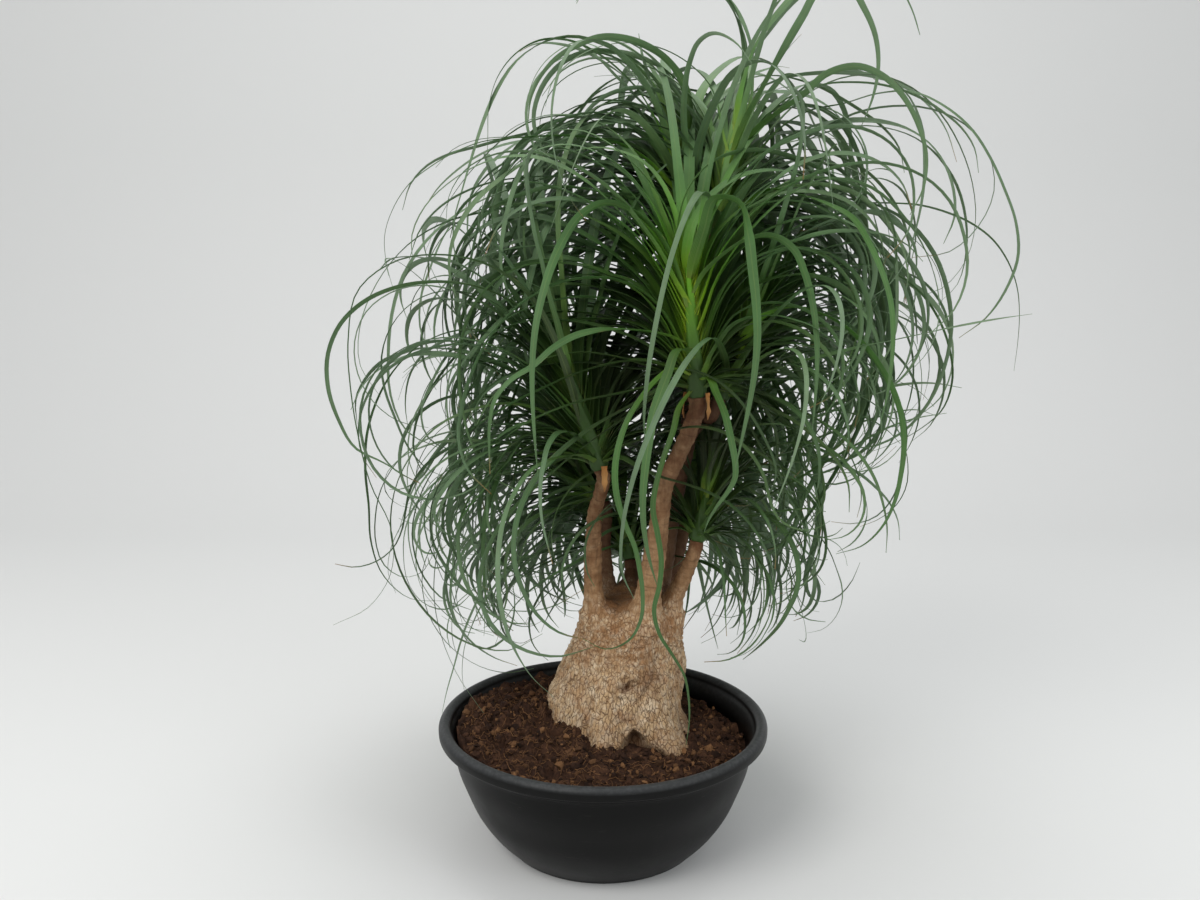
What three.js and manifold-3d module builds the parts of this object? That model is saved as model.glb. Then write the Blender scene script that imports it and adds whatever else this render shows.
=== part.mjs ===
// Potted ponytail palm: a black nursery bowl, its soil, the swollen bark foot (caudex),
// the stems, the leaf crowns at their ends and the long arching leaves.
// Millimetres, +Z up, +X to the right and +Y to the rear of the plant.
// The origin is the centre of the bowl's underside.
import * as THREE from 'three';
import { mergeVertices } from 'three/addons/utils/BufferGeometryUtils.js';
import Module from 'manifold-3d';

const wasm = await Module();
wasm.setup();

// ---------------------------------------------------------------- driving dimensions
const RIM_RADIUS = 200;          // outside of the rolled lip
const BOWL_HEIGHT = 154;         // underside to the lip's top
const LIP_CENTRE = { r: 192.6, z: 146.5 };
const LIP_RADIUS = 7.4;          // of the roll's section
const FLOOR_RADIUS = 118.7;      // flat underside
const WALL = 3;                  // wall and floor thickness
// outer wall: [height, radius], from the underside to the neck below the lip
const BOWL_WALL = [[2.2, 120.6], [20, 137.5], [45, 155], [75, 168.4], [105, 178.8], [128, 181.7]];
const LEDGE = { z0: 129.5, z1: 133.5, out: 1.6 };   // ring line under the lip
const BOWL_SIDES = 48;

const GAP = 0.3;                 // clearance between touching pieces
const SOIL_LEVEL = 127;          // at the bowl's axis
const SOIL_SLOPE_X = -0.075;     // banked up on the left
const SOIL_SLOPE_Y = 0.03;
const SOIL_TOP_MAX = 144;
// heaps and hollows of the soil: [centre x, centre y, half width x, half width y, height]
const SOIL_HEAPS = [[-80, 25, 45, 70, 15], [-26, -30, 36, 34, 9], [-150, -10, 35, 100, 6], [35, -70, 45, 24, 2]];
const SOIL_SIDES = 40;

// bark foot: [height, centre x, centre y, radius]
const CAUDEX = [
  [62, 22, 40, 40], [80, 22, 40, 62], [100, 22, 38, 78], [116, 22, 36, 86], [128, 20, 37, 84],
  [140, 18, 39, 80], [158, 17, 41, 79], [178, 19, 42, 78], [200, 22, 44, 74], [222, 26, 46, 68],
  [242, 30, 48, 61.5], [258, 34, 49, 54.5], [270, 36, 50, 47], [279, 38, 50, 37], [284, 39, 50, 22],
];
// root toes of the foot: [direction in degrees, width in degrees, swell in mm]
const ROOT_TOES = [[-50, 21, 20], [-102, 14, 17], [-150, 22, 8], [172, 20, 10], [118, 24, 9], [60, 22, 10], [8, 18, 5]];
// swellings higher up: [direction, height, width in degrees, half height, mm]
const SWELLS = [[10, 183, 22, 30, 8], [170, 165, 30, 28, 3]];
// notch between the two front toes: [direction, half width in degrees, height of its top, depth in mm]
const TOE_NOTCH = [-76, 9, 150, 18];
const CAUDEX_SIDES = 48;

const STEM_SIDES = 10;
const LEAF_THICKNESS = 1.3;
const CROWN_LEAF_SEGMENTS = 10;
const LONG_LEAF_SEGMENTS = 11;
const CROWN_CORE_RADIUS = 11.5;  // bundle of clasping leaf bases
const SCRAP_WIDTH = 8;           // dry remains of old leaf bases at the neck of a crown
const SCRAP_LENGTH = 30;
const SCRAPS = {
  dry_scrap_front_1: { crown: 'front', direction: 160 },
  dry_scrap_front_2: { crown: 'front', direction: 320 },
  dry_scrap_left_1: { crown: 'left', direction: 290 },
};
// share of the widest width along a crown leaf and along a long outer leaf
const LEAF_WIDTH = [[0, 1.3], [0.04, 1.38], [0.1, 1.2], [0.2, 1], [0.35, 0.8], [0.55, 0.58], [0.75, 0.4], [0.9, 0.22], [1, 0.05]];
const LONG_LEAF_WIDTH = [[0, 1.1], [0.04, 1.18], [0.1, 1.1], [0.2, 1], [0.35, 0.93], [0.55, 0.76], [0.75, 0.53], [0.9, 0.29], [1, 0.05]];
const LEAF_MIN_WIDTH = 1.8;

// stems: centre line from the foot to the crown, and the radius at each point
const STEMS = {
  stem_left: { path: [[-8.6, 35.0, 246.3], [-11.0, 30.0, 289.1], [-12.1, 20.0, 357.7], [-9.6, 10.0, 407.0], [-4.2, 6.0, 425.7], [0.2, 1.5, 447.6], [-3.4, 0.1, 459.3]], radii: [14.5, 12.0, 10.0, 8.6, 8.3, 8.1, 8.0] },
  stem_centre: { path: [[50.2, 12.0, 259.1], [54.7, 8.0, 300.9], [65.7, 0.0, 381.1], [71.7, -10.0, 438.9], [87.0, -20.0, 476.3], [97.7, -26.2, 503.7], [107.9, -33.2, 536.2], [106.8, -34.9, 548.4]], radii: [19.0, 15.5, 12.5, 10.6, 10.0, 9.8, 9.6, 9.5] },
  stem_right: { path: [[81.6, 42.0, 257.0], [87.4, 40.0, 286.1], [99.5, 35.0, 316.5], [112.7, 30.0, 352.5], [115.1, 30.0, 364.6]], radii: [13.5, 11.5, 10.0, 8.6, 8.5] },
  stem_rear_left: { path: [[11.9, 85.0, 256.3], [6.8, 95.0, 282.8], [1.7, 120.0, 336.5], [3.6, 127.0, 358.2], [3.5, 135.4, 382.8], [-3.3, 139.8, 392.3]], radii: [14.0, 11.0, 9.0, 8.8, 8.6, 8.5] },
  stem_rear_short: { path: [[27.6, 92.0, 251.4], [30.4, 102.0, 275.3], [37.1, 112.0, 291.3], [37.5, 117.8, 296.1], [37.7, 124.2, 302.0], [36.3, 129.7, 313.1]], radii: [17.0, 14.5, 11.0, 9.8, 8.6, 8.5] },
  stem_rear_right: { path: [[74.0, 85.0, 256.3], [87.5, 100.0, 294.7], [104.0, 120.0, 350.0], [107.7, 126.8, 364.4], [112.2, 134.8, 381.3], [115.5, 139.8, 392.2]], radii: [13.0, 10.5, 9.0, 8.8, 8.6, 8.5] },
};
const REAR_STEM = {
  trunk: { path: [[66.3, 62.0, 261.0], [72.6, 66.0, 291.3], [86.9, 68.0, 394.6], [107.5, 62.0, 509.3], [110.9, 64.0, 631.8], [114.8, 57.8, 712.0], [109.1, 60.0, 741.0]], radii: [15.0, 12.5, 11.0, 11.0, 10.5, 9.5, 9.0] },
  fork_right: { path: [[111.1, 64.0, 619.7], [120.5, 54.0, 662.0], [122.7, 30.0, 702.4], [128.7, 30.0, 731.3]], radii: [8.0, 9.0, 9.2, 9.0] },
  fork_low: { path: [[105.5, 64.0, 484.1], [116.3, 50.0, 505.9], [130.4, 17.4, 522.7], [137.9, 19.9, 540.6]], radii: [7.0, 8.6, 8.6, 8.4] },
};

// crowns: the axis of the leaf-base bundle, and its leaves: widest width and centre line from foot to tip
const CROWNS = {
  front: { base: [106.7, -35.0, 549.0], tip: [93.0, -55.0, 692.1], leaves: [
      { width: 10.7, path: [[110, -33, 569], [118, -27, 593], [132, -18, 626], [154, 0, 655], [184, 23, 680], [219, 51, 696], [258, 82, 702], [299, 115, 695], [337, 145, 670], [359, 163, 623], [356, 160, 566], [328, 138, 519], [288, 106, 488], [241, 69, 471], [192, 29, 468]] },
      { width: 10.8, path: [[99, -36, 556], [78, -36, 564], [49, -34, 558], [15, -32, 550], [-22, -30, 543], [-60, -28, 530], [-98, -26, 511], [-132, -25, 482], [-160, -24, 446], [-183, -22, 405], [-196, -22, 358], [-200, -22, 308], [-192, -22, 258], [-173, -23, 210], [-144, -24, 165]] },
      { width: 8.7, path: [[94, -48, 666], [87, -42, 686], [79, -36, 715], [68, -28, 747], [55, -17, 781], [39, -4, 815], [15, 15, 844], [-16, 39, 864], [-51, 67, 872], [-87, 97, 870], [-123, 125, 854], [-157, 152, 829], [-189, 177, 798], [-217, 200, 761], [-240, 218, 717]] },
      { width: 19.7, path: [[103, -29, 558], [95, -12, 577], [82, 20, 592], [67, 56, 610], [50, 96, 626], [33, 142, 636], [16, 191, 636], [1, 241, 622], [-11, 288, 594], [-16, 326, 550], [-11, 346, 494], [6, 343, 436], [35, 317, 387]] },
      { width: 7.7, path: [[93, -50, 681], [88, -47, 699], [84, -46, 724], [78, -44, 753], [66, -38, 782], [46, -27, 807], [17, -13, 822], [-16, 4, 827], [-49, 21, 818], [-76, 35, 793], [-91, 42, 755], [-93, 44, 713], [-83, 38, 672], [-59, 26, 637], [-25, 9, 615]] },
      { width: 12.2, path: [[97, -41, 624], [88, -33, 651], [77, -24, 689], [61, -7, 728], [38, 24, 761], [13, 61, 790], [-14, 106, 810], [-43, 157, 814], [-69, 208, 796], [-88, 251, 755], [-94, 270, 694], [-85, 254, 632], [-65, 208, 587]] },
      { width: 17.1, path: [[100, -32, 564], [85, -21, 581], [61, -1, 595], [32, 26, 601], [1, 56, 604], [-32, 88, 602], [-64, 122, 593], [-95, 155, 571], [-122, 184, 537], [-143, 204, 492], [-156, 212, 439], [-162, 203, 383], [-161, 179, 330]] },
      { width: 13.1, path: [[94, -50, 679], [93, -45, 695], [91, -40, 718], [88, -36, 744], [86, -28, 773], [83, -19, 802], [80, -8, 833], [77, 6, 864], [73, 25, 894], [68, 50, 920], [61, 83, 936], [52, 120, 935], [40, 151, 914]] },
      { width: 9.6, path: [[113, -37, 556], [125, -39, 567], [147, -42, 572], [172, -45, 574], [199, -49, 582], [227, -53, 591], [257, -57, 599], [288, -62, 607], [320, -66, 614], [354, -71, 622], [389, -76, 630], [424, -81, 637], [461, -87, 643]] },
      { width: 15.8, path: [[110, -33, 570], [119, -27, 594], [133, -16, 625], [154, 1, 654], [183, 25, 679], [215, 52, 699], [252, 83, 712], [291, 116, 710], [330, 149, 692], [363, 174, 656], [383, 184, 605], [386, 175, 548], [372, 146, 498]] },
  ] },
  top_right: { base: [128.8, 30.0, 731.7], tip: [155.5, 30.0, 859.5], leaves: [
      { width: 11.4, path: [[128, 23, 737], [127, 5, 751], [121, -25, 756], [115, -59, 761], [107, -96, 767], [98, -136, 766], [87, -175, 753], [74, -210, 728], [61, -236, 692], [50, -249, 647], [42, -245, 599], [39, -221, 555], [41, -181, 522]] },
      { width: 15.4, path: [[134, 36, 761], [138, 47, 782], [143, 60, 813], [148, 77, 847], [151, 109, 874], [152, 148, 895], [151, 192, 912], [148, 240, 918], [141, 289, 911], [129, 334, 888], [113, 368, 850], [92, 385, 802], [69, 381, 751]] },
      { width: 18.3, path: [[134, 36, 737], [149, 52, 749], [169, 80, 750], [192, 112, 751], [218, 145, 756], [245, 182, 758], [272, 221, 753], [298, 261, 739], [321, 299, 713], [335, 332, 673], [338, 352, 623], [324, 353, 569], [297, 334, 522]] },
      { width: 9.2, path: [[134, 23, 752], [139, 14, 769], [145, 2, 792], [152, -12, 819], [160, -34, 843], [168, -63, 861], [175, -98, 874], [181, -136, 879], [186, -175, 872], [190, -212, 854], [194, -243, 824], [198, -263, 785], [203, -272, 742]] },
      { width: 19.3, path: [[131, 37, 744], [136, 56, 764], [141, 87, 787], [146, 126, 806], [150, 172, 820], [151, 223, 824], [149, 274, 807], [142, 315, 771], [131, 341, 720], [118, 346, 662], [104, 327, 606], [92, 285, 561], [83, 225, 538]] },
      { width: 14.3, path: [[143, 34, 784], [153, 42, 802], [165, 51, 827], [180, 63, 855], [199, 81, 880], [222, 104, 901], [247, 132, 918], [274, 164, 925], [301, 199, 921], [324, 232, 901], [339, 258, 865], [340, 266, 818], [327, 255, 773]] },
      { width: 14.6, path: [[142, 36, 785], [149, 46, 807], [160, 60, 838], [172, 78, 872], [187, 111, 897], [203, 152, 914], [218, 198, 922], [232, 247, 918], [244, 295, 898], [252, 334, 861], [256, 360, 811], [258, 369, 754], [260, 363, 695]] },
      { width: 15.4, path: [[137, 33, 739], [151, 38, 749], [173, 46, 756], [198, 57, 759], [226, 69, 761], [256, 82, 760], [286, 95, 754], [317, 110, 742], [346, 124, 724], [372, 138, 701], [394, 151, 672], [409, 162, 636], [417, 172, 597]] },
      { width: 8.5, path: [[123, 30, 739], [114, 30, 751], [96, 29, 762], [74, 28, 769], [50, 28, 779], [24, 27, 787], [-4, 26, 793], [-33, 25, 796], [-64, 24, 798], [-96, 23, 796], [-128, 22, 791], [-160, 21, 780], [-190, 20, 762], [-213, 19, 736], [-226, 19, 703]] },
      { width: 8.9, path: [[135, 33, 787], [133, 36, 798], [131, 40, 814], [129, 44, 833], [125, 49, 853], [116, 57, 871], [102, 69, 886], [87, 82, 900], [70, 96, 911], [51, 111, 921], [31, 127, 928], [10, 144, 933], [-11, 162, 935]] },
  ] },
  top_left: { base: [109.1, 60.0, 741.4], tip: [83.2, 70.0, 874.7], leaves: [
      { width: 10.0, path: [[112, 63, 763], [116, 66, 782], [121, 70, 808], [128, 76, 837], [143, 82, 866], [166, 92, 891], [195, 104, 912], [229, 117, 926], [266, 132, 933], [304, 148, 937], [344, 164, 936], [384, 180, 928], [421, 195, 909], [452, 208, 878], [471, 215, 836]] },
      { width: 9.0, path: [[101, 64, 749], [81, 76, 755], [54, 93, 742], [25, 111, 724], [-5, 129, 699], [-36, 147, 672], [-67, 166, 642], [-98, 185, 608], [-129, 204, 571], [-161, 223, 533], [-193, 243, 494], [-226, 263, 454], [-259, 283, 411], [-286, 300, 363], [-306, 312, 308]] },
      { width: 11.6, path: [[109, 61, 774], [114, 61, 792], [118, 61, 816], [125, 61, 844], [137, 60, 873], [152, 59, 902], [170, 58, 932], [191, 56, 961], [214, 54, 991], [244, 51, 1016], [282, 48, 1028], [322, 45, 1031], [364, 41, 1030], [406, 38, 1022], [444, 34, 1001]] },
      { width: 19.5, path: [[105, 68, 754], [98, 84, 773], [89, 108, 797], [78, 140, 818], [66, 179, 834], [55, 222, 845], [45, 270, 844], [37, 318, 828], [33, 360, 798], [34, 392, 754], [40, 411, 702], [51, 412, 646], [66, 398, 591]] },
      { width: 10.8, path: [[104, 55, 758], [97, 45, 774], [87, 31, 794], [75, 10, 814], [62, -16, 829], [49, -47, 840], [35, -81, 847], [21, -117, 848], [7, -154, 841], [-7, -190, 825], [-21, -220, 798], [-35, -239, 762], [-50, -245, 720]] },
      { width: 9.3, path: [[101, 66, 754], [91, 73, 769], [77, 84, 789], [58, 98, 809], [36, 117, 823], [10, 138, 836], [-17, 160, 849], [-46, 183, 859], [-77, 208, 864], [-109, 234, 865], [-142, 261, 862], [-175, 288, 852], [-207, 314, 836], [-238, 339, 814], [-265, 361, 784]] },
      { width: 17.2, path: [[100, 64, 756], [82, 73, 774], [53, 87, 795], [17, 105, 810], [-24, 126, 818], [-68, 149, 819], [-113, 172, 805], [-153, 194, 775], [-183, 211, 730], [-198, 222, 675], [-193, 223, 615], [-162, 214, 563], [-112, 197, 530]] },
      { width: 8.0, path: [[87, 64, 839], [85, 63, 844], [81, 62, 851], [78, 61, 860], [74, 59, 869], [69, 57, 878], [64, 55, 888], [60, 53, 899], [54, 50, 910], [50, 48, 922], [46, 46, 934], [43, 45, 947], [41, 44, 960]] },
      { width: 14.8, path: [[102, 68, 800], [106, 80, 828], [110, 95, 868], [122, 118, 908], [147, 152, 941], [180, 191, 964], [221, 232, 965], [263, 265, 936], [296, 280, 884], [313, 272, 821], [312, 242, 761], [296, 191, 717], [268, 128, 699]] },
      { width: 14.6, path: [[94, 70, 813], [89, 81, 830], [83, 94, 855], [75, 110, 882], [67, 134, 906], [58, 165, 926], [49, 200, 943], [41, 240, 953], [34, 282, 956], [29, 325, 948], [29, 366, 928], [34, 402, 899], [45, 430, 862]] },
  ] },
  left: { base: [-3.6, 0.0, 459.9], tip: [-41.6, -15.0, 581.6], leaves: [
      { width: 6.9, path: [[-37, -17, 572], [-40, -27, 593], [-44, -38, 623], [-50, -51, 656], [-54, -67, 692], [-58, -85, 730], [-60, -108, 768], [-58, -136, 804], [-50, -170, 837], [-34, -210, 860], [-8, -253, 869], [25, -290, 858], [63, -317, 831]] },
      { width: 15.0, path: [[-7, 6, 469], [-13, 26, 487], [-18, 63, 499], [-23, 104, 512], [-28, 150, 525], [-31, 201, 530], [-29, 254, 520], [-21, 301, 492], [-7, 334, 448], [13, 348, 393], [35, 343, 336], [59, 323, 281], [83, 292, 231]] },
      { width: 9.6, path: [[0, -5, 467], [15, -19, 476], [41, -33, 465], [71, -51, 456], [103, -73, 451], [136, -95, 437], [164, -114, 410], [182, -126, 369], [181, -126, 322], [162, -113, 279], [127, -89, 253], [84, -60, 252], [50, -37, 284], [41, -31, 336], [57, -42, 388]] },
      { width: 13.4, path: [[-31, -6, 546], [-41, 3, 573], [-54, 16, 609], [-69, 34, 650], [-86, 56, 692], [-103, 82, 736], [-120, 115, 778], [-137, 158, 816], [-152, 210, 843], [-161, 272, 851], [-160, 331, 827], [-146, 364, 773], [-126, 353, 710]] },
      { width: 9.8, path: [[-13, 3, 469], [-32, 12, 474], [-56, 30, 462], [-82, 49, 446], [-111, 70, 430], [-142, 91, 412], [-173, 114, 391], [-204, 136, 364], [-229, 154, 329], [-246, 166, 285], [-241, 163, 236], [-214, 143, 198], [-174, 115, 177], [-130, 84, 175], [-88, 53, 192]] },
      { width: 9.1, path: [[-9, -7, 466], [-19, -21, 475], [-32, -43, 482], [-46, -70, 484], [-62, -99, 484], [-77, -131, 479], [-90, -162, 464], [-100, -192, 441], [-104, -215, 409], [-102, -231, 371], [-92, -235, 330], [-74, -226, 291], [-51, -206, 259]] },
      { width: 13.4, path: [[-37, -12, 575], [-37, -10, 596], [-40, -10, 625], [-44, -10, 658], [-47, -9, 694], [-50, -7, 732], [-50, -3, 773], [-44, 5, 814], [-29, 18, 852], [-2, 41, 880], [33, 69, 884], [62, 94, 857], [73, 106, 812]] },
      { width: 17.5, path: [[-12, 4, 470], [-31, 15, 489], [-59, 36, 508], [-91, 63, 523], [-127, 96, 532], [-162, 135, 528], [-190, 175, 504], [-207, 210, 461], [-210, 236, 408], [-198, 248, 348], [-174, 244, 290], [-141, 225, 238], [-101, 192, 196]] },
      { width: 7.9, path: [[-32, -11, 563], [-32, -12, 578], [-36, -14, 598], [-42, -17, 621], [-43, -17, 647], [-33, -10, 671], [-16, 4, 690], [7, 20, 701], [32, 39, 704], [57, 58, 699], [81, 76, 685], [100, 89, 660], [107, 95, 627], [97, 88, 594], [74, 70, 572]] },
      { width: 10.5, path: [[-36, -10, 568], [-41, -3, 590], [-49, 5, 621], [-56, 16, 656], [-64, 32, 692], [-71, 50, 731], [-78, 72, 770], [-83, 99, 809], [-85, 134, 844], [-83, 177, 870], [-72, 227, 878], [-52, 272, 860], [-27, 296, 819]] },
  ] },
  right: { base: [138.0, 20.0, 541.0], tip: [167.7, 30.0, 611.6], leaves: [
      { width: 8.4, path: [[141, 13, 546], [148, 1, 559], [155, -21, 571], [163, -49, 582], [171, -79, 594], [179, -112, 604], [185, -148, 609], [189, -187, 609], [190, -226, 600], [186, -263, 582], [178, -293, 553], [165, -309, 515], [150, -310, 474]] },
      { width: 11.3, path: [[134, 24, 548], [123, 35, 563], [98, 50, 572], [69, 68, 583], [39, 87, 594], [5, 109, 600], [-31, 132, 598], [-67, 155, 586], [-100, 177, 564], [-130, 196, 532], [-153, 211, 491], [-170, 222, 446], [-180, 229, 396], [-184, 231, 344], [-182, 230, 290]] },
      { width: 14.4, path: [[141, 28, 556], [146, 44, 582], [152, 65, 617], [154, 97, 652], [150, 137, 684], [139, 184, 711], [120, 237, 725], [93, 289, 717], [62, 332, 685], [35, 358, 632], [21, 362, 568], [23, 349, 501], [40, 325, 438]] },
      { width: 9.0, path: [[156, 22, 587], [161, 16, 605], [168, 9, 629], [176, 1, 657], [183, -10, 686], [191, -23, 718], [198, -38, 750], [204, -57, 782], [207, -82, 812], [204, -113, 839], [194, -149, 856], [174, -187, 859], [149, -220, 847]] },
      { width: 7.0, path: [[147, 19, 545], [160, 17, 549], [178, 13, 548], [197, 8, 542], [217, 2, 533], [239, -4, 524], [261, -10, 512], [282, -16, 496], [300, -21, 476], [315, -25, 452], [325, -28, 424], [331, -29, 394], [331, -29, 364]] },
      { width: 14.6, path: [[139, 28, 545], [140, 51, 555], [134, 86, 551], [125, 125, 544], [116, 167, 537], [104, 210, 522], [87, 248, 495], [66, 276, 458], [41, 293, 413], [15, 298, 365], [-12, 293, 316], [-41, 281, 267], [-72, 263, 219]] },
      { width: 10.2, path: [[148, 27, 552], [165, 39, 571], [189, 56, 597], [219, 81, 618], [254, 111, 636], [292, 144, 646], [333, 179, 649], [376, 216, 642], [418, 252, 621], [451, 281, 580], [461, 289, 520], [441, 273, 463], [400, 237, 428], [350, 193, 421], [298, 149, 429]] },
      { width: 8.0, path: [[165, 26, 600], [172, 23, 610], [180, 21, 624], [190, 20, 640], [204, 16, 654], [222, 11, 664], [244, 4, 668], [266, -2, 665], [287, -8, 653], [303, -13, 635], [314, -17, 611], [317, -17, 585], [310, -15, 558]] },
      { width: 8.9, path: [[140, 15, 551], [142, -1, 570], [138, -31, 588], [131, -67, 601], [122, -108, 613], [110, -151, 620], [93, -196, 614], [72, -236, 593], [50, -266, 557], [30, -281, 510], [18, -276, 457], [17, -252, 406], [30, -214, 365]] },
      { width: 12.8, path: [[151, 30, 578], [156, 43, 600], [162, 60, 631], [167, 83, 664], [169, 112, 698], [169, 145, 731], [164, 185, 760], [150, 231, 779], [128, 279, 781], [99, 322, 762], [69, 348, 722], [44, 356, 670], [28, 345, 614]] },
  ] },
  right_low: { base: [115.2, 30.0, 365.2], tip: [127.7, 30.0, 427.6], leaves: [
      { width: 5.9, path: [[127, 33, 419], [133, 39, 436], [138, 43, 460], [148, 50, 487], [163, 64, 510], [184, 83, 529], [207, 105, 544], [233, 129, 552], [261, 155, 554], [290, 182, 549], [318, 208, 537], [344, 233, 517], [367, 253, 488], [377, 263, 447], [365, 252, 407]] },
      { width: 6.8, path: [[109, 32, 370], [98, 34, 378], [79, 39, 376], [59, 43, 366], [36, 48, 358], [11, 53, 351], [-14, 58, 340], [-38, 64, 326], [-63, 69, 310], [-88, 75, 292], [-110, 80, 270], [-128, 84, 243], [-140, 86, 212]] },
      { width: 6.6, path: [[117, 23, 369], [119, 16, 375], [121, 4, 379], [123, -11, 380], [124, -27, 380], [126, -44, 381], [128, -62, 380], [130, -80, 376], [130, -98, 368], [131, -114, 356], [131, -128, 341], [131, -138, 323], [132, -144, 302]] },
      { width: 11.9, path: [[114, 37, 372], [113, 46, 384], [110, 62, 396], [106, 82, 408], [100, 105, 418], [93, 130, 427], [85, 157, 434], [76, 185, 438], [67, 215, 436], [57, 244, 428], [47, 272, 413], [40, 295, 389], [36, 311, 359]] },
      { width: 8.6, path: [[121, 36, 367], [131, 45, 374], [145, 61, 371], [159, 78, 361], [176, 98, 354], [194, 118, 347], [212, 140, 339], [232, 162, 328], [251, 184, 315], [271, 206, 300], [290, 228, 282], [309, 249, 262], [327, 270, 239]] },
      { width: 7.9, path: [[123, 29, 367], [134, 28, 378], [149, 27, 390], [168, 25, 403], [190, 23, 416], [212, 21, 430], [236, 18, 444], [260, 16, 460], [286, 14, 476], [312, 11, 492], [340, 8, 508], [371, 5, 519], [404, 2, 525]] },
      { width: 9.9, path: [[120, 36, 394], [123, 43, 408], [126, 52, 429], [130, 62, 452], [134, 76, 477], [138, 94, 501], [141, 114, 525], [144, 137, 548], [147, 164, 570], [150, 194, 588], [154, 227, 600], [160, 264, 603], [168, 300, 595]] },
      { width: 10.0, path: [[111, 33, 376], [106, 37, 391], [97, 43, 411], [84, 51, 432], [66, 62, 452], [45, 74, 470], [20, 87, 485], [-9, 101, 494], [-41, 114, 495], [-74, 126, 489], [-106, 133, 474], [-136, 134, 452], [-163, 130, 425]] },
      { width: 7.5, path: [[124, 32, 379], [135, 34, 390], [148, 36, 405], [165, 40, 422], [188, 45, 433], [214, 51, 428], [239, 57, 414], [259, 62, 391], [270, 64, 362], [269, 64, 330], [254, 61, 300], [228, 54, 281], [194, 46, 273]] },
      { width: 11.7, path: [[121, 36, 373], [126, 40, 382], [132, 45, 393], [139, 52, 406], [148, 61, 418], [158, 72, 430], [170, 85, 440], [182, 99, 449], [194, 114, 456], [208, 131, 461], [221, 150, 461], [234, 168, 456], [246, 186, 446]] },
  ] },
  rear_left: { base: [-3.6, 140.0, 392.7], tip: [-57.5, 175.0, 467.9], leaves: [
      { width: 10.4, path: [[-50, 174, 463], [-54, 184, 479], [-60, 197, 501], [-68, 212, 526], [-76, 229, 553], [-84, 247, 582], [-91, 266, 613], [-97, 287, 645], [-99, 309, 678], [-95, 333, 711], [-81, 357, 743], [-55, 380, 769], [-18, 397, 786]] },
      { width: 6.7, path: [[-46, 167, 458], [-50, 168, 472], [-57, 170, 491], [-64, 173, 514], [-67, 174, 539], [-63, 173, 566], [-50, 171, 591], [-28, 168, 611], [0, 163, 623], [32, 158, 623], [62, 154, 610], [85, 150, 587], [99, 148, 555], [98, 148, 520], [81, 151, 489]] },
      { width: 8.4, path: [[-41, 159, 443], [-52, 158, 455], [-66, 157, 472], [-83, 156, 490], [-103, 151, 508], [-127, 144, 523], [-154, 136, 533], [-184, 126, 534], [-215, 117, 525], [-241, 109, 505], [-257, 104, 475], [-260, 103, 439], [-249, 106, 405], [-229, 113, 374], [-201, 121, 349]] },
      { width: 9.3, path: [[-3, 143, 405], [-2, 146, 423], [3, 150, 448], [15, 153, 476], [31, 155, 503], [56, 159, 527], [89, 163, 541], [126, 169, 542], [163, 174, 530], [196, 179, 508], [225, 183, 478], [245, 186, 440], [254, 187, 398], [250, 186, 354], [229, 184, 314]] },
      { width: 10.6, path: [[-55, 175, 461], [-68, 186, 472], [-85, 200, 491], [-105, 216, 512], [-128, 236, 531], [-153, 260, 546], [-180, 288, 556], [-207, 320, 559], [-234, 353, 552], [-259, 385, 534], [-280, 411, 503], [-295, 425, 461], [-303, 421, 413]] },
      { width: 14.1, path: [[-9, 151, 408], [-11, 162, 420], [-14, 178, 438], [-17, 196, 458], [-16, 217, 478], [-8, 241, 496], [3, 267, 513], [19, 294, 527], [40, 321, 537], [66, 346, 540], [97, 366, 533], [129, 377, 515], [157, 378, 488]] },
      { width: 13.7, path: [[-13, 150, 400], [-25, 165, 406], [-41, 186, 413], [-59, 211, 416], [-75, 240, 413], [-92, 271, 404], [-106, 302, 389], [-116, 333, 367], [-123, 360, 337], [-124, 381, 301], [-120, 392, 260], [-112, 391, 217], [-99, 375, 176]] },
      { width: 13.1, path: [[-19, 157, 416], [-26, 174, 430], [-38, 195, 451], [-49, 222, 473], [-52, 259, 489], [-51, 300, 500], [-42, 343, 503], [-23, 384, 493], [5, 414, 468], [36, 426, 432], [64, 417, 390], [84, 390, 350], [94, 351, 316]] },
      { width: 8.5, path: [[-17, 145, 399], [-31, 148, 400], [-50, 151, 397], [-71, 152, 387], [-89, 152, 370], [-107, 151, 351], [-125, 150, 330], [-142, 150, 306], [-157, 149, 280], [-170, 149, 251], [-183, 148, 222], [-194, 148, 191], [-203, 148, 159], [-213, 147, 126], [-221, 147, 92]] },
      { width: 8.7, path: [[-14, 148, 397], [-31, 160, 402], [-54, 178, 406], [-79, 199, 402], [-107, 221, 392], [-135, 244, 379], [-163, 267, 361], [-190, 289, 337], [-215, 309, 306], [-232, 324, 267], [-239, 329, 222], [-228, 320, 176], [-200, 297, 145], [-163, 267, 130], [-124, 235, 128]] },
  ] },
  rear: { base: [36.2, 130.0, 313.6], tip: [26.2, 170.0, 393.5], leaves: [
      { width: 9.9, path: [[42, 134, 321], [49, 142, 334], [58, 152, 353], [70, 164, 373], [89, 179, 388], [111, 196, 400], [136, 215, 406], [163, 236, 408], [190, 257, 404], [217, 277, 394], [243, 297, 377], [265, 314, 352], [281, 326, 319], [285, 330, 280], [272, 320, 244]] },
      { width: 7.5, path: [[30, 135, 336], [25, 136, 353], [18, 138, 376], [10, 140, 403], [-2, 136, 430], [-20, 120, 452], [-41, 101, 470], [-64, 79, 484], [-91, 55, 494], [-118, 29, 496], [-147, 3, 491], [-173, -21, 476], [-192, -39, 445]] },
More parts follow.
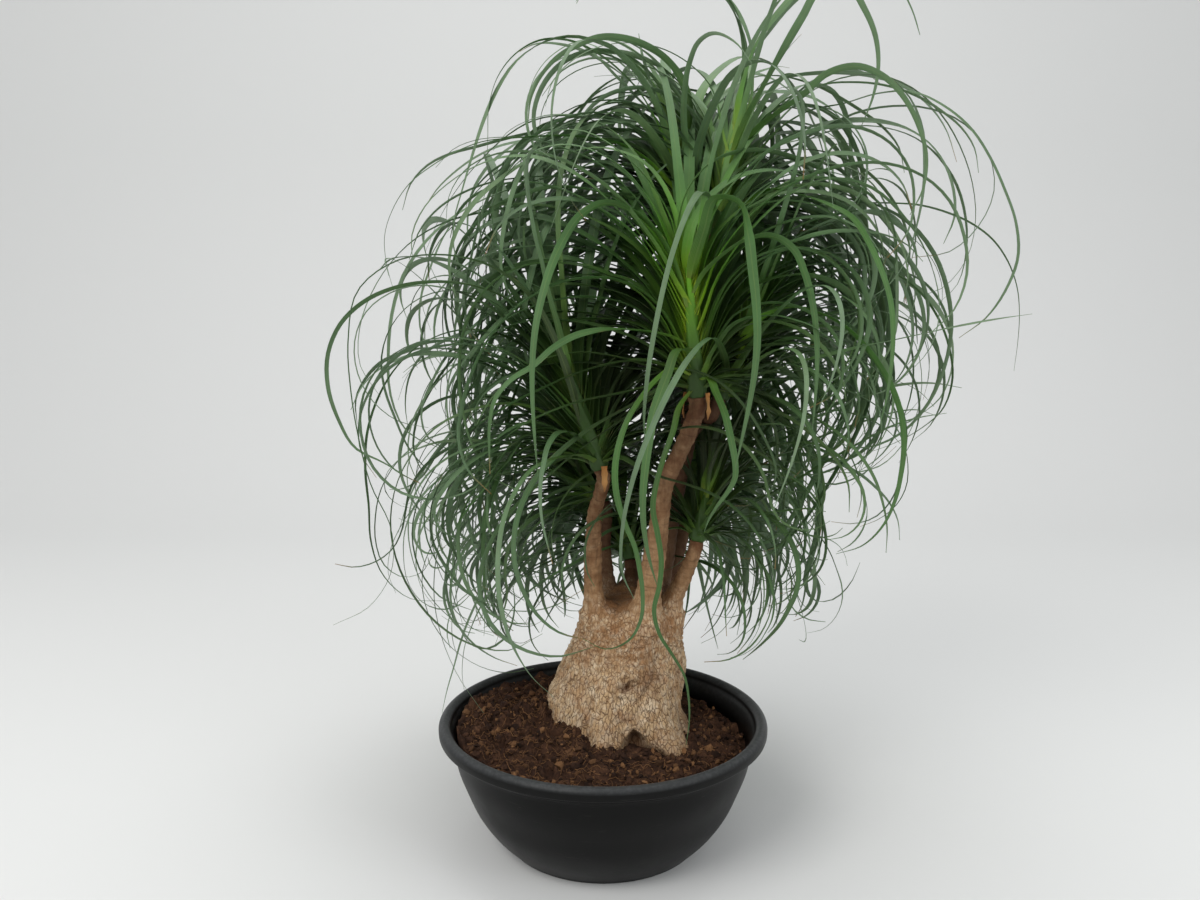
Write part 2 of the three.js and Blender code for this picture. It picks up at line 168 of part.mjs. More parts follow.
      { width: 11.6, path: [[31, 142, 324], [25, 156, 335], [17, 174, 351], [8, 196, 368], [-4, 222, 383], [-18, 250, 394], [-34, 282, 403], [-52, 314, 406], [-71, 347, 401], [-92, 377, 385], [-112, 402, 359], [-128, 416, 323], [-139, 420, 282]] },
      { width: 7.9, path: [[40, 130, 324], [47, 126, 338], [59, 117, 352], [75, 102, 363], [94, 85, 372], [114, 66, 380], [136, 47, 382], [158, 26, 376], [178, 8, 359], [191, -3, 330], [193, -5, 297], [188, -1, 262], [175, 11, 231]] },
      { width: 8.8, path: [[29, 171, 391], [30, 177, 399], [30, 185, 412], [28, 192, 427], [27, 201, 444], [27, 212, 460], [28, 223, 478], [29, 235, 496], [33, 249, 513], [39, 264, 530], [49, 279, 544], [65, 294, 555], [86, 307, 561]] },
      { width: 6.7, path: [[38, 128, 324], [39, 127, 335], [40, 126, 350], [42, 124, 367], [45, 120, 385], [48, 115, 404], [52, 109, 423], [56, 102, 443], [60, 93, 463], [66, 82, 483], [72, 68, 502], [78, 51, 518], [85, 31, 531]] },
      { width: 11.6, path: [[36, 138, 314], [36, 152, 318], [37, 170, 319], [39, 192, 316], [40, 215, 314], [42, 240, 312], [43, 265, 308], [46, 291, 300], [49, 317, 288], [53, 341, 271], [58, 361, 250], [64, 378, 225], [71, 389, 196]] },
      { width: 6.2, path: [[38, 136, 335], [42, 138, 353], [46, 142, 378], [51, 147, 405], [62, 148, 434], [83, 140, 458], [111, 130, 475], [144, 117, 485], [179, 104, 481], [209, 92, 461], [228, 85, 427], [228, 85, 386], [209, 92, 350]] },
      { width: 13.0, path: [[30, 139, 321], [20, 151, 330], [6, 168, 341], [-12, 187, 351], [-33, 208, 356], [-58, 230, 357], [-84, 252, 351], [-110, 271, 337], [-135, 287, 315], [-156, 299, 285], [-168, 304, 248], [-167, 303, 208], [-152, 296, 170]] },
      { width: 10.6, path: [[36, 151, 347], [40, 162, 358], [44, 177, 375], [49, 194, 394], [57, 214, 412], [69, 237, 428], [84, 261, 442], [102, 286, 451], [123, 313, 455], [148, 338, 451], [172, 361, 439], [196, 379, 416], [215, 392, 386]] },
  ] },
  rear_right: { base: [115.6, 140.0, 392.7], tip: [142.1, 180.0, 480.8], leaves: [
      { width: 8.9, path: [[124, 139, 397], [134, 141, 408], [148, 143, 422], [166, 145, 436], [186, 146, 451], [207, 147, 466], [230, 148, 481], [256, 149, 495], [283, 150, 508], [311, 151, 521], [341, 153, 533], [372, 154, 541], [405, 155, 546], [439, 157, 546], [474, 158, 540]] },
      { width: 6.7, path: [[141, 176, 465], [150, 185, 478], [159, 196, 497], [169, 208, 520], [186, 227, 536], [207, 250, 546], [230, 274, 550], [254, 300, 550], [278, 327, 546], [303, 354, 537], [328, 381, 523], [351, 406, 504], [371, 428, 476], [379, 437, 438], [361, 416, 407]] },
      { width: 10.6, path: [[141, 178, 470], [148, 191, 482], [158, 207, 500], [170, 226, 520], [183, 248, 540], [198, 274, 557], [215, 303, 570], [233, 336, 575], [250, 370, 566], [263, 402, 544], [268, 424, 510], [262, 436, 470], [246, 435, 429]] },
      { width: 10.5, path: [[111, 146, 399], [99, 161, 414], [74, 180, 425], [44, 203, 435], [12, 228, 443], [-23, 256, 444], [-60, 284, 438], [-96, 313, 424], [-132, 342, 402], [-165, 368, 371], [-194, 390, 332], [-217, 408, 285], [-233, 421, 233], [-237, 425, 176], [-224, 414, 120]] },
      { width: 10.5, path: [[122, 136, 398], [134, 129, 407], [149, 111, 407], [164, 89, 402], [183, 67, 399], [203, 44, 393], [222, 23, 376], [234, 9, 348], [236, 8, 313], [227, 18, 279], [213, 34, 247], [195, 53, 218], [175, 75, 192], [152, 101, 171], [127, 129, 156]] },
      { width: 9.0, path: [[111, 142, 402], [108, 148, 422], [104, 156, 450], [95, 167, 480], [78, 181, 510], [59, 197, 539], [34, 217, 564], [4, 242, 582], [-28, 269, 594], [-63, 298, 598], [-99, 327, 593], [-134, 356, 577], [-163, 380, 546], [-178, 392, 501], [-170, 385, 451]] },
      { width: 9.6, path: [[110, 142, 400], [100, 144, 410], [82, 141, 412], [61, 135, 407], [38, 129, 402], [13, 124, 398], [-12, 120, 390], [-38, 115, 380], [-64, 110, 367], [-89, 105, 351], [-112, 101, 330], [-130, 98, 304], [-138, 96, 273], [-134, 97, 240], [-120, 100, 209]] },
      { width: 15.5, path: [[123, 150, 401], [134, 167, 414], [150, 189, 431], [169, 216, 446], [192, 248, 454], [216, 283, 453], [241, 317, 437], [261, 344, 406], [274, 359, 362], [279, 362, 313], [275, 352, 263], [265, 330, 216], [249, 300, 174]] },
      { width: 10.5, path: [[115, 142, 408], [111, 140, 423], [104, 137, 442], [94, 130, 463], [78, 118, 479], [59, 103, 492], [37, 86, 502], [13, 68, 506], [-12, 49, 502], [-35, 30, 490], [-56, 15, 469], [-69, 4, 440], [-68, 5, 405], [-54, 16, 375], [-31, 34, 353]] },
      { width: 14.7, path: [[118, 153, 406], [120, 165, 416], [123, 182, 431], [126, 201, 449], [129, 223, 465], [128, 251, 476], [125, 282, 481], [119, 314, 481], [110, 346, 473], [99, 375, 458], [84, 398, 435], [66, 411, 405], [48, 413, 373]] },
  ] },
};

// long outer leaves: the crown each grows from, widest width, turn of the face to the front, and centre line
const LONG_LEAVES = {
  leaf_front_01: { crown: 'front', width: 12.5, face: 1.0, path: [[95.5, -56.4, 680.4], [99.0, -80.8, 704.2], [105.5, -101.1, 730.9], [114.4, -115.0, 761.0], [138.5, -126.0, 756.1], [147.3, -134.7, 723.9], [151.5, -141.2, 690.2], [155.3, -146.1, 656.1], [156.8, -149.9, 621.8], [154.5, -153.2, 587.4], [149.2, -156.4, 553.4], [142.2, -160.1, 519.7], [134.6, -165.0, 486.3]] },
  leaf_front_02: { crown: 'front', width: 10.0, face: 1.0, path: [[99.5, -53.0, 663.5], [111.2, -64.4, 686.2], [129.5, -74.4, 705.3], [151.5, -83.4, 720.3], [178.0, -91.1, 724.7], [200.4, -97.7, 710.6], [212.0, -102.9, 685.4], [219.6, -107.1, 658.5], [224.0, -110.0, 630.8], [226.0, -111.8, 602.6], [226.2, -112.3, 574.4], [225.1, -111.7, 546.1], [223.5, -110.0, 518.0]] },
  leaf_top_right_03: { crown: 'top_right', width: 10.0, face: 1.0, path: [[140.3, 24.6, 749.3], [163.5, 5.0, 763.7], [186.9, -14.0, 778.9], [215.1, -31.0, 772.9], [243.7, -45.3, 762.0], [270.5, -57.5, 745.7], [287.4, -67.0, 718.2], [300.7, -74.1, 687.9], [310.2, -79.1, 655.9], [313.6, -81.9, 622.4], [313.2, -82.8, 588.5], [310.0, -82.1, 554.9], [304.1, -80.0, 521.6]] },
  leaf_right_04: { crown: 'right', width: 10.0, face: 0.6, path: [[157.8, 20.5, 583.3], [166.1, 10.6, 612.9], [184.7, 0.1, 636.7], [213.4, -7.8, 648.6], [243.9, -15.3, 642.5], [272.2, -22.1, 628.4], [295.3, -28.0, 606.7], [314.7, -32.9, 581.2], [330.0, -36.6, 553.0], [339.7, -39.0, 522.2], [343.2, -40.1, 490.1], [341.2, -39.5, 457.8], [335.9, -37.4, 426.0], [324.1, -33.5, 396.2], [303.3, -27.7, 372.4], [274.6, -20.0, 360.5]] },
  leaf_front_05: { crown: 'front', width: 11.5, face: 1.0, path: [[92.4, -50.0, 645.6], [83.1, -55.9, 675.6], [72.2, -61.7, 705.0], [55.8, -69.0, 731.2], [31.9, -77.6, 750.3], [2.8, -86.3, 759.3], [-23.6, -95.3, 746.3], [-41.3, -104.0, 721.3], [-54.3, -112.7, 693.5], [-63.5, -120.7, 664.0], [-70.1, -127.8, 633.7], [-73.4, -133.8, 602.5], [-74.1, -138.3, 570.9], [-73.1, -141.0, 539.1], [-71.1, -141.6, 507.3], [-68.7, -140.0, 475.5]] },
  leaf_front_06: { crown: 'front', width: 9.5, face: 1.0, path: [[94.0, -45.2, 608.2], [69.8, -53.2, 618.2], [44.3, -62.0, 623.4], [18.4, -70.7, 625.7], [-7.6, -79.5, 624.7], [-32.8, -88.2, 618.5], [-55.4, -96.4, 605.4], [-75.3, -103.6, 588.0], [-98.1, -109.5, 574.0], [-115.0, -113.4, 553.5], [-121.1, -115.0, 526.9], [-122.2, -113.9, 499.5], [-122.2, -110.0, 472.3]] },
  leaf_front_07: { crown: 'front', width: 11.5, face: 1.0, path: [[99.4, -48.4, 590.6], [93.8, -72.3, 602.0], [78.5, -94.0, 602.4], [69.1, -110.0, 581.9], [59.8, -125.6, 560.7], [51.5, -140.4, 538.7], [46.8, -151.2, 513.5], [43.0, -158.0, 486.8], [40.8, -160.0, 459.1], [41.4, -157.4, 431.4], [45.0, -150.9, 404.5], [50.7, -141.5, 378.9], [57.7, -130.0, 354.6]] },
  leaf_front_08: { crown: 'front', width: 8.5, face: 0.8, path: [[97.3, -44.2, 573.3], [78.0, -63.1, 581.6], [58.1, -80.4, 570.5], [41.1, -95.4, 552.7], [26.7, -108.2, 531.3], [17.0, -117.7, 505.9], [12.5, -123.5, 478.0], [14.9, -126.0, 449.5], [23.2, -125.9, 421.9], [34.1, -123.8, 395.2], [39.8, -120.3, 367.2], [43.0, -116.2, 338.8], [41.3, -111.7, 310.4], [28.6, -107.3, 285.2], [3.6, -103.2, 273.2], [-22.6, -100.0, 283.7]] },
  leaf_front_09: { crown: 'front', width: 7.0, face: 0.8, path: [[99.8, -44.0, 555.9], [85.1, -61.3, 538.0], [77.6, -77.0, 514.3], [67.4, -88.0, 489.1], [59.0, -95.9, 462.0], [54.3, -101.0, 433.6], [59.4, -103.8, 404.8], [63.6, -104.6, 375.8], [61.9, -103.8, 346.5], [56.3, -101.9, 317.7], [62.6, -99.3, 289.6], [77.4, -96.2, 264.4], [91.4, -92.9, 238.9], [97.1, -89.8, 210.2], [98.3, -87.1, 181.0], [95.1, -85.0, 151.9]] },
  leaf_front_10: { crown: 'front', width: 9.5, face: 1.0, path: [[109.5, -45.9, 568.4], [118.0, -59.4, 570.0], [123.2, -70.4, 557.4], [128.3, -81.9, 545.2], [132.4, -93.5, 532.7], [135.3, -103.2, 518.3], [138.2, -111.0, 502.9], [140.9, -116.5, 486.5], [140.6, -119.5, 469.3], [132.7, -120.1, 453.8], [122.8, -118.5, 439.4], [114.6, -114.9, 424.3], [109.5, -110.0, 408.3]] },
  leaf_top_left_13: { crown: 'top_left', width: 10.0, face: 0.6, path: [[93.5, 62.8, 835.5], [100.5, 50.0, 858.6], [98.8, 41.0, 884.1], [89.2, 34.2, 908.7], [71.5, 28.1, 928.5], [48.4, 22.7, 941.9], [22.5, 17.8, 949.0], [-4.3, 13.5, 949.0], [-29.5, 9.8, 939.3], [-52.6, 6.6, 925.1], [-70.4, 3.9, 904.6], [-81.5, 1.7, 879.8], [-84.7, 0.0, 852.8]] },
  leaf_top_left_14: { crown: 'top_left', width: 8.5, face: 0.0, path: [[90.1, 62.4, 807.1], [75.9, 62.9, 838.1], [61.2, 64.7, 868.8], [43.5, 64.8, 897.8], [19.6, 62.0, 922.0], [-8.0, 59.2, 941.8], [-39.3, 56.5, 954.7], [-72.9, 53.9, 954.5], [-102.5, 51.2, 938.2], [-123.2, 48.5, 911.6], [-133.0, 45.7, 879.2], [-134.5, 42.9, 845.3], [-135.8, 40.0, 811.4]] },
  leaf_top_left_15: { crown: 'top_left', width: 8.5, face: 0.0, path: [[95.2, 58.3, 773.6], [73.3, 50.3, 796.3], [50.2, 46.3, 818.9], [22.7, 39.9, 834.6], [-8.1, 30.9, 840.4], [-39.7, 23.1, 842.8], [-71.7, 16.7, 841.5], [-103.8, 11.3, 838.8], [-135.8, 7.0, 834.8], [-166.1, 3.6, 823.3], [-194.2, 0.8, 807.1], [-219.8, -1.5, 787.1], [-238.3, -3.5, 760.4], [-248.8, -5.5, 729.7], [-247.2, -7.6, 697.4], [-239.2, -10.0, 665.9]] },
  leaf_left_16: { crown: 'left', width: 9.0, face: 0.4, path: [[-35.0, -10.9, 543.6], [-44.4, -12.4, 581.1], [-61.5, -11.4, 615.7], [-87.9, -14.8, 643.8], [-120.4, -17.9, 664.7], [-157.3, -20.3, 675.9], [-196.0, -21.8, 678.0], [-234.2, -22.6, 671.8], [-269.8, -22.5, 656.6], [-298.7, -21.6, 631.0], [-315.2, -19.9, 596.2], [-317.2, -17.5, 557.8], [-307.8, -14.2, 520.3], [-290.6, -10.2, 486.1], [-257.8, -5.4, 466.8], [-226.4, 0.0, 445.4]] },
  leaf_left_17: { crown: 'left', width: 8.5, face: 0.0, path: [[-25.1, -11.7, 512.7], [-37.5, -23.4, 563.6], [-55.5, -32.1, 613.6], [-80.5, -41.4, 660.2], [-121.1, -53.8, 692.5], [-171.7, -64.8, 705.6], [-224.0, -73.7, 698.8], [-264.7, -80.2, 667.0], [-275.7, -84.3, 614.5], [-274.4, -86.0, 561.1], [-267.8, -85.2, 507.7], [-256.9, -82.0, 455.2], [-237.6, -76.6, 405.4], [-240.1, -69.3, 353.1], [-268.6, -60.5, 308.9], [-313.8, -50.0, 283.4]] },
  leaf_left_18: { crown: 'left', width: 8.5, face: 0.0, path: [[-18.5, 1.9, 482.6], [-35.9, 4.8, 524.3], [-56.2, 7.1, 564.7], [-86.9, 10.8, 597.4], [-126.8, 15.3, 617.9], [-171.4, 19.8, 620.7], [-213.5, 24.2, 605.6], [-247.0, 28.5, 575.7], [-271.0, 32.5, 537.5], [-285.7, 36.3, 495.0], [-290.0, 39.8, 450.1], [-288.0, 42.9, 404.9], [-287.5, 45.5, 359.7], [-274.6, 47.6, 316.6], [-242.6, 49.1, 285.7], [-198.3, 50.0, 281.7]] },
  leaf_top_right_19: { crown: 'top_right', width: 11.0, face: 0.8, path: [[150.3, 27.8, 847.3], [152.3, 25.0, 878.0], [159.5, 22.5, 908.2], [169.5, 20.2, 937.6], [186.0, 18.4, 964.0], [206.3, 17.5, 987.6], [227.1, 17.6, 1010.8], [251.8, 18.9, 1029.8], [281.4, 21.6, 1037.3], [310.8, 25.7, 1028.3], [334.9, 31.6, 1009.7], [353.2, 39.7, 985.8], [366.7, 50.0, 959.7]] },
  leaf_top_right_20: { crown: 'top_right', width: 10.5, face: 1.0, path: [[149.5, 25.4, 823.4], [160.5, 17.7, 852.7], [174.1, 10.5, 881.3], [188.6, 3.6, 909.7], [203.6, -2.8, 937.8], [219.4, -8.7, 965.7], [236.2, -13.6, 993.0], [265.2, -17.6, 996.9], [284.4, -20.4, 971.0], [297.3, -22.3, 941.4], [301.4, -22.9, 909.2], [296.6, -22.2, 877.1], [285.6, -20.0, 846.7]] },
  leaf_top_right_21: { crown: 'top_right', width: 8.5, face: 0.5, path: [[148.6, 29.7, 794.3], [176.7, 29.0, 821.7], [202.9, 27.8, 851.0], [236.3, 25.8, 871.0], [274.8, 23.2, 878.7], [312.6, 20.1, 889.1], [351.3, 16.6, 890.0], [386.9, 12.8, 874.0], [416.9, 8.8, 849.0], [438.9, 4.6, 816.8], [455.8, 0.3, 781.5], [469.2, -4.0, 744.8], [472.6, -8.2, 706.0], [459.9, -12.4, 669.2], [437.6, -16.4, 637.1], [406.3, -20.0, 614.0]] },
  leaf_top_right_22: { crown: 'top_right', width: 8.0, face: 0.0, path: [[144.7, 31.4, 768.4], [177.0, 37.5, 764.7], [209.7, 42.0, 767.3], [242.5, 45.7, 770.1], [275.6, 48.4, 770.9], [308.7, 50.1, 770.0], [341.8, 51.0, 769.5], [374.9, 51.3, 767.2], [407.0, 51.2, 759.1], [437.5, 50.7, 746.2], [464.2, 50.0, 726.9], [484.0, 49.4, 700.4], [496.3, 48.9, 669.8], [500.9, 48.7, 637.0], [501.0, 49.1, 603.8], [499.0, 50.0, 570.7]] },
  leaf_top_right_23: { crown: 'top_right', width: 9.0, face: 0.8, path: [[147.2, 24.6, 810.6], [157.0, 0.8, 828.9], [173.1, -20.3, 846.2], [191.8, -42.0, 859.8], [212.9, -61.0, 873.7], [234.1, -75.3, 892.3], [262.8, -84.2, 898.4], [291.7, -88.5, 886.7], [313.8, -90.0, 864.2], [329.4, -89.6, 836.7], [338.9, -88.7, 806.6], [337.4, -88.4, 775.2], [323.9, -90.0, 746.7]] },
  leaf_rear_left_24: { crown: 'rear_left', width: 9.5, face: 0.6, path: [[-27.1, 147.1, 424.6], [-34.2, 136.6, 451.7], [-48.7, 124.6, 474.5], [-74.7, 114.4, 483.9], [-100.4, 103.3, 474.7], [-119.2, 92.3, 454.3], [-132.7, 81.1, 430.1], [-143.0, 70.8, 403.9], [-148.7, 61.8, 376.0], [-150.0, 54.6, 347.0], [-148.8, 50.0, 317.5], [-146.7, 48.3, 287.7], [-137.1, 50.0, 259.6]] },
  leaf_left_25: { crown: 'left', width: 8.0, face: 0.0, path: [[-15.0, -3.7, 464.0], [-38.4, -9.7, 483.0], [-66.0, -14.9, 494.5], [-93.6, -22.3, 484.4], [-116.7, -28.8, 465.2], [-136.0, -33.7, 441.8], [-155.7, -37.2, 418.4], [-172.1, -39.3, 392.6], [-179.0, -40.0, 362.8], [-177.9, -39.4, 332.1], [-171.4, -37.5, 302.2], [-155.9, -34.4, 276.1], [-129.1, -30.0, 263.3]] },
  leaf_right_26: { crown: 'right', width: 9.0, face: 0.0, path: [[154.2, 24.7, 558.9], [172.3, 32.1, 593.2], [189.2, 38.9, 628.3], [210.8, 45.5, 660.6], [242.4, 51.8, 683.5], [279.1, 57.6, 696.5], [318.1, 62.8, 697.5], [355.6, 67.5, 686.3], [387.7, 71.7, 663.9], [411.9, 75.5, 633.0], [428.2, 78.9, 597.1], [435.1, 81.9, 558.5], [425.8, 84.5, 520.5], [397.6, 86.7, 493.6], [363.2, 88.6, 474.2], [326.0, 90.0, 461.1]] },
  leaf_rear_right_27: { crown: 'rear_right', width: 9.0, face: 0.0, path: [[132.0, 151.4, 428.3], [148.7, 142.7, 456.9], [167.4, 136.0, 484.7], [194.7, 128.5, 500.7], [227.0, 122.4, 492.0], [253.2, 119.2, 470.7], [269.9, 118.0, 441.0], [279.8, 118.3, 408.3], [286.2, 119.5, 374.8], [286.9, 120.8, 340.8], [276.4, 121.8, 308.4], [256.3, 121.7, 280.9], [228.3, 120.0, 261.7]] },
};

// ---------------------------------------------------------------- helpers
const smooth = (a, b, x) => { const t = Math.min(Math.max((x - a) / (b - a), 0), 1); return t * t * (3 - 2 * t); };
function table(rows, x, col = 1) {
  if (x <= rows[0][0]) return rows[0][col];
  for (let i = 1; i < rows.length; i++) {
    if (x <= rows[i][0]) {
      const t = (x - rows[i - 1][0]) / (rows[i][0] - rows[i - 1][0]);
      return rows[i - 1][col] * (1 - t) + rows[i][col] * t;
    }
  }
  return rows[rows.length - 1][col];
}
// repeatable bumps, in -1..1
const bumps = (x, y, s) => (Math.sin(x / s + 1.7) * Math.cos(y / s * 1.13 - 0.6) + 0.6 * Math.sin((x + 1.4 * y) / (s * 0.61) + 2.1)
  + 0.4 * Math.cos((1.9 * x - y) / (s * 0.43) + 0.4)) / 2;

// one closed, outward-facing body with shared vertices
function closed(geometry) {
  let g = geometry.clone();
  g.deleteAttribute('normal');
  if (g.getAttribute('uv')) g.deleteAttribute('uv');
  g = mergeVertices(g, 1e-4);
  const p = g.getAttribute('position');
  const idx = [];
  const old = g.getIndex().array;
  for (let i = 0; i < old.length; i += 3) {
    const [a, b, c] = [old[i], old[i + 1], old[i + 2]];
    if (a !== b && b !== c && c !== a) idx.push(a, b, c);
  }
  let volume = 0;
  const [A, B, C] = [new THREE.Vector3(), new THREE.Vector3(), new THREE.Vector3()];
  for (let i = 0; i < idx.length; i += 3) {
    A.fromBufferAttribute(p, idx[i]); B.fromBufferAttribute(p, idx[i + 1]); C.fromBufferAttribute(p, idx[i + 2]);
    volume += A.dot(B.cross(C));
  }
  if (volume < 0) for (let i = 0; i < idx.length; i += 3) [idx[i + 1], idx[i + 2]] = [idx[i + 2], idx[i + 1]];
  g.setIndex(idx);
  return g;
}
function solid(geometry) {
  const g = closed(geometry);
  return new wasm.Manifold(new wasm.Mesh({
    numProp: 3,
    vertProperties: new Float32Array(g.getAttribute('position').array),
    triVerts: new Uint32Array(g.getIndex().array),
  }));
}
function geometryOf(manifold) {
  const m = manifold.getMesh();
  const g = new THREE.BufferGeometry();
  const pos = new Float32Array((m.vertProperties.length / m.numProp) * 3);
  for (let i = 0; i < pos.length / 3; i++) for (let k = 0; k < 3; k++) pos[3 * i + k] = m.vertProperties[m.numProp * i + k];
  g.setAttribute('position', new THREE.BufferAttribute(pos, 3));
  g.setIndex(Array.from(m.triVerts));
  return g;
}
// corners closer together than the given distance become one, where the body stays closed
function tidy(geometry, distance) {
  const g = mergeVertices(geometry.clone(), distance);
  const old = g.getIndex().array;
  const idx = [];
  const edges = new Map();
  for (let i = 0; i < old.length; i += 3) {
    const t = [old[i], old[i + 1], old[i + 2]];
    if (t[0] === t[1] || t[1] === t[2] || t[2] === t[0]) continue;
    idx.push(...t);
    for (let k = 0; k < 3; k++) {
      const key = `${t[k]},${t[(k + 1) % 3]}`;
      edges.set(key, (edges.get(key) || 0) + 1);
    }
  }
  for (const [key, count] of edges) {
    const [a, b] = key.split(',');
    if (count !== 1 || edges.get(`${b},${a}`) !== 1) return geometry;
  }
  g.setIndex(idx);
  return g;
}
// only the largest body of a cut piece is kept
function largest(manifold) {
  const parts = manifold.decompose();
  parts.sort((a, b) => b.volume() - a.volume());
  return parts[0];
}
const joinAll = (list) => list.reduce((a, b) => a.add(b));

// lathe about +Z from a profile of [r, z]
function lathe(profile, sides) {
  const g = new THREE.LatheGeometry(profile.map(([r, z]) => new THREE.Vector2(r, z)), sides);
  g.rotateX(Math.PI / 2);
  return g;
}

// round tube along a path with a radius at each point, closed at both ends
function taperedTube(path, radii, rings, sides, extra = 0) {
  const curve = new THREE.CatmullRomCurve3(path.map((p) => new THREE.Vector3(...p)), false, 'centripetal');
  const spots = [];
  for (let i = 0; i <= rings; i++) spots.push(i / rings);
  const n = path.length - 1;
  const g = new THREE.CylinderGeometry(1, 1, 1, sides, rings, false);
  const p = g.getAttribute('position');
  const frames = [];
  let normal = new THREE.Vector3(1, 0, 0);
  for (const t of spots) {
    const tangent = curve.getTangent(t);
    normal = normal.clone().addScaledVector(tangent, -normal.dot(tangent)).normalize();
    const k = Math.min(Math.floor(t * n), n - 1);
    const f = t * n - k;
    let c = curve.getPoint(t);
    if (t === 0) c = c.addScaledVector(tangent, -extra);
    if (t === 1) c = c.addScaledVector(tangent, extra);
    frames.push({ c, x: normal, y: new THREE.Vector3().crossVectors(tangent, normal), r: radii[k] * (1 - f) + radii[k + 1] * f + extra });
  }
  for (let i = 0; i < p.count; i++) {
    const f = frames[Math.round((p.getY(i) + 0.5) * rings)];
    const q = f.c.clone().addScaledVector(f.x, p.getX(i) * f.r).addScaledVector(f.y, p.getZ(i) * f.r);
    p.setXYZ(i, q.x, q.y, q.z);
  }
  return g;
}

// flat blade bent along stations of { c: centre, b: across, n: upper face, w: width }
function blade(stations, thickness) {
  const last = stations.length - 1;
  const g = new THREE.BoxGeometry(1, 1, 1, 1, 1, last);
  const p = g.getAttribute('position');
  for (let i = 0; i < p.count; i++) {
    const s = stations[Math.round((p.getZ(i) + 0.5) * last)];
    const q = s.c.clone().addScaledVector(s.b, p.getX(i) * s.w).addScaledVector(s.n, p.getY(i) * thickness);
    p.setXYZ(i, q.x, q.y, q.z);
  }
  return g;
}

const FRONT = new THREE.Vector3(-0.06, -0.99, 0.12);   // toward the plant's front

function crownAxis(crown) {
  const base = new THREE.Vector3(...crown.base);
  const axis = new THREE.Vector3(...crown.tip).sub(base);
  const length = axis.length();
  axis.normalize();
  const e1 = new THREE.Vector3(1, 0, 0);
  e1.addScaledVector(axis, -e1.dot(axis)).normalize();
  return { base, axis, length, e1, e2: new THREE.Vector3().crossVectors(axis, e1) };
}

// a leaf along its centre line; the blade lies level across where it arches, and can turn its face to the front
function leafStations(leaf, stem, segments, shares, extra = 0) {
  const curve = new THREE.CatmullRomCurve3(leaf.path.map((p) => new THREE.Vector3(...p)), false, 'centripetal');
  const fine = segments * 6;
  const out = [];
  let b = null;
  for (let i = 0; i <= fine; i++) {
    const s = i / fine;
    const t = curve.getTangentAt(s);
    if (!b) b = new THREE.Vector3().crossVectors(stem, t).normalize();
    const level = new THREE.Vector3(0, 0, 1).cross(t);
    if (level.length() > 0.25) b.lerp(level.normalize().multiplyScalar(Math.sign(level.dot(b)) || 1), 0.12);
    const facing = new THREE.Vector3().crossVectors(t, FRONT);
    if (leaf.face && facing.length() > 0.3) b.lerp(facing.normalize().multiplyScalar(Math.sign(facing.dot(b)) || 1), 0.22 * leaf.face * smooth(0.18, 0.42, s));
    b.addScaledVector(t, -b.dot(t)).normalize();
    out.push({ s, c: curve.getPointAt(s), b: b.clone(), n: new THREE.Vector3().crossVectors(t, b), t });
  }
  const stations = [];
  for (let i = 0; i <= segments; i++) {
    const f = out[i * 6];
    const w = Math.max(table(shares, f.s) * leaf.width * (i === 0 ? 0.55 : 1), LEAF_MIN_WIDTH) + 2 * extra;
    const c = f.c.clone();
    if (i === 0) c.addScaledVector(f.t, -extra);
    if (i === segments) c.addScaledVector(f.t, extra);
    stations.push({ c, b: f.b, n: f.n, w });
  }
  return stations;
}

// ---------------------------------------------------------------- materials
const material = (color, roughness, metalness = 0) => new THREE.MeshStandardMaterial({ color, roughness, metalness });
const plant = new THREE.Group();
plant.name = 'potted_ponytail_palm';
function place(name, geometry, mat) {
  const mesh = new THREE.Mesh(geometry, mat);
  mesh.name = name;
  plant.add(mesh);
}

// ---------------------------------------------------------------- bowl
const wallOuter = BOWL_WALL.map(([z, r]) => [r, z]);
const wallInner = BOWL_WALL.slice(1).map(([z, r]) => [r - WALL, z]).reverse();
const roll = (r, from, to, steps) => Array.from({ length: steps + 1 }, (_, i) => {
  const a = THREE.MathUtils.degToRad(from + (to - from) * i / steps);
  return [LIP_CENTRE.r + r * Math.cos(a), LIP_CENTRE.z + r * Math.sin(a)];
});
const bowlProfile = [
  [0, 0], [FLOOR_RADIUS, 0], ...wallOuter,
  [181.9 + LEDGE.out, LEDGE.z0], [182.2 + LEDGE.out, LEDGE.z1], [182.8, LEDGE.z1 + 1.4], [185.6, 145.5],
  // hollow under the roll, then round the outside of the lip and over its top
  ...roll(LIP_RADIUS - 2.4, 150, 0, 3), [197.4, 140.6], [198.6, 139.4], [199.6, 140.6],
  ...roll(LIP_RADIUS, 0, 180, 6),
  [182.6, 141.5], [180, 133], ...wallInner, [FLOOR_RADIUS - 2.5, WALL], [0, WALL],
];
const bowl = closed(lathe(bowlProfile, BOWL_SIDES));
place('planter_bowl', bowl, material(0x181916, 0.45));

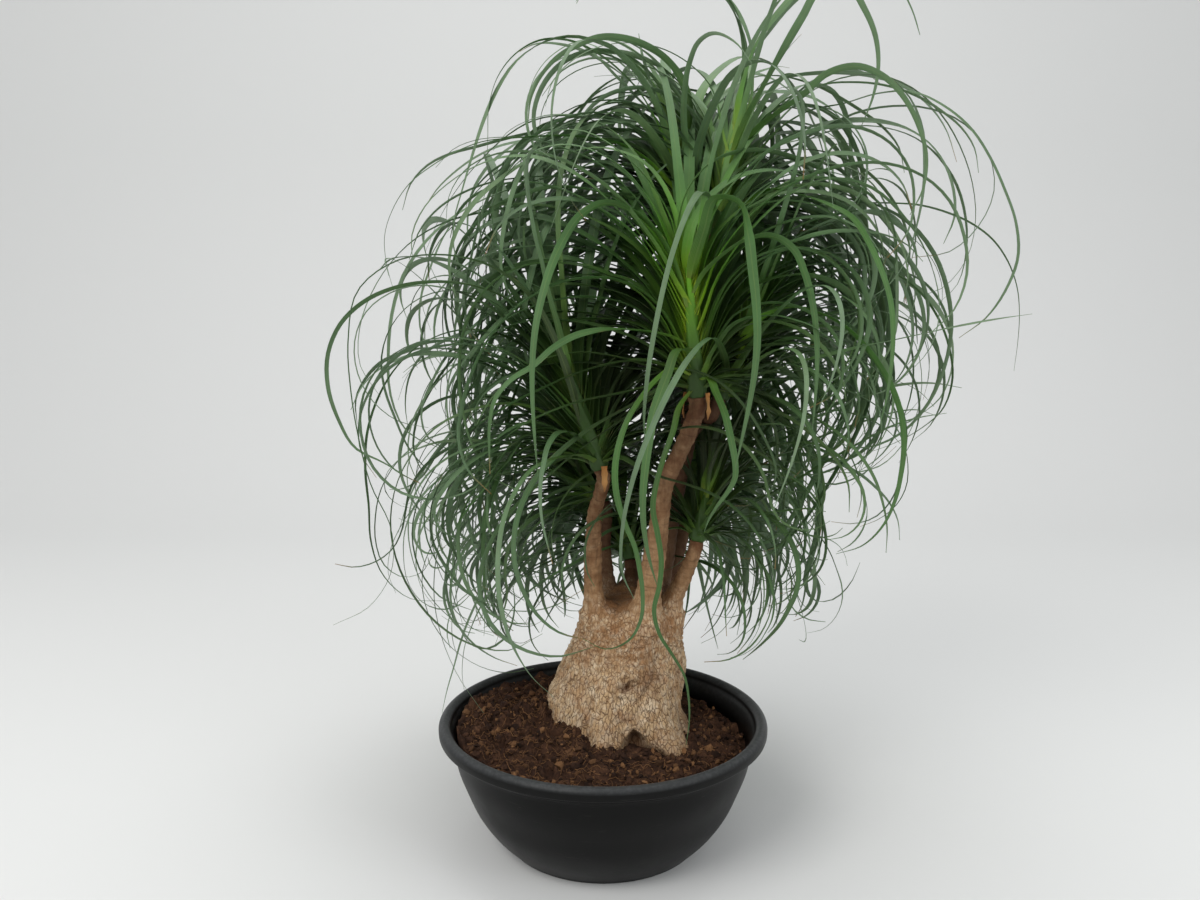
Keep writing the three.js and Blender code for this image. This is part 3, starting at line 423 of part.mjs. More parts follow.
// ---------------------------------------------------------------- bark foot and stems
function footRadius(z, angleDeg) {
  const r = table(CAUDEX, z, 3);
  let swell = 0;
  for (const [dir, width, mm] of ROOT_TOES) {
    const d = ((angleDeg - dir + 540) % 360) - 180;
    swell += mm * Math.exp(-(d * d) / (2 * width * width / 3)) * smooth(190, 118, z);
  }
  for (const [dir, height, width, half, mm] of SWELLS) {
    const d = ((angleDeg - dir + 540) % 360) - 180;
    swell += mm * Math.exp(-(d * d) / (2 * width * width)) * Math.exp(-(((z - height) / half) ** 2) / 2);
  }
  const [dir, half, top, depth] = TOE_NOTCH;
  const off = Math.abs(((angleDeg - dir + 540) % 360) - 180) / (half * Math.sqrt(Math.max((top - z) / 22, 0.001)));
  swell -= depth * smooth(1.3, 0.5, off) * smooth(top, top - 12, z);
  const lump = 2.2 * Math.sin(3 * angleDeg / 57.3 + z / 31) + 1.3 * Math.sin(7 * angleDeg / 57.3 - z / 17);
  return r + swell + lump * Math.min(1, r / 60);
}
function footGeometry(extra) {
  const rows = CAUDEX.length;
  const profile = [[0, 0]];
  for (let i = 0; i < rows; i++) profile.push([1, i + 1]);
  profile.push([0, rows + 1]);
  const g = lathe(profile, CAUDEX_SIDES);
  const p = g.getAttribute('position');
  for (let i = 0; i < p.count; i++) {
    const row = Math.round(p.getZ(i));
    const a = Math.atan2(p.getY(i), p.getX(i));
    const onAxis = row === 0 || row === rows + 1;
    const k = Math.min(Math.max(row - 1, 0), rows - 1);
    const [z, cx, cy] = CAUDEX[k];
    const r = onAxis ? 0 : footRadius(z, THREE.MathUtils.radToDeg(a)) + extra;
    const dz = row === 0 ? -2 - extra : row === rows + 1 ? 2 + extra : 0;
    p.setXYZ(i, cx + r * Math.cos(a), cy + r * Math.sin(a), z + dz);
  }
  return g;
}
const bark = () => material(0x8b7155, 0.85);
let foot = solid(footGeometry(0));
const stemSolids = {};
const stemSleeves = {};
for (const [name, s] of Object.entries(STEMS)) {
  stemSolids[name] = solid(taperedTube(s.path, s.radii, 9, STEM_SIDES));
  stemSleeves[name] = solid(taperedTube(s.path, s.radii, 9, STEM_SIDES, GAP + 0.1));
}
const rearParts = (extra) => joinAll(Object.entries(REAR_STEM).map(([k, s]) => solid(taperedTube(s.path, s.radii, k === 'trunk' ? 12 : 6, STEM_SIDES, extra))));
stemSolids.stem_rear = rearParts(0);
stemSleeves.stem_rear = rearParts(GAP + 0.1);
const stemNames = Object.keys(stemSolids);
for (const name of stemNames) foot = foot.subtract(stemSleeves[name]);
place('caudex', geometryOf(largest(foot)), bark());
// stems that meet near the foot's top are fitted round the one before
stemNames.forEach((name, i) => {
  let s = stemSolids[name];
  for (const other of stemNames.slice(i + 1)) s = s.subtract(stemSleeves[other]);
  place(name, geometryOf(largest(s)), material(0x725839, 0.7));
});

// ---------------------------------------------------------------- soil
const innerWall = (z) => table(BOWL_WALL, z) - WALL - GAP - 1.4;
const soilTop = (x, y) => Math.min(SOIL_LEVEL + SOIL_SLOPE_X * x + SOIL_SLOPE_Y * y, SOIL_TOP_MAX) + 2.2 * bumps(x, y, 17)
  + SOIL_HEAPS.reduce((sum, [cx, cy, wx, wy, h]) => sum + h * Math.exp(-(((x - cx) / wx) ** 2) - ((y - cy) / wy) ** 2), 0);
const soilSide = [WALL + GAP, 20, 45, 75, 105];
const soilRings = [1, 0.87, 0.74, 0.61, 0.48];
const soilProfile = [[0, -1], ...soilSide.map((z, i) => [1, i]), ...soilRings.map((r, i) => [r, soilSide.length + i]), [0, soilSide.length + soilRings.length]];
const soilGeometry = lathe(soilProfile.map(([r, k]) => [r, k]), SOIL_SIDES);
{
  const p = soilGeometry.getAttribute('position');
  for (let i = 0; i < p.count; i++) {
    const k = Math.round(p.getZ(i));
    const a = Math.atan2(p.getY(i), p.getX(i));
    const share = Math.hypot(p.getX(i), p.getY(i));
    if (k < 0) p.setXYZ(i, 0, 0, WALL + GAP);
    else if (k < soilSide.length) {
      const r = (k === 0 ? FLOOR_RADIUS - 4 : innerWall(soilSide[k]));
      p.setXYZ(i, r * Math.cos(a), r * Math.sin(a), soilSide[k]);
    } else {
      const edge = innerWall(126) - 0.4;
      const r = share * edge;
      const x = r * Math.cos(a), y = r * Math.sin(a);
      p.setXYZ(i, x, y, soilTop(x, y));
    }
  }
}
place('potting_soil', geometryOf(largest(solid(soilGeometry).subtract(solid(footGeometry(GAP + 0.15))))), material(0x37251a, 0.95));

// ---------------------------------------------------------------- crowns and long leaves
const leafGreen = () => material(0x4a6b3a, 0.5);
const longLeaves = {};
for (const [name, leaf] of Object.entries(LONG_LEAVES)) {
  const stem = crownAxis(CROWNS[leaf.crown]).axis;
  longLeaves[name] = {
    geometry: blade(leafStations(leaf, stem, LONG_LEAF_SEGMENTS, LONG_LEAF_WIDTH), LEAF_THICKNESS),
    sleeve: blade(leafStations(leaf, stem, LONG_LEAF_SEGMENTS, LONG_LEAF_WIDTH, GAP + 0.1), LEAF_THICKNESS + 2 * (GAP + 0.1)),
  };
}
for (const [name, crown] of Object.entries(CROWNS)) {
  const { base, axis, length, e1, e2 } = crownAxis(crown);
  const R = CROWN_CORE_RADIUS;
  const core = lathe([[0, 0], [R * 0.86, 0], [R, 6], [R * 0.8, length * 0.35], [R * 0.55, length * 0.7], [R * 0.3, length], [0, length + 6]], 12);
  core.applyMatrix4(new THREE.Matrix4().makeBasis(e1, e2, axis).setPosition(base));
  let body = joinAll([solid(core), ...crown.leaves.map((leaf) => solid(blade(leafStations(leaf, axis, CROWN_LEAF_SEGMENTS, LEAF_WIDTH), LEAF_THICKNESS)))]);
  for (const long of Object.values(longLeaves)) body = body.subtract(solid(long.sleeve));
  place(`crown_${name}`, tidy(geometryOf(largest(body)), 0.03), leafGreen());
}
for (const [name, long] of Object.entries(longLeaves)) place(name, closed(long.geometry), leafGreen());

// dry scraps hang down the stem's neck from under the crown
for (const [name, { crown, direction }] of Object.entries(SCRAPS)) {
  const { base } = crownAxis(CROWNS[crown]);
  const a = THREE.MathUtils.degToRad(direction);
  const out = new THREE.Vector3(Math.cos(a), Math.sin(a), 0);
  const across = new THREE.Vector3(-Math.sin(a), Math.cos(a), 0);
  const rows = [[12.6, 4, 0.9], [14.4, -5, 1], [15.6, -16, 0.8], [15.2, 4 - SCRAP_LENGTH, 0.3]];
  place(name, closed(blade(rows.map(([r, z, w], i) => {
    const n = out.clone().setZ(i === 0 ? 0.25 : i === 3 ? -0.15 : 0.08).normalize();
    return { c: base.clone().addScaledVector(out, r).add(new THREE.Vector3(0, 0, z)), b: across, n, w: w * SCRAP_WIDTH };
  }), LEAF_THICKNESS)), material(0xa06a32, 0.8));
}

export default plant;
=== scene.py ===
import bpy
import math
import numpy as np
from mathutils import Vector, Matrix, kdtree


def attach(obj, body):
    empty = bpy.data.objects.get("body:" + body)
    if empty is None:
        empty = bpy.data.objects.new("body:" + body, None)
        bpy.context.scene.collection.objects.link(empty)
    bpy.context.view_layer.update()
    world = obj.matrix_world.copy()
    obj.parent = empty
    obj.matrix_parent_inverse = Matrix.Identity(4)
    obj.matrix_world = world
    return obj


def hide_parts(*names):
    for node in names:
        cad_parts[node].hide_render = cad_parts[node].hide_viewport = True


# Potted ponytail palm. Metres, +Z up, +X to the right, +Y to the rear.
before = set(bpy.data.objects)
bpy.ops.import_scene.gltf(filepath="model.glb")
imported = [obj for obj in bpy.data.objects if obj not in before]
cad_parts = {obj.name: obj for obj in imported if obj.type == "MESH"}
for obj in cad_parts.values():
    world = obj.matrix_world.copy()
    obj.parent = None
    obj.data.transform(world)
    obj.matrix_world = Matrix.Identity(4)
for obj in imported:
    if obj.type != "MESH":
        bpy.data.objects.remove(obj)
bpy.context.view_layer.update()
scene = bpy.context.scene
scene.view_settings.view_transform = 'Standard'
scene.view_settings.exposure = 0.0

# ------------------------------------------------------------------ camera
cam_data = bpy.data.cameras.new("camera")
cam_data.sensor_width = 36.0
cam_data.lens = 31.5
cam_data.clip_end = 60.0
cam = bpy.data.objects.new("camera", cam_data)
scene.collection.objects.link(cam)
cam.location = (-0.0036, -1.2244, 0.6712)
cam.rotation_euler = (math.radians(90.0 - 8.81), 0.0, 0.0)
scene.camera = cam


# ------------------------------------------------------------------ numbers
def smooth(a, b, x):
    t = np.clip((x - a) / (b - a), 0.0, 1.0)
    return t * t * (3 - 2 * t)


_perm = np.random.default_rng(77).permutation(256)
_val = np.random.default_rng(78).uniform(-1, 1, 256)


def vnoise(p):
    """smooth value noise of points p (..., 3), in -1..1"""
    p = np.asarray(p, float)
    i = np.floor(p).astype(np.int64)
    f = p - i
    f = f * f * (3 - 2 * f)
    out = 0.0
    for dx in (0, 1):
        for dy in (0, 1):
            for dz in (0, 1):
                h = _val[(_perm[(_perm[(_perm[(i[..., 0] + dx) & 255] + i[..., 1] + dy) & 255] + i[..., 2] + dz) & 255])]
                w = (f[..., 0] if dx else 1 - f[..., 0]) * (f[..., 1] if dy else 1 - f[..., 1]) * (f[..., 2] if dz else 1 - f[..., 2])
                out = out + h * w
    return out


def fbm(p, octaves=4, gain=0.5):
    p = np.asarray(p, float)
    s, a, t = 0.0, 1.0, 0.0
    for k in range(octaves):
        s = s + a * vnoise(p * (2.03 ** k) + 17.3 * k)
        t += a
        a *= gain
    return s / t


def cells(p, seeds):
    """distance to the nearest and to the second nearest seed, and the nearest's index"""
    tree = kdtree.KDTree(len(seeds))
    for k, c in enumerate(seeds):
        tree.insert(c, k)
    tree.balance()
    d1 = np.empty(len(p)); d2 = np.empty(len(p)); ix = np.empty(len(p), int)
    for k, c in enumerate(p):
        a, b = tree.find_n(c, 2)
        d1[k], d2[k], ix[k] = a[2], b[2], a[1]
    return d1, d2, ix


# ------------------------------------------------------------------ mesh making
def make_mesh(name, verts, faces, attrs=None, sharp=None, quads=True, smooth_shade=True):
    """one object from arrays; faces is (n, 4) or (n, 3), or a list of such arrays"""
    faces = faces if isinstance(faces, list) else [faces]
    faces = [np.asarray(f, np.int32) for f in faces if len(f)]
    me = bpy.data.meshes.new(name)
    verts = np.ascontiguousarray(verts, np.float32)
    me.vertices.add(len(verts))
    me.vertices.foreach_set("co", verts.ravel())
    loops = np.concatenate([f.ravel() for f in faces])
    sizes = np.concatenate([np.full(len(f), f.shape[1], np.int32) for f in faces])
    me.loops.add(len(loops))
    me.loops.foreach_set("vertex_index", loops)
    me.polygons.add(len(sizes))
    starts = np.r_[0, np.cumsum(sizes)[:-1]].astype(np.int32)
    me.polygons.foreach_set("loop_start", starts)
    me.polygons.foreach_set("loop_total", sizes)
    me.update(calc_edges=True)
    me.validate(verbose=False)
    me.polygons.foreach_set("use_smooth", np.full(len(me.polygons), smooth_shade))
    for key, (kind, data) in (attrs or {}).items():
        a = me.attributes.new(key, kind, 'POINT')
        if kind == 'FLOAT':
            a.data.foreach_set("value", np.ascontiguousarray(data, np.float32).ravel())
        else:
            d = np.ones((len(verts), 4), np.float32)
            d[:, :np.shape(data)[1]] = data
            a.data.foreach_set("color", d.ravel())
    if sharp is not None:
        me.set_sharp_from_angle(angle=math.radians(sharp))
    me.update()
    ob = bpy.data.objects.new(name, me)
    scene.collection.objects.link(ob)
    return ob


def grid_faces(rows, cols, wrap=True, offset=0):
    """quads between rows of cols vertices; wrap joins the last column to the first"""
    c = np.arange(cols if wrap else cols - 1)
    c2 = (c + 1) % cols
    r = np.arange(rows - 1)[:, None] * cols
    return np.stack([r + c, r + c2, r + cols + c2, r + cols + c], -1).reshape(-1, 4) + offset


def finish_piece(ob, mat, nodes=()):
    ob.data.materials.clear()
    ob.data.materials.append(mat)
    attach(ob, "root")
    if nodes:
        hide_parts(*nodes)
    return ob


# ------------------------------------------------------------------ materials
class Mat:
    """small helper round a node tree"""

    def __init__(self, name):
        self.m = bpy.data.materials.new(name)
        self.m.use_nodes = True
        self.t = self.m.node_tree
        self.p = self.t.nodes["Principled BSDF"]
        self.out = self.t.nodes["Material Output"]

    def n(self, kind, **kw):
        nd = self.t.nodes.new(kind)
        for k, v in kw.items():
            if hasattr(nd, k):
                setattr(nd, k, v)
            else:
                nd.inputs[k.replace("_", " ")].default_value = v
        return nd

    def link(self, a, b):
        self.t.links.new(a, b)
        return b

    def attr(self, name, out="Fac"):
        nd = self.t.nodes.new("ShaderNodeAttribute")
        nd.attribute_name = name
        return nd.outputs[out]

    def coords(self):
        return self.t.nodes.new("ShaderNodeTexCoord").outputs["Object"]

    def noise(self, vec, scale, detail=4.0, rough=0.55, distortion=0.0):
        nd = self.n("ShaderNodeTexNoise")
        nd.inputs["Scale"].default_value = scale
        nd.inputs["Detail"].default_value = detail
        nd.inputs["Roughness"].default_value = rough
        nd.inputs["Distortion"].default_value = distortion
        self.link(vec, nd.inputs["Vector"])
        return nd.outputs["Fac"]

    def ramp(self, fac, stops, smooth_it=True):
        nd = self.n("ShaderNodeValToRGB")
        r = nd.color_ramp
        r.interpolation = 'EASE' if smooth_it else 'LINEAR'
        while len(r.elements) > 1:
            r.elements.remove(r.elements[0])
        r.elements[0].position = stops[0][0]
        r.elements[0].color = (*stops[0][1], 1)
        for pos, col in stops[1:]:
            e = r.elements.new(pos)
            e.color = (*col, 1)
        self.link(fac, nd.inputs["Fac"])
        return nd.outputs["Color"]

    def math(self, op, a, b=None, c=None, clamp=False):
        nd = self.n("ShaderNodeMath")
        nd.operation = op
        nd.use_clamp = clamp
        for i, v in enumerate((a, b, c)):
            if v is None:
                continue
            if isinstance(v, (int, float)):
                nd.inputs[i].default_value = v
            else:
                self.link(v, nd.inputs[i])
        return nd.outputs[0]

    def mix(self, fac, a, b, blend='MIX'):
        nd = self.n("ShaderNodeMix")
        nd.data_type = 'RGBA'
        nd.blend_type = blend
        nd.clamp_factor = True
        for sock, v in ((nd.inputs[0], fac), (nd.inputs[6], a), (nd.inputs[7], b)):
            if isinstance(v, (int, float)):
                sock.default_value = v
            elif isinstance(v, tuple):
                sock.default_value = (*v, 1)
            else:
                self.link(v, sock)
        return nd.outputs[2]

    def bump(self, height, strength, distance, normal=None):
        nd = self.n("ShaderNodeBump")
        nd.inputs["Strength"].default_value = strength
        nd.inputs["Distance"].default_value = distance
        self.link(height, nd.inputs["Height"])
        if normal is not None:
            self.link(normal, nd.inputs["Normal"])
        return nd.outputs["Normal"]

    def remap(self, v, a, b, c=0.0, d=1.0):
        nd = self.n("ShaderNodeMapRange")
        nd.clamp = True
        for i, x in enumerate((a, b, c, d)):
            nd.inputs[i + 1].default_value = x
        self.link(v, nd.inputs[0])
        return nd.outputs[0]


def lin(r, g, b):
    """display colour 0..255 to linear"""
    return tuple(((c / 255) / 12.92 if c / 255 <= 0.04045 else ((c / 255 + 0.055) / 1.055) ** 2.4) for c in (r, g, b))



# ------------------------------------------------------------------ sizes of this plant
# stems: centre line and radius at each point, mm
STEM_PATHS = {
    "stem_left": [([[-8.6, 35.0, 246.3], [-11.0, 30.0, 289.1], [-12.1, 20.0, 357.7], [-9.6, 10.0, 407.0], [-4.2, 6.0, 425.7], [0.2, 1.5, 447.6], [-3.4, 0.1, 459.3]], [14.5, 12.0, 10.0, 8.6, 8.3, 8.1, 8.0])],
    "stem_centre": [([[50.2, 12.0, 259.1], [54.7, 8.0, 300.9], [65.7, 0.0, 381.1], [71.7, -10.0, 438.9], [87.0, -20.0, 476.3], [97.7, -26.2, 503.7], [107.9, -33.2, 536.2], [106.8, -34.9, 548.4]], [19.0, 15.5, 12.5, 10.6, 10.0, 9.8, 9.6, 9.5])],
    "stem_right": [([[81.6, 42.0, 257.0], [87.4, 40.0, 286.1], [99.5, 35.0, 316.5], [112.7, 30.0, 352.5], [115.1, 30.0, 364.6]], [13.5, 11.5, 10.0, 8.6, 8.5])],
    "stem_rear_left": [([[11.9, 85.0, 256.3], [6.8, 95.0, 282.8], [1.7, 120.0, 336.5], [3.6, 127.0, 358.2], [3.5, 135.4, 382.8], [-3.3, 139.8, 392.3]], [14.0, 11.0, 9.0, 8.8, 8.6, 8.5])],
    "stem_rear_short": [([[27.6, 92.0, 251.4], [30.4, 102.0, 275.3], [37.1, 112.0, 291.3], [37.5, 117.8, 296.1], [37.7, 124.2, 302.0], [36.3, 129.7, 313.1]], [17.0, 14.5, 11.0, 9.8, 8.6, 8.5])],
    "stem_rear_right": [([[74.0, 85.0, 256.3], [87.5, 100.0, 294.7], [104.0, 120.0, 350.0], [107.7, 126.8, 364.4], [112.2, 134.8, 381.3], [115.5, 139.8, 392.2]], [13.0, 10.5, 9.0, 8.8, 8.6, 8.5])],
    "stem_rear": [
        ([[66.3, 62.0, 261.0], [72.6, 66.0, 291.3], [86.9, 68.0, 394.6], [107.5, 62.0, 509.3], [110.9, 64.0, 631.8], [114.8, 57.8, 712.0], [109.1, 60.0, 741.0]], [15.0, 12.5, 11.0, 11.0, 10.5, 9.5, 9.0]),
        ([[111.1, 64.0, 619.7], [120.5, 54.0, 662.0], [122.7, 30.0, 702.4], [128.7, 30.0, 731.3]], [8.0, 9.0, 9.2, 9.0]),
        ([[105.5, 64.0, 484.1], [116.3, 50.0, 505.9], [130.4, 17.4, 522.7], [137.9, 19.9, 540.6]], [7.0, 8.6, 8.6, 8.4]),
    ],
}
# crowns: axis of the leaf-base bundle (m) and each leaf: height share on the bundle, widest width mm,
# twist (radians) and the centre line's points x, y, z in mm
CROWNS = {
    "front": {"base": [0.1067, -0.035, 0.549], "tip": [0.093, -0.055, 0.6921], "leaves": [
        [0.01, 15.1, 0.04, [106, -28, 556, 104, -14, 575, 101, 9, 590, 98, 33, 606, 95, 58, 622, 92, 85, 636, 91, 115, 645, 89, 147, 645, 89, 178, 637, 89, 206, 620, 91, 229, 597, 93, 246, 568, 96, 252, 535, 99, 245, 503, 103, 226, 475]],
        [0.02, 14.5, -0.93, [101, -31, 556, 86, -21, 568, 68, -5, 575, 48, 12, 581, 28, 29, 588, 7, 45, 596, -14, 64, 601, -36, 83, 603, -58, 103, 601, -79, 122, 593, -99, 140, 580, -118, 155, 560, -133, 165, 536, -141, 168, 506, -140, 164, 476]],
        [0.02, 11.6, 0.24, [113, -35, 556, 134, -36, 567, 159, -34, 567, 183, -32, 567, 208, -30, 567, 232, -29, 566, 256, -27, 562, 280, -26, 554, 302, -25, 544, 322, -24, 530, 338, -23, 511, 349, -23, 489, 354, -22, 465, 353, -21, 441, 343, -19, 419, 325, -16, 402, 303, -14, 392]],
        [0.03, 9.6, 0.32, [113, -37, 556, 125, -39, 567, 147, -42, 572, 172, -45, 574, 199, -49, 582, 227, -53, 591, 257, -57, 599, 288, -62, 607, 320, -66, 614, 354, -71, 622, 389, -76, 630, 424, -81, 637, 461, -87, 643]],
        [0.05, 11.2, -0.05, [99, -35, 556, 76, -33, 572, 46, -31, 584, 13, -28, 593, -22, -25, 598, -58, -22, 593, -92, -19, 578, -120, -17, 554, -142, -15, 522, -156, -14, 486, -165, -14, 448, -172, -13, 409, -173, -12, 369, -159, -13, 332, -126, -15, 308]],
        [0.06, 16.6, -0.95, [111, -31, 558, 120, -22, 571, 134, -9, 579, 150, 7, 584, 165, 23, 589, 182, 39, 593, 198, 56, 595, 214, 74, 592, 230, 91, 584, 244, 108, 572, 255, 123, 555, 263, 136, 535, 266, 146, 511, 263, 151, 486, 253, 149, 462]],
        [0.06, 10.8, -0.35, [99, -36, 556, 78, -36, 564, 49, -34, 558, 15, -32, 550, -22, -30, 543, -60, -28, 530, -98, -26, 511, -132, -25, 482, -160, -24, 446, -183, -22, 405, -196, -22, 358, -200, -22, 308, -192, -22, 258, -173, -23, 210, -144, -24, 165]],
        [0.06, 14.1, 0.48, [110, -30, 558, 116, -22, 570, 125, -11, 580, 136, 2, 589, 148, 15, 597, 159, 29, 605, 170, 44, 615, 182, 59, 623, 194, 74, 629, 207, 91, 633, 221, 107, 634, 233, 125, 632, 246, 142, 627, 257, 158, 617, 267, 171, 602]],
        [0.07, 8.1, -0.27, [113, -35, 558, 125, -35, 568, 143, -34, 572, 161, -31, 573, 181, -29, 574, 201, -26, 575, 222, -25, 577, 243, -22, 577, 264, -20, 576, 285, -19, 575, 307, -16, 571, 328, -14, 567, 349, -12, 561, 369, -10, 550, 385, -9, 534]],
        [0.08, 19.7, 0.59, [103, -29, 558, 95, -12, 577, 82, 20, 592, 67, 56, 610, 50, 96, 626, 33, 142, 636, 16, 191, 636, 1, 241, 622, -11, 288, 594, -16, 326, 550, -11, 346, 494, 6, 343, 436, 35, 317, 387]],
        [0.08, 11.6, -0.01, [113, -36, 558, 126, -36, 565, 144, -35, 564, 161, -34, 558, 179, -32, 551, 198, -30, 546, 216, -29, 539, 234, -28, 529, 251, -27, 517, 266, -26, 503, 280, -25, 487, 291, -24, 468, 298, -23, 448, 301, -23, 427, 297, -23, 405]],
        [0.08, 19.8, -0.19, [102, -30, 558, 84, -5, 574, 65, 25, 573, 46, 54, 575, 28, 84, 577, 9, 114, 576, -8, 143, 570, -24, 173, 561, -38, 201, 545, -49, 227, 525, -58, 250, 500, -63, 268, 470, -64, 282, 438, -62, 284, 404, -56, 268, 374, -48, 239, 356, -40, 206, 351]],
        [0.09, 11.2, 1.41, [99, -36, 557, 79, -38, 561, 56, -37, 546, 31, -35, 527, 2, -35, 508, -28, -34, 486, -57, -33, 461, -87, -33, 434, -115, -32, 403, -136, -32, 365, -145, -31, 323, -133, -32, 280, -100, -32, 250, -55, -33, 239, -9, -34, 252]],
        [0.09, 16.0, 1.48, [110, -30, 559, 118, -18, 576, 129, 1, 588, 142, 22, 597, 156, 43, 607, 171, 66, 615, 187, 89, 619, 203, 113, 618, 220, 137, 611, 237, 158, 599, 254, 176, 582, 271, 190, 561, 286, 196, 534, 295, 192, 505, 297, 177, 478]],
        [0.10, 12.4, -1.61, [99, -37, 558, 76, -41, 562, 51, -44, 549, 25, -47, 535, -2, -50, 521, -28, -53, 504, -53, -55, 483, -75, -58, 459, -91, -60, 430, -100, -61, 398, -101, -61, 364, -93, -60, 331, -77, -59, 300, -52, -56, 277, -19, -52, 266]],
        [0.11, 13.8, 0.64, [110, -30, 560, 118, -18, 576, 130, 0, 588, 143, 20, 596, 158, 41, 605, 172, 63, 614, 187, 85, 620, 203, 109, 622, 219, 132, 621, 236, 156, 613, 251, 177, 601, 267, 194, 582, 281, 206, 558, 290, 210, 530, 293, 205, 500]],
        [0.12, 18.0, -0.22, [109, -30, 560, 118, -8, 584, 131, 20, 598, 144, 49, 609, 158, 79, 618, 172, 109, 622, 186, 140, 619, 200, 169, 607, 212, 193, 587, 222, 212, 561, 228, 223, 530, 231, 229, 496, 236, 237, 464, 251, 260, 444, 270, 288, 444, 287, 313, 457, 302, 336, 477]],
        [0.12, 9.3, 0.02, [111, -32, 560, 124, -23, 588, 143, -8, 615, 169, 11, 637, 198, 33, 654, 229, 57, 666, 261, 81, 672, 295, 107, 671, 329, 133, 664, 362, 158, 650, 392, 181, 628, 415, 198, 595, 423, 204, 551, 414, 196, 508, 392, 178, 473]],
        [0.14, 16.0, 0.28, [110, -31, 561, 121, -18, 577, 137, 2, 588, 155, 24, 595, 173, 47, 602, 192, 69, 608, 212, 94, 611, 231, 119, 610, 251, 144, 605, 270, 168, 594, 288, 190, 577, 303, 208, 554, 312, 220, 525, 313, 222, 491, 306, 212, 459]],
        [0.17, 11.7, 0.81, [99, -33, 561, 84, -28, 583, 64, -20, 605, 41, -10, 626, 14, 2, 642, -16, 15, 653, -48, 30, 659, -80, 45, 658, -112, 59, 647, -139, 71, 625, -155, 78, 592, -159, 80, 555, -148, 75, 519, -124, 63, 493, -91, 48, 480]],
        [0.18, 15.6, -0.45, [111, -32, 562, 120, -25, 578, 133, -14, 593, 148, 0, 605, 166, 15, 616, 184, 30, 624, 203, 47, 629, 222, 65, 630, 241, 84, 627, 260, 101, 620, 276, 120, 606, 289, 136, 588, 297, 149, 565, 300, 157, 538, 295, 159, 510]],
        [0.18, 13.2, -0.09, [111, -32, 562, 123, -23, 578, 140, -8, 588, 160, 9, 595, 180, 27, 600, 201, 45, 602, 223, 64, 601, 245, 82, 597, 267, 101, 590, 288, 119, 579, 307, 136, 562, 324, 151, 542, 335, 160, 514, 338, 162, 484, 331, 155, 454]],
        [0.19, 11.0, 0.91, [112, -34, 563, 121, -32, 574, 135, -28, 587, 155, -22, 596, 177, -14, 603, 202, -6, 606, 228, 3, 606, 255, 12, 600, 280, 21, 589, 304, 29, 571, 324, 36, 547, 336, 40, 518, 338, 41, 486, 327, 37, 456, 302, 28, 434]],
        [0.22, 17.2, -0.21, [108, -30, 564, 112, -20, 581, 117, -4, 598, 124, 14, 612, 132, 35, 625, 140, 56, 636, 149, 79, 645, 159, 104, 652, 169, 129, 655, 179, 155, 655, 189, 180, 649, 199, 204, 638, 208, 223, 619, 214, 234, 593, 215, 235, 565]],
        [0.24, 13.1, -0.39, [111, -33, 564, 129, -24, 586, 155, -9, 602, 185, 9, 609, 217, 28, 613, 250, 47, 614, 283, 67, 610, 316, 87, 599, 345, 104, 577, 363, 115, 543, 361, 113, 503, 338, 100, 471, 305, 81, 456, 269, 60, 460, 237, 41, 481]],
        [0.24, 15.2, -0.17, [100, -32, 564, 89, -25, 577, 74, -14, 589, 58, -1, 598, 41, 13, 604, 23, 29, 608, 5, 45, 611, -14, 62, 611, -32, 79, 607, -50, 97, 601, -66, 114, 590, -81, 130, 576, -92, 144, 556, -97, 153, 532, -96, 157, 505]],
        [0.25, 11.2, -1.47, [111, -33, 565, 122, -26, 577, 136, -16, 585, 154, -4, 588, 171, 8, 587, 189, 21, 584, 207, 34, 578, 224, 46, 569, 240, 57, 556, 253, 67, 539, 262, 73, 518, 265, 75, 494, 260, 71, 471, 249, 63, 450, 233, 52, 436]],
        [0.26, 15.4, 0.40, [108, -30, 565, 109, -21, 585, 113, -11, 607, 117, 3, 628, 123, 20, 648, 129, 40, 667, 136, 61, 683, 144, 85, 696, 154, 111, 704, 165, 138, 707, 177, 165, 701, 190, 188, 689, 203, 207, 669, 214, 218, 643, 221, 220, 613]],
        [0.26, 19.8, 0.03, [102, -31, 565, 92, -17, 584, 80, 2, 603, 67, 25, 618, 52, 51, 631, 37, 79, 639, 22, 109, 644, 8, 140, 642, -6, 170, 632, -15, 198, 613, -22, 222, 588, -26, 241, 557, -23, 250, 523, -15, 247, 488, -1, 233, 456]],
        [0.26, 10.8, 0.09, [111, -33, 565, 123, -27, 589, 142, -16, 612, 166, -2, 632, 192, 15, 646, 222, 33, 655, 252, 51, 661, 284, 71, 659, 314, 90, 648, 341, 107, 628, 363, 120, 599, 374, 126, 563, 372, 125, 525, 354, 113, 492, 324, 94, 475]],
        [0.27, 17.1, -0.66, [100, -32, 564, 85, -21, 581, 61, -1, 595, 32, 26, 601, 1, 56, 604, -32, 88, 602, -64, 122, 593, -95, 155, 571, -122, 184, 537, -143, 204, 492, -156, 212, 439, -162, 203, 383, -161, 179, 330]],
        [0.27, 11.6, -1.52, [101, -32, 565, 94, -26, 583, 85, -20, 604, 75, -12, 624, 61, 0, 641, 44, 15, 654, 26, 32, 664, 7, 49, 670, -13, 68, 674, -33, 87, 674, -53, 106, 670, -73, 124, 662, -91, 139, 646, -104, 150, 623, -112, 155, 596]],
        [0.28, 12.4, 0.23, [98, -36, 564, 73, -37, 581, 39, -35, 589, 3, -31, 584, -33, -27, 573, -68, -24, 557, -104, -20, 539, -138, -17, 518, -170, -14, 492, -197, -12, 461, -217, -9, 424, -226, -9, 383, -219, -9, 341, -195, -11, 306, -156, -15, 290]],
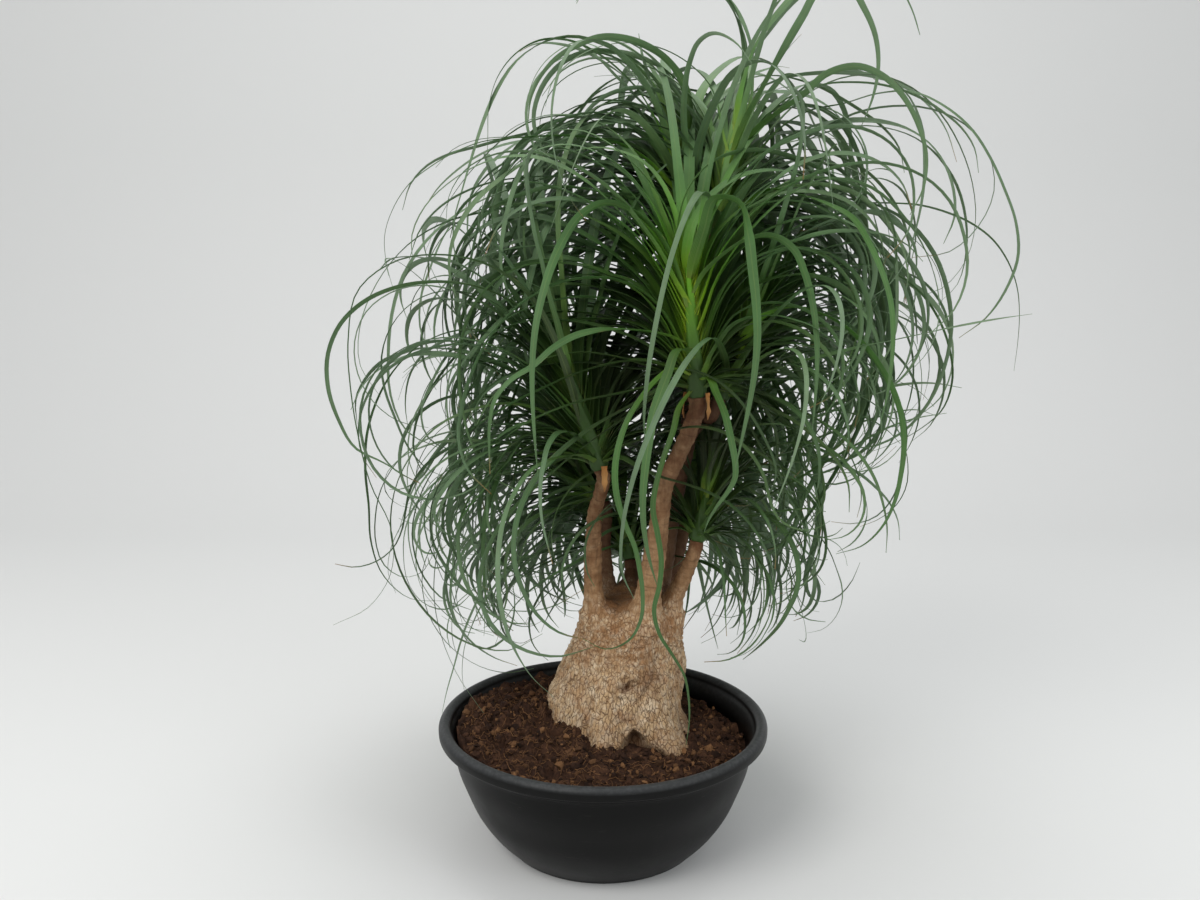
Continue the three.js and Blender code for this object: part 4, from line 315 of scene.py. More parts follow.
        [0.29, 18.0, -0.70, [109, -31, 566, 114, -22, 591, 122, -9, 617, 133, 9, 642, 146, 29, 665, 159, 51, 688, 174, 75, 709, 189, 100, 729, 205, 127, 747, 223, 154, 763, 241, 184, 776, 261, 215, 783, 281, 246, 780, 298, 274, 762, 311, 293, 732]],
        [0.30, 16.6, -0.46, [105, -30, 566, 103, -18, 586, 100, -1, 607, 97, 20, 626, 94, 45, 641, 92, 72, 655, 89, 101, 664, 87, 132, 669, 85, 164, 668, 84, 194, 658, 83, 221, 640, 82, 243, 615, 80, 256, 585, 79, 257, 552, 78, 247, 520]],
        [0.30, 19.9, -0.95, [105, -30, 566, 104, -23, 589, 101, -15, 616, 99, -5, 643, 96, 9, 670, 94, 26, 696, 93, 45, 721, 91, 68, 744, 90, 94, 763, 89, 125, 776, 88, 157, 781, 88, 191, 777, 88, 221, 761, 89, 243, 735, 90, 256, 703]],
        [0.30, 8.2, -0.61, [112, -35, 567, 123, -34, 587, 136, -32, 609, 155, -29, 628, 179, -24, 642, 206, -17, 649, 235, -10, 648, 263, -4, 640, 289, 1, 625, 311, 7, 604, 327, 10, 577, 336, 13, 547, 336, 13, 516, 325, 11, 485, 303, 6, 463]],
        [0.32, 9.7, -1.46, [112, -38, 567, 118, -39, 578, 125, -41, 592, 134, -43, 605, 144, -46, 618, 157, -49, 628, 173, -50, 632, 190, -52, 633, 207, -55, 629, 224, -57, 621, 238, -59, 610, 250, -60, 597, 260, -62, 581, 267, -62, 564, 270, -62, 546]],
        [0.33, 12.3, -0.66, [98, -35, 566, 82, -33, 589, 60, -29, 612, 32, -23, 629, -1, -15, 639, -36, -6, 643, -71, 3, 640, -104, 12, 628, -136, 20, 608, -166, 28, 586, -195, 35, 562, -220, 42, 532, -236, 47, 497, -237, 47, 457, -219, 43, 422]],
        [0.33, 17.8, -0.23, [102, -31, 567, 95, -19, 581, 86, -1, 594, 76, 20, 601, 65, 43, 605, 55, 67, 606, 45, 92, 606, 35, 117, 604, 25, 141, 598, 16, 166, 589, 8, 190, 577, 1, 213, 562, -4, 231, 540, -4, 242, 513, 0, 243, 485]],
        [0.34, 12.0, 0.34, [99, -34, 567, 82, -31, 591, 62, -26, 617, 35, -18, 639, 3, -7, 653, -32, 6, 661, -67, 19, 659, -102, 31, 647, -134, 43, 627, -164, 53, 602, -192, 63, 574, -215, 71, 542, -233, 77, 505, -237, 79, 464, -217, 72, 428]],
        [0.35, 15.4, -0.01, [110, -32, 568, 115, -27, 593, 121, -22, 622, 128, -15, 651, 140, -3, 680, 153, 10, 707, 169, 27, 732, 188, 46, 754, 209, 69, 769, 232, 95, 776, 256, 122, 773, 278, 146, 758, 294, 165, 731, 301, 173, 696, 296, 169, 659]],
        [0.35, 13.3, 1.24, [100, -33, 568, 87, -27, 591, 73, -19, 616, 53, -7, 639, 30, 9, 657, 5, 27, 671, -21, 45, 683, -49, 65, 692, -78, 86, 696, -108, 107, 696, -137, 128, 689, -165, 147, 674, -186, 163, 647, -196, 170, 612, -193, 169, 574]],
        [0.35, 20.0, -1.07, [107, -31, 568, 108, -19, 595, 112, -5, 625, 116, 17, 653, 123, 44, 676, 131, 75, 695, 140, 110, 707, 151, 147, 708, 161, 183, 694, 169, 212, 669, 172, 233, 635, 170, 243, 595, 163, 235, 556, 152, 211, 524, 139, 177, 503]],
        [0.36, 10.7, 1.05, [110, -33, 569, 118, -27, 593, 132, -18, 626, 154, 0, 655, 184, 23, 680, 219, 51, 696, 258, 82, 702, 299, 115, 695, 337, 145, 670, 359, 163, 623, 356, 160, 566, 328, 138, 519, 288, 106, 488, 241, 69, 471, 192, 29, 468]],
        [0.39, 14.1, 0.02, [101, -32, 569, 90, -22, 587, 75, -8, 604, 58, 10, 617, 41, 32, 623, 22, 55, 625, 4, 80, 624, -14, 104, 618, -30, 128, 607, -45, 151, 591, -57, 172, 570, -66, 189, 543, -68, 198, 512, -62, 197, 480, -51, 187, 451]],
        [0.39, 18.7, 0.77, [108, -33, 574, 112, -27, 601, 116, -21, 631, 121, -12, 663, 130, 3, 692, 140, 19, 721, 153, 39, 748, 169, 63, 770, 188, 91, 787, 208, 120, 796, 232, 150, 794, 255, 177, 781, 277, 200, 759, 293, 211, 726, 296, 206, 687]],
        [0.40, 15.8, 0.39, [110, -33, 570, 119, -27, 594, 133, -16, 625, 154, 1, 654, 183, 25, 679, 215, 52, 699, 252, 83, 712, 291, 116, 710, 330, 149, 692, 363, 174, 656, 383, 184, 605, 386, 175, 548, 372, 146, 498]],
        [0.41, 8.4, -0.54, [99, -34, 569, 91, -33, 584, 82, -31, 602, 72, -30, 621, 61, -26, 639, 44, -21, 653, 25, -13, 663, 4, -5, 669, -18, 3, 673, -40, 12, 675, -62, 20, 672, -84, 29, 665, -104, 36, 652, -119, 42, 634, -127, 46, 610]],
        [0.42, 10.1, -0.40, [111, -41, 570, 117, -46, 582, 122, -51, 598, 130, -57, 612, 139, -64, 627, 152, -72, 636, 169, -81, 640, 186, -91, 641, 202, -100, 637, 219, -110, 631, 234, -118, 620, 248, -126, 607, 258, -131, 590, 264, -134, 570, 264, -134, 550]],
        [0.44, 17.7, -1.23, [100, -32, 571, 91, -26, 591, 80, -16, 612, 67, -4, 632, 51, 13, 649, 34, 32, 662, 17, 54, 671, -2, 77, 677, -20, 101, 678, -39, 124, 673, -57, 147, 661, -73, 165, 641, -87, 178, 616, -95, 183, 586, -96, 180, 554]],
        [0.44, 15.2, 0.09, [106, -31, 572, 108, -21, 594, 111, -8, 618, 115, 8, 641, 120, 32, 660, 127, 58, 674, 135, 87, 684, 143, 117, 690, 152, 148, 689, 162, 179, 681, 171, 207, 667, 179, 231, 646, 185, 247, 616, 189, 249, 583, 188, 238, 550]],
        [0.44, 19.3, 0.13, [99, -34, 570, 83, -27, 596, 63, -17, 624, 38, -1, 647, 9, 18, 665, -22, 39, 679, -54, 62, 688, -87, 87, 691, -119, 114, 684, -147, 141, 667, -171, 165, 640, -186, 187, 606, -193, 204, 566, -183, 208, 524, -156, 197, 491]],
        [0.44, 10.1, -0.99, [108, -42, 601, 112, -43, 614, 118, -44, 633, 124, -46, 653, 135, -48, 674, 152, -50, 693, 174, -53, 706, 201, -57, 713, 228, -60, 709, 253, -63, 694, 272, -66, 671, 282, -67, 642, 281, -67, 611, 269, -65, 582, 244, -62, 562]],
        [0.45, 11.0, -1.08, [97, -38, 588, 86, -37, 609, 74, -36, 634, 58, -34, 657, 35, -28, 676, 7, -21, 685, -23, -14, 685, -53, -7, 677, -81, 0, 662, -107, 6, 644, -131, 13, 622, -152, 17, 597, -167, 21, 567, -175, 23, 534, -167, 21, 502]],
        [0.46, 12.9, 0.00, [98, -37, 571, 87, -37, 588, 74, -38, 609, 59, -38, 629, 39, -38, 646, 15, -35, 656, -12, -32, 660, -40, -29, 659, -67, -26, 653, -94, -24, 644, -118, -21, 629, -138, -18, 608, -152, -17, 582, -158, -16, 553, -152, -17, 524]],
        [0.46, 16.3, 0.48, [99, -34, 571, 85, -27, 591, 67, -17, 611, 45, -3, 626, 20, 16, 630, -5, 36, 628, -28, 57, 619, -49, 77, 602, -66, 96, 579, -79, 112, 552, -87, 125, 521, -88, 134, 487, -77, 133, 453, -56, 123, 427, -28, 105, 413]],
        [0.49, 9.6, -1.12, [111, -39, 573, 118, -42, 588, 125, -46, 605, 133, -49, 623, 144, -54, 639, 162, -58, 650, 183, -63, 654, 204, -67, 652, 224, -72, 644, 242, -75, 631, 255, -79, 612, 261, -80, 590, 259, -80, 567, 252, -78, 545, 238, -75, 526]],
        [0.50, 9.3, -1.00, [91, -52, 671, 82, -55, 703, 82, -56, 740, 93, -49, 778, 118, -34, 806, 152, -14, 821, 189, 8, 824, 226, 30, 818, 263, 51, 805, 299, 72, 787, 333, 93, 765, 364, 112, 737, 390, 127, 702, 399, 131, 657, 383, 121, 615]],
        [0.52, 20.0, 0.45, [108, -32, 574, 110, -26, 597, 114, -19, 624, 118, -9, 651, 125, 5, 677, 134, 24, 700, 145, 46, 720, 157, 69, 739, 170, 96, 753, 185, 124, 763, 201, 153, 767, 218, 182, 765, 235, 208, 752, 249, 228, 728, 258, 238, 697]],
        [0.52, 14.9, -1.00, [111, -36, 574, 118, -35, 595, 126, -34, 618, 135, -32, 643, 148, -29, 667, 167, -23, 687, 188, -16, 705, 211, -8, 721, 235, 1, 735, 261, 12, 746, 288, 23, 754, 314, 37, 759, 340, 54, 757, 362, 72, 745, 376, 89, 723]],
        [0.53, 18.3, 0.24, [98, -36, 573, 86, -35, 593, 74, -35, 617, 60, -34, 641, 42, -31, 664, 17, -25, 679, -9, -16, 692, -38, -7, 699, -67, 3, 701, -96, 16, 697, -124, 29, 686, -147, 43, 669, -166, 57, 646, -175, 69, 617, -171, 77, 585]],
        [0.54, 11.9, -0.98, [109, -39, 590, 117, -40, 612, 124, -42, 639, 136, -42, 665, 155, -41, 688, 181, -40, 704, 210, -37, 713, 241, -35, 711, 270, -32, 697, 291, -30, 673, 301, -30, 641, 297, -30, 609, 284, -31, 578, 263, -33, 551, 234, -36, 535]],
        [0.55, 11.0, 0.28, [103, -46, 638, 109, -46, 658, 116, -47, 680, 123, -48, 704, 133, -49, 728, 147, -50, 751, 164, -51, 771, 187, -52, 786, 213, -54, 795, 241, -56, 795, 269, -58, 787, 292, -59, 770, 306, -60, 745, 312, -60, 716, 304, -59, 688]],
        [0.58, 11.7, 1.96, [98, -35, 575, 84, -32, 595, 67, -26, 616, 45, -17, 631, 19, -5, 638, -8, 9, 639, -36, 24, 636, -64, 38, 629, -90, 52, 617, -114, 64, 598, -134, 75, 574, -150, 83, 546, -160, 88, 514, -159, 88, 480, -147, 81, 449]],
        [0.59, 17.2, 0.41, [103, -33, 584, 99, -26, 607, 95, -19, 634, 91, -10, 662, 86, 4, 688, 81, 25, 712, 75, 47, 734, 70, 72, 754, 65, 100, 769, 60, 132, 779, 57, 165, 781, 56, 198, 772, 56, 227, 753, 59, 247, 725, 63, 255, 692]],
        [0.59, 12.9, 0.70, [97, -40, 589, 83, -42, 612, 69, -44, 639, 48, -46, 663, 18, -46, 678, -16, -46, 681, -50, -46, 675, -82, -46, 659, -110, -46, 636, -132, -46, 607, -148, -46, 574, -159, -46, 538, -164, -45, 501, -154, -44, 465, -128, -43, 437]],
        [0.60, 17.0, 0.96, [106, -32, 577, 108, -23, 606, 111, -12, 638, 115, 2, 671, 123, 26, 699, 133, 55, 722, 144, 88, 741, 158, 124, 750, 172, 161, 749, 187, 196, 732, 201, 221, 703, 212, 236, 666, 218, 237, 624, 216, 219, 586, 206, 186, 560]],
        [0.60, 9.3, 1.88, [101, -48, 652, 105, -47, 669, 111, -46, 688, 118, -44, 708, 129, -43, 727, 144, -42, 744, 162, -40, 758, 183, -37, 769, 205, -35, 775, 229, -33, 776, 253, -30, 773, 276, -27, 764, 295, -26, 749, 310, -24, 729, 317, -24, 705]],
        [0.60, 17.4, -0.39, [103, -32, 577, 100, -24, 597, 96, -14, 620, 93, -2, 644, 89, 17, 664, 85, 42, 676, 81, 70, 682, 78, 99, 682, 76, 128, 676, 75, 155, 664, 75, 180, 645, 76, 198, 621, 79, 207, 591, 83, 202, 561, 88, 186, 535]],
        [0.60, 14.2, -0.81, [99, -35, 576, 90, -32, 595, 80, -29, 618, 69, -25, 641, 56, -18, 664, 38, -9, 683, 18, 4, 699, -3, 18, 713, -25, 33, 725, -48, 49, 733, -73, 66, 735, -98, 82, 732, -122, 97, 720, -142, 109, 701, -156, 116, 675]],
        [0.61, 14.2, -0.35, [100, -33, 577, 93, -28, 597, 86, -23, 619, 77, -17, 643, 67, -9, 666, 53, 7, 683, 37, 27, 696, 21, 49, 702, 6, 73, 702, -9, 97, 694, -22, 120, 681, -31, 139, 660, -35, 151, 633, -33, 154, 603, -24, 146, 575]],
        [0.61, 17.1, -0.15, [99, -35, 587, 91, -30, 609, 82, -25, 635, 72, -18, 661, 59, -6, 686, 43, 10, 707, 26, 28, 726, 8, 49, 742, -12, 72, 754, -32, 97, 762, -52, 124, 762, -71, 151, 756, -87, 176, 741, -98, 196, 715, -102, 208, 683]],
        [0.61, 10.5, 0.28, [106, -42, 614, 114, -42, 640, 123, -42, 670, 139, -41, 698, 164, -38, 722, 194, -34, 739, 228, -28, 748, 263, -23, 747, 296, -19, 730, 317, -15, 701, 325, -14, 665, 324, -14, 627, 315, -15, 589, 300, -18, 554, 269, -22, 531]],
        [0.61, 18.9, -0.79, [98, -36, 582, 83, -34, 610, 67, -30, 642, 47, -25, 674, 20, -15, 701, -11, -2, 724, -45, 14, 742, -81, 32, 753, -118, 53, 752, -152, 74, 738, -179, 93, 709, -196, 108, 671, -203, 117, 628, -197, 117, 584, -171, 107, 549]],
        [0.62, 15.7, 0.33, [106, -32, 578, 107, -24, 604, 108, -15, 634, 110, -5, 664, 114, 14, 692, 120, 40, 714, 129, 69, 731, 139, 102, 742, 149, 136, 746, 160, 171, 742, 173, 203, 728, 186, 230, 706, 198, 247, 674, 205, 250, 637, 208, 241, 600]],
        [0.62, 11.6, 0.43, [93, -50, 651, 86, -53, 663, 76, -57, 680, 66, -62, 700, 54, -67, 720, 38, -74, 740, 21, -82, 760, 0, -91, 778, -23, -102, 792, -50, -113, 803, -78, -126, 807, -107, -139, 803, -134, -151, 789, -152, -159, 763, -157, -161, 730]],
        [0.63, 10.5, 0.60, [97, -38, 577, 81, -39, 604, 65, -41, 637, 40, -41, 665, 6, -38, 684, -32, -33, 696, -73, -28, 698, -112, -25, 685, -143, -21, 656, -160, -19, 617, -165, -18, 573, -162, -18, 530, -150, -20, 487, -125, -23, 451, -84, -27, 433]],
        [0.63, 17.2, -0.33, [101, -37, 606, 99, -30, 630, 95, -22, 658, 92, -11, 687, 89, 5, 715, 86, 26, 739, 83, 51, 761, 80, 81, 778, 79, 114, 788, 78, 149, 788, 78, 182, 778, 79, 211, 758, 80, 231, 728, 83, 236, 693, 86, 225, 658]],
        [0.63, 17.3, 0.14, [106, -39, 604, 113, -37, 628, 120, -35, 655, 129, -32, 684, 142, -25, 711, 159, -16, 737, 178, -6, 761, 201, 7, 781, 227, 23, 795, 255, 41, 799, 283, 60, 792, 306, 77, 774, 322, 89, 745, 327, 95, 711, 319, 92, 677]],
        [0.65, 8.7, -1.04, [108, -42, 599, 114, -43, 615, 120, -45, 634, 127, -47, 655, 136, -50, 674, 150, -51, 691, 169, -52, 704, 190, -54, 714, 212, -55, 722, 235, -56, 729, 259, -58, 732, 283, -59, 731, 307, -61, 727, 330, -62, 717, 348, -63, 699]],
        [0.67, 17.9, -0.62, [100, -34, 579, 88, -24, 607, 74, -14, 639, 56, 2, 668, 32, 29, 684, 8, 61, 692, -16, 95, 691, -39, 128, 679, -57, 159, 656, -72, 184, 624, -80, 201, 585, -84, 209, 542, -81, 206, 498, -68, 185, 461, -46, 151, 441]],
        [0.67, 14.3, -0.01, [105, -39, 610, 109, -35, 631, 114, -30, 655, 118, -26, 681, 126, -18, 706, 134, -9, 730, 146, 3, 753, 159, 17, 775, 174, 32, 795, 191, 51, 811, 210, 72, 822, 231, 93, 825, 251, 115, 819, 269, 134, 803, 281, 148, 778]],
        [0.68, 10.7, 0.60, [95, -50, 678, 94, -48, 690, 91, -50, 708, 94, -50, 728, 102, -46, 748, 115, -41, 767, 133, -34, 783, 154, -25, 794, 178, -15, 800, 203, -4, 801, 229, 6, 796, 253, 16, 784, 273, 25, 764, 284, 29, 737, 283, 29, 707]],
        [0.69, 11.8, -0.35, [95, -42, 622, 83, -40, 646, 69, -38, 674, 51, -32, 701, 27, -24, 724, -1, -14, 742, -32, -4, 755, -65, 8, 763, -100, 21, 766, -135, 33, 763, -168, 44, 750, -195, 54, 726, -213, 60, 693, -220, 62, 655, -209, 58, 619]],
        [0.70, 10.0, 1.23, [97, -39, 609, 88, -35, 632, 79, -30, 658, 66, -22, 684, 48, -8, 704, 26, 9, 719, 3, 28, 730, -21, 48, 738, -47, 69, 743, -73, 90, 745, -99, 112, 743, -125, 134, 736, -149, 154, 722, -168, 169, 697, -178, 176, 664]],
        [0.71, 13.3, -0.97, [110, -37, 581, 117, -36, 605, 125, -35, 632, 135, -34, 661, 150, -29, 688, 173, -22, 708, 199, -12, 726, 226, -2, 741, 256, 11, 751, 286, 25, 757, 317, 40, 758, 346, 58, 750, 371, 77, 735, 388, 96, 710, 391, 109, 678]],
        [0.72, 10.8, 0.16, [105, -45, 620, 115, -48, 646, 124, -52, 676, 140, -55, 706, 161, -58, 733, 186, -62, 758, 216, -66, 779, 251, -71, 786, 287, -76, 775, 315, -80, 751, 338, -83, 720, 354, -85, 685, 361, -86, 646, 354, -86, 608, 330, -83, 576]],
        [0.74, 8.7, -0.35, [94, -48, 666, 87, -42, 686, 79, -36, 715, 68, -28, 747, 55, -17, 781, 39, -4, 815, 15, 15, 844, -16, 39, 864, -51, 67, 872, -87, 97, 870, -123, 125, 854, -157, 152, 829, -189, 177, 798, -217, 200, 761, -240, 218, 717]],
        [0.75, 16.6, -0.32, [100, -40, 626, 98, -34, 648, 96, -26, 673, 94, -17, 699, 92, -4, 725, 90, 13, 749, 89, 31, 773, 87, 53, 794, 86, 79, 811, 85, 108, 824, 84, 139, 831, 83, 171, 830, 82, 201, 819, 81, 224, 796, 81, 235, 765]],
        [0.76, 9.3, 0.17, [92, -50, 673, 84, -46, 692, 74, -42, 715, 61, -38, 737, 46, -32, 758, 28, -25, 778, 9, -19, 797, -14, -11, 813, -39, -2, 824, -65, 8, 834, -92, 17, 840, -120, 27, 842, -149, 37, 840, -176, 47, 831, -198, 54, 811]],
        [0.76, 13.8, 0.19, [96, -44, 645, 88, -37, 671, 80, -29, 700, 70, -19, 731, 59, -6, 761, 47, 10, 791, 34, 29, 819, 19, 53, 842, 3, 82, 858, -13, 116, 864, -28, 150, 855, -38, 181, 834, -42, 200, 801, -37, 205, 762, -26, 197, 725]],
        [0.77, 12.1, -0.05, [97, -41, 621, 91, -36, 636, 85, -32, 654, 78, -29, 674, 71, -23, 693, 63, -16, 712, 53, -5, 729, 42, 6, 745, 30, 19, 760, 18, 34, 773, 5, 51, 783, -9, 69, 789, -22, 89, 790, -35, 109, 784, -45, 127, 772]],
        [0.77, 13.7, 0.97, [98, -40, 624, 94, -34, 644, 90, -28, 668, 85, -20, 692, 79, -10, 716, 73, 5, 738, 66, 22, 760, 60, 41, 780, 53, 63, 798, 46, 86, 814, 40, 112, 827, 35, 140, 836, 33, 170, 839, 33, 200, 833, 37, 224, 815]],
        [0.78, 9.3, -0.89, [103, -47, 639, 113, -50, 666, 123, -52, 697, 141, -55, 726, 165, -58, 753, 194, -61, 775, 227, -64, 791, 264, -69, 801, 302, -73, 801, 339, -77, 788, 368, -80, 762, 385, -81, 726, 390, -82, 686, 379, -81, 648, 351, -78, 618]],
        [0.79, 8.5, 0.21, [102, -46, 641, 110, -44, 671, 121, -41, 704, 140, -35, 736, 165, -27, 763, 198, -16, 783, 234, -3, 793, 273, 10, 792, 309, 23, 777, 337, 32, 748, 346, 35, 707, 331, 30, 668, 298, 18, 643, 257, 4, 636, 218, -10, 651]],
        [0.80, 10.3, -0.89, [94, -46, 640, 81, -45, 663, 68, -43, 689, 51, -40, 716, 30, -35, 741, 7, -30, 765, -18, -24, 787, -47, -17, 805, -80, -9, 816, -114, -1, 816, -148, 7, 806, -179, 14, 788, -206, 21, 764, -223, 26, 732, -223, 27, 695]],
        [0.80, 7.9, -0.06, [96, -56, 682, 100, -66, 702, 104, -76, 726, 106, -85, 752, 109, -96, 778, 113, -107, 805, 119, -120, 831, 125, -134, 857, 134, -150, 882, 144, -168, 905, 156, -188, 925, 171, -212, 941, 189, -237, 949, 209, -262, 944, 227, -282, 927]],
        [0.81, 10.1, -0.28, [91, -52, 680, 80, -49, 702, 69, -47, 727, 57, -46, 754, 40, -43, 780, 18, -40, 802, -9, -37, 818, -40, -32, 826, -72, -28, 821, -100, -24, 803, -119, -21, 776, -124, -21, 743, -115, -21, 710, -93, -24, 683, -63, -29, 667]],
        [0.82, 13.9, 0.19, [99, -44, 645, 101, -36, 675, 103, -27, 710, 108, -13, 745, 113, 4, 780, 121, 24, 815, 129, 48, 847, 140, 78, 873, 155, 115, 888, 171, 154, 887, 187, 189, 868, 199, 211, 833, 204, 218, 790, 201, 204, 748, 190, 174, 717]],
        [0.83, 13.1, -0.10, [97, -40, 621, 90, -34, 644, 82, -28, 670, 73, -20, 697, 62, -8, 723, 49, 9, 746, 35, 28, 769, 21, 48, 790, 6, 70, 810, -10, 94, 826, -27, 121, 838, -44, 150, 845, -59, 181, 841, -71, 209, 824, -79, 231, 798]],
        [0.85, 9.1, 1.53, [102, -48, 643, 109, -49, 661, 116, -50, 682, 124, -52, 704, 134, -53, 725, 147, -54, 746, 164, -55, 765, 182, -55, 782, 203, -56, 798, 227, -57, 809, 253, -59, 814, 279, -60, 811, 304, -60, 800, 323, -61, 781, 334, -61, 755]],
        [0.87, 9.0, 0.73, [93, -48, 662, 81, -45, 685, 69, -41, 711, 51, -35, 736, 29, -27, 758, 3, -16, 774, -28, -5, 782, -60, 7, 784, -92, 20, 778, -122, 31, 766, -149, 42, 746, -172, 50, 719, -183, 55, 685, -181, 55, 649, -164, 48, 618]],
        [0.88, 7.7, -1.98, [93, -50, 681, 88, -47, 699, 84, -46, 724, 78, -44, 753, 66, -38, 782, 46, -27, 807, 17, -13, 822, -16, 4, 827, -49, 21, 818, -76, 35, 793, -91, 42, 755, -93, 44, 713, -83, 38, 672, -59, 26, 637, -25, 9, 615]],
        [0.88, 14.9, -0.26, [97, -47, 662, 96, -39, 689, 96, -29, 719, 96, -18, 751, 97, -2, 781, 99, 17, 811, 101, 40, 840, 104, 67, 864, 109, 100, 882, 114, 136, 890, 119, 174, 888, 124, 209, 872, 127, 236, 844, 128, 247, 807, 127, 242, 768]],
        [0.89, 12.2, -0.33, [97, -41, 624, 88, -33, 651, 77, -24, 689, 61, -7, 728, 38, 24, 761, 13, 61, 790, -14, 106, 810, -43, 157, 814, -69, 208, 796, -88, 251, 755, -94, 270, 694, -85, 254, 632, -65, 208, 587]],
        [0.89, 9.7, -1.46, [100, -48, 654, 107, -45, 677, 114, -43, 704, 127, -39, 731, 147, -31, 752, 171, -20, 769, 199, -9, 780, 228, 4, 786, 259, 17, 787, 289, 29, 781, 317, 42, 767, 341, 52, 745, 360, 59, 718, 369, 63, 684, 363, 60, 650]],
        [0.90, 9.8, -0.96, [98, -51, 673, 105, -52, 696, 111, -54, 724, 121, -54, 751, 137, -55, 777, 158, -56, 800, 183, -57, 819, 212, -59, 833, 244, -60, 841, 277, -61, 839, 307, -62, 824, 328, -63, 798, 335, -64, 764, 330, -64, 731, 309, -64, 703]],
        [0.92, 12.3, -0.27, [100, -46, 652, 104, -41, 674, 108, -36, 699, 114, -30, 725, 122, -20, 751, 132, -9, 776, 143, 4, 800, 156, 20, 822, 171, 38, 842, 187, 59, 858, 206, 83, 866, 225, 109, 868, 242, 134, 860, 257, 157, 843, 265, 171, 815]],
        [0.92, 13.8, -0.50, [102, -45, 640, 107, -41, 662, 113, -38, 688, 120, -33, 714, 130, -25, 740, 143, -15, 764, 158, -3, 787, 175, 10, 809, 194, 26, 828, 215, 44, 843, 238, 64, 851, 261, 86, 853, 283, 109, 845, 301, 129, 827, 311, 144, 800]],
        [0.93, 12.9, 0.56, [94, -44, 631, 83, -43, 651, 72, -42, 674, 58, -41, 697, 43, -37, 720, 22, -31, 740, -1, -24, 756, -26, -15, 771, -52, -5, 782, -79, 7, 789, -107, 20, 790, -134, 36, 785, -158, 54, 775, -177, 71, 757, -187, 86, 731]],
        [0.94, 12.6, -0.43, [94, -46, 655, 88, -41, 675, 81, -35, 697, 73, -28, 720, 63, -18, 742, 53, -5, 764, 41, 10, 783, 27, 27, 800, 13, 48, 813, -3, 71, 820, -19, 95, 819, -35, 118, 811, -49, 138, 795, -59, 152, 770, -61, 156, 741]],
        [0.94, 13.1, -0.51, [94, -50, 679, 93, -45, 695, 91, -40, 718, 88, -36, 744, 86, -28, 773, 83, -19, 802, 80, -8, 833, 77, 6, 864, 73, 25, 894, 68, 50, 920, 61, 83, 936, 52, 120, 935, 40, 151, 914]],
        [0.94, 8.0, -0.51, [100, -49, 657, 105, -49, 670, 110, -49, 689, 116, -50, 710, 127, -50, 731, 145, -48, 748, 169, -45, 760, 196, -42, 765, 224, -38, 763, 251, -35, 753, 276, -32, 735, 294, -30, 710, 300, -29, 680]],
        [0.96, 6.4, 0.24, [98, -49, 667, 102, -47, 688, 105, -46, 712, 109, -44, 737, 119, -38, 761, 133, -28, 781, 150, -16, 799, 170, -4, 815, 191, 11, 827, 214, 26, 836, 238, 42, 842, 263, 58, 846, 287, 74, 844, 310, 91, 834, 327, 104, 814]],
        [0.98, 9.0, -0.22, [91, -51, 676, 84, -51, 696, 80, -52, 720, 74, -54, 744, 62, -55, 767, 46, -55, 789, 27, -55, 808, 5, -55, 825, -21, -55, 837, -50, -55, 838, -77, -55, 829, -101, -55, 812, -120, -55, 790, -131, -55, 763, -132, -55, 733]],
        [0.98, 10.6, 0.86, [92, -49, 670, 85, -46, 689, 76, -42, 711, 67, -39, 734, 56, -32, 756, 42, -24, 777, 27, -13, 797, 11, 1, 814, -8, 17, 828, -27, 35, 837, -46, 56, 841, -65, 77, 838, -80, 100, 829, -91, 121, 812, -97, 138, 788]],
        [1.00, 12.1, -0.08, [98, -50, 670, 106, -45, 703, 116, -40, 741, 131, -30, 778, 151, -18, 814, 176, -1, 847, 206, 22, 871, 241, 49, 880, 276, 78, 873, 305, 105, 849, 325, 126, 811, 332, 139, 766, 324, 142, 718, 299, 129, 680, 263, 103, 661]],
        [0.21, 12.8, 0.58, [111, -33, 563, 124, -27, 581, 142, -16, 596, 164, -3, 607, 186, 12, 616, 210, 29, 620, 235, 46, 621, 258, 64, 615, 278, 83, 603, 293, 101, 581, 299, 113, 553, 294, 118, 522, 280, 117, 493, 259, 108, 470, 234, 93, 456]],
        [0.30, 15.0, -0.45, [98, -36, 565, 82, -35, 582, 62, -34, 598, 38, -31, 612, 11, -27, 623, -17, -22, 630, -46, -17, 634, -76, -11, 634, -105, -4, 628, -133, 2, 615, -156, 9, 594, -174, 15, 568, -182, 18, 537, -179, 18, 505, -163, 16, 477]],
        [0.44, 15.0, -0.37, [110, -34, 571, 119, -30, 592, 130, -25, 615, 144, -18, 638, 163, -8, 657, 184, 5, 673, 207, 19, 686, 232, 35, 694, 258, 52, 698, 283, 71, 695, 306, 90, 685, 324, 110, 667, 335, 127, 643, 336, 140, 613, 325, 143, 582]],
        [0.09, 14.4, -0.12, [99, -35, 557, 77, -29, 560, 54, -23, 545, 31, -14, 529, 6, -7, 513, -19, 1, 496, -44, 8, 477, -68, 16, 456, -91, 23, 434, -112, 30, 409, -130, 35, 381, -141, 39, 349, -142, 40, 315, -131, 37, 283, -106, 31, 259]],
        [0.46, 15.0, -0.04, [98, -35, 571, 80, -30, 593, 58, -24, 612, 34, -15, 624, 7, -4, 626, -19, 9, 623, -43, 22, 615, -65, 35, 601, -84, 47, 583, -99, 58, 561, -110, 68, 536, -117, 78, 509, -119, 84, 481, -104, 79, 458, -80, 64, 457, -63, 50, 475, -57, 41, 502]],
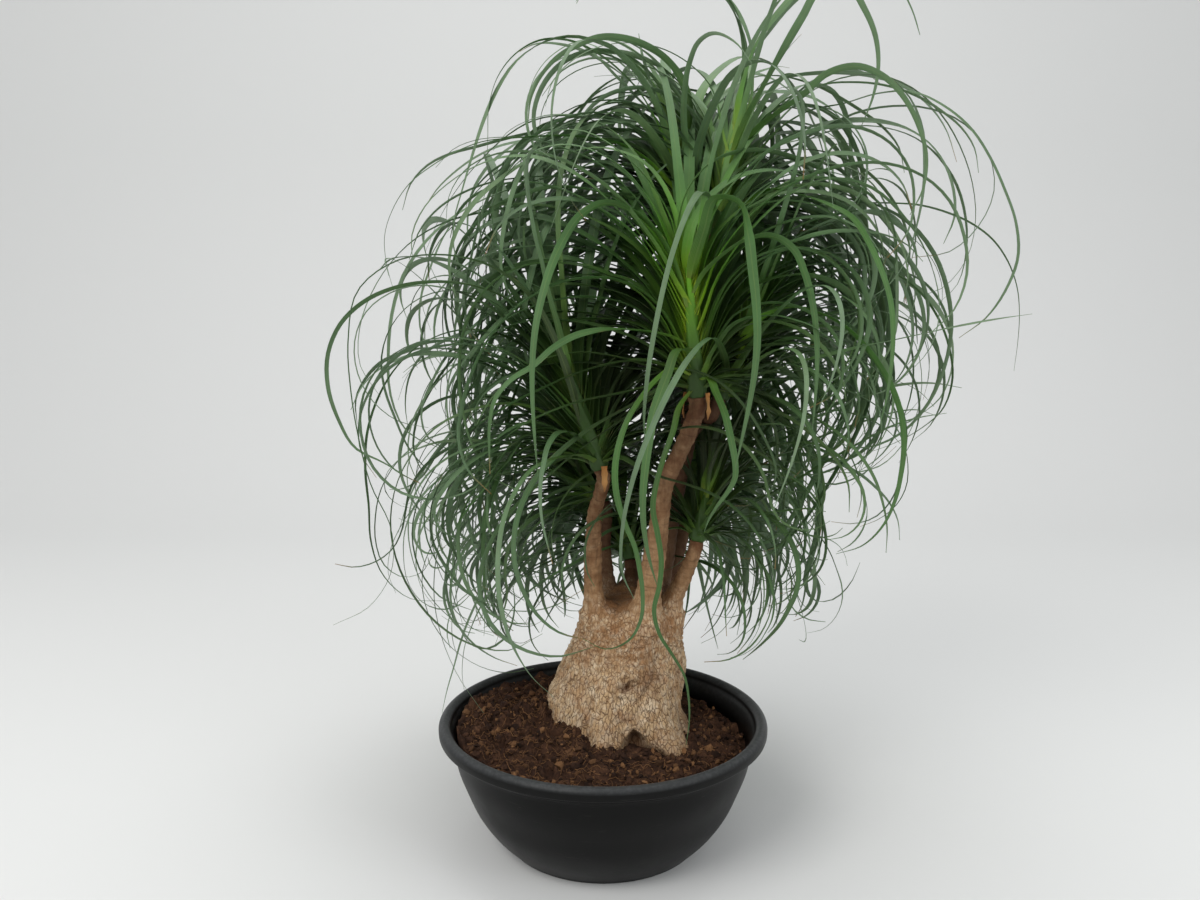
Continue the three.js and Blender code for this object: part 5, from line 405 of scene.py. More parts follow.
        [0.61, 15.0, 0.16, [99, -35, 582, 86, -29, 612, 72, -23, 646, 53, -12, 679, 30, 5, 709, 3, 26, 733, -26, 51, 752, -57, 80, 761, -88, 112, 758, -116, 142, 740, -136, 167, 709, -148, 185, 669, -146, 190, 623, -129, 179, 581, -103, 159, 548]],
        [0.63, 15.0, 0.84, [97, -39, 606, 88, -34, 628, 77, -29, 654, 66, -23, 680, 51, -13, 705, 33, 1, 727, 13, 17, 746, -8, 36, 762, -31, 59, 770, -54, 83, 768, -74, 108, 758, -91, 130, 739, -103, 149, 713, -108, 160, 681, -103, 162, 646]],
        [0.12, 12.1, -0.07, [112, -34, 560, 123, -30, 570, 138, -25, 576, 156, -19, 577, 173, -12, 576, 191, -5, 575, 209, 2, 571, 227, 10, 565, 244, 18, 557, 261, 25, 546, 275, 33, 534, 289, 40, 519, 299, 48, 501, 304, 55, 482, 304, 60, 461]],
        [0.60, 15.0, -0.59, [110, -36, 577, 119, -35, 597, 129, -33, 621, 141, -30, 644, 158, -25, 665, 182, -15, 677, 208, -5, 684, 235, 7, 685, 262, 18, 679, 287, 30, 667, 308, 41, 649, 325, 49, 624, 335, 56, 596, 336, 60, 565, 327, 59, 535]],
        [0.67, 15.0, -0.06, [108, -34, 580, 115, -26, 608, 122, -16, 641, 134, -1, 672, 154, 23, 692, 177, 52, 705, 201, 82, 711, 225, 114, 706, 248, 145, 691, 266, 172, 666, 280, 193, 633, 286, 208, 594, 279, 209, 552, 260, 191, 519, 234, 160, 503]],
        [0.54, 14.8, 0.11, [109, -38, 590, 116, -38, 614, 124, -37, 642, 136, -36, 670, 156, -31, 693, 183, -25, 709, 214, -17, 716, 246, -10, 709, 272, -3, 690, 290, 0, 661, 296, 1, 627, 287, -1, 593, 270, -6, 563, 245, -13, 539, 212, -22, 528]],
        [0.61, 11.3, 0.36, [97, -40, 614, 86, -35, 640, 74, -30, 669, 58, -18, 697, 38, 2, 718, 17, 27, 732, -5, 56, 738, -24, 87, 731, -35, 116, 709, -36, 135, 676, -29, 143, 639, -17, 143, 602, 2, 132, 569, 25, 106, 550, 47, 72, 549]],
        [0.89, 12.4, 1.02, [96, -41, 624, 86, -35, 649, 74, -28, 683, 57, -15, 719, 33, 8, 750, 4, 38, 777, -26, 73, 798, -59, 114, 807, -92, 157, 799, -119, 197, 772, -136, 226, 726, -138, 234, 669, -123, 214, 615]],
        [0.28, 14.8, 0.76, [100, -32, 565, 82, -22, 582, 59, -5, 592, 34, 14, 594, 8, 35, 590, -17, 56, 581, -43, 77, 569, -68, 97, 554, -93, 118, 538, -117, 137, 518, -137, 154, 493, -154, 168, 462, -164, 177, 428, -165, 179, 391, -156, 173, 355]],
        [0.58, 15.0, 0.09, [97, -36, 575, 84, -35, 593, 67, -33, 611, 46, -29, 626, 21, -22, 634, -6, -14, 635, -33, -6, 633, -61, 2, 628, -88, 10, 618, -113, 18, 604, -135, 25, 584, -153, 30, 560, -168, 35, 534, -177, 37, 504, -175, 36, 473]],
        [0.67, 15.0, 0.01, [99, -35, 579, 85, -28, 605, 69, -21, 634, 49, -10, 661, 22, 9, 677, -7, 33, 685, -37, 58, 685, -65, 84, 676, -90, 109, 657, -110, 130, 629, -124, 147, 594, -131, 157, 555, -131, 159, 514, -122, 152, 475, -101, 132, 445]],
        [0.11, 15.0, 0.40, [98, -35, 558, 81, -33, 570, 58, -29, 577, 34, -24, 579, 8, -18, 582, -18, -13, 585, -45, -7, 584, -72, 0, 581, -98, 7, 574, -123, 15, 561, -144, 24, 544, -161, 34, 523, -172, 45, 498, -173, 55, 471, -165, 63, 443]],
    ]},
    "top_right": {"base": [0.1288, 0.03, 0.7317], "tip": [0.1555, 0.03, 0.8595], "leaves": [
        [0.01, 11.4, 0.30, [128, 23, 737, 127, 5, 751, 121, -25, 756, 115, -59, 761, 107, -96, 767, 98, -136, 766, 87, -175, 753, 74, -210, 728, 61, -236, 692, 50, -249, 647, 42, -245, 599, 39, -221, 555, 41, -181, 522]],
        [0.02, 14.6, -0.62, [132, 37, 737, 137, 52, 747, 143, 73, 748, 147, 95, 745, 153, 118, 744, 158, 142, 742, 162, 165, 737, 166, 189, 729, 169, 211, 716, 169, 231, 700, 168, 249, 681, 165, 264, 660, 159, 275, 636, 150, 277, 611, 138, 268, 589]],
        [0.03, 9.8, -0.18, [137, 32, 736, 159, 36, 742, 185, 42, 737, 212, 47, 729, 239, 52, 718, 263, 57, 701, 283, 61, 677, 299, 64, 650, 310, 66, 620, 317, 68, 589, 322, 69, 557, 322, 69, 524, 315, 68, 491, 296, 64, 464, 267, 58, 447]],
        [0.03, 18.3, -0.10, [134, 36, 737, 149, 52, 749, 169, 80, 750, 192, 112, 751, 218, 145, 756, 245, 182, 758, 272, 221, 753, 298, 261, 739, 321, 299, 713, 335, 332, 673, 338, 352, 623, 324, 353, 569, 297, 334, 522]],
        [0.03, 8.5, 0.78, [123, 30, 739, 114, 30, 751, 96, 29, 762, 74, 28, 769, 50, 28, 779, 24, 27, 787, -4, 26, 793, -33, 25, 796, -64, 24, 798, -96, 23, 796, -128, 22, 791, -160, 21, 780, -190, 20, 762, -213, 19, 736, -226, 19, 703]],
        [0.05, 9.7, 0.14, [123, 30, 740, 108, 29, 756, 85, 27, 766, 59, 26, 773, 32, 25, 777, 3, 23, 778, -26, 22, 774, -54, 20, 767, -83, 19, 758, -110, 18, 744, -131, 17, 723, -144, 16, 695, -147, 15, 664, -139, 15, 633, -122, 16, 607]],
        [0.05, 16.5, 0.29, [124, 34, 740, 115, 44, 753, 99, 55, 760, 82, 69, 764, 64, 83, 768, 46, 97, 774, 28, 111, 779, 9, 125, 783, -11, 140, 784, -32, 155, 782, -51, 169, 776, -71, 183, 766, -87, 194, 750, -100, 202, 728, -107, 206, 703]],
        [0.07, 12.0, -1.06, [137, 34, 738, 170, 52, 737, 206, 73, 719, 243, 95, 700, 279, 115, 673, 309, 133, 637, 328, 145, 591, 326, 144, 539, 308, 133, 491, 284, 119, 445, 257, 104, 400, 225, 85, 360, 179, 59, 348, 133, 34, 368, 99, 16, 408]],
        [0.08, 11.3, -1.51, [138, 30, 738, 153, 29, 750, 173, 29, 760, 194, 28, 768, 217, 27, 774, 242, 26, 775, 266, 25, 770, 287, 25, 757, 304, 25, 737, 314, 24, 714, 319, 24, 688, 315, 24, 661, 304, 24, 637, 286, 25, 617, 261, 25, 607]],
        [0.09, 10.1, -1.08, [125, 34, 741, 108, 49, 760, 81, 69, 770, 53, 91, 775, 23, 114, 777, -7, 137, 773, -37, 161, 764, -67, 184, 751, -97, 207, 734, -126, 229, 715, -154, 251, 693, -181, 272, 668, -200, 287, 634, -205, 292, 592, -197, 286, 550]],
        [0.10, 16.5, -0.74, [127, 36, 741, 122, 51, 758, 111, 72, 771, 100, 95, 782, 88, 119, 793, 74, 143, 803, 60, 169, 810, 44, 195, 811, 27, 221, 805, 9, 244, 792, -8, 262, 773, -24, 275, 747, -37, 280, 718, -44, 273, 687, -44, 256, 659]],
        [0.10, 15.4, -0.16, [137, 33, 739, 151, 38, 749, 173, 46, 756, 198, 57, 759, 226, 69, 761, 256, 82, 760, 286, 95, 754, 317, 110, 742, 346, 124, 724, 372, 138, 701, 394, 151, 672, 409, 162, 636, 417, 172, 597]],
        [0.12, 11.3, -0.27, [124, 30, 742, 99, 32, 761, 63, 34, 768, 24, 37, 772, -16, 39, 773, -57, 42, 772, -98, 45, 766, -140, 48, 759, -182, 50, 749, -221, 52, 730, -254, 55, 701, -279, 56, 664, -295, 57, 622, -296, 57, 577, -272, 56, 538]],
        [0.13, 17.5, 0.50, [132, 37, 741, 138, 56, 755, 145, 82, 763, 152, 111, 766, 158, 141, 770, 164, 172, 771, 169, 203, 765, 173, 233, 753, 176, 261, 734, 176, 283, 709, 176, 300, 680, 175, 310, 647, 172, 306, 613, 166, 288, 584, 160, 259, 566]],
        [0.15, 10.3, 0.95, [137, 33, 740, 168, 47, 759, 208, 65, 765, 250, 85, 761, 292, 105, 747, 332, 123, 723, 364, 138, 687, 379, 145, 639, 372, 142, 588, 343, 129, 546, 301, 109, 519, 253, 86, 509, 206, 64, 522, 174, 49, 563, 165, 45, 617]],
        [0.16, 12.3, 1.12, [125, 34, 743, 105, 46, 757, 76, 61, 755, 47, 77, 751, 16, 94, 746, -16, 111, 742, -48, 129, 736, -80, 147, 730, -113, 164, 721, -145, 182, 711, -177, 199, 696, -206, 215, 674, -226, 226, 643, -232, 229, 604, -221, 224, 566]],
        [0.17, 15.3, -0.72, [127, 36, 743, 119, 50, 764, 109, 68, 784, 95, 90, 802, 80, 112, 821, 65, 136, 837, 47, 160, 852, 28, 187, 862, 6, 214, 866, -18, 239, 864, -44, 262, 855, -70, 281, 839, -95, 292, 816, -114, 293, 785, -126, 285, 751]],
        [0.17, 17.1, 0.07, [125, 34, 744, 113, 44, 764, 97, 57, 783, 77, 72, 799, 56, 88, 816, 34, 105, 831, 10, 122, 845, -16, 140, 855, -43, 159, 859, -72, 176, 855, -100, 193, 844, -126, 206, 825, -144, 214, 797, -152, 213, 763, -146, 204, 729]],
        [0.18, 11.4, -1.06, [137, 33, 741, 165, 45, 756, 200, 61, 761, 237, 78, 759, 275, 96, 750, 311, 112, 733, 340, 126, 702, 359, 135, 662, 369, 139, 617, 370, 140, 571, 363, 136, 525, 344, 128, 482, 313, 114, 448, 271, 96, 435, 227, 76, 441]],
        [0.19, 9.3, 0.52, [138, 32, 742, 153, 36, 752, 173, 42, 758, 194, 49, 759, 216, 55, 755, 238, 62, 749, 259, 68, 741, 280, 75, 729, 298, 81, 713, 315, 86, 695, 328, 89, 674, 337, 92, 650, 338, 93, 624, 332, 90, 599, 318, 86, 577]],
        [0.19, 16.9, -0.49, [126, 35, 744, 117, 47, 766, 104, 64, 788, 87, 83, 808, 69, 103, 826, 50, 125, 845, 29, 148, 861, 6, 171, 873, -20, 195, 880, -47, 219, 880, -75, 241, 873, -103, 260, 857, -128, 274, 834, -146, 279, 801, -155, 275, 765]],
        [0.19, 15.7, 0.28, [136, 35, 742, 150, 44, 750, 166, 57, 754, 184, 71, 753, 201, 87, 749, 219, 102, 745, 236, 118, 739, 253, 134, 729, 268, 148, 716, 282, 162, 699, 294, 174, 680, 303, 184, 658, 308, 189, 633, 305, 189, 606, 297, 184, 582]],
        [0.21, 9.4, -1.01, [138, 31, 742, 166, 33, 761, 204, 36, 772, 244, 40, 775, 287, 44, 774, 329, 48, 765, 368, 51, 743, 397, 54, 709, 415, 56, 667, 422, 56, 621, 416, 56, 575, 398, 54, 531, 366, 51, 495, 322, 47, 477, 275, 43, 486]],
        [0.21, 13.7, -0.32, [135, 36, 743, 146, 47, 756, 161, 63, 767, 175, 82, 774, 191, 102, 777, 207, 124, 775, 221, 146, 768, 234, 167, 755, 244, 185, 737, 250, 202, 715, 254, 214, 689, 253, 222, 661, 247, 223, 633, 234, 216, 607, 217, 200, 589]],
        [0.21, 19.3, 0.01, [131, 37, 744, 136, 56, 764, 141, 87, 787, 146, 126, 806, 150, 172, 820, 151, 223, 824, 149, 274, 807, 142, 315, 771, 131, 341, 720, 118, 346, 662, 104, 327, 606, 92, 285, 561, 83, 225, 538]],
        [0.22, 19.5, 0.62, [128, 36, 745, 121, 53, 765, 109, 77, 780, 95, 104, 792, 78, 133, 799, 60, 162, 801, 40, 191, 796, 21, 219, 784, 3, 243, 764, -13, 262, 736, -23, 275, 702, -27, 280, 665, -24, 276, 628, -12, 258, 596, 8, 232, 576]],
        [0.23, 9.5, -0.28, [124, 30, 746, 118, 30, 774, 111, 31, 806, 97, 31, 837, 72, 31, 863, 40, 32, 879, 3, 33, 884, -34, 33, 876, -67, 34, 856, -94, 34, 828, -116, 34, 796, -134, 35, 760, -147, 35, 722, -151, 35, 682, -133, 35, 646]],
        [0.24, 10.7, -0.84, [138, 31, 743, 157, 34, 752, 181, 37, 757, 207, 41, 758, 233, 46, 755, 260, 50, 752, 288, 54, 747, 315, 58, 739, 341, 62, 727, 364, 66, 710, 383, 69, 687, 395, 70, 659, 398, 71, 629, 392, 70, 600, 373, 68, 575]],
        [0.25, 17.1, -0.44, [125, 33, 746, 116, 39, 764, 102, 48, 782, 85, 58, 796, 64, 69, 807, 41, 81, 815, 17, 93, 818, -8, 105, 815, -33, 114, 806, -55, 123, 791, -74, 129, 770, -89, 133, 745, -97, 132, 717, -94, 126, 688, -83, 117, 662]],
        [0.25, 9.4, -2.32, [138, 31, 743, 154, 33, 755, 174, 36, 764, 196, 40, 769, 220, 44, 768, 244, 48, 764, 268, 52, 755, 288, 56, 739, 305, 58, 719, 315, 60, 694, 317, 60, 668, 309, 59, 642, 292, 56, 621, 269, 53, 606, 242, 49, 601]],
        [0.27, 13.2, -1.77, [126, 35, 747, 116, 49, 778, 98, 71, 807, 74, 96, 831, 47, 125, 851, 18, 156, 867, -12, 189, 878, -44, 223, 883, -77, 258, 883, -109, 293, 876, -141, 327, 862, -172, 360, 841, -196, 386, 807, -204, 396, 759, -196, 389, 710]],
        [0.30, 14.7, 0.65, [126, 34, 748, 117, 41, 766, 105, 50, 785, 90, 61, 801, 72, 74, 816, 51, 86, 827, 30, 100, 837, 7, 114, 845, -17, 129, 847, -41, 144, 845, -65, 159, 838, -86, 174, 825, -103, 187, 805, -113, 197, 779, -113, 202, 750]],
        [0.30, 13.5, -0.01, [127, 32, 754, 121, 35, 785, 114, 39, 820, 98, 46, 854, 73, 57, 882, 39, 71, 898, 1, 87, 899, -34, 102, 883, -65, 115, 857, -93, 127, 826, -119, 138, 793, -144, 148, 758, -161, 156, 719, -157, 157, 674, -133, 150, 637]],
        [0.30, 18.7, 0.17, [134, 37, 746, 144, 56, 766, 155, 82, 783, 167, 112, 794, 179, 146, 800, 189, 182, 800, 199, 218, 793, 206, 252, 778, 210, 282, 753, 212, 305, 721, 210, 319, 684, 205, 322, 644, 196, 308, 607, 185, 278, 582, 173, 240, 571]],
        [0.30, 19.4, 0.72, [137, 35, 745, 153, 45, 765, 172, 57, 786, 195, 74, 803, 220, 92, 817, 246, 113, 828, 273, 136, 831, 299, 160, 823, 323, 182, 806, 342, 202, 781, 355, 217, 749, 363, 227, 713, 361, 227, 675, 347, 217, 641, 324, 198, 616]],
        [0.32, 12.4, 1.62, [139, 31, 746, 157, 34, 764, 177, 36, 785, 203, 40, 801, 233, 45, 812, 265, 50, 815, 297, 55, 808, 324, 60, 789, 342, 62, 759, 351, 64, 726, 355, 64, 691, 357, 64, 655, 357, 65, 619, 345, 64, 585, 321, 61, 558]],
        [0.33, 8.8, -0.49, [125, 30, 749, 119, 30, 765, 111, 30, 784, 101, 29, 803, 88, 29, 820, 70, 29, 835, 51, 28, 846, 29, 28, 855, 6, 28, 861, -17, 27, 865, -42, 27, 867, -66, 26, 866, -90, 26, 859, -111, 26, 847, -127, 26, 827]],
        [0.34, 14.9, 0.09, [128, 35, 748, 123, 45, 767, 117, 57, 788, 108, 71, 808, 96, 89, 824, 81, 109, 837, 63, 130, 845, 44, 152, 848, 24, 173, 844, 5, 193, 833, -14, 209, 816, -30, 220, 792, -40, 223, 764, -42, 217, 734, -35, 203, 707]],
        [0.35, 9.3, 0.96, [125, 30, 750, 116, 29, 779, 102, 29, 811, 78, 27, 838, 45, 26, 858, 8, 24, 868, -31, 22, 866, -68, 21, 850, -99, 19, 824, -124, 18, 790, -141, 18, 752, -152, 17, 711, -160, 16, 669, -158, 16, 627, -133, 18, 592]],
        [0.37, 14.8, -0.65, [128, 35, 750, 123, 45, 775, 117, 56, 804, 107, 72, 831, 92, 91, 855, 73, 112, 876, 51, 137, 891, 26, 162, 898, -2, 185, 896, -31, 206, 883, -58, 222, 861, -81, 228, 832, -94, 224, 796, -95, 209, 760, -85, 187, 729]],
        [0.38, 15.4, -0.05, [132, 37, 749, 136, 52, 769, 140, 70, 790, 142, 93, 810, 145, 121, 825, 146, 151, 835, 145, 183, 840, 144, 217, 840, 142, 249, 833, 137, 279, 816, 132, 305, 794, 125, 323, 765, 117, 330, 732, 110, 322, 698, 104, 302, 669]],
        [0.39, 8.5, 0.15, [139, 32, 749, 152, 34, 766, 165, 36, 786, 180, 40, 806, 203, 44, 818, 230, 50, 821, 256, 57, 818, 282, 62, 808, 304, 67, 791, 322, 71, 768, 333, 74, 741, 340, 75, 713, 342, 75, 683, 336, 74, 653, 320, 71, 628]],
        [0.39, 18.2, 0.51, [131, 37, 750, 132, 50, 774, 133, 65, 800, 133, 84, 826, 132, 107, 850, 129, 134, 872, 125, 163, 892, 119, 195, 907, 111, 229, 914, 101, 264, 912, 90, 297, 900, 80, 324, 876, 71, 339, 843, 65, 339, 805, 64, 322, 771]],
        [0.39, 9.9, -0.72, [126, 33, 751, 110, 46, 784, 79, 64, 812, 41, 87, 827, -2, 112, 834, -45, 137, 828, -87, 162, 810, -123, 183, 779, -148, 197, 734, -156, 202, 681, -144, 195, 629, -118, 180, 582, -80, 158, 550, -32, 130, 550, 10, 106, 579]],
        [0.42, 9.8, 0.07, [139, 32, 749, 157, 37, 773, 178, 43, 800, 205, 51, 823, 237, 61, 841, 271, 72, 855, 308, 84, 863, 347, 97, 862, 384, 109, 852, 417, 119, 830, 443, 127, 798, 458, 132, 759, 462, 134, 717, 452, 131, 675, 421, 121, 647]],
        [0.42, 18.6, 0.20, [127, 34, 751, 121, 41, 772, 112, 51, 795, 101, 62, 817, 85, 77, 835, 65, 92, 851, 45, 109, 864, 22, 127, 873, -2, 146, 877, -27, 164, 874, -52, 182, 866, -74, 198, 849, -90, 211, 825, -99, 217, 795, -99, 217, 762]],
        [0.42, 15.1, -0.36, [138, 35, 749, 149, 43, 763, 163, 53, 776, 179, 65, 788, 196, 80, 796, 214, 96, 799, 232, 113, 799, 250, 131, 795, 267, 148, 786, 281, 165, 772, 293, 181, 755, 301, 194, 733, 305, 205, 709, 302, 212, 683, 294, 213, 657]],
        [0.43, 12.0, 0.53, [139, 33, 749, 155, 39, 765, 174, 45, 782, 198, 55, 793, 224, 66, 798, 251, 77, 797, 278, 88, 791, 305, 100, 781, 331, 111, 769, 357, 122, 755, 383, 133, 740, 408, 144, 723, 429, 152, 700, 441, 156, 670, 440, 153, 637]],
        [0.43, 17.5, 0.54, [128, 35, 752, 124, 44, 769, 118, 54, 788, 110, 66, 807, 99, 81, 823, 85, 98, 835, 69, 116, 842, 52, 135, 846, 34, 154, 845, 15, 173, 839, -2, 190, 828, -19, 205, 812, -33, 215, 791, -42, 220, 765, -45, 219, 738]],
        [0.44, 9.5, 0.36, [145, 31, 783, 165, 35, 810, 187, 38, 841, 213, 43, 871, 245, 48, 898, 284, 56, 914, 326, 64, 917, 368, 71, 903, 403, 77, 876, 430, 82, 839, 448, 85, 797, 455, 86, 751, 446, 85, 705, 416, 80, 670, 371, 72, 659]],
        [0.45, 15.8, -0.71, [127, 33, 752, 112, 43, 777, 89, 57, 800, 57, 74, 810, 23, 91, 810, -12, 107, 800, -44, 120, 779, -69, 129, 747, -85, 131, 709, -92, 126, 668, -90, 114, 627, -78, 95, 590, -59, 70, 560, -29, 41, 548, 6, 15, 555]],
        [0.46, 9.2, 1.94, [134, 30, 785, 131, 31, 798, 128, 31, 817, 123, 32, 839, 112, 33, 860, 95, 34, 878, 72, 36, 892, 46, 39, 899, 18, 41, 896, -8, 44, 884, -27, 45, 861, -33, 46, 832, -25, 45, 802]],
        [0.47, 13.2, 0.68, [139, 32, 751, 164, 40, 768, 197, 52, 777, 231, 64, 768, 264, 77, 751, 296, 90, 730, 324, 100, 701, 343, 107, 666, 350, 110, 624, 344, 108, 582, 331, 103, 540, 316, 97, 500, 288, 86, 468, 249, 72, 454, 208, 57, 462]],
        [0.49, 9.2, -0.43, [134, 23, 752, 139, 14, 769, 145, 2, 792, 152, -12, 819, 160, -34, 843, 168, -63, 861, 175, -98, 874, 181, -136, 879, 186, -175, 872, 190, -212, 854, 194, -243, 824, 198, -263, 785, 203, -272, 742]],
        [0.51, 11.4, 1.31, [133, 32, 781, 129, 33, 799, 125, 35, 819, 122, 38, 841, 114, 41, 862, 104, 45, 883, 92, 50, 903, 76, 56, 919, 57, 64, 932, 35, 72, 942, 12, 82, 948, -11, 91, 949, -35, 100, 945, -57, 108, 934, -75, 114, 917]],
        [0.52, 18.8, -0.20, [134, 37, 753, 139, 50, 779, 146, 66, 809, 154, 86, 838, 159, 114, 862, 165, 146, 882, 170, 182, 899, 172, 220, 906, 172, 260, 900, 168, 296, 881, 162, 321, 849, 152, 333, 811, 142, 327, 771, 133, 301, 739, 127, 264, 719]],
        [0.52, 19.7, -0.08, [128, 34, 754, 123, 43, 780, 117, 54, 809, 107, 68, 838, 89, 87, 862, 68, 109, 881, 43, 132, 893, 16, 156, 897, -13, 179, 888, -40, 199, 869, -61, 213, 841, -77, 221, 806, -81, 218, 768, -72, 204, 732, -52, 182, 706]],
        [0.52, 8.7, -2.50, [133, 32, 781, 131, 33, 794, 129, 35, 808, 126, 36, 823, 121, 39, 839, 114, 42, 853, 106, 46, 868, 97, 49, 882, 88, 53, 896, 79, 57, 911, 69, 62, 925, 58, 66, 938, 45, 72, 949, 30, 78, 958, 15, 86, 964]],
        [0.54, 17.9, 0.27, [128, 33, 755, 119, 39, 777, 109, 47, 802, 94, 57, 825, 73, 69, 843, 47, 82, 854, 19, 97, 859, -10, 111, 859, -38, 125, 851, -65, 137, 836, -89, 148, 815, -110, 156, 789, -122, 160, 758, -122, 157, 724, -108, 148, 694]],
        [0.54, 16.4, 0.10, [132, 37, 754, 135, 50, 780, 138, 64, 811, 140, 83, 841, 140, 111, 865, 137, 143, 885, 132, 179, 897, 124, 218, 899, 115, 255, 891, 104, 289, 872, 92, 317, 844, 82, 336, 810, 74, 338, 769, 70, 319, 732, 71, 287, 706]],
        [0.54, 13.8, -0.17, [128, 35, 755, 124, 42, 776, 119, 51, 799, 113, 61, 823, 102, 74, 844, 88, 91, 863, 72, 108, 878, 53, 127, 891, 33, 148, 900, 11, 168, 903, -13, 186, 899, -36, 203, 888, -56, 216, 868, -71, 222, 842, -81, 222, 812]],
        [0.56, 15.7, 0.39, [128, 34, 756, 123, 41, 776, 116, 49, 799, 106, 60, 820, 91, 74, 839, 73, 90, 853, 52, 106, 864, 31, 124, 871, 8, 142, 875, -16, 160, 872, -40, 177, 865, -61, 193, 851, -79, 205, 829, -90, 212, 801, -92, 211, 770]],
        [0.58, 11.0, -1.54, [127, 30, 757, 120, 30, 778, 114, 30, 802, 104, 29, 827, 85, 29, 846, 59, 29, 856, 30, 29, 860, 1, 28, 858, -27, 28, 849, -52, 28, 833, -73, 27, 811, -89, 27, 784, -97, 27, 755, -98, 27, 724, -85, 28, 695]],
        [0.59, 9.8, 0.48, [127, 31, 757, 117, 32, 782, 104, 33, 811, 81, 36, 833, 48, 39, 841, 14, 42, 838, -19, 45, 826, -50, 48, 807, -76, 50, 781, -98, 52, 751, -113, 54, 717, -122, 54, 680, -122, 54, 642, -106, 52, 607, -77, 49, 582]],
        [0.61, 12.8, 0.81, [149, 30, 806, 166, 30, 830, 186, 28, 856, 211, 28, 881, 240, 27, 903, 274, 26, 917, 312, 25, 914, 344, 24, 893, 363, 23, 859, 370, 23, 820, 370, 23, 780, 364, 23, 740, 353, 24, 700, 329, 25, 668, 292, 27, 649]],
        [0.62, 8.6, 0.71, [132, 31, 778, 130, 31, 791, 127, 32, 807, 124, 33, 823, 119, 34, 839, 112, 35, 855, 103, 36, 870, 92, 38, 884, 80, 40, 899, 68, 41, 912, 55, 44, 926, 40, 45, 938, 24, 48, 948, 7, 51, 955, -12, 55, 957]],
        [0.66, 17.7, -0.19, [129, 34, 759, 124, 43, 784, 119, 53, 813, 109, 64, 841, 92, 82, 864, 70, 103, 880, 45, 125, 890, 17, 148, 893, -11, 170, 887, -38, 189, 873, -63, 206, 851, -84, 219, 823, -95, 222, 788, -96, 216, 750, -86, 202, 716]],
        [0.67, 14.4, -0.16, [129, 34, 759, 124, 42, 788, 120, 52, 822, 112, 64, 855, 92, 84, 881, 67, 108, 900, 37, 133, 907, 5, 157, 902, -26, 177, 883, -52, 190, 853, -72, 195, 816, -86, 191, 776, -88, 177, 736, -76, 153, 702, -53, 124, 679]],
        [0.68, 12.5, 1.38, [141, 31, 759, 155, 32, 777, 170, 33, 799, 187, 35, 822, 209, 38, 841, 235, 41, 853, 265, 44, 860, 295, 48, 864, 326, 52, 863, 357, 56, 856, 385, 59, 840, 406, 62, 816, 419, 64, 786, 422, 65, 754, 410, 63, 723]],
        [0.68, 14.9, -0.51, [138, 36, 758, 150, 46, 780, 163, 56, 806, 177, 71, 831, 196, 92, 848, 217, 118, 858, 238, 145, 863, 258, 175, 862, 276, 205, 853, 292, 233, 837, 303, 260, 814, 309, 283, 786, 308, 300, 752, 298, 304, 716, 279, 294, 684]],
        [0.69, 9.2, -0.40, [135, 30, 788, 130, 31, 810, 125, 32, 836, 118, 33, 862, 104, 35, 886, 83, 38, 906, 57, 41, 921, 29, 45, 928, -2, 49, 928, -31, 52, 920, -57, 55, 902, -72, 57, 875, -74, 58, 843, -64, 57, 813, -41, 54, 790]],
        [0.71, 15.4, -0.09, [140, 36, 782, 145, 48, 806, 151, 60, 834, 158, 76, 862, 164, 99, 887, 169, 125, 909, 174, 155, 928, 178, 189, 942, 180, 225, 946, 180, 261, 940, 177, 295, 923, 172, 322, 897, 164, 336, 863, 154, 334, 825, 145, 319, 791]],
        [0.71, 14.3, 0.05, [143, 34, 784, 153, 42, 802, 165, 51, 827, 180, 63, 855, 199, 81, 880, 222, 104, 901, 247, 132, 918, 274, 164, 925, 301, 199, 921, 324, 232, 901, 339, 258, 865, 340, 266, 818, 327, 255, 773]],
        [0.71, 14.7, -0.03, [141, 36, 790, 145, 44, 808, 150, 53, 829, 154, 64, 851, 159, 76, 872, 163, 93, 891, 167, 112, 910, 171, 132, 927, 175, 155, 941, 178, 181, 951, 180, 208, 956, 180, 236, 954, 179, 263, 944, 176, 285, 926, 172, 300, 901]],
        [0.73, 15.4, -0.41, [134, 36, 761, 138, 47, 782, 143, 60, 813, 148, 77, 847, 151, 109, 874, 152, 148, 895, 151, 192, 912, 148, 240, 918, 141, 289, 911, 129, 334, 888, 113, 368, 850, 92, 385, 802, 69, 381, 751]],
        [0.73, 15.5, -0.26, [136, 36, 768, 140, 48, 792, 146, 60, 821, 150, 75, 850, 155, 97, 876, 158, 125, 896, 159, 158, 912, 158, 193, 920, 156, 230, 918, 150, 264, 905, 142, 292, 881, 132, 310, 849, 121, 311, 812, 112, 295, 779, 108, 263, 756]],
        [0.73, 9.8, 0.52, [151, 30, 818, 162, 29, 832, 174, 28, 849, 188, 27, 866, 208, 25, 876, 231, 23, 878, 254, 22, 874, 276, 20, 863, 292, 19, 845, 302, 18, 822, 302, 18, 797, 294, 19, 774, 277, 20, 754, 255, 22, 741, 230, 24, 736]],
        [0.74, 13.4, -0.27, [132, 34, 770, 129, 43, 797, 126, 52, 828, 121, 64, 860, 108, 82, 887, 89, 104, 910, 68, 128, 928, 43, 155, 938, 15, 181, 935, -12, 204, 920, -35, 220, 893, -52, 228, 858, -60, 227, 819, -55, 213, 782, -38, 190, 754]],
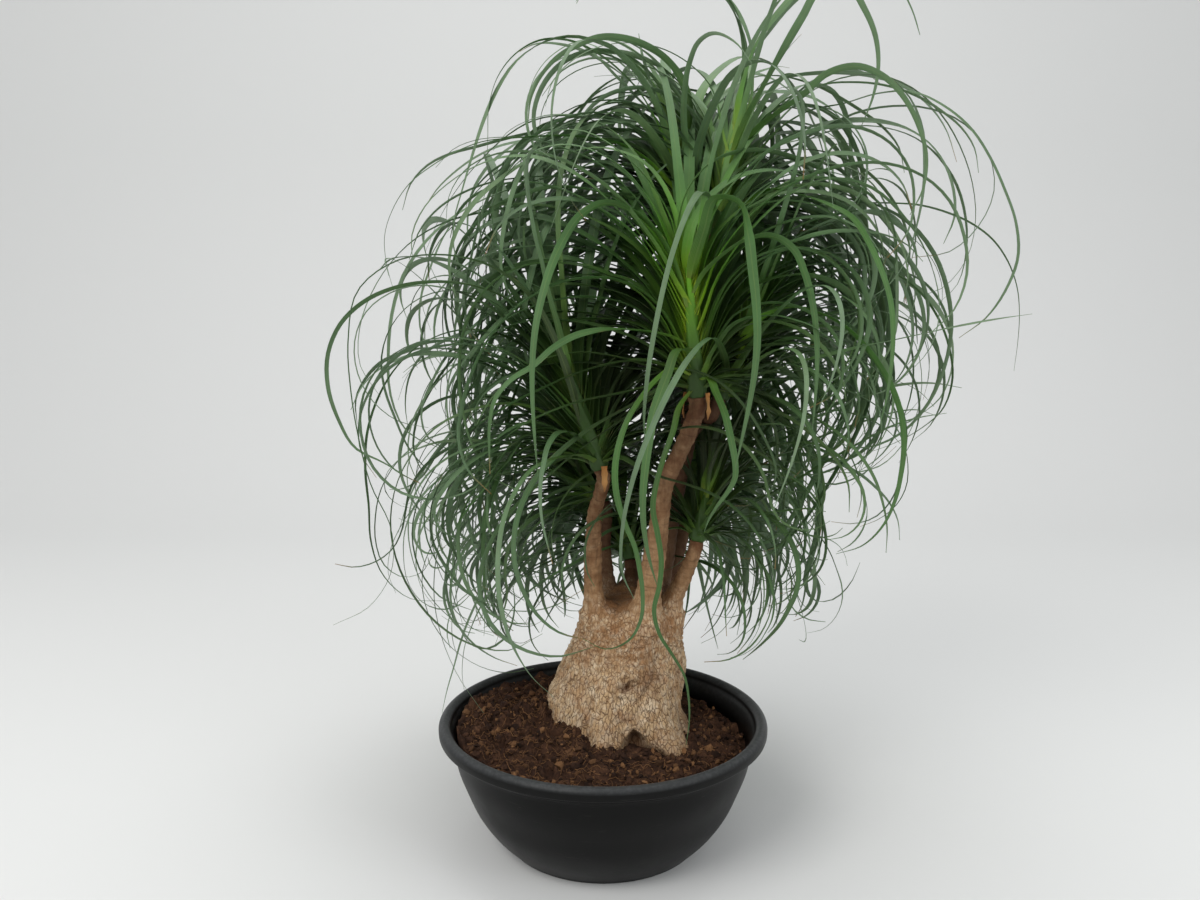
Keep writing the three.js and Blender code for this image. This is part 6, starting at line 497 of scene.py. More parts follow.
        [0.76, 8.9, 0.02, [135, 33, 787, 133, 36, 798, 131, 40, 814, 129, 44, 833, 125, 49, 853, 116, 57, 871, 102, 69, 886, 87, 82, 900, 70, 96, 911, 51, 111, 921, 31, 127, 928, 10, 144, 933, -11, 162, 935]],
        [0.76, 12.4, -0.20, [133, 35, 771, 130, 42, 794, 128, 50, 820, 126, 59, 848, 117, 74, 873, 102, 94, 892, 84, 116, 905, 63, 139, 912, 40, 162, 910, 17, 183, 899, -3, 200, 879, -21, 212, 852, -32, 214, 820, -32, 205, 787, -22, 187, 760]],
        [0.77, 8.1, 0.23, [136, 34, 787, 132, 41, 811, 130, 48, 839, 124, 58, 868, 111, 74, 891, 92, 95, 908, 72, 118, 920, 51, 143, 928, 28, 168, 930, 5, 194, 927, -17, 219, 917, -36, 241, 896, -49, 256, 867, -53, 261, 832, -47, 253, 797]],
        [0.78, 16.4, 0.72, [134, 35, 774, 132, 45, 801, 131, 55, 831, 126, 68, 862, 116, 90, 889, 101, 115, 909, 81, 144, 922, 59, 175, 924, 37, 203, 915, 16, 228, 893, 0, 246, 862, -10, 256, 826, -10, 252, 786, 1, 234, 752, 20, 206, 731]],
        [0.80, 7.8, -2.94, [157, 28, 854, 164, 25, 871, 169, 25, 892, 170, 26, 914, 169, 27, 937, 162, 27, 960, 151, 30, 982, 135, 33, 1000, 113, 38, 1013, 90, 42, 1020, 65, 47, 1024, 39, 52, 1025, 13, 57, 1024, -11, 63, 1016, -32, 67, 1001]],
        [0.81, 9.0, -0.09, [152, 32, 856, 155, 34, 875, 160, 34, 897, 162, 33, 920, 161, 32, 944, 154, 31, 968, 141, 28, 990, 122, 22, 1007, 99, 17, 1018, 74, 11, 1023, 48, 4, 1026, 22, -3, 1026, -5, -10, 1024, -31, -17, 1017, -53, -22, 1001]],
        [0.85, 6.8, -0.58, [144, 30, 824, 139, 30, 841, 135, 29, 860, 131, 29, 880, 122, 28, 900, 107, 27, 916, 89, 26, 929, 68, 26, 939, 45, 24, 944, 21, 23, 945, -2, 21, 941, -24, 20, 932, -44, 20, 918, -59, 19, 899, -66, 19, 875]],
        [0.86, 7.2, 0.34, [150, 26, 832, 154, 18, 849, 158, 9, 868, 162, -1, 888, 166, -12, 908, 170, -25, 928, 174, -40, 947, 179, -58, 964, 182, -78, 978, 184, -101, 990, 185, -126, 997, 183, -152, 997, 180, -177, 992, 174, -200, 980, 166, -217, 961]],
        [0.90, 11.6, -0.01, [145, 35, 810, 151, 46, 833, 157, 58, 860, 164, 74, 887, 171, 94, 912, 177, 119, 934, 182, 147, 954, 187, 178, 968, 191, 212, 978, 193, 248, 981, 194, 284, 975, 192, 317, 958, 187, 341, 931, 179, 354, 897, 170, 351, 860]],
        [0.90, 11.8, 0.23, [138, 36, 784, 139, 47, 810, 141, 60, 840, 143, 75, 871, 140, 99, 897, 135, 128, 918, 129, 160, 936, 120, 194, 950, 111, 230, 958, 98, 267, 957, 85, 302, 945, 73, 330, 920, 62, 346, 885, 56, 346, 846, 55, 329, 809]],
        [0.94, 14.6, 0.69, [142, 36, 785, 149, 46, 807, 160, 60, 838, 172, 78, 872, 187, 111, 897, 203, 152, 914, 218, 198, 922, 232, 247, 918, 244, 295, 898, 252, 334, 861, 256, 360, 811, 258, 369, 754, 260, 363, 695]],
        [0.96, 8.4, 0.18, [150, 30, 812, 160, 30, 824, 172, 31, 841, 186, 31, 861, 205, 31, 878, 232, 32, 880, 259, 33, 871, 284, 33, 854, 302, 34, 829, 307, 34, 798, 297, 34, 767, 272, 33, 746, 238, 32, 743]],
        [0.97, 7.9, -0.67, [150, 30, 813, 163, 29, 828, 176, 28, 847, 190, 27, 866, 208, 25, 883, 231, 23, 893, 256, 21, 900, 283, 18, 901, 309, 16, 899, 335, 14, 893, 361, 11, 882, 384, 10, 868, 406, 8, 850, 422, 7, 827, 428, 7, 800]],
        [0.98, 7.0, 1.13, [150, 30, 851, 150, 31, 867, 154, 31, 888, 161, 31, 912, 163, 31, 938, 157, 30, 966, 143, 29, 993, 119, 27, 1012, 89, 25, 1022, 55, 23, 1027, 21, 21, 1026, -12, 18, 1015, -30, 17, 986]],
        [0.18, 12.8, -0.08, [137, 35, 741, 159, 50, 756, 187, 72, 763, 217, 95, 762, 247, 119, 758, 276, 143, 746, 302, 164, 722, 320, 181, 689, 332, 192, 650, 338, 199, 608, 337, 200, 565, 329, 196, 523, 311, 184, 485, 281, 161, 463, 246, 133, 462]],
        [0.08, 12.6, 0.21, [137, 33, 738, 150, 37, 749, 167, 42, 758, 185, 49, 767, 204, 56, 773, 224, 63, 777, 245, 72, 775, 265, 80, 768, 282, 88, 755, 295, 95, 736, 303, 100, 714, 306, 102, 691, 302, 103, 667, 292, 103, 644, 276, 98, 626]],
        [0.30, 15.0, -0.75, [138, 34, 745, 155, 45, 761, 178, 58, 775, 203, 75, 782, 229, 94, 786, 256, 113, 785, 283, 133, 778, 308, 152, 765, 330, 171, 745, 348, 186, 719, 359, 199, 688, 365, 206, 653, 360, 204, 617, 344, 193, 586, 320, 175, 566]],
        [0.22, 11.9, 1.36, [136, 36, 743, 149, 47, 760, 164, 62, 779, 181, 79, 795, 199, 100, 809, 218, 121, 820, 239, 144, 828, 259, 169, 829, 277, 195, 822, 293, 219, 806, 305, 239, 782, 312, 254, 752, 312, 262, 719, 306, 259, 686, 292, 248, 656]],
        [0.24, 13.9, 0.28, [138, 34, 743, 158, 43, 755, 182, 57, 760, 208, 72, 759, 235, 87, 756, 263, 102, 752, 290, 118, 745, 316, 134, 732, 339, 149, 713, 356, 160, 686, 365, 168, 654, 365, 170, 620, 354, 167, 587, 333, 157, 561, 305, 142, 546]],
        [0.96, 9.5, 0.07, [148, 34, 813, 154, 42, 828, 162, 49, 845, 169, 56, 864, 178, 67, 881, 188, 86, 888, 198, 107, 886, 206, 128, 880, 213, 147, 867, 217, 163, 850, 217, 173, 828, 214, 176, 804, 208, 172, 780, 199, 162, 759, 188, 146, 742]],
        [0.09, 10.7, -0.03, [134, 36, 739, 149, 60, 752, 167, 91, 752, 186, 124, 747, 204, 157, 738, 222, 190, 722, 239, 222, 702, 255, 251, 677, 270, 280, 650, 284, 308, 620, 297, 333, 587, 309, 357, 552, 312, 371, 511, 302, 365, 468, 282, 342, 435]],
        [0.19, 11.1, 0.62, [137, 33, 742, 151, 39, 751, 168, 48, 758, 187, 57, 759, 206, 68, 757, 226, 78, 752, 245, 88, 745, 263, 98, 734, 280, 108, 721, 296, 116, 704, 310, 124, 686, 319, 130, 664, 323, 133, 640, 322, 133, 615, 315, 130, 591]],
        [0.30, 14.8, 0.16, [137, 34, 745, 151, 42, 758, 168, 53, 771, 187, 65, 779, 208, 79, 786, 228, 95, 790, 251, 110, 791, 273, 125, 788, 294, 142, 782, 315, 158, 772, 335, 172, 758, 352, 183, 738, 365, 191, 714, 370, 193, 685, 366, 187, 657]],
        [0.47, 15.0, -0.25, [139, 32, 751, 164, 39, 768, 196, 49, 776, 230, 60, 768, 263, 72, 752, 295, 83, 732, 322, 92, 704, 343, 99, 670, 351, 102, 630, 347, 100, 589, 336, 96, 548, 321, 90, 508, 297, 82, 475, 260, 69, 457, 220, 56, 460]],
        [0.18, 13.2, 0.01, [125, 34, 743, 110, 45, 764, 87, 60, 781, 61, 78, 793, 33, 97, 801, 3, 116, 805, -28, 136, 802, -57, 154, 788, -81, 170, 764, -102, 182, 734, -117, 191, 700, -129, 197, 663, -134, 200, 624, -132, 197, 585, -120, 187, 548]],
        [0.47, 15.0, 0.25, [138, 34, 751, 157, 44, 766, 180, 59, 775, 204, 76, 774, 228, 94, 766, 252, 112, 752, 274, 130, 735, 294, 145, 712, 310, 158, 684, 318, 166, 652, 320, 169, 618, 314, 167, 583, 305, 162, 548, 294, 156, 514, 276, 145, 485]],
        [0.22, 15.0, 0.07, [136, 35, 743, 150, 49, 757, 166, 68, 765, 185, 90, 770, 203, 112, 771, 221, 136, 768, 239, 160, 761, 255, 183, 749, 270, 205, 731, 281, 224, 707, 288, 238, 679, 292, 246, 648, 293, 247, 615, 288, 242, 583, 279, 228, 555]],
        [0.07, 13.4, 0.08, [138, 33, 738, 171, 45, 737, 206, 58, 721, 243, 72, 703, 279, 84, 679, 310, 96, 648, 334, 104, 609, 343, 106, 563, 333, 101, 517, 313, 91, 474, 288, 81, 432, 261, 69, 392, 227, 55, 358, 181, 38, 348, 136, 23, 366]],
        [0.02, 15.0, -0.73, [137, 31, 736, 154, 35, 743, 175, 39, 741, 196, 43, 735, 218, 48, 730, 241, 53, 724, 263, 58, 716, 285, 63, 704, 304, 68, 689, 320, 73, 670, 334, 78, 648, 343, 83, 625, 348, 89, 599, 344, 93, 574, 329, 96, 552]],
    ]},
    "top_left": {"base": [0.1091, 0.06, 0.7414], "tip": [0.0832, 0.07, 0.8747], "leaves": [
        [0.00, 15.0, 0.45, [112, 66, 747, 122, 82, 759, 136, 103, 759, 153, 124, 758, 169, 147, 761, 187, 170, 762, 204, 193, 761, 223, 215, 755, 241, 236, 744, 259, 254, 727, 275, 270, 706, 289, 279, 679, 297, 279, 649, 299, 271, 619, 293, 255, 592]],
        [0.02, 15.7, 0.09, [107, 68, 746, 101, 87, 759, 96, 113, 765, 92, 141, 770, 85, 169, 778, 79, 198, 785, 74, 229, 789, 69, 260, 788, 66, 292, 784, 63, 322, 773, 62, 351, 756, 63, 375, 733, 67, 390, 704, 73, 392, 671, 81, 380, 641]],
        [0.02, 12.7, -0.09, [103, 66, 746, 76, 95, 733, 57, 119, 706, 34, 145, 682, 13, 169, 656, -5, 189, 624, -21, 207, 590, -35, 223, 554, -48, 237, 518, -60, 251, 480, -69, 261, 441, -76, 267, 401, -73, 247, 366, -60, 210, 355, -44, 172, 358, -29, 134, 366, -13, 96, 375]],
        [0.06, 15.5, 0.42, [102, 65, 747, 89, 74, 755, 73, 85, 757, 55, 97, 756, 38, 110, 752, 20, 123, 748, 2, 136, 742, -14, 148, 732, -29, 160, 718, -43, 171, 702, -55, 180, 683, -64, 188, 662, -70, 193, 638, -70, 194, 614, -63, 190, 590]],
        [0.06, 9.1, -0.11, [102, 64, 747, 77, 80, 751, 50, 98, 737, 20, 117, 724, -9, 136, 707, -36, 154, 684, -61, 169, 656, -81, 182, 623, -94, 192, 585, -100, 196, 543, -94, 191, 502, -73, 178, 466, -42, 158, 445, -5, 134, 444, 28, 112, 462]],
        [0.07, 11.9, -0.40, [115, 61, 750, 136, 61, 757, 160, 59, 745, 185, 58, 732, 212, 57, 721, 240, 56, 710, 267, 55, 695, 290, 54, 674, 308, 53, 648, 320, 53, 619, 326, 53, 587, 325, 53, 554, 318, 53, 522, 300, 54, 494, 272, 55, 476]],
        [0.07, 19.9, 0.21, [105, 67, 748, 90, 94, 759, 75, 129, 757, 59, 166, 755, 42, 204, 752, 25, 242, 745, 10, 280, 730, -3, 316, 707, -12, 347, 677, -17, 372, 639, -18, 388, 596, -13, 394, 551, -1, 383, 507, 19, 351, 479, 39, 310, 471]],
        [0.08, 12.0, 0.34, [115, 60, 751, 135, 58, 774, 164, 56, 794, 195, 52, 814, 227, 49, 836, 261, 46, 856, 298, 43, 872, 338, 38, 878, 379, 34, 874, 417, 31, 857, 445, 28, 825, 454, 27, 783, 439, 28, 743, 408, 32, 713, 365, 37, 706]],
        [0.09, 12.9, -0.80, [101, 63, 748, 73, 73, 750, 41, 84, 737, 8, 96, 724, -26, 108, 710, -60, 120, 692, -93, 132, 672, -127, 143, 650, -158, 154, 625, -185, 164, 593, -203, 170, 555, -208, 171, 512, -199, 169, 469, -172, 160, 437, -133, 148, 419]],
        [0.09, 18.0, 0.37, [103, 66, 748, 89, 82, 752, 75, 99, 742, 61, 116, 726, 47, 134, 711, 32, 154, 698, 18, 172, 681, 4, 191, 663, -8, 208, 642, -18, 223, 619, -26, 238, 594, -32, 249, 566, -32, 257, 536, -25, 255, 506, -10, 246, 480]],
        [0.10, 17.4, 0.17, [107, 68, 749, 104, 93, 760, 103, 124, 759, 101, 157, 755, 100, 191, 748, 101, 225, 738, 101, 257, 722, 104, 287, 701, 107, 313, 675, 112, 337, 646, 117, 356, 614, 124, 373, 580, 130, 381, 543, 138, 370, 507, 145, 342, 480]],
        [0.10, 16.9, 0.75, [101, 63, 749, 82, 71, 758, 57, 82, 760, 32, 92, 758, 6, 104, 756, -21, 115, 752, -48, 126, 744, -74, 137, 733, -100, 148, 719, -124, 158, 701, -145, 167, 680, -164, 176, 655, -175, 182, 626, -174, 183, 593, -161, 180, 564]],
        [0.12, 9.0, 1.23, [101, 64, 749, 81, 76, 755, 54, 93, 742, 25, 111, 724, -5, 129, 699, -36, 147, 672, -67, 166, 642, -98, 185, 608, -129, 204, 571, -161, 223, 533, -193, 243, 494, -226, 263, 454, -259, 283, 411, -286, 300, 363, -306, 312, 308]],
        [0.12, 15.0, -0.25, [101, 64, 749, 77, 76, 763, 46, 91, 769, 13, 107, 774, -20, 124, 780, -56, 141, 782, -91, 160, 779, -126, 178, 769, -158, 194, 749, -185, 208, 722, -205, 218, 686, -215, 223, 645, -209, 219, 603, -185, 206, 569, -150, 188, 552]],
        [0.12, 9.6, 0.16, [113, 65, 752, 130, 78, 762, 154, 93, 757, 179, 108, 752, 205, 124, 748, 231, 141, 744, 258, 158, 739, 285, 175, 732, 311, 191, 720, 335, 206, 701, 352, 217, 675, 361, 223, 642, 357, 222, 608, 342, 212, 578, 318, 197, 558]],
        [0.14, 17.2, -0.70, [105, 68, 751, 97, 87, 766, 88, 114, 777, 78, 142, 785, 68, 173, 792, 59, 204, 797, 49, 237, 795, 41, 269, 787, 35, 300, 771, 30, 326, 747, 27, 345, 717, 25, 358, 684, 26, 361, 647, 30, 348, 613, 37, 322, 588]],
        [0.16, 18.5, 0.37, [103, 66, 751, 90, 81, 766, 72, 100, 779, 54, 121, 789, 35, 145, 797, 14, 169, 802, -6, 194, 802, -26, 221, 798, -45, 246, 787, -61, 270, 769, -75, 292, 746, -83, 309, 717, -85, 318, 684, -77, 316, 649, -61, 302, 621]],
        [0.16, 10.5, 1.63, [100, 64, 750, 86, 69, 756, 69, 76, 755, 51, 84, 750, 33, 91, 743, 15, 99, 735, -4, 106, 727, -22, 114, 718, -41, 121, 708, -59, 128, 698, -77, 136, 686, -94, 143, 673, -111, 150, 658, -124, 155, 639, -132, 158, 617]],
        [0.20, 17.8, -0.34, [102, 66, 752, 87, 81, 765, 69, 100, 773, 49, 122, 776, 29, 144, 778, 8, 168, 777, -12, 192, 772, -32, 215, 762, -51, 238, 747, -67, 259, 727, -81, 277, 702, -90, 290, 672, -91, 295, 639, -83, 291, 605, -68, 278, 576]],
        [0.21, 9.7, 1.54, [114, 62, 755, 132, 64, 771, 158, 67, 778, 187, 69, 778, 217, 71, 774, 247, 74, 766, 276, 76, 754, 305, 79, 740, 331, 81, 721, 354, 83, 697, 372, 85, 669, 382, 85, 637, 384, 85, 603, 375, 85, 570, 355, 83, 542]],
        [0.21, 10.7, -0.88, [100, 60, 753, 66, 59, 757, 34, 55, 746, 3, 52, 732, -28, 49, 717, -58, 46, 699, -86, 43, 679, -113, 40, 659, -140, 38, 637, -165, 36, 614, -188, 33, 588, -205, 31, 558, -218, 31, 526, -214, 37, 494, -190, 52, 475, -159, 65, 479, -134, 74, 500]],
        [0.22, 14.5, -0.85, [101, 65, 753, 86, 75, 764, 67, 90, 771, 47, 105, 773, 26, 121, 772, 4, 137, 769, -18, 154, 763, -39, 170, 755, -60, 186, 744, -80, 202, 730, -99, 217, 714, -116, 229, 693, -127, 237, 666, -131, 238, 636, -126, 233, 607]],
        [0.23, 14.3, -0.15, [104, 68, 753, 95, 82, 767, 85, 100, 780, 74, 122, 789, 63, 146, 794, 51, 171, 797, 40, 197, 796, 30, 222, 789, 21, 247, 777, 13, 269, 759, 7, 286, 736, 4, 298, 708, 5, 300, 678, 10, 291, 650, 19, 273, 626]],
        [0.23, 12.2, -1.65, [100, 59, 753, 84, 56, 769, 62, 53, 784, 37, 48, 794, 10, 42, 797, -18, 37, 790, -41, 32, 772, -60, 27, 748, -74, 24, 721, -83, 22, 691, -90, 21, 660, -94, 20, 629, -92, 20, 597, -82, 22, 566, -61, 27, 542]],
        [0.24, 10.5, -0.32, [113, 64, 756, 119, 70, 775, 128, 76, 796, 139, 84, 817, 154, 93, 836, 171, 104, 854, 189, 115, 871, 208, 126, 888, 227, 138, 905, 248, 151, 920, 270, 164, 932, 293, 178, 942, 317, 193, 949, 343, 207, 948, 367, 221, 937]],
        [0.25, 17.8, -0.05, [102, 67, 754, 91, 79, 765, 77, 94, 775, 62, 112, 779, 46, 132, 781, 31, 152, 780, 15, 172, 775, -1, 192, 767, -15, 211, 756, -27, 229, 740, -38, 245, 720, -47, 257, 697, -51, 265, 671, -49, 264, 643, -40, 255, 618]],
        [0.26, 19.5, 0.33, [105, 68, 754, 98, 84, 773, 89, 108, 797, 78, 140, 818, 66, 179, 834, 55, 222, 845, 45, 270, 844, 37, 318, 828, 33, 360, 798, 34, 392, 754, 40, 411, 702, 51, 412, 646, 66, 398, 591]],
        [0.27, 9.3, -1.83, [101, 66, 754, 91, 73, 769, 77, 84, 789, 58, 98, 809, 36, 117, 823, 10, 138, 836, -17, 160, 849, -46, 183, 859, -77, 208, 864, -109, 234, 865, -142, 261, 862, -175, 288, 852, -207, 314, 836, -238, 339, 814, -265, 361, 784]],
        [0.28, 8.7, 0.16, [99, 62, 755, 86, 66, 769, 71, 69, 785, 55, 72, 801, 35, 76, 813, 13, 80, 823, -10, 85, 831, -35, 90, 835, -60, 95, 836, -85, 101, 833, -110, 105, 827, -134, 110, 815, -154, 115, 798, -169, 118, 776, -176, 120, 750]],
        [0.30, 8.6, -0.49, [113, 61, 758, 123, 62, 777, 137, 64, 797, 155, 65, 815, 180, 66, 826, 206, 67, 832, 234, 68, 834, 263, 69, 831, 290, 70, 822, 316, 70, 808, 338, 71, 788, 356, 72, 764, 368, 73, 737, 373, 73, 707, 366, 74, 677]],
        [0.31, 17.2, 0.27, [100, 64, 756, 82, 73, 774, 53, 87, 795, 17, 105, 810, -24, 126, 818, -68, 149, 819, -113, 172, 805, -153, 194, 775, -183, 211, 730, -198, 222, 675, -193, 223, 615, -162, 214, 563, -112, 197, 530]],
        [0.32, 18.1, 0.56, [111, 66, 758, 121, 79, 782, 137, 96, 806, 157, 117, 827, 180, 139, 845, 205, 162, 859, 233, 186, 870, 263, 210, 874, 295, 232, 868, 324, 250, 848, 350, 260, 819, 370, 262, 784, 378, 253, 745, 371, 235, 709, 352, 211, 681]],
        [0.33, 16.5, 0.16, [110, 67, 758, 115, 82, 775, 124, 101, 789, 135, 124, 799, 149, 149, 804, 164, 173, 805, 180, 198, 803, 197, 222, 795, 214, 243, 782, 230, 263, 764, 245, 280, 742, 259, 291, 716, 268, 292, 686, 269, 282, 655, 263, 263, 630]],
        [0.33, 19.0, 0.29, [110, 67, 758, 115, 83, 777, 123, 105, 796, 135, 129, 810, 148, 156, 820, 164, 184, 827, 181, 213, 830, 199, 241, 828, 218, 268, 818, 237, 290, 799, 255, 307, 774, 270, 314, 743, 280, 310, 709, 282, 294, 676, 275, 269, 651]],
        [0.34, 10.8, 0.93, [104, 55, 758, 97, 45, 774, 87, 31, 794, 75, 10, 814, 62, -16, 829, 49, -47, 840, 35, -81, 847, 21, -117, 848, 7, -154, 841, -7, -190, 825, -21, -220, 798, -35, -239, 762, -50, -245, 720]],
        [0.34, 12.0, 0.63, [99, 61, 757, 81, 61, 769, 58, 61, 779, 32, 60, 782, 5, 59, 780, -22, 58, 773, -48, 57, 763, -73, 56, 748, -95, 55, 728, -114, 55, 705, -129, 54, 679, -140, 53, 651, -147, 53, 622, -143, 54, 591, -127, 57, 565]],
        [0.35, 10.4, 0.08, [100, 65, 757, 83, 75, 770, 61, 88, 779, 37, 103, 780, 12, 118, 771, -11, 133, 757, -33, 146, 740, -54, 159, 720, -74, 172, 698, -93, 184, 675, -111, 194, 649, -123, 202, 619, -126, 204, 586, -116, 198, 554, -95, 185, 531]],
        [0.37, 11.6, -0.91, [109, 61, 774, 114, 61, 792, 118, 61, 816, 125, 61, 844, 137, 60, 873, 152, 59, 902, 170, 58, 932, 191, 56, 961, 214, 54, 991, 244, 51, 1016, 282, 48, 1028, 322, 45, 1031, 364, 41, 1030, 406, 38, 1022, 444, 34, 1001]],
        [0.39, 9.4, -0.64, [111, 66, 760, 114, 71, 774, 119, 78, 792, 124, 86, 813, 133, 96, 834, 145, 109, 854, 160, 123, 873, 175, 138, 893, 191, 154, 914, 208, 170, 935, 225, 187, 957, 242, 204, 979, 261, 223, 1000]],
        [0.39, 8.9, 0.84, [99, 63, 758, 85, 67, 777, 69, 72, 800, 48, 78, 821, 24, 84, 837, -4, 92, 850, -33, 101, 859, -64, 109, 862, -96, 118, 858, -128, 127, 852, -160, 136, 845, -192, 144, 838, -223, 153, 825, -247, 160, 802, -259, 165, 770]],
        [0.40, 11.1, 0.03, [108, 55, 761, 107, 44, 782, 108, 31, 805, 109, 13, 828, 113, -8, 847, 119, -32, 864, 125, -59, 878, 132, -88, 888, 141, -118, 892, 151, -148, 890, 162, -177, 880, 171, -202, 861, 179, -220, 835, 185, -226, 803, 186, -217, 771]],
        [0.42, 10.0, -1.74, [112, 63, 763, 116, 66, 782, 121, 70, 808, 128, 76, 837, 143, 82, 866, 166, 92, 891, 195, 104, 912, 229, 117, 926, 266, 132, 933, 304, 148, 937, 344, 164, 936, 384, 180, 928, 421, 195, 909, 452, 208, 878, 471, 215, 836]],
        [0.43, 18.5, 0.74, [101, 67, 760, 88, 81, 779, 73, 98, 798, 55, 120, 813, 35, 145, 819, 15, 172, 820, -5, 200, 815, -22, 227, 802, -37, 252, 781, -48, 274, 755, -53, 291, 724, -52, 304, 689, -44, 308, 653, -27, 300, 621, -4, 283, 596]],
        [0.43, 14.3, 0.02, [111, 65, 762, 120, 73, 780, 131, 83, 799, 148, 95, 815, 169, 109, 824, 193, 122, 827, 218, 135, 824, 242, 147, 816, 266, 158, 803, 287, 165, 785, 305, 170, 762, 319, 171, 735, 325, 167, 706, 321, 157, 678, 306, 142, 656]],
        [0.44, 19.5, 0.77, [106, 68, 761, 103, 85, 786, 100, 104, 814, 97, 128, 840, 96, 158, 862, 96, 191, 882, 97, 225, 900, 99, 263, 913, 103, 302, 919, 109, 342, 914, 119, 379, 900, 133, 408, 873, 149, 423, 838, 163, 419, 799, 172, 395, 765]],
        [0.44, 12.2, -0.50, [108, 66, 773, 114, 75, 807, 124, 88, 845, 146, 109, 874, 175, 137, 894, 207, 167, 905, 241, 199, 908, 275, 231, 904, 309, 263, 890, 336, 288, 859, 344, 295, 813, 325, 277, 771, 292, 247, 749, 256, 212, 750, 222, 180, 770]],
        [0.45, 16.0, -0.08, [101, 67, 760, 87, 79, 783, 71, 93, 810, 52, 112, 833, 28, 137, 849, 4, 163, 861, -22, 192, 865, -47, 222, 860, -70, 250, 843, -87, 275, 816, -96, 292, 781, -97, 301, 740, -85, 295, 701, -62, 274, 673, -34, 246, 660]],
        [0.46, 15.3, 0.49, [101, 67, 761, 89, 81, 782, 74, 97, 805, 57, 117, 826, 37, 142, 840, 16, 169, 851, -6, 198, 854, -27, 228, 852, -47, 258, 841, -63, 286, 820, -73, 310, 792, -76, 327, 757, -70, 332, 719, -53, 322, 686, -30, 298, 663]],
        [0.49, 12.7, 0.56, [111, 65, 764, 118, 72, 788, 126, 82, 816, 142, 95, 840, 164, 111, 857, 191, 128, 869, 218, 146, 876, 247, 166, 879, 277, 185, 876, 305, 204, 866, 331, 221, 847, 348, 233, 817, 354, 238, 781, 348, 234, 745, 329, 223, 715]],
        [0.49, 15.0, 0.14, [110, 66, 764, 118, 76, 786, 128, 89, 811, 141, 105, 834, 161, 124, 850, 183, 144, 865, 208, 164, 876, 234, 186, 882, 261, 207, 881, 289, 226, 872, 315, 242, 854, 338, 252, 828, 354, 255, 796, 358, 249, 760, 347, 232, 730]],
        [0.49, 16.0, 0.06, [103, 68, 762, 97, 80, 780, 90, 94, 800, 82, 110, 820, 74, 131, 837, 66, 156, 848, 58, 183, 856, 51, 212, 857, 45, 241, 851, 40, 268, 838, 37, 292, 819, 37, 310, 794, 39, 319, 764, 44, 318, 733, 52, 306, 704]],
        [0.50, 10.8, -0.61, [111, 63, 764, 120, 69, 798, 131, 75, 836, 158, 85, 867, 197, 97, 884, 240, 110, 887, 280, 123, 871, 309, 133, 836, 323, 137, 791, 328, 139, 743, 328, 139, 694, 323, 137, 645, 307, 131, 599, 270, 118, 570, 222, 102, 567]],
        [0.51, 10.7, -1.42, [98, 64, 766, 80, 69, 791, 60, 75, 821, 31, 83, 844, -5, 92, 856, -44, 103, 856, -82, 114, 845, -118, 124, 824, -151, 132, 798, -180, 141, 768, -205, 148, 733, -224, 153, 693, -238, 157, 651, -236, 156, 607, -211, 150, 570]],
        [0.51, 16.6, 0.37, [105, 68, 763, 101, 80, 779, 97, 94, 797, 94, 111, 814, 91, 133, 827, 88, 157, 836, 87, 183, 840, 86, 210, 842, 86, 237, 840, 87, 264, 833, 90, 289, 822, 94, 312, 806, 101, 330, 785, 110, 339, 759, 120, 338, 732]],
        [0.54, 18.4, 0.08, [101, 67, 764, 91, 76, 781, 81, 86, 801, 70, 97, 822, 56, 112, 840, 41, 130, 854, 24, 150, 864, 6, 172, 869, -12, 195, 869, -29, 218, 863, -44, 240, 851, -57, 260, 832, -65, 276, 808, -68, 283, 779, -64, 283, 748]],
        [0.55, 11.0, 1.22, [108, 65, 777, 113, 72, 801, 118, 78, 829, 127, 86, 857, 145, 99, 879, 169, 115, 896, 194, 133, 909, 222, 151, 914, 251, 170, 915, 279, 189, 910, 306, 207, 897, 329, 222, 874, 343, 232, 843, 344, 234, 807, 334, 228, 773]],
        [0.56, 19.2, 0.04, [100, 67, 766, 88, 79, 790, 74, 91, 818, 58, 107, 845, 38, 128, 866, 16, 154, 881, -8, 182, 890, -33, 213, 891, -56, 243, 883, -76, 272, 864, -91, 296, 836, -100, 313, 800, -99, 318, 760, -87, 308, 722, -66, 286, 693]],
        [0.56, 9.9, -1.36, [98, 62, 764, 73, 64, 789, 39, 66, 812, -3, 67, 815, -47, 68, 806, -91, 69, 794, -135, 69, 779, -177, 70, 757, -214, 70, 726, -242, 70, 686, -258, 71, 639, -264, 71, 590, -263, 71, 540, -244, 71, 494, -199, 70, 471]],
        [0.57, 17.0, 1.11, [106, 68, 766, 106, 85, 792, 105, 103, 822, 107, 128, 851, 113, 160, 871, 121, 196, 886, 132, 234, 892, 145, 273, 887, 161, 306, 868, 178, 329, 837, 194, 338, 798, 209, 334, 758, 221, 315, 721, 222, 280, 696, 214, 237, 687]],
        [0.58, 11.5, -1.26, [98, 60, 765, 84, 58, 784, 68, 56, 806, 49, 53, 828, 23, 49, 840, -6, 41, 841, -36, 34, 836, -65, 26, 826, -93, 19, 811, -119, 13, 793, -143, 7, 772, -163, 3, 745, -175, 0, 714, -176, -1, 681, -165, 2, 649]],
        [0.59, 9.3, 2.11, [82, 67, 865, 76, 67, 884, 66, 67, 905, 52, 69, 923, 32, 70, 938, 8, 71, 946, -18, 72, 946, -43, 74, 937, -63, 75, 920, -77, 75, 897, -83, 75, 870, -77, 75, 843, -62, 75, 820, -40, 74, 803, -13, 73, 795]],
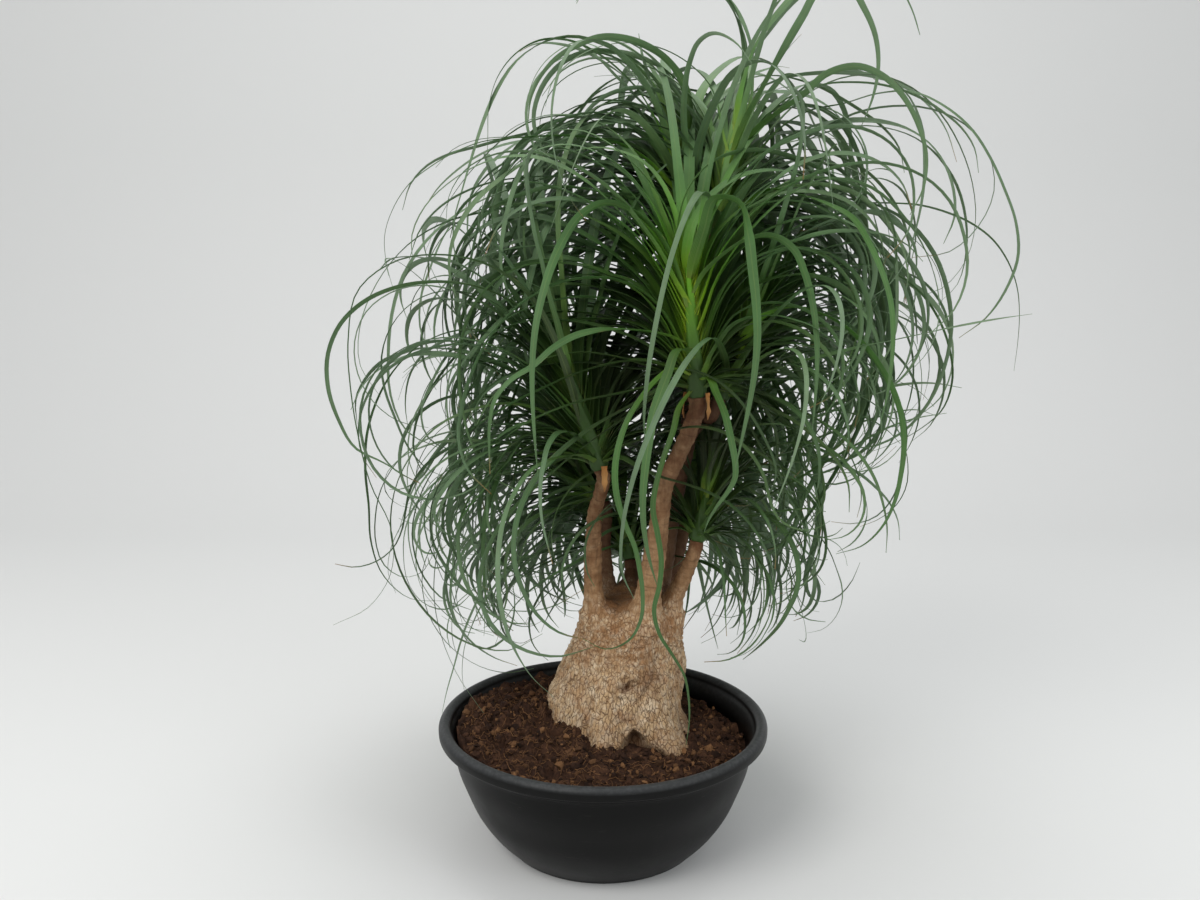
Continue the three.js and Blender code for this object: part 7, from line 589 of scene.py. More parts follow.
        [0.59, 17.4, 0.41, [104, 69, 771, 102, 81, 792, 98, 93, 817, 95, 108, 842, 93, 128, 865, 92, 152, 885, 92, 178, 903, 94, 208, 916, 96, 239, 924, 102, 272, 925, 110, 304, 917, 119, 331, 900, 130, 350, 873, 141, 353, 841, 149, 342, 809]],
        [0.60, 8.5, 0.88, [103, 66, 802, 105, 70, 814, 107, 73, 828, 110, 75, 843, 115, 79, 857, 123, 84, 871, 131, 90, 884, 141, 96, 895, 152, 104, 906, 164, 112, 916, 177, 119, 925, 190, 128, 933, 204, 137, 939, 219, 146, 944, 235, 155, 944]],
        [0.62, 14.9, 0.26, [99, 66, 766, 85, 76, 788, 69, 87, 813, 51, 99, 838, 28, 118, 856, 2, 138, 869, -26, 159, 877, -55, 182, 879, -83, 206, 874, -109, 230, 861, -131, 252, 839, -148, 271, 810, -155, 282, 774, -147, 282, 736, -128, 271, 704]],
        [0.62, 17.5, -0.54, [100, 67, 766, 86, 80, 787, 68, 96, 809, 47, 119, 824, 23, 145, 828, -1, 173, 825, -24, 200, 816, -46, 227, 800, -64, 251, 776, -78, 270, 745, -88, 284, 710, -92, 290, 671, -83, 282, 633, -65, 262, 604, -40, 233, 590]],
        [0.63, 11.6, -0.92, [95, 61, 782, 82, 59, 802, 67, 57, 825, 49, 54, 848, 23, 48, 861, -6, 39, 865, -36, 31, 859, -63, 24, 844, -84, 17, 821, -99, 13, 792, -109, 11, 761, -116, 8, 728, -118, 8, 694, -108, 11, 662, -86, 17, 637]],
        [0.63, 18.5, 0.06, [108, 68, 768, 110, 81, 792, 115, 97, 818, 123, 118, 843, 137, 144, 859, 154, 174, 866, 174, 203, 867, 195, 232, 861, 217, 258, 846, 237, 279, 823, 256, 293, 793, 271, 299, 759, 278, 291, 723, 277, 272, 689, 269, 245, 662]],
        [0.64, 11.9, 2.05, [94, 64, 788, 77, 68, 812, 58, 72, 839, 32, 77, 862, -3, 83, 873, -40, 89, 873, -76, 95, 863, -106, 100, 838, -124, 103, 803, -132, 105, 764, -135, 105, 724, -136, 105, 683, -133, 105, 641, -119, 103, 603, -86, 98, 578]],
        [0.65, 10.4, -0.37, [104, 64, 797, 109, 66, 818, 114, 67, 842, 121, 69, 867, 134, 71, 890, 155, 74, 907, 180, 77, 918, 208, 80, 920, 236, 83, 915, 264, 85, 906, 291, 89, 893, 316, 92, 879, 341, 95, 862, 361, 97, 839, 369, 98, 810]],
        [0.65, 14.6, -0.06, [103, 69, 768, 96, 82, 790, 89, 96, 816, 80, 113, 843, 72, 136, 865, 64, 165, 881, 55, 197, 892, 47, 231, 897, 41, 267, 895, 37, 301, 884, 34, 333, 866, 35, 357, 838, 40, 370, 803, 48, 366, 766, 58, 346, 736]],
        [0.66, 8.8, -1.45, [104, 56, 775, 102, 49, 792, 99, 42, 812, 96, 35, 833, 93, 26, 854, 91, 12, 873, 91, -6, 889, 91, -27, 902, 93, -50, 912, 96, -74, 920, 101, -98, 923, 108, -123, 922, 117, -147, 915, 129, -166, 902, 141, -179, 882]],
        [0.68, 8.0, -1.85, [87, 64, 839, 85, 63, 844, 81, 62, 851, 78, 61, 860, 74, 59, 869, 69, 57, 878, 64, 55, 888, 60, 53, 899, 54, 50, 910, 50, 48, 922, 46, 46, 934, 43, 45, 947, 41, 44, 960]],
        [0.73, 13.1, -0.70, [107, 68, 771, 109, 78, 792, 110, 89, 816, 113, 102, 840, 120, 121, 861, 133, 144, 874, 148, 169, 880, 165, 195, 880, 184, 219, 872, 201, 241, 858, 217, 258, 837, 229, 270, 809, 236, 274, 778, 235, 267, 746, 227, 250, 720]],
        [0.76, 6.1, 1.96, [86, 68, 836, 81, 69, 845, 75, 70, 854, 68, 72, 864, 60, 74, 874, 51, 76, 884, 42, 78, 893, 33, 80, 903, 24, 82, 912, 14, 84, 922, 5, 87, 932, -5, 88, 942, -16, 90, 951, -27, 93, 959, -40, 96, 965]],
        [0.76, 12.8, -0.55, [97, 69, 789, 88, 79, 808, 79, 90, 830, 69, 102, 852, 58, 117, 873, 43, 138, 888, 29, 161, 901, 13, 186, 908, -2, 212, 908, -17, 239, 900, -30, 262, 883, -40, 280, 860, -46, 291, 830, -46, 291, 798, -39, 280, 768]],
        [0.77, 7.3, 1.25, [85, 70, 848, 78, 75, 860, 69, 80, 874, 60, 86, 889, 48, 93, 902, 36, 101, 915, 23, 109, 927, 9, 117, 938, -6, 126, 949, -21, 136, 959, -37, 146, 967, -54, 157, 973, -72, 168, 977, -90, 179, 977, -107, 190, 971]],
        [0.78, 15.7, -0.05, [99, 70, 800, 97, 82, 820, 95, 94, 844, 92, 107, 869, 91, 126, 891, 92, 150, 910, 95, 177, 924, 98, 206, 935, 104, 236, 941, 110, 268, 941, 117, 298, 931, 124, 324, 912, 132, 342, 886, 138, 350, 854, 142, 348, 821]],
        [0.80, 16.1, -0.05, [95, 70, 811, 89, 83, 833, 82, 97, 859, 75, 113, 885, 67, 135, 908, 60, 160, 928, 53, 189, 946, 46, 220, 959, 40, 254, 967, 33, 289, 967, 29, 324, 958, 26, 354, 939, 25, 375, 909, 29, 378, 873, 35, 365, 839]],
        [0.81, 9.7, -0.92, [84, 67, 855, 71, 66, 880, 56, 65, 909, 31, 63, 934, 0, 59, 951, -35, 56, 959, -72, 53, 951, -102, 50, 929, -124, 48, 897, -140, 47, 862, -153, 45, 824, -165, 44, 786, -176, 43, 747, -175, 44, 707, -154, 46, 672]],
        [0.82, 13.1, 1.00, [103, 68, 796, 108, 77, 821, 111, 86, 849, 118, 98, 878, 132, 115, 903, 151, 134, 922, 174, 156, 936, 201, 178, 940, 230, 198, 933, 258, 213, 915, 280, 221, 888, 297, 219, 855, 305, 207, 821, 300, 188, 789, 284, 165, 764]],
        [0.82, 9.2, -1.07, [84, 72, 860, 78, 78, 878, 72, 83, 899, 64, 88, 920, 53, 99, 939, 38, 112, 954, 21, 126, 967, 3, 143, 975, -16, 160, 979, -37, 177, 979, -56, 195, 974, -75, 211, 963, -90, 225, 946, -100, 234, 922, -103, 236, 894]],
        [0.83, 12.6, 0.52, [95, 70, 813, 91, 82, 833, 87, 95, 857, 84, 110, 881, 80, 130, 902, 78, 155, 919, 77, 183, 932, 77, 214, 939, 79, 245, 937, 83, 276, 928, 88, 302, 909, 95, 323, 885, 103, 334, 854, 110, 331, 822, 116, 316, 792]],
        [0.85, 14.8, 0.72, [102, 68, 800, 106, 80, 828, 110, 95, 868, 122, 118, 908, 147, 152, 941, 180, 191, 964, 221, 232, 965, 263, 265, 936, 296, 280, 884, 313, 272, 821, 312, 242, 761, 296, 191, 717, 268, 128, 699]],
        [0.87, 8.7, 0.56, [94, 60, 803, 84, 52, 826, 72, 44, 853, 60, 33, 881, 44, 15, 904, 25, -8, 920, 6, -36, 929, -12, -67, 928, -28, -97, 918, -40, -123, 896, -48, -144, 867, -51, -156, 832, -47, -155, 795, -35, -141, 762, -18, -117, 739]],
        [0.89, 14.6, 0.73, [94, 70, 813, 89, 81, 830, 83, 94, 855, 75, 110, 882, 67, 134, 906, 58, 165, 926, 49, 200, 943, 41, 240, 953, 34, 282, 956, 29, 325, 948, 29, 366, 928, 34, 402, 899, 45, 430, 862]],
        [0.92, 6.0, -0.70, [84, 71, 857, 78, 73, 865, 73, 76, 874, 67, 79, 884, 61, 83, 894, 54, 87, 904, 46, 91, 913, 38, 96, 923, 29, 100, 932, 20, 105, 941, 11, 110, 949, 1, 116, 956, -10, 122, 963, -21, 128, 968, -33, 136, 971]],
        [0.96, 13.8, 1.08, [91, 71, 836, 88, 85, 859, 84, 99, 886, 81, 118, 913, 79, 144, 934, 79, 173, 953, 81, 207, 964, 84, 243, 966, 91, 278, 959, 102, 309, 942, 114, 334, 917, 130, 351, 887, 147, 361, 855, 164, 355, 821, 176, 333, 792]],
        [0.98, 6.7, -1.24, [84, 67, 849, 72, 67, 867, 61, 66, 888, 48, 66, 910, 29, 65, 929, 5, 62, 940, -22, 59, 943, -49, 57, 935, -72, 54, 918, -86, 53, 894, -90, 53, 865, -82, 53, 837, -62, 56, 814, -35, 58, 801, -5, 60, 799]],
        [0.26, 15.0, 0.80, [101, 65, 754, 85, 77, 772, 65, 91, 791, 42, 108, 807, 16, 127, 818, -10, 147, 827, -38, 169, 830, -66, 191, 827, -93, 213, 816, -117, 234, 797, -137, 252, 772, -153, 267, 741, -158, 273, 704, -150, 270, 667, -131, 258, 636]],
        [0.62, 15.0, 0.88, [108, 67, 768, 114, 81, 794, 122, 99, 823, 137, 125, 845, 159, 153, 856, 183, 184, 860, 209, 214, 857, 235, 242, 846, 261, 267, 826, 283, 287, 797, 300, 301, 762, 313, 308, 722, 313, 302, 680, 300, 281, 645, 278, 252, 622]],
        [0.56, 10.9, 0.31, [99, 65, 764, 80, 76, 785, 56, 89, 805, 26, 106, 815, -5, 126, 811, -37, 146, 801, -69, 166, 791, -100, 186, 777, -130, 206, 758, -156, 225, 733, -178, 242, 703, -193, 256, 666, -193, 262, 625, -179, 259, 585, -153, 248, 553]],
        [0.25, 15.0, -0.64, [113, 65, 756, 123, 74, 773, 139, 85, 789, 158, 98, 801, 180, 112, 810, 204, 125, 816, 228, 140, 818, 254, 153, 816, 279, 166, 808, 303, 178, 795, 325, 188, 777, 342, 194, 753, 351, 196, 724, 351, 193, 693, 342, 185, 664]],
        [0.08, 15.0, -0.59, [104, 67, 748, 91, 88, 762, 75, 115, 769, 58, 144, 777, 40, 174, 785, 22, 204, 793, 4, 236, 797, -14, 269, 794, -32, 302, 782, -47, 331, 762, -57, 354, 733, -60, 365, 695, -54, 361, 656, -40, 340, 625, -22, 310, 605]],
        [0.63, 15.0, -0.67, [99, 67, 766, 85, 76, 785, 70, 87, 805, 51, 101, 823, 30, 118, 834, 6, 137, 837, -18, 157, 834, -41, 177, 825, -63, 196, 810, -81, 214, 790, -95, 228, 763, -103, 239, 732, -105, 246, 699, -97, 246, 666, -80, 238, 638]],
        [0.26, 15.0, 0.34, [101, 66, 753, 88, 76, 770, 69, 92, 790, 44, 111, 808, 16, 135, 821, -15, 162, 830, -47, 191, 830, -79, 221, 819, -108, 249, 795, -131, 273, 760, -145, 290, 715, -149, 300, 665, -141, 300, 613]],
        [0.20, 15.0, 0.25, [100, 61, 752, 80, 65, 764, 54, 68, 772, 26, 72, 775, -4, 76, 776, -34, 80, 775, -64, 84, 770, -94, 87, 761, -122, 89, 747, -148, 91, 727, -171, 93, 704, -188, 93, 676, -195, 92, 644, -190, 89, 612, -175, 85, 582]],
        [0.10, 15.0, 0.50, [101, 63, 748, 78, 71, 755, 51, 80, 752, 23, 89, 745, -6, 98, 736, -34, 107, 724, -61, 116, 708, -86, 124, 687, -108, 131, 663, -127, 137, 635, -143, 143, 605, -156, 147, 573, -166, 151, 539, -168, 151, 504, -155, 147, 471]],
        [0.64, 15.0, 0.54, [104, 68, 790, 107, 79, 816, 111, 90, 847, 120, 108, 875, 138, 131, 895, 162, 157, 907, 189, 183, 908, 217, 205, 895, 241, 220, 869, 261, 228, 836, 278, 232, 800, 293, 235, 763, 306, 235, 724, 312, 228, 685, 303, 208, 652]],
        [0.08, 12.0, -0.34, [112, 67, 750, 124, 85, 770, 143, 110, 785, 163, 136, 800, 183, 163, 817, 204, 191, 833, 227, 221, 843, 252, 250, 846, 279, 279, 839, 304, 305, 820, 324, 322, 790, 334, 325, 751, 330, 312, 713, 314, 287, 684, 289, 257, 674]],
    ]},
    "left": {"base": [-0.0036, 0.0, 0.4599], "tip": [-0.0416, -0.015, 0.5816], "leaves": [
        [0.00, 16.4, -0.22, [-9, 6, 464, -25, 25, 474, -38, 47, 473, -52, 70, 472, -66, 92, 472, -81, 114, 472, -94, 137, 469, -107, 159, 463, -117, 182, 454, -126, 203, 442, -132, 222, 424, -135, 239, 404, -141, 256, 385, -155, 276, 375, -174, 294, 378, -193, 304, 393, -207, 305, 415]],
        [0.00, 15.0, 1.05, [-6, 7, 465, -12, 32, 475, -13, 59, 470, -13, 85, 461, -15, 113, 456, -17, 140, 452, -17, 167, 446, -17, 193, 436, -15, 219, 424, -13, 242, 410, -9, 263, 392, -3, 281, 372, 4, 297, 350, 10, 316, 331, 13, 343, 329, 11, 366, 344, 4, 375, 369]],
        [0.02, 17.9, 0.13, [-10, 5, 465, -26, 18, 478, -42, 34, 486, -59, 51, 492, -75, 68, 499, -91, 85, 504, -107, 104, 508, -122, 123, 508, -137, 142, 505, -150, 161, 499, -161, 180, 489, -170, 199, 475, -176, 215, 459, -177, 231, 440, -170, 242, 420, -155, 248, 402, -136, 248, 388]],
        [0.02, 9.6, -0.70, [0, -5, 467, 18, -21, 475, 41, -33, 465, 66, -48, 457, 90, -64, 453, 114, -81, 447, 138, -96, 436, 158, -110, 418, 174, -120, 393, 183, -127, 365, 183, -127, 334, 175, -122, 304, 161, -112, 278, 140, -98, 259, 115, -81, 250]],
        [0.02, 9.1, -0.84, [-12, 3, 464, -33, 11, 474, -55, 23, 476, -77, 33, 477, -99, 44, 479, -122, 54, 481, -144, 64, 482, -167, 75, 482, -189, 85, 480, -211, 95, 476, -233, 105, 468, -253, 114, 458, -271, 123, 444, -285, 132, 426, -287, 141, 403, -272, 146, 385, -249, 146, 379]],
        [0.03, 11.0, 0.40, [1, -4, 467, 13, -13, 482, 30, -23, 492, 47, -32, 499, 64, -43, 507, 82, -54, 513, 100, -64, 517, 118, -76, 517, 136, -87, 512, 152, -96, 501, 165, -104, 485, 174, -109, 467, 179, -112, 446, 187, -117, 427, 203, -124, 416, 223, -132, 416, 240, -138, 427]],
        [0.04, 13.5, 0.40, [-10, 5, 465, -25, 16, 473, -40, 31, 475, -53, 47, 474, -68, 62, 473, -82, 77, 472, -96, 92, 471, -109, 107, 467, -121, 123, 460, -132, 139, 452, -142, 154, 442, -150, 169, 429, -156, 182, 415, -158, 194, 398, -155, 203, 380, -147, 207, 361, -134, 206, 345]],
        [0.04, 17.1, 0.45, [-4, 6, 467, -4, 18, 478, 0, 37, 485, 4, 56, 487, 10, 77, 489, 14, 98, 491, 19, 120, 495, 25, 141, 497, 31, 163, 496, 38, 185, 492, 47, 206, 485, 56, 225, 475, 66, 241, 460, 75, 252, 441, 84, 256, 419]],
        [0.05, 8.8, 0.04, [-13, -1, 464, -30, -3, 471, -51, -5, 472, -73, -7, 470, -96, -10, 468, -120, -12, 466, -143, -14, 463, -167, -17, 456, -189, -19, 444, -209, -20, 429, -226, -22, 411, -240, -23, 389, -250, -25, 365, -253, -25, 339, -245, -24, 314]],
        [0.07, 15.7, -0.16, [-7, 6, 467, -12, 20, 477, -16, 40, 479, -18, 62, 478, -21, 84, 477, -23, 107, 478, -27, 131, 478, -30, 155, 475, -31, 178, 471, -32, 202, 464, -32, 224, 452, -31, 244, 436, -27, 258, 416, -22, 266, 392, -15, 266, 367]],
        [0.07, 8.7, -1.18, [1, 1, 469, 14, 5, 498, 34, 11, 528, 57, 18, 557, 81, 25, 588, 107, 34, 618, 134, 42, 649, 162, 51, 679, 192, 60, 707, 227, 70, 730, 267, 83, 743, 309, 96, 742, 349, 107, 728, 378, 115, 695, 381, 115, 651]],
        [0.08, 8.9, -0.87, [0, 2, 470, 16, 8, 491, 37, 17, 505, 60, 26, 515, 84, 37, 519, 109, 47, 520, 134, 57, 515, 157, 66, 506, 179, 75, 494, 200, 84, 479, 217, 91, 460, 232, 96, 438, 244, 101, 414, 250, 103, 388, 245, 99, 363, 228, 90, 344, 204, 79, 338]],
        [0.09, 9.1, -0.19, [-9, -7, 466, -19, -21, 475, -32, -43, 482, -46, -70, 484, -62, -99, 484, -77, -131, 479, -90, -162, 464, -100, -192, 441, -104, -215, 409, -102, -231, 371, -92, -235, 330, -74, -226, 291, -51, -206, 259]],
        [0.10, 10.2, 2.10, [-13, 2, 466, -33, 6, 476, -54, 12, 480, -75, 20, 480, -97, 26, 477, -118, 32, 474, -138, 39, 468, -158, 45, 458, -176, 51, 447, -194, 56, 434, -210, 61, 419, -224, 66, 402, -235, 69, 383, -238, 64, 362, -227, 51, 347, -210, 38, 346, -193, 28, 357]],
        [0.11, 15.4, -0.01, [0, 2, 470, 10, 6, 487, 28, 13, 501, 48, 20, 513, 69, 30, 524, 90, 38, 537, 113, 47, 549, 136, 56, 559, 161, 65, 566, 187, 75, 569, 213, 86, 568, 239, 95, 560, 263, 102, 546, 282, 107, 525, 291, 107, 497]],
        [0.12, 9.0, -0.81, [-13, 0, 466, -31, -1, 473, -54, 0, 472, -77, 2, 468, -101, 3, 462, -124, 4, 451, -144, 5, 435, -159, 6, 414, -167, 6, 388, -168, 6, 361, -165, 6, 334, -160, 6, 307, -150, 5, 281, -134, 4, 258, -110, 2, 243]],
        [0.12, 15.0, -0.30, [-7, 6, 469, -13, 26, 487, -18, 63, 499, -23, 104, 512, -28, 150, 525, -31, 201, 530, -29, 254, 520, -21, 301, 492, -7, 334, 448, 13, 348, 393, 35, 343, 336, 59, 323, 281, 83, 292, 231]],
        [0.12, 10.0, -2.15, [0, 2, 471, 12, 8, 483, 27, 16, 485, 43, 24, 481, 59, 31, 475, 74, 39, 469, 88, 46, 461, 101, 52, 450, 111, 57, 435, 119, 61, 419, 123, 63, 402, 124, 64, 384, 122, 64, 366, 116, 63, 350, 104, 60, 336, 90, 56, 325, 74, 52, 319]],
        [0.16, 8.7, 1.59, [-13, -2, 467, -31, -6, 476, -53, -11, 480, -78, -16, 479, -102, -21, 473, -125, -26, 462, -145, -30, 444, -159, -33, 421, -167, -35, 395, -168, -35, 367, -164, -34, 339, -153, -32, 313, -134, -28, 291, -109, -22, 277, -81, -15, 273]],
        [0.17, 9.8, -0.94, [-13, 3, 469, -32, 12, 474, -56, 30, 462, -82, 49, 446, -111, 70, 430, -142, 91, 412, -173, 114, 391, -204, 136, 364, -229, 154, 329, -246, 166, 285, -241, 163, 236, -214, 143, 198, -174, 115, 177, -130, 84, 175, -88, 53, 192]],
        [0.18, 7.1, -1.28, [-13, -4, 507, -12, -3, 523, -11, -3, 541, -8, -2, 560, 2, -1, 578, 16, 1, 592, 32, 4, 604, 52, 7, 612, 73, 10, 614, 94, 13, 611, 115, 16, 604, 133, 19, 591, 147, 21, 574, 157, 22, 554, 160, 23, 532]],
        [0.19, 16.2, -0.32, [-5, 6, 472, -6, 20, 493, -5, 41, 513, -2, 66, 530, 2, 93, 547, 7, 121, 561, 14, 152, 572, 23, 184, 575, 33, 217, 572, 45, 247, 561, 58, 273, 541, 70, 292, 514, 80, 303, 482, 86, 298, 447, 87, 279, 417]],
        [0.19, 12.0, -0.20, [0, 0, 473, 13, 2, 500, 32, 5, 524, 55, 9, 543, 82, 14, 557, 111, 20, 566, 141, 25, 566, 170, 31, 560, 196, 36, 545, 218, 40, 525, 232, 43, 498, 239, 43, 468, 252, 42, 442, 280, 36, 433, 307, 28, 443, 330, 21, 462, 350, 15, 484]],
        [0.20, 17.5, -0.40, [-12, 4, 470, -31, 15, 489, -59, 36, 508, -91, 63, 523, -127, 96, 532, -162, 135, 528, -190, 175, 504, -207, 210, 461, -210, 236, 408, -198, 248, 348, -174, 244, 290, -141, 225, 238, -101, 192, 196]],
        [0.21, 10.5, 0.74, [0, 0, 473, 22, 3, 495, 52, 9, 503, 83, 15, 507, 114, 20, 509, 144, 26, 506, 174, 31, 496, 200, 36, 479, 220, 40, 456, 235, 43, 428, 243, 45, 398, 243, 45, 366, 234, 43, 336, 228, 42, 306, 236, 48, 276, 258, 58, 256, 285, 70, 248]],
        [0.21, 11.0, 0.66, [-14, 0, 469, -35, 0, 484, -57, 1, 495, -82, 2, 501, -107, 3, 503, -132, 5, 500, -156, 7, 494, -179, 8, 484, -201, 10, 470, -218, 12, 453, -231, 13, 431, -237, 13, 406, -242, 12, 382, -253, 8, 360, -272, 0, 346, -295, -11, 342, -316, -22, 349]],
        [0.22, 16.6, 0.48, [-3, 4, 474, 4, 14, 489, 14, 28, 502, 28, 44, 511, 42, 62, 519, 57, 80, 527, 73, 98, 533, 90, 117, 538, 107, 136, 541, 125, 155, 541, 143, 174, 537, 161, 193, 530, 178, 209, 516, 190, 221, 495, 198, 227, 470]],
        [0.22, 14.6, -0.18, [-6, 6, 473, -7, 27, 501, -6, 56, 523, -2, 86, 540, 2, 118, 555, 7, 152, 566, 15, 186, 572, 24, 220, 570, 35, 252, 561, 47, 281, 544, 58, 306, 521, 69, 324, 493, 78, 336, 461, 87, 334, 427, 92, 313, 399, 93, 281, 383, 91, 246, 377]],
        [0.22, 18.2, 0.76, [-3, 4, 473, 2, 18, 495, 12, 36, 511, 25, 56, 525, 39, 76, 534, 53, 97, 541, 69, 119, 545, 86, 140, 543, 102, 159, 536, 119, 177, 525, 134, 192, 509, 149, 205, 491, 160, 214, 469, 163, 215, 443, 160, 210, 417, 149, 198, 395, 134, 182, 380]],
        [0.23, 10.2, -2.61, [-14, -1, 470, -30, -3, 479, -49, -5, 486, -70, -5, 490, -92, -6, 489, -115, -7, 485, -136, -7, 476, -156, -8, 462, -171, -8, 444, -181, -8, 421, -184, -9, 397, -181, -9, 372, -172, -8, 348, -158, -8, 327, -137, -7, 313]],
        [0.24, 15.2, 0.11, [-1, 0, 474, 8, 2, 496, 22, 6, 520, 39, 9, 543, 58, 14, 565, 79, 19, 588, 101, 24, 609, 125, 31, 629, 152, 39, 646, 181, 46, 658, 212, 54, 666, 245, 63, 667, 277, 71, 660, 306, 79, 644, 325, 84, 617]],
        [0.24, 9.1, -1.22, [-14, 2, 471, -43, 14, 481, -72, 29, 480, -101, 44, 474, -129, 60, 466, -156, 76, 456, -183, 90, 444, -209, 104, 427, -231, 117, 407, -250, 127, 381, -262, 134, 351, -265, 135, 319, -261, 133, 286, -243, 121, 262, -215, 105, 254, -188, 90, 263, -167, 78, 285]],
        [0.25, 9.7, -0.96, [-1, 1, 475, 7, 3, 500, 19, 7, 526, 38, 12, 551, 60, 20, 573, 86, 28, 593, 115, 37, 608, 147, 48, 615, 180, 58, 612, 210, 68, 597, 235, 76, 573, 248, 81, 540, 247, 80, 504, 230, 74, 472, 200, 64, 453]],
        [0.27, 9.4, 0.13, [-14, -3, 471, -30, -7, 481, -53, -12, 490, -81, -18, 496, -112, -25, 495, -144, -32, 487, -174, -38, 469, -198, -43, 441, -205, -45, 403, -196, -43, 365, -174, -38, 331, -143, -31, 306, -104, -23, 292, -62, -14, 294, -22, -6, 314]],
        [0.28, 18.7, -0.03, [-11, 5, 473, -29, 23, 494, -48, 46, 510, -66, 73, 520, -83, 100, 529, -100, 128, 536, -117, 157, 538, -132, 187, 536, -145, 217, 528, -156, 246, 515, -163, 272, 496, -168, 294, 472, -167, 308, 442, -156, 297, 413, -142, 269, 404, -130, 239, 413, -122, 212, 431]],
        [0.28, 15.0, 0.00, [-1, 0, 476, 4, 1, 502, 10, 2, 531, 20, 4, 561, 33, 8, 591, 48, 11, 621, 65, 16, 651, 84, 21, 679, 106, 26, 706, 131, 33, 731, 159, 41, 752, 192, 49, 767, 227, 58, 774, 262, 68, 768, 290, 76, 745]],
        [0.28, 11.6, -0.07, [-13, 3, 472, -33, 15, 488, -54, 32, 496, -76, 51, 499, -97, 70, 497, -118, 89, 492, -138, 107, 483, -158, 124, 471, -175, 140, 454, -191, 154, 435, -203, 166, 412, -213, 175, 387, -218, 177, 359, -213, 165, 335, -199, 143, 325, -183, 122, 333, -170, 107, 353]],
        [0.29, 17.6, -0.27, [-13, 4, 473, -27, 13, 487, -43, 25, 497, -59, 37, 505, -75, 52, 510, -90, 67, 512, -105, 83, 512, -119, 99, 509, -132, 115, 502, -143, 131, 492, -153, 146, 479, -161, 161, 465, -167, 173, 448, -167, 177, 426, -162, 172, 406, -152, 159, 391, -141, 143, 381]],
        [0.30, 10.4, 0.37, [-14, 0, 472, -33, 3, 485, -57, 7, 496, -84, 14, 499, -111, 21, 494, -138, 29, 484, -163, 35, 469, -187, 41, 450, -204, 45, 425, -213, 48, 395, -212, 48, 363, -199, 45, 334, -180, 39, 308, -154, 32, 290, -123, 23, 286]],
        [0.30, 14.0, 0.58, [-13, 4, 473, -28, 13, 489, -46, 25, 503, -66, 41, 515, -87, 60, 524, -108, 80, 529, -129, 101, 532, -150, 124, 530, -169, 148, 522, -184, 172, 508, -196, 195, 489, -202, 216, 465, -200, 233, 438, -190, 241, 408, -172, 240, 381]],
        [0.30, 11.1, 0.49, [-1, -1, 476, 8, -1, 502, 24, -1, 529, 47, 1, 554, 74, 4, 576, 103, 7, 596, 134, 10, 614, 169, 13, 626, 206, 16, 632, 243, 20, 628, 278, 23, 612, 304, 26, 584, 318, 27, 548, 317, 27, 509, 298, 26, 475]],
        [0.31, 18.5, 0.08, [-5, 4, 476, -5, 16, 498, -2, 34, 521, 3, 56, 542, 12, 80, 561, 20, 106, 579, 31, 134, 594, 43, 163, 604, 57, 194, 608, 73, 225, 604, 88, 254, 590, 103, 276, 568, 114, 289, 536, 119, 287, 501, 117, 272, 468]],
        [0.33, 14.9, 1.20, [-10, 5, 475, -22, 20, 492, -32, 40, 505, -43, 62, 513, -52, 86, 517, -60, 110, 518, -68, 135, 516, -73, 159, 511, -78, 183, 503, -80, 206, 490, -80, 225, 473, -77, 243, 454, -75, 263, 440, -77, 289, 440, -81, 310, 454, -86, 325, 475, -92, 336, 497]],
        [0.34, 17.3, -0.07, [-13, 3, 474, -30, 12, 490, -47, 24, 502, -65, 37, 512, -84, 52, 518, -102, 68, 519, -120, 85, 519, -137, 103, 515, -152, 120, 506, -166, 136, 494, -177, 152, 479, -186, 165, 461, -192, 176, 439, -193, 183, 416, -182, 186, 395, -161, 182, 384, -138, 173, 386]],
        [0.34, 14.9, 0.02, [-12, 4, 475, -27, 15, 492, -44, 30, 510, -63, 50, 523, -83, 72, 534, -103, 96, 543, -123, 122, 548, -143, 149, 549, -161, 177, 546, -177, 206, 537, -192, 235, 524, -203, 262, 504, -207, 283, 476, -202, 293, 442, -188, 290, 410]],
        [0.34, 8.8, -1.46, [-15, -3, 473, -30, -7, 483, -45, -10, 492, -61, -15, 499, -79, -18, 500, -97, -22, 498, -114, -25, 493, -130, -29, 486, -146, -32, 477, -160, -35, 467, -173, -38, 454, -184, -40, 440, -193, -40, 424, -194, -38, 406, -186, -33, 391, -172, -26, 382, -155, -20, 382]],
        [0.35, 8.1, -0.29, [-10, -9, 474, -16, -20, 485, -23, -34, 495, -31, -49, 505, -37, -67, 512, -44, -86, 515, -50, -107, 516, -55, -127, 512, -59, -148, 505, -61, -167, 494, -63, -185, 481, -63, -201, 465, -61, -215, 447, -56, -223, 426, -50, -225, 403]],
        [0.35, 13.9, 0.30, [-4, 3, 477, -3, 9, 500, -2, 16, 525, 2, 25, 552, 9, 37, 578, 16, 51, 603, 26, 67, 628, 37, 83, 651, 51, 102, 673, 67, 123, 690, 87, 145, 702, 110, 168, 708, 134, 190, 706, 157, 209, 692, 177, 221, 669]],
        [0.35, 13.7, 0.55, [-4, 3, 478, -2, 11, 502, 2, 21, 528, 9, 34, 555, 19, 50, 580, 31, 67, 604, 44, 87, 626, 61, 109, 645, 81, 132, 659, 104, 155, 668, 130, 178, 667, 158, 197, 658, 186, 210, 641, 207, 213, 614, 218, 205, 581]],
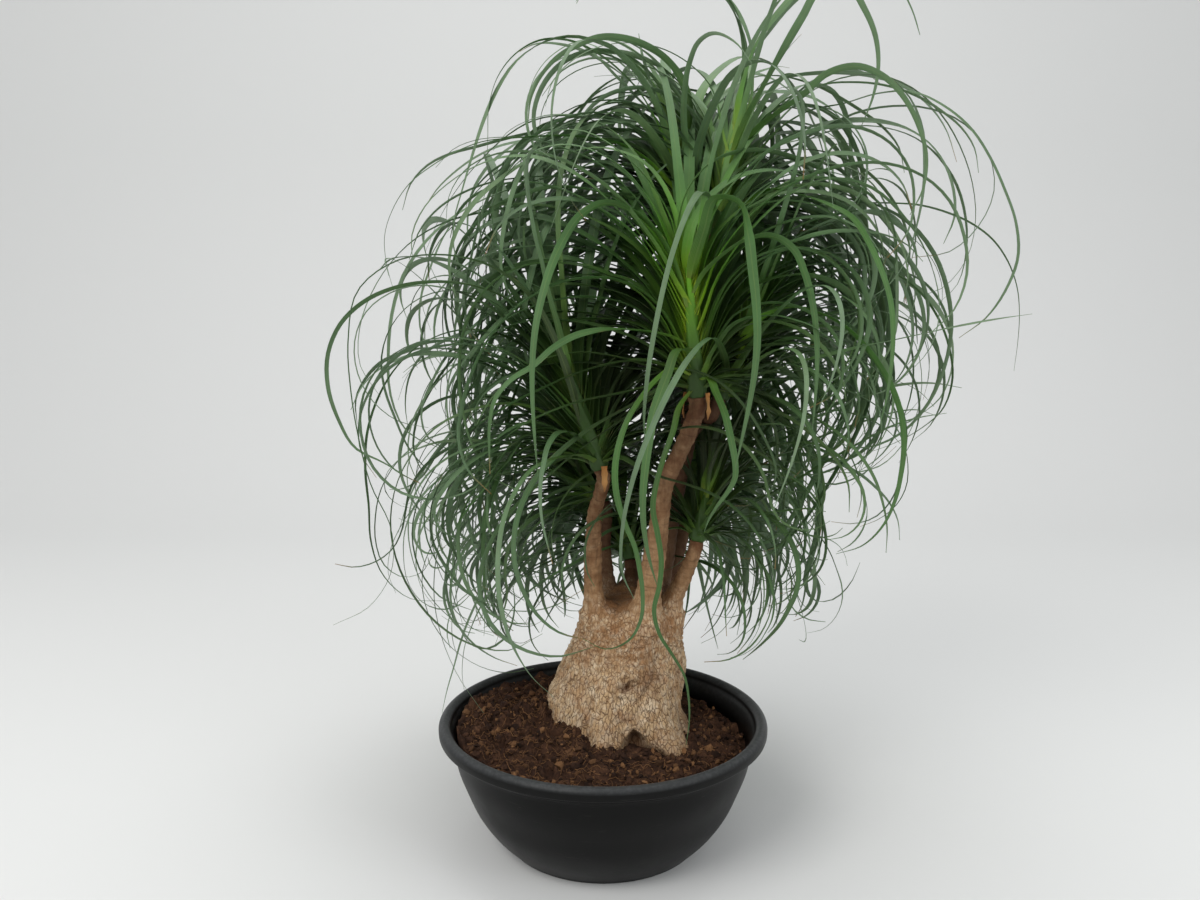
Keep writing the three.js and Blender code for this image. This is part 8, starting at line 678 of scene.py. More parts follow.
        [0.36, 10.2, 0.11, [-2, -1, 478, 7, 0, 514, 23, 2, 547, 50, 6, 572, 84, 11, 584, 121, 18, 582, 153, 23, 565, 176, 27, 536, 193, 30, 503, 204, 32, 468, 214, 33, 432, 222, 35, 396, 224, 38, 359, 205, 46, 329, 171, 55, 323, 140, 62, 341, 121, 64, 372]],
        [0.37, 11.3, -0.92, [-2, -2, 478, 5, -4, 499, 15, -6, 523, 32, -7, 544, 57, -9, 557, 85, -10, 561, 115, -11, 559, 144, -12, 552, 172, -13, 542, 201, -13, 529, 227, -14, 514, 252, -15, 494, 273, -16, 471, 287, -17, 442, 289, -17, 410]],
        [0.39, 9.7, 0.54, [-26, -6, 511, -40, -9, 527, -56, -11, 547, -74, -13, 567, -95, -16, 585, -118, -19, 599, -146, -24, 606, -175, -27, 606, -204, -31, 600, -231, -35, 588, -254, -38, 569, -270, -40, 543, -278, -41, 513, -275, -41, 482, -260, -39, 455]],
        [0.41, 12.7, -0.91, [-15, 0, 476, -29, 1, 491, -44, 1, 508, -59, 2, 527, -77, 4, 545, -97, 7, 559, -120, 11, 572, -144, 16, 583, -169, 21, 590, -196, 27, 593, -223, 33, 592, -249, 39, 584, -274, 42, 570, -293, 43, 550, -306, 42, 524]],
        [0.41, 10.6, 0.28, [-15, 2, 476, -31, 8, 487, -51, 18, 495, -73, 30, 494, -93, 44, 486, -112, 57, 474, -130, 69, 458, -145, 79, 437, -154, 86, 412, -157, 87, 384, -150, 83, 357, -136, 72, 334, -116, 57, 320, -93, 40, 316, -70, 23, 322]],
        [0.42, 8.9, -0.82, [-2, -2, 480, 6, -2, 499, 18, -2, 519, 36, -2, 536, 58, 0, 548, 83, 2, 556, 109, 4, 560, 136, 7, 560, 163, 9, 552, 185, 11, 536, 201, 12, 513, 208, 12, 485, 204, 12, 457, 191, 11, 431, 170, 9, 411]],
        [0.42, 14.9, -0.16, [-9, 5, 478, -15, 18, 506, -22, 35, 537, -27, 59, 565, -31, 89, 590, -34, 122, 613, -34, 159, 630, -33, 200, 640, -28, 241, 641, -20, 282, 630, -8, 316, 608, 6, 340, 574, 20, 346, 533, 30, 330, 494, 35, 297, 465]],
        [0.43, 11.7, 1.15, [-3, 0, 480, 1, 1, 504, 6, 2, 532, 15, 5, 560, 33, 11, 584, 58, 19, 603, 86, 28, 614, 117, 38, 619, 149, 49, 617, 179, 59, 608, 208, 68, 591, 231, 75, 567, 248, 81, 537, 256, 83, 504, 249, 80, 470]],
        [0.43, 17.3, -0.56, [-12, 4, 478, -32, 19, 509, -53, 38, 538, -74, 63, 560, -95, 92, 579, -117, 122, 594, -137, 155, 605, -157, 189, 609, -175, 225, 607, -190, 260, 595, -202, 293, 575, -210, 321, 548, -213, 344, 515, -200, 349, 479, -173, 329, 460, -149, 298, 464, -132, 267, 483]],
        [0.45, 18.1, -0.28, [-11, 4, 479, -21, 17, 505, -34, 33, 533, -46, 58, 557, -56, 90, 575, -66, 126, 586, -73, 165, 586, -75, 204, 574, -73, 237, 551, -66, 263, 519, -55, 278, 481, -43, 282, 441, -28, 269, 403, -14, 241, 374, -2, 203, 356]],
        [0.45, 9.9, -0.32, [-16, -4, 476, -30, -7, 487, -45, -11, 497, -60, -15, 505, -78, -19, 506, -94, -23, 500, -108, -26, 489, -119, -29, 475, -128, -30, 460, -133, -31, 442, -134, -31, 424, -134, -31, 406, -131, -30, 389, -122, -26, 373, -110, -20, 362, -95, -13, 355, -78, -6, 354]],
        [0.48, 14.2, 0.59, [-4, 1, 481, 1, 7, 504, 7, 13, 530, 19, 23, 555, 36, 36, 577, 56, 51, 595, 78, 67, 611, 102, 84, 624, 129, 101, 632, 157, 118, 633, 186, 134, 625, 212, 145, 608, 234, 151, 582, 246, 149, 550, 248, 141, 517]],
        [0.49, 9.6, 0.32, [-3, -4, 481, 3, -10, 504, 11, -16, 527, 22, -22, 548, 39, -30, 564, 60, -38, 575, 82, -47, 580, 105, -55, 578, 127, -63, 568, 145, -71, 553, 160, -76, 535, 173, -81, 514, 184, -85, 492, 190, -88, 469, 182, -88, 446, 162, -85, 433, 138, -80, 431]],
        [0.51, 10.0, -0.03, [-16, -4, 478, -37, -8, 491, -62, -13, 501, -91, -18, 504, -121, -23, 498, -151, -28, 489, -180, -33, 476, -204, -36, 455, -220, -38, 426, -225, -39, 393, -221, -39, 359, -210, -37, 327, -191, -34, 298, -165, -30, 276, -132, -25, 266]],
        [0.52, 10.7, -0.08, [-17, -2, 479, -42, -3, 502, -72, -4, 527, -111, -3, 536, -153, -1, 529, -192, 1, 511, -223, 3, 480, -245, 5, 441, -254, 5, 396, -249, 5, 350, -231, 3, 307, -202, 1, 270, -162, -1, 244, -115, -3, 236, -73, -6, 258]],
        [0.55, 17.2, 0.42, [-14, 3, 484, -24, 10, 503, -35, 16, 526, -46, 25, 550, -59, 37, 572, -73, 53, 592, -87, 72, 611, -102, 93, 627, -116, 116, 640, -130, 143, 649, -142, 172, 651, -153, 201, 645, -158, 228, 629, -157, 247, 603, -149, 255, 573]],
        [0.57, 16.4, 0.07, [-17, 0, 483, -31, 1, 500, -47, 2, 520, -64, 3, 540, -85, 6, 559, -108, 11, 574, -134, 18, 585, -161, 26, 594, -189, 35, 598, -218, 45, 598, -246, 56, 591, -273, 66, 579, -294, 75, 559, -309, 83, 532, -309, 86, 501]],
        [0.57, 19.0, 0.03, [-14, 3, 482, -26, 11, 501, -40, 22, 523, -56, 36, 544, -73, 54, 561, -90, 77, 573, -107, 102, 583, -124, 129, 589, -141, 157, 591, -155, 186, 586, -167, 215, 573, -173, 241, 552, -175, 261, 525, -169, 272, 493, -157, 272, 461]],
        [0.58, 12.0, -0.57, [-35, -9, 549, -51, -6, 570, -71, -3, 594, -93, 0, 617, -119, 3, 639, -148, 6, 657, -180, 11, 669, -216, 15, 673, -250, 19, 664, -279, 22, 642, -294, 25, 608, -292, 25, 571, -275, 22, 538, -245, 19, 514, -208, 15, 506]],
        [0.59, 9.2, -0.37, [-17, -4, 481, -30, -6, 491, -46, -10, 502, -63, -13, 511, -83, -17, 516, -103, -21, 511, -121, -23, 499, -135, -26, 481, -145, -27, 462, -152, -28, 440, -156, -29, 417, -155, -29, 394, -151, -28, 371, -141, -26, 350, -124, -22, 333]],
        [0.59, 15.7, -0.16, [-21, -1, 502, -34, 5, 522, -50, 10, 546, -66, 17, 570, -85, 27, 593, -105, 41, 613, -127, 56, 631, -150, 75, 646, -174, 97, 654, -197, 122, 655, -218, 147, 645, -234, 171, 626, -243, 190, 598, -241, 201, 565, -226, 198, 533]],
        [0.62, 16.6, -0.21, [-31, -6, 535, -43, -4, 551, -56, 0, 569, -70, 3, 588, -86, 7, 607, -102, 12, 626, -119, 18, 644, -137, 25, 662, -157, 34, 677, -178, 45, 690, -200, 57, 700, -223, 72, 707, -245, 89, 708, -266, 107, 705, -284, 125, 692]],
        [0.62, 9.7, 0.71, [-23, -4, 503, -39, -5, 521, -58, -5, 543, -78, -6, 564, -103, -5, 582, -131, -4, 596, -161, -3, 607, -194, -1, 609, -225, 0, 601, -252, 2, 581, -270, 2, 553, -275, 2, 519, -267, 2, 486, -247, 1, 458, -216, 0, 441]],
        [0.65, 16.7, -0.70, [-8, 1, 490, -8, 7, 518, -9, 13, 550, -9, 22, 584, -1, 37, 615, 10, 56, 645, 24, 77, 673, 40, 100, 699, 59, 125, 720, 81, 155, 734, 104, 186, 739, 127, 218, 731, 146, 245, 709, 157, 263, 675, 158, 267, 634]],
        [0.67, 16.4, -0.34, [-21, -1, 515, -32, 10, 546, -44, 21, 581, -56, 40, 617, -67, 62, 651, -79, 87, 685, -91, 117, 717, -102, 151, 745, -111, 191, 767, -116, 235, 781, -120, 282, 783, -118, 327, 769, -109, 358, 733, -95, 363, 687, -80, 347, 644]],
        [0.70, 13.7, -0.64, [-17, 1, 502, -23, 8, 521, -30, 15, 544, -38, 23, 567, -45, 34, 590, -52, 51, 611, -58, 73, 627, -63, 97, 641, -66, 124, 650, -68, 153, 653, -68, 182, 649, -66, 210, 638, -63, 233, 619, -57, 249, 594, -50, 255, 565]],
        [0.71, 14.8, 0.73, [-29, -6, 527, -42, -3, 544, -57, 0, 564, -72, 4, 585, -91, 10, 604, -111, 18, 621, -133, 27, 637, -156, 39, 649, -181, 53, 656, -204, 71, 657, -225, 91, 650, -242, 112, 637, -252, 133, 617, -254, 152, 593, -245, 165, 566]],
        [0.72, 15.2, 0.17, [-22, -7, 534, -19, -6, 562, -16, -5, 594, -11, -2, 627, -3, 2, 660, 6, 6, 695, 18, 11, 729, 34, 18, 761, 54, 27, 792, 81, 38, 817, 112, 52, 834, 147, 67, 841, 183, 81, 835, 214, 93, 814, 230, 98, 778]],
        [0.74, 15.8, 0.41, [-9, 0, 494, -7, 4, 520, -6, 8, 550, -5, 11, 581, 3, 20, 612, 17, 33, 639, 34, 49, 665, 55, 66, 686, 81, 86, 701, 110, 106, 706, 139, 125, 699, 167, 139, 680, 188, 146, 650, 197, 144, 615, 191, 133, 580]],
        [0.74, 15.3, 1.30, [-34, -8, 550, -49, -1, 574, -66, 7, 602, -83, 17, 631, -103, 27, 660, -124, 41, 689, -146, 58, 715, -169, 81, 736, -193, 109, 751, -215, 142, 756, -232, 177, 751, -242, 214, 737, -243, 248, 713, -232, 268, 680, -210, 270, 644]],
        [0.74, 8.3, 0.55, [-29, -8, 524, -49, -12, 547, -73, -17, 572, -102, -23, 594, -137, -29, 609, -176, -35, 615, -214, -41, 608, -248, -47, 586, -269, -50, 551, -273, -51, 509, -261, -49, 469, -231, -44, 439, -190, -37, 430, -149, -30, 442, -119, -25, 473]],
        [0.76, 7.5, 1.70, [-23, -2, 512, -32, 2, 525, -42, 7, 544, -55, 13, 565, -72, 23, 585, -92, 40, 596, -116, 59, 599, -140, 80, 595, -164, 100, 584, -186, 118, 565, -201, 131, 538, -205, 134, 504, -192, 123, 472]],
        [0.77, 8.2, 0.25, [-39, -11, 564, -56, -8, 585, -75, -6, 610, -98, -2, 633, -125, 2, 653, -157, 7, 665, -192, 12, 666, -225, 17, 652, -250, 21, 625, -262, 22, 590, -260, 22, 553, -248, 20, 517, -233, 18, 482, -207, 15, 454, -170, 9, 444]],
        [0.78, 13.0, -0.24, [-32, -7, 540, -43, -2, 556, -56, 2, 575, -69, 6, 594, -84, 13, 613, -100, 21, 631, -118, 30, 648, -137, 41, 663, -156, 55, 675, -177, 71, 683, -198, 89, 685, -218, 107, 680, -235, 125, 667, -247, 141, 647, -252, 153, 621]],
        [0.81, 13.4, -0.04, [-31, -6, 546, -41, 3, 573, -54, 16, 609, -69, 34, 650, -86, 56, 692, -103, 82, 736, -120, 115, 778, -137, 158, 816, -152, 210, 843, -161, 272, 851, -160, 331, 827, -146, 364, 773, -126, 353, 710]],
        [0.81, 13.7, 0.93, [-40, -12, 568, -53, -10, 583, -67, -7, 602, -82, -5, 621, -98, -2, 641, -115, 2, 660, -134, 7, 677, -156, 15, 691, -179, 26, 701, -202, 40, 704, -224, 58, 700, -241, 77, 689, -252, 98, 673, -255, 117, 652, -249, 130, 627]],
        [0.81, 7.1, -0.23, [-36, -9, 554, -43, -6, 565, -53, -2, 580, -64, 2, 598, -81, 9, 611, -102, 19, 619, -125, 30, 620, -149, 41, 615, -171, 51, 602, -189, 59, 581, -199, 64, 555, -198, 63, 525, -184, 57, 500]],
        [0.82, 8.2, 0.37, [-19, -5, 488, -33, -9, 497, -49, -13, 505, -68, -16, 510, -87, -20, 504, -100, -23, 488, -111, -25, 470, -120, -26, 450, -127, -26, 429, -130, -27, 406, -131, -27, 384, -129, -27, 361, -122, -26, 339, -110, -24, 319, -93, -22, 303]],
        [0.90, 7.8, -0.48, [-38, -17, 573, -42, -26, 590, -47, -34, 611, -52, -42, 633, -58, -51, 655, -63, -61, 677, -67, -74, 700, -72, -88, 721, -75, -104, 742, -77, -123, 761, -77, -144, 778, -75, -168, 791, -69, -195, 798, -61, -221, 797, -49, -245, 788]],
        [0.92, 13.4, -0.36, [-37, -12, 575, -37, -10, 596, -40, -10, 625, -44, -10, 658, -47, -9, 694, -50, -7, 732, -50, -3, 773, -44, 5, 814, -29, 18, 852, -2, 41, 880, 33, 69, 884, 62, 94, 857, 73, 106, 812]],
        [0.94, 12.2, -0.15, [-41, -11, 573, -51, -9, 590, -60, -8, 611, -70, -8, 633, -81, -6, 655, -94, -2, 677, -108, 3, 698, -123, 11, 718, -141, 23, 734, -161, 39, 744, -180, 58, 746, -197, 79, 739, -210, 98, 724, -219, 114, 702, -220, 124, 676]],
        [0.96, 8.1, 0.82, [-17, -5, 518, -14, -2, 551, -12, 0, 588, 1, 9, 625, 26, 23, 655, 57, 40, 678, 90, 59, 697, 125, 79, 716, 161, 99, 731, 200, 121, 738, 240, 143, 735, 277, 164, 719, 305, 180, 687, 316, 185, 642, 307, 180, 596]],
        [0.98, 8.2, 0.62, [-23, -2, 512, -36, 5, 533, -51, 11, 558, -67, 19, 584, -87, 34, 604, -110, 56, 613, -133, 81, 617, -157, 105, 616, -181, 130, 612, -205, 155, 603, -228, 179, 591, -250, 202, 574, -267, 219, 547, -274, 226, 511, -270, 222, 475]],
        [0.98, 11.0, 0.41, [-33, -7, 550, -42, 0, 570, -52, 7, 593, -62, 17, 616, -74, 30, 638, -85, 46, 660, -97, 64, 680, -109, 83, 700, -120, 105, 718, -132, 128, 734, -143, 154, 748, -153, 183, 757, -159, 214, 758, -162, 244, 749, -160, 270, 730]],
        [0.99, 10.6, -1.01, [-38, -11, 573, -43, -6, 593, -49, -4, 616, -56, -2, 640, -62, 3, 665, -68, 8, 691, -74, 15, 717, -79, 23, 742, -85, 34, 768, -90, 49, 792, -93, 69, 812, -97, 93, 828, -100, 122, 833, -104, 150, 828, -105, 174, 811]],
        [0.99, 12.2, 1.13, [-38, -10, 567, -47, -3, 590, -57, 4, 617, -68, 13, 644, -80, 25, 672, -92, 40, 699, -104, 57, 724, -116, 79, 748, -127, 105, 768, -137, 135, 783, -144, 169, 790, -145, 205, 788, -141, 237, 774, -131, 263, 750, -119, 278, 719]],
        [0.78, 9.4, 0.38, [-25, -5, 509, -38, -4, 524, -53, -5, 542, -69, -5, 560, -89, -2, 576, -112, 3, 585, -137, 13, 584, -159, 26, 576, -175, 40, 560, -183, 55, 538, -183, 67, 513, -175, 77, 488, -159, 83, 465, -138, 84, 447, -111, 79, 437]],
        [0.04, 15.0, 0.02, [-12, 3, 464, -28, 9, 470, -45, 18, 468, -61, 27, 463, -76, 36, 457, -92, 45, 453, -108, 53, 448, -124, 62, 442, -139, 71, 435, -153, 81, 427, -166, 90, 417, -178, 99, 406, -189, 108, 393, -197, 117, 379, -200, 123, 362, -195, 126, 344, -184, 124, 329]],
        [0.58, 12.7, -0.84, [-33, -7, 550, -41, 0, 573, -53, 9, 598, -66, 19, 623, -81, 32, 647, -98, 47, 670, -117, 66, 689, -137, 89, 702, -158, 115, 706, -177, 142, 698, -192, 166, 678, -200, 183, 648, -198, 190, 614, -188, 186, 580, -172, 173, 551]],
        [0.26, 9.5, -0.13, [-14, 2, 471, -26, 4, 484, -39, 6, 498, -54, 9, 513, -72, 15, 524, -91, 23, 531, -112, 33, 533, -132, 43, 530, -151, 55, 522, -166, 67, 509, -178, 78, 491, -185, 87, 470, -186, 94, 446, -180, 99, 423, -167, 100, 402]],
        [0.59, 9.8, 0.28, [-16, 1, 481, -30, 6, 495, -45, 11, 508, -61, 18, 519, -79, 27, 523, -95, 39, 519, -109, 49, 509, -120, 59, 495, -129, 69, 479, -135, 77, 462, -139, 83, 442, -139, 88, 423, -136, 92, 403, -130, 94, 383, -116, 95, 369, -96, 95, 365, -76, 94, 368]],
        [0.24, 10.4, -0.86, [-13, 3, 471, -41, 21, 484, -69, 43, 483, -96, 66, 478, -123, 89, 470, -150, 111, 461, -175, 132, 446, -198, 152, 427, -217, 170, 403, -231, 183, 372, -236, 189, 338, -231, 186, 302, -218, 169, 275, -199, 140, 276, -185, 117, 300, -177, 100, 330, -170, 87, 363]],
        [0.52, 12.1, 0.09, [-4, -1, 483, 4, 1, 521, 15, 4, 558, 40, 13, 586, 72, 26, 603, 107, 41, 611, 142, 57, 608, 175, 73, 595, 202, 89, 572, 223, 103, 542, 236, 114, 507, 242, 121, 470, 236, 126, 432, 204, 121, 413, 168, 111, 423, 141, 101, 448, 121, 91, 480]],
        [0.24, 11.2, 0.63, [-1, 0, 474, 18, 3, 498, 44, 8, 513, 72, 15, 525, 101, 22, 533, 129, 30, 541, 158, 39, 547, 188, 48, 549, 216, 59, 547, 244, 70, 541, 270, 83, 529, 291, 96, 512, 306, 108, 488, 312, 119, 460, 306, 121, 430, 287, 114, 408, 262, 100, 397]],
        [0.41, 10.8, -0.98, [-13, 4, 477, -27, 16, 490, -42, 31, 499, -56, 48, 501, -69, 67, 497, -80, 85, 490, -92, 102, 479, -102, 117, 466, -110, 130, 449, -115, 139, 429, -117, 144, 406, -115, 143, 384, -111, 137, 362, -105, 120, 349, -98, 99, 346, -91, 78, 351, -85, 58, 360]],
        [0.57, 15.0, -0.33, [-14, 3, 482, -27, 10, 500, -41, 19, 520, -57, 31, 539, -74, 46, 555, -92, 66, 567, -111, 87, 576, -130, 110, 582, -149, 135, 584, -165, 161, 581, -180, 187, 572, -192, 212, 557, -197, 232, 532, -194, 244, 503, -182, 244, 472]],
        [0.76, 7.9, -0.48, [-23, -1, 512, -30, 3, 525, -39, 8, 542, -49, 14, 562, -62, 23, 581, -78, 38, 595, -96, 57, 602, -116, 79, 603, -136, 101, 598, -156, 123, 586, -173, 142, 567, -184, 154, 540, -184, 156, 508]],
        [0.20, 15.0, 0.00, [-2, 4, 473, 2, 13, 497, 14, 30, 525, 31, 52, 554, 53, 79, 580, 80, 110, 600, 113, 144, 606, 148, 177, 596, 181, 207, 568, 209, 228, 528, 229, 240, 477, 236, 241, 420, 231, 232, 363]],
        [0.27, 11.9, -0.89, [-13, 2, 472, -25, 6, 481, -41, 12, 491, -60, 21, 499, -81, 32, 505, -104, 44, 506, -128, 58, 503, -150, 73, 493, -169, 88, 476, -181, 101, 452, -184, 109, 422, -178, 113, 391, -162, 111, 362, -141, 105, 337, -115, 95, 319]],
        [0.81, 15.0, -0.15, [-30, -6, 546, -36, 2, 572, -43, 13, 605, -51, 29, 643, -60, 48, 684, -68, 70, 725, -75, 96, 767, -80, 130, 807, -82, 171, 842, -80, 220, 867, -72, 276, 875, -57, 328, 857, -38, 358, 809]],
        [0.81, 15.0, 0.06, [-27, -8, 547, -27, -3, 576, -25, 4, 615, -21, 14, 660, -15, 27, 708, -6, 42, 758, 8, 61, 807, 30, 86, 855, 60, 119, 895, 101, 157, 918, 148, 197, 911, 185, 223, 870, 195, 225, 807]],
        [0.00, 15.0, -0.68, [2, 2, 467, 17, 9, 484, 37, 18, 493, 58, 26, 501, 79, 35, 510, 99, 44, 519, 120, 54, 526, 141, 63, 532, 163, 72, 535, 185, 82, 534, 207, 91, 530, 228, 100, 521, 246, 108, 508, 265, 118, 498, 285, 130, 497, 303, 142, 506, 313, 152, 523]],
    ]},
    "right": {"base": [0.138, 0.02, 0.541], "tip": [0.1677, 0.03, 0.6116], "leaves": [
        [0.00, 16.0, -0.74, [143, 27, 542, 156, 44, 548, 168, 62, 546, 179, 80, 542, 191, 98, 540, 202, 117, 537, 212, 135, 531, 221, 153, 522, 229, 170, 512, 235, 187, 499, 239, 202, 484, 242, 217, 468, 243, 230, 451, 242, 239, 431, 238, 239, 410, 232, 230, 392, 225, 213, 380]],
        [0.02, 7.3, -0.65, [146, 21, 541, 161, 23, 544, 175, 24, 541, 188, 25, 534, 202, 26, 526, 214, 28, 517, 226, 28, 508, 237, 29, 498, 247, 30, 487, 256, 31, 475, 262, 31, 461, 266, 32, 447, 269, 32, 432, 270, 32, 417, 265, 31, 403, 257, 30, 391, 245, 28, 382]],
        [0.02, 13.3, 0.03, [139, 28, 543, 143, 53, 550, 141, 79, 542, 138, 103, 532, 135, 128, 524, 132, 153, 514, 129, 176, 502, 123, 197, 487, 117, 217, 469, 110, 233, 450, 102, 247, 429, 94, 258, 405, 86, 265, 381, 79, 268, 356, 76, 261, 330, 77, 245, 310, 83, 222, 298]],
        [0.03, 9.3, -0.31, [133, 21, 547, 118, 23, 565, 94, 24, 576, 67, 26, 586, 39, 28, 597, 10, 30, 605, -21, 33, 610, -52, 35, 614, -84, 38, 615, -117, 40, 613, -149, 43, 609, -181, 45, 601, -212, 47, 588, -237, 49, 566, -250, 51, 535]],
        [0.08, 14.6, -0.70, [139, 28, 545, 140, 51, 555, 134, 86, 551, 125, 125, 544, 116, 167, 537, 104, 210, 522, 87, 248, 495, 66, 276, 458, 41, 293, 413, 15, 298, 365, -12, 293, 316, -41, 281, 267, -72, 263, 219]],
        [0.08, 7.7, 0.17, [146, 18, 543, 155, 16, 543, 163, 12, 535, 169, 7, 522, 174, 2, 508, 181, -2, 493, 189, -8, 478, 198, -13, 462, 207, -18, 446, 216, -23, 429, 225, -29, 411, 235, -34, 393, 245, -40, 375]],
        [0.09, 8.4, -0.06, [141, 13, 546, 148, 1, 559, 155, -21, 571, 163, -49, 582, 171, -79, 594, 179, -112, 604, 185, -148, 609, 189, -187, 609, 190, -226, 600, 186, -263, 582, 178, -293, 553, 165, -309, 515, 150, -310, 474]],
        [0.10, 11.3, 0.47, [134, 24, 548, 123, 35, 563, 98, 50, 572, 69, 68, 583, 39, 87, 594, 5, 109, 600, -31, 132, 598, -67, 155, 586, -100, 177, 564, -130, 196, 532, -153, 211, 491, -170, 222, 446, -180, 229, 396, -184, 231, 344, -182, 230, 290]],
        [0.11, 18.0, 0.90, [138, 28, 546, 139, 55, 560, 135, 84, 565, 130, 114, 569, 125, 144, 574, 120, 173, 576, 114, 203, 575, 106, 231, 569, 96, 258, 557, 85, 281, 541, 75, 301, 521, 65, 315, 496, 58, 325, 468, 51, 333, 440, 39, 352, 420, 24, 377, 413, 11, 403, 422]],
        [0.12, 9.3, -0.58, [146, 23, 543, 162, 28, 556, 179, 33, 571, 200, 40, 583, 223, 48, 592, 248, 56, 598, 274, 64, 597, 299, 72, 590, 322, 80, 576, 340, 86, 555, 350, 89, 529, 351, 89, 500, 341, 86, 473, 321, 80, 452, 295, 72, 442]],
        [0.13, 12.2, -0.75, [139, 28, 546, 143, 43, 557, 144, 61, 568, 146, 82, 577, 147, 104, 586, 149, 126, 595, 149, 150, 602, 148, 174, 608, 146, 199, 612, 143, 224, 613, 138, 250, 611, 129, 273, 604, 118, 293, 591, 104, 307, 573, 90, 311, 550]],
        [0.13, 16.0, -0.04, [144, 27, 544, 160, 48, 549, 175, 70, 545, 189, 92, 539, 202, 114, 531, 215, 136, 522, 226, 158, 510, 236, 178, 496, 244, 197, 478, 250, 214, 458, 255, 229, 436, 258, 242, 413, 258, 247, 387, 253, 239, 362, 243, 218, 348, 234, 194, 346, 225, 170, 356]],
        [0.13, 15.6, -0.08, [142, 28, 545, 150, 46, 553, 157, 68, 556, 166, 92, 557, 173, 118, 558, 181, 143, 558, 188, 170, 557, 195, 196, 553, 199, 223, 544, 202, 249, 532, 205, 272, 515, 205, 293, 495, 201, 307, 469, 194, 312, 441, 184, 306, 413]],
        [0.14, 16.5, 0.60, [138, 27, 547, 136, 50, 564, 130, 79, 577, 122, 109, 590, 113, 142, 602, 103, 175, 611, 91, 210, 615, 75, 244, 613, 57, 276, 605, 38, 305, 589, 18, 330, 565, -1, 348, 536, -16, 356, 500, -25, 348, 462, -26, 325, 429]],
        [0.15, 13.8, -0.23, [139, 28, 546, 140, 45, 556, 136, 68, 562, 132, 92, 564, 127, 117, 565, 121, 142, 564, 114, 168, 562, 105, 193, 555, 95, 216, 544, 83, 236, 529, 70, 252, 509, 57, 264, 487, 45, 270, 462, 33, 266, 436, 25, 253, 412]],
        [0.16, 13.4, 0.49, [135, 26, 548, 126, 39, 562, 110, 55, 568, 91, 72, 571, 71, 89, 575, 51, 106, 579, 30, 123, 580, 7, 140, 576, -15, 155, 568, -38, 167, 555, -59, 176, 538, -76, 183, 515, -88, 185, 488, -94, 181, 459, -91, 170, 431]],
        [0.18, 10.3, -0.16, [145, 15, 546, 155, 8, 552, 165, -3, 554, 175, -16, 554, 185, -29, 551, 195, -42, 547, 205, -56, 542, 215, -68, 534, 224, -79, 523, 231, -87, 508, 235, -93, 491, 236, -94, 472, 235, -92, 454, 229, -86, 437, 221, -75, 424]],
        [0.19, 7.0, 1.79, [147, 19, 545, 160, 17, 549, 178, 13, 548, 197, 8, 542, 217, 2, 533, 239, -4, 524, 261, -10, 512, 282, -16, 496, 300, -21, 476, 315, -25, 452, 325, -28, 424, 331, -29, 394, 331, -29, 364]],
        [0.21, 16.1, -0.27, [142, 28, 546, 150, 44, 559, 160, 65, 570, 169, 88, 579, 178, 113, 586, 186, 139, 591, 193, 167, 593, 198, 196, 590, 202, 224, 583, 204, 252, 571, 203, 277, 554, 199, 299, 533, 191, 313, 507, 178, 317, 479, 164, 310, 452]],
        [0.21, 9.5, -0.79, [134, 21, 550, 126, 23, 571, 109, 25, 591, 88, 26, 609, 64, 27, 624, 38, 29, 636, 9, 30, 645, -21, 32, 649, -51, 34, 649, -81, 36, 641, -107, 37, 624, -127, 38, 599, -140, 39, 570, -143, 40, 538, -133, 39, 507]],
        [0.22, 14.8, 0.32, [143, 27, 546, 155, 47, 551, 163, 69, 545, 169, 89, 533, 176, 110, 523, 183, 131, 512, 189, 151, 501, 194, 171, 487, 198, 188, 472, 200, 205, 454, 202, 219, 435, 203, 231, 414, 202, 240, 391, 195, 244, 369, 179, 239, 352, 160, 227, 344, 143, 210, 347]],
        [0.23, 16.6, 0.06, [137, 26, 549, 132, 41, 564, 123, 59, 578, 112, 79, 590, 99, 100, 602, 87, 122, 613, 73, 144, 624, 57, 167, 631, 39, 189, 635, 19, 211, 635, -2, 232, 629, -23, 250, 618, -43, 263, 600, -59, 267, 574, -68, 262, 545]],
        [0.24, 7.4, -0.64, [147, 19, 546, 165, 16, 549, 182, 12, 544, 197, 7, 534, 210, 3, 522, 222, -1, 507, 231, -4, 491, 236, -5, 474, 239, -6, 455, 239, -6, 437, 237, -6, 418, 230, -3, 401, 223, -1, 384, 214, 1, 368, 200, 3, 355, 183, 5, 349, 165, 5, 349]],
        [0.24, 13.2, -0.69, [141, 28, 547, 147, 40, 556, 152, 55, 564, 158, 72, 572, 162, 90, 578, 166, 110, 582, 170, 130, 585, 172, 151, 585, 173, 172, 583, 174, 193, 577, 173, 213, 568, 170, 232, 556, 166, 248, 541, 160, 260, 523, 153, 266, 502]],
        [0.25, 9.9, -0.02, [147, 24, 545, 164, 30, 560, 183, 37, 578, 204, 45, 594, 229, 55, 607, 256, 65, 614, 285, 76, 617, 314, 87, 614, 342, 98, 604, 368, 108, 589, 390, 116, 567, 405, 123, 539, 409, 125, 506, 401, 124, 474, 384, 119, 446]],
        [0.27, 15.5, 0.62, [142, 28, 547, 148, 42, 555, 153, 59, 561, 157, 79, 563, 162, 100, 564, 165, 121, 563, 169, 143, 561, 171, 164, 556, 172, 186, 549, 172, 206, 538, 171, 225, 524, 168, 241, 508, 163, 253, 488, 156, 259, 466, 148, 258, 443]],
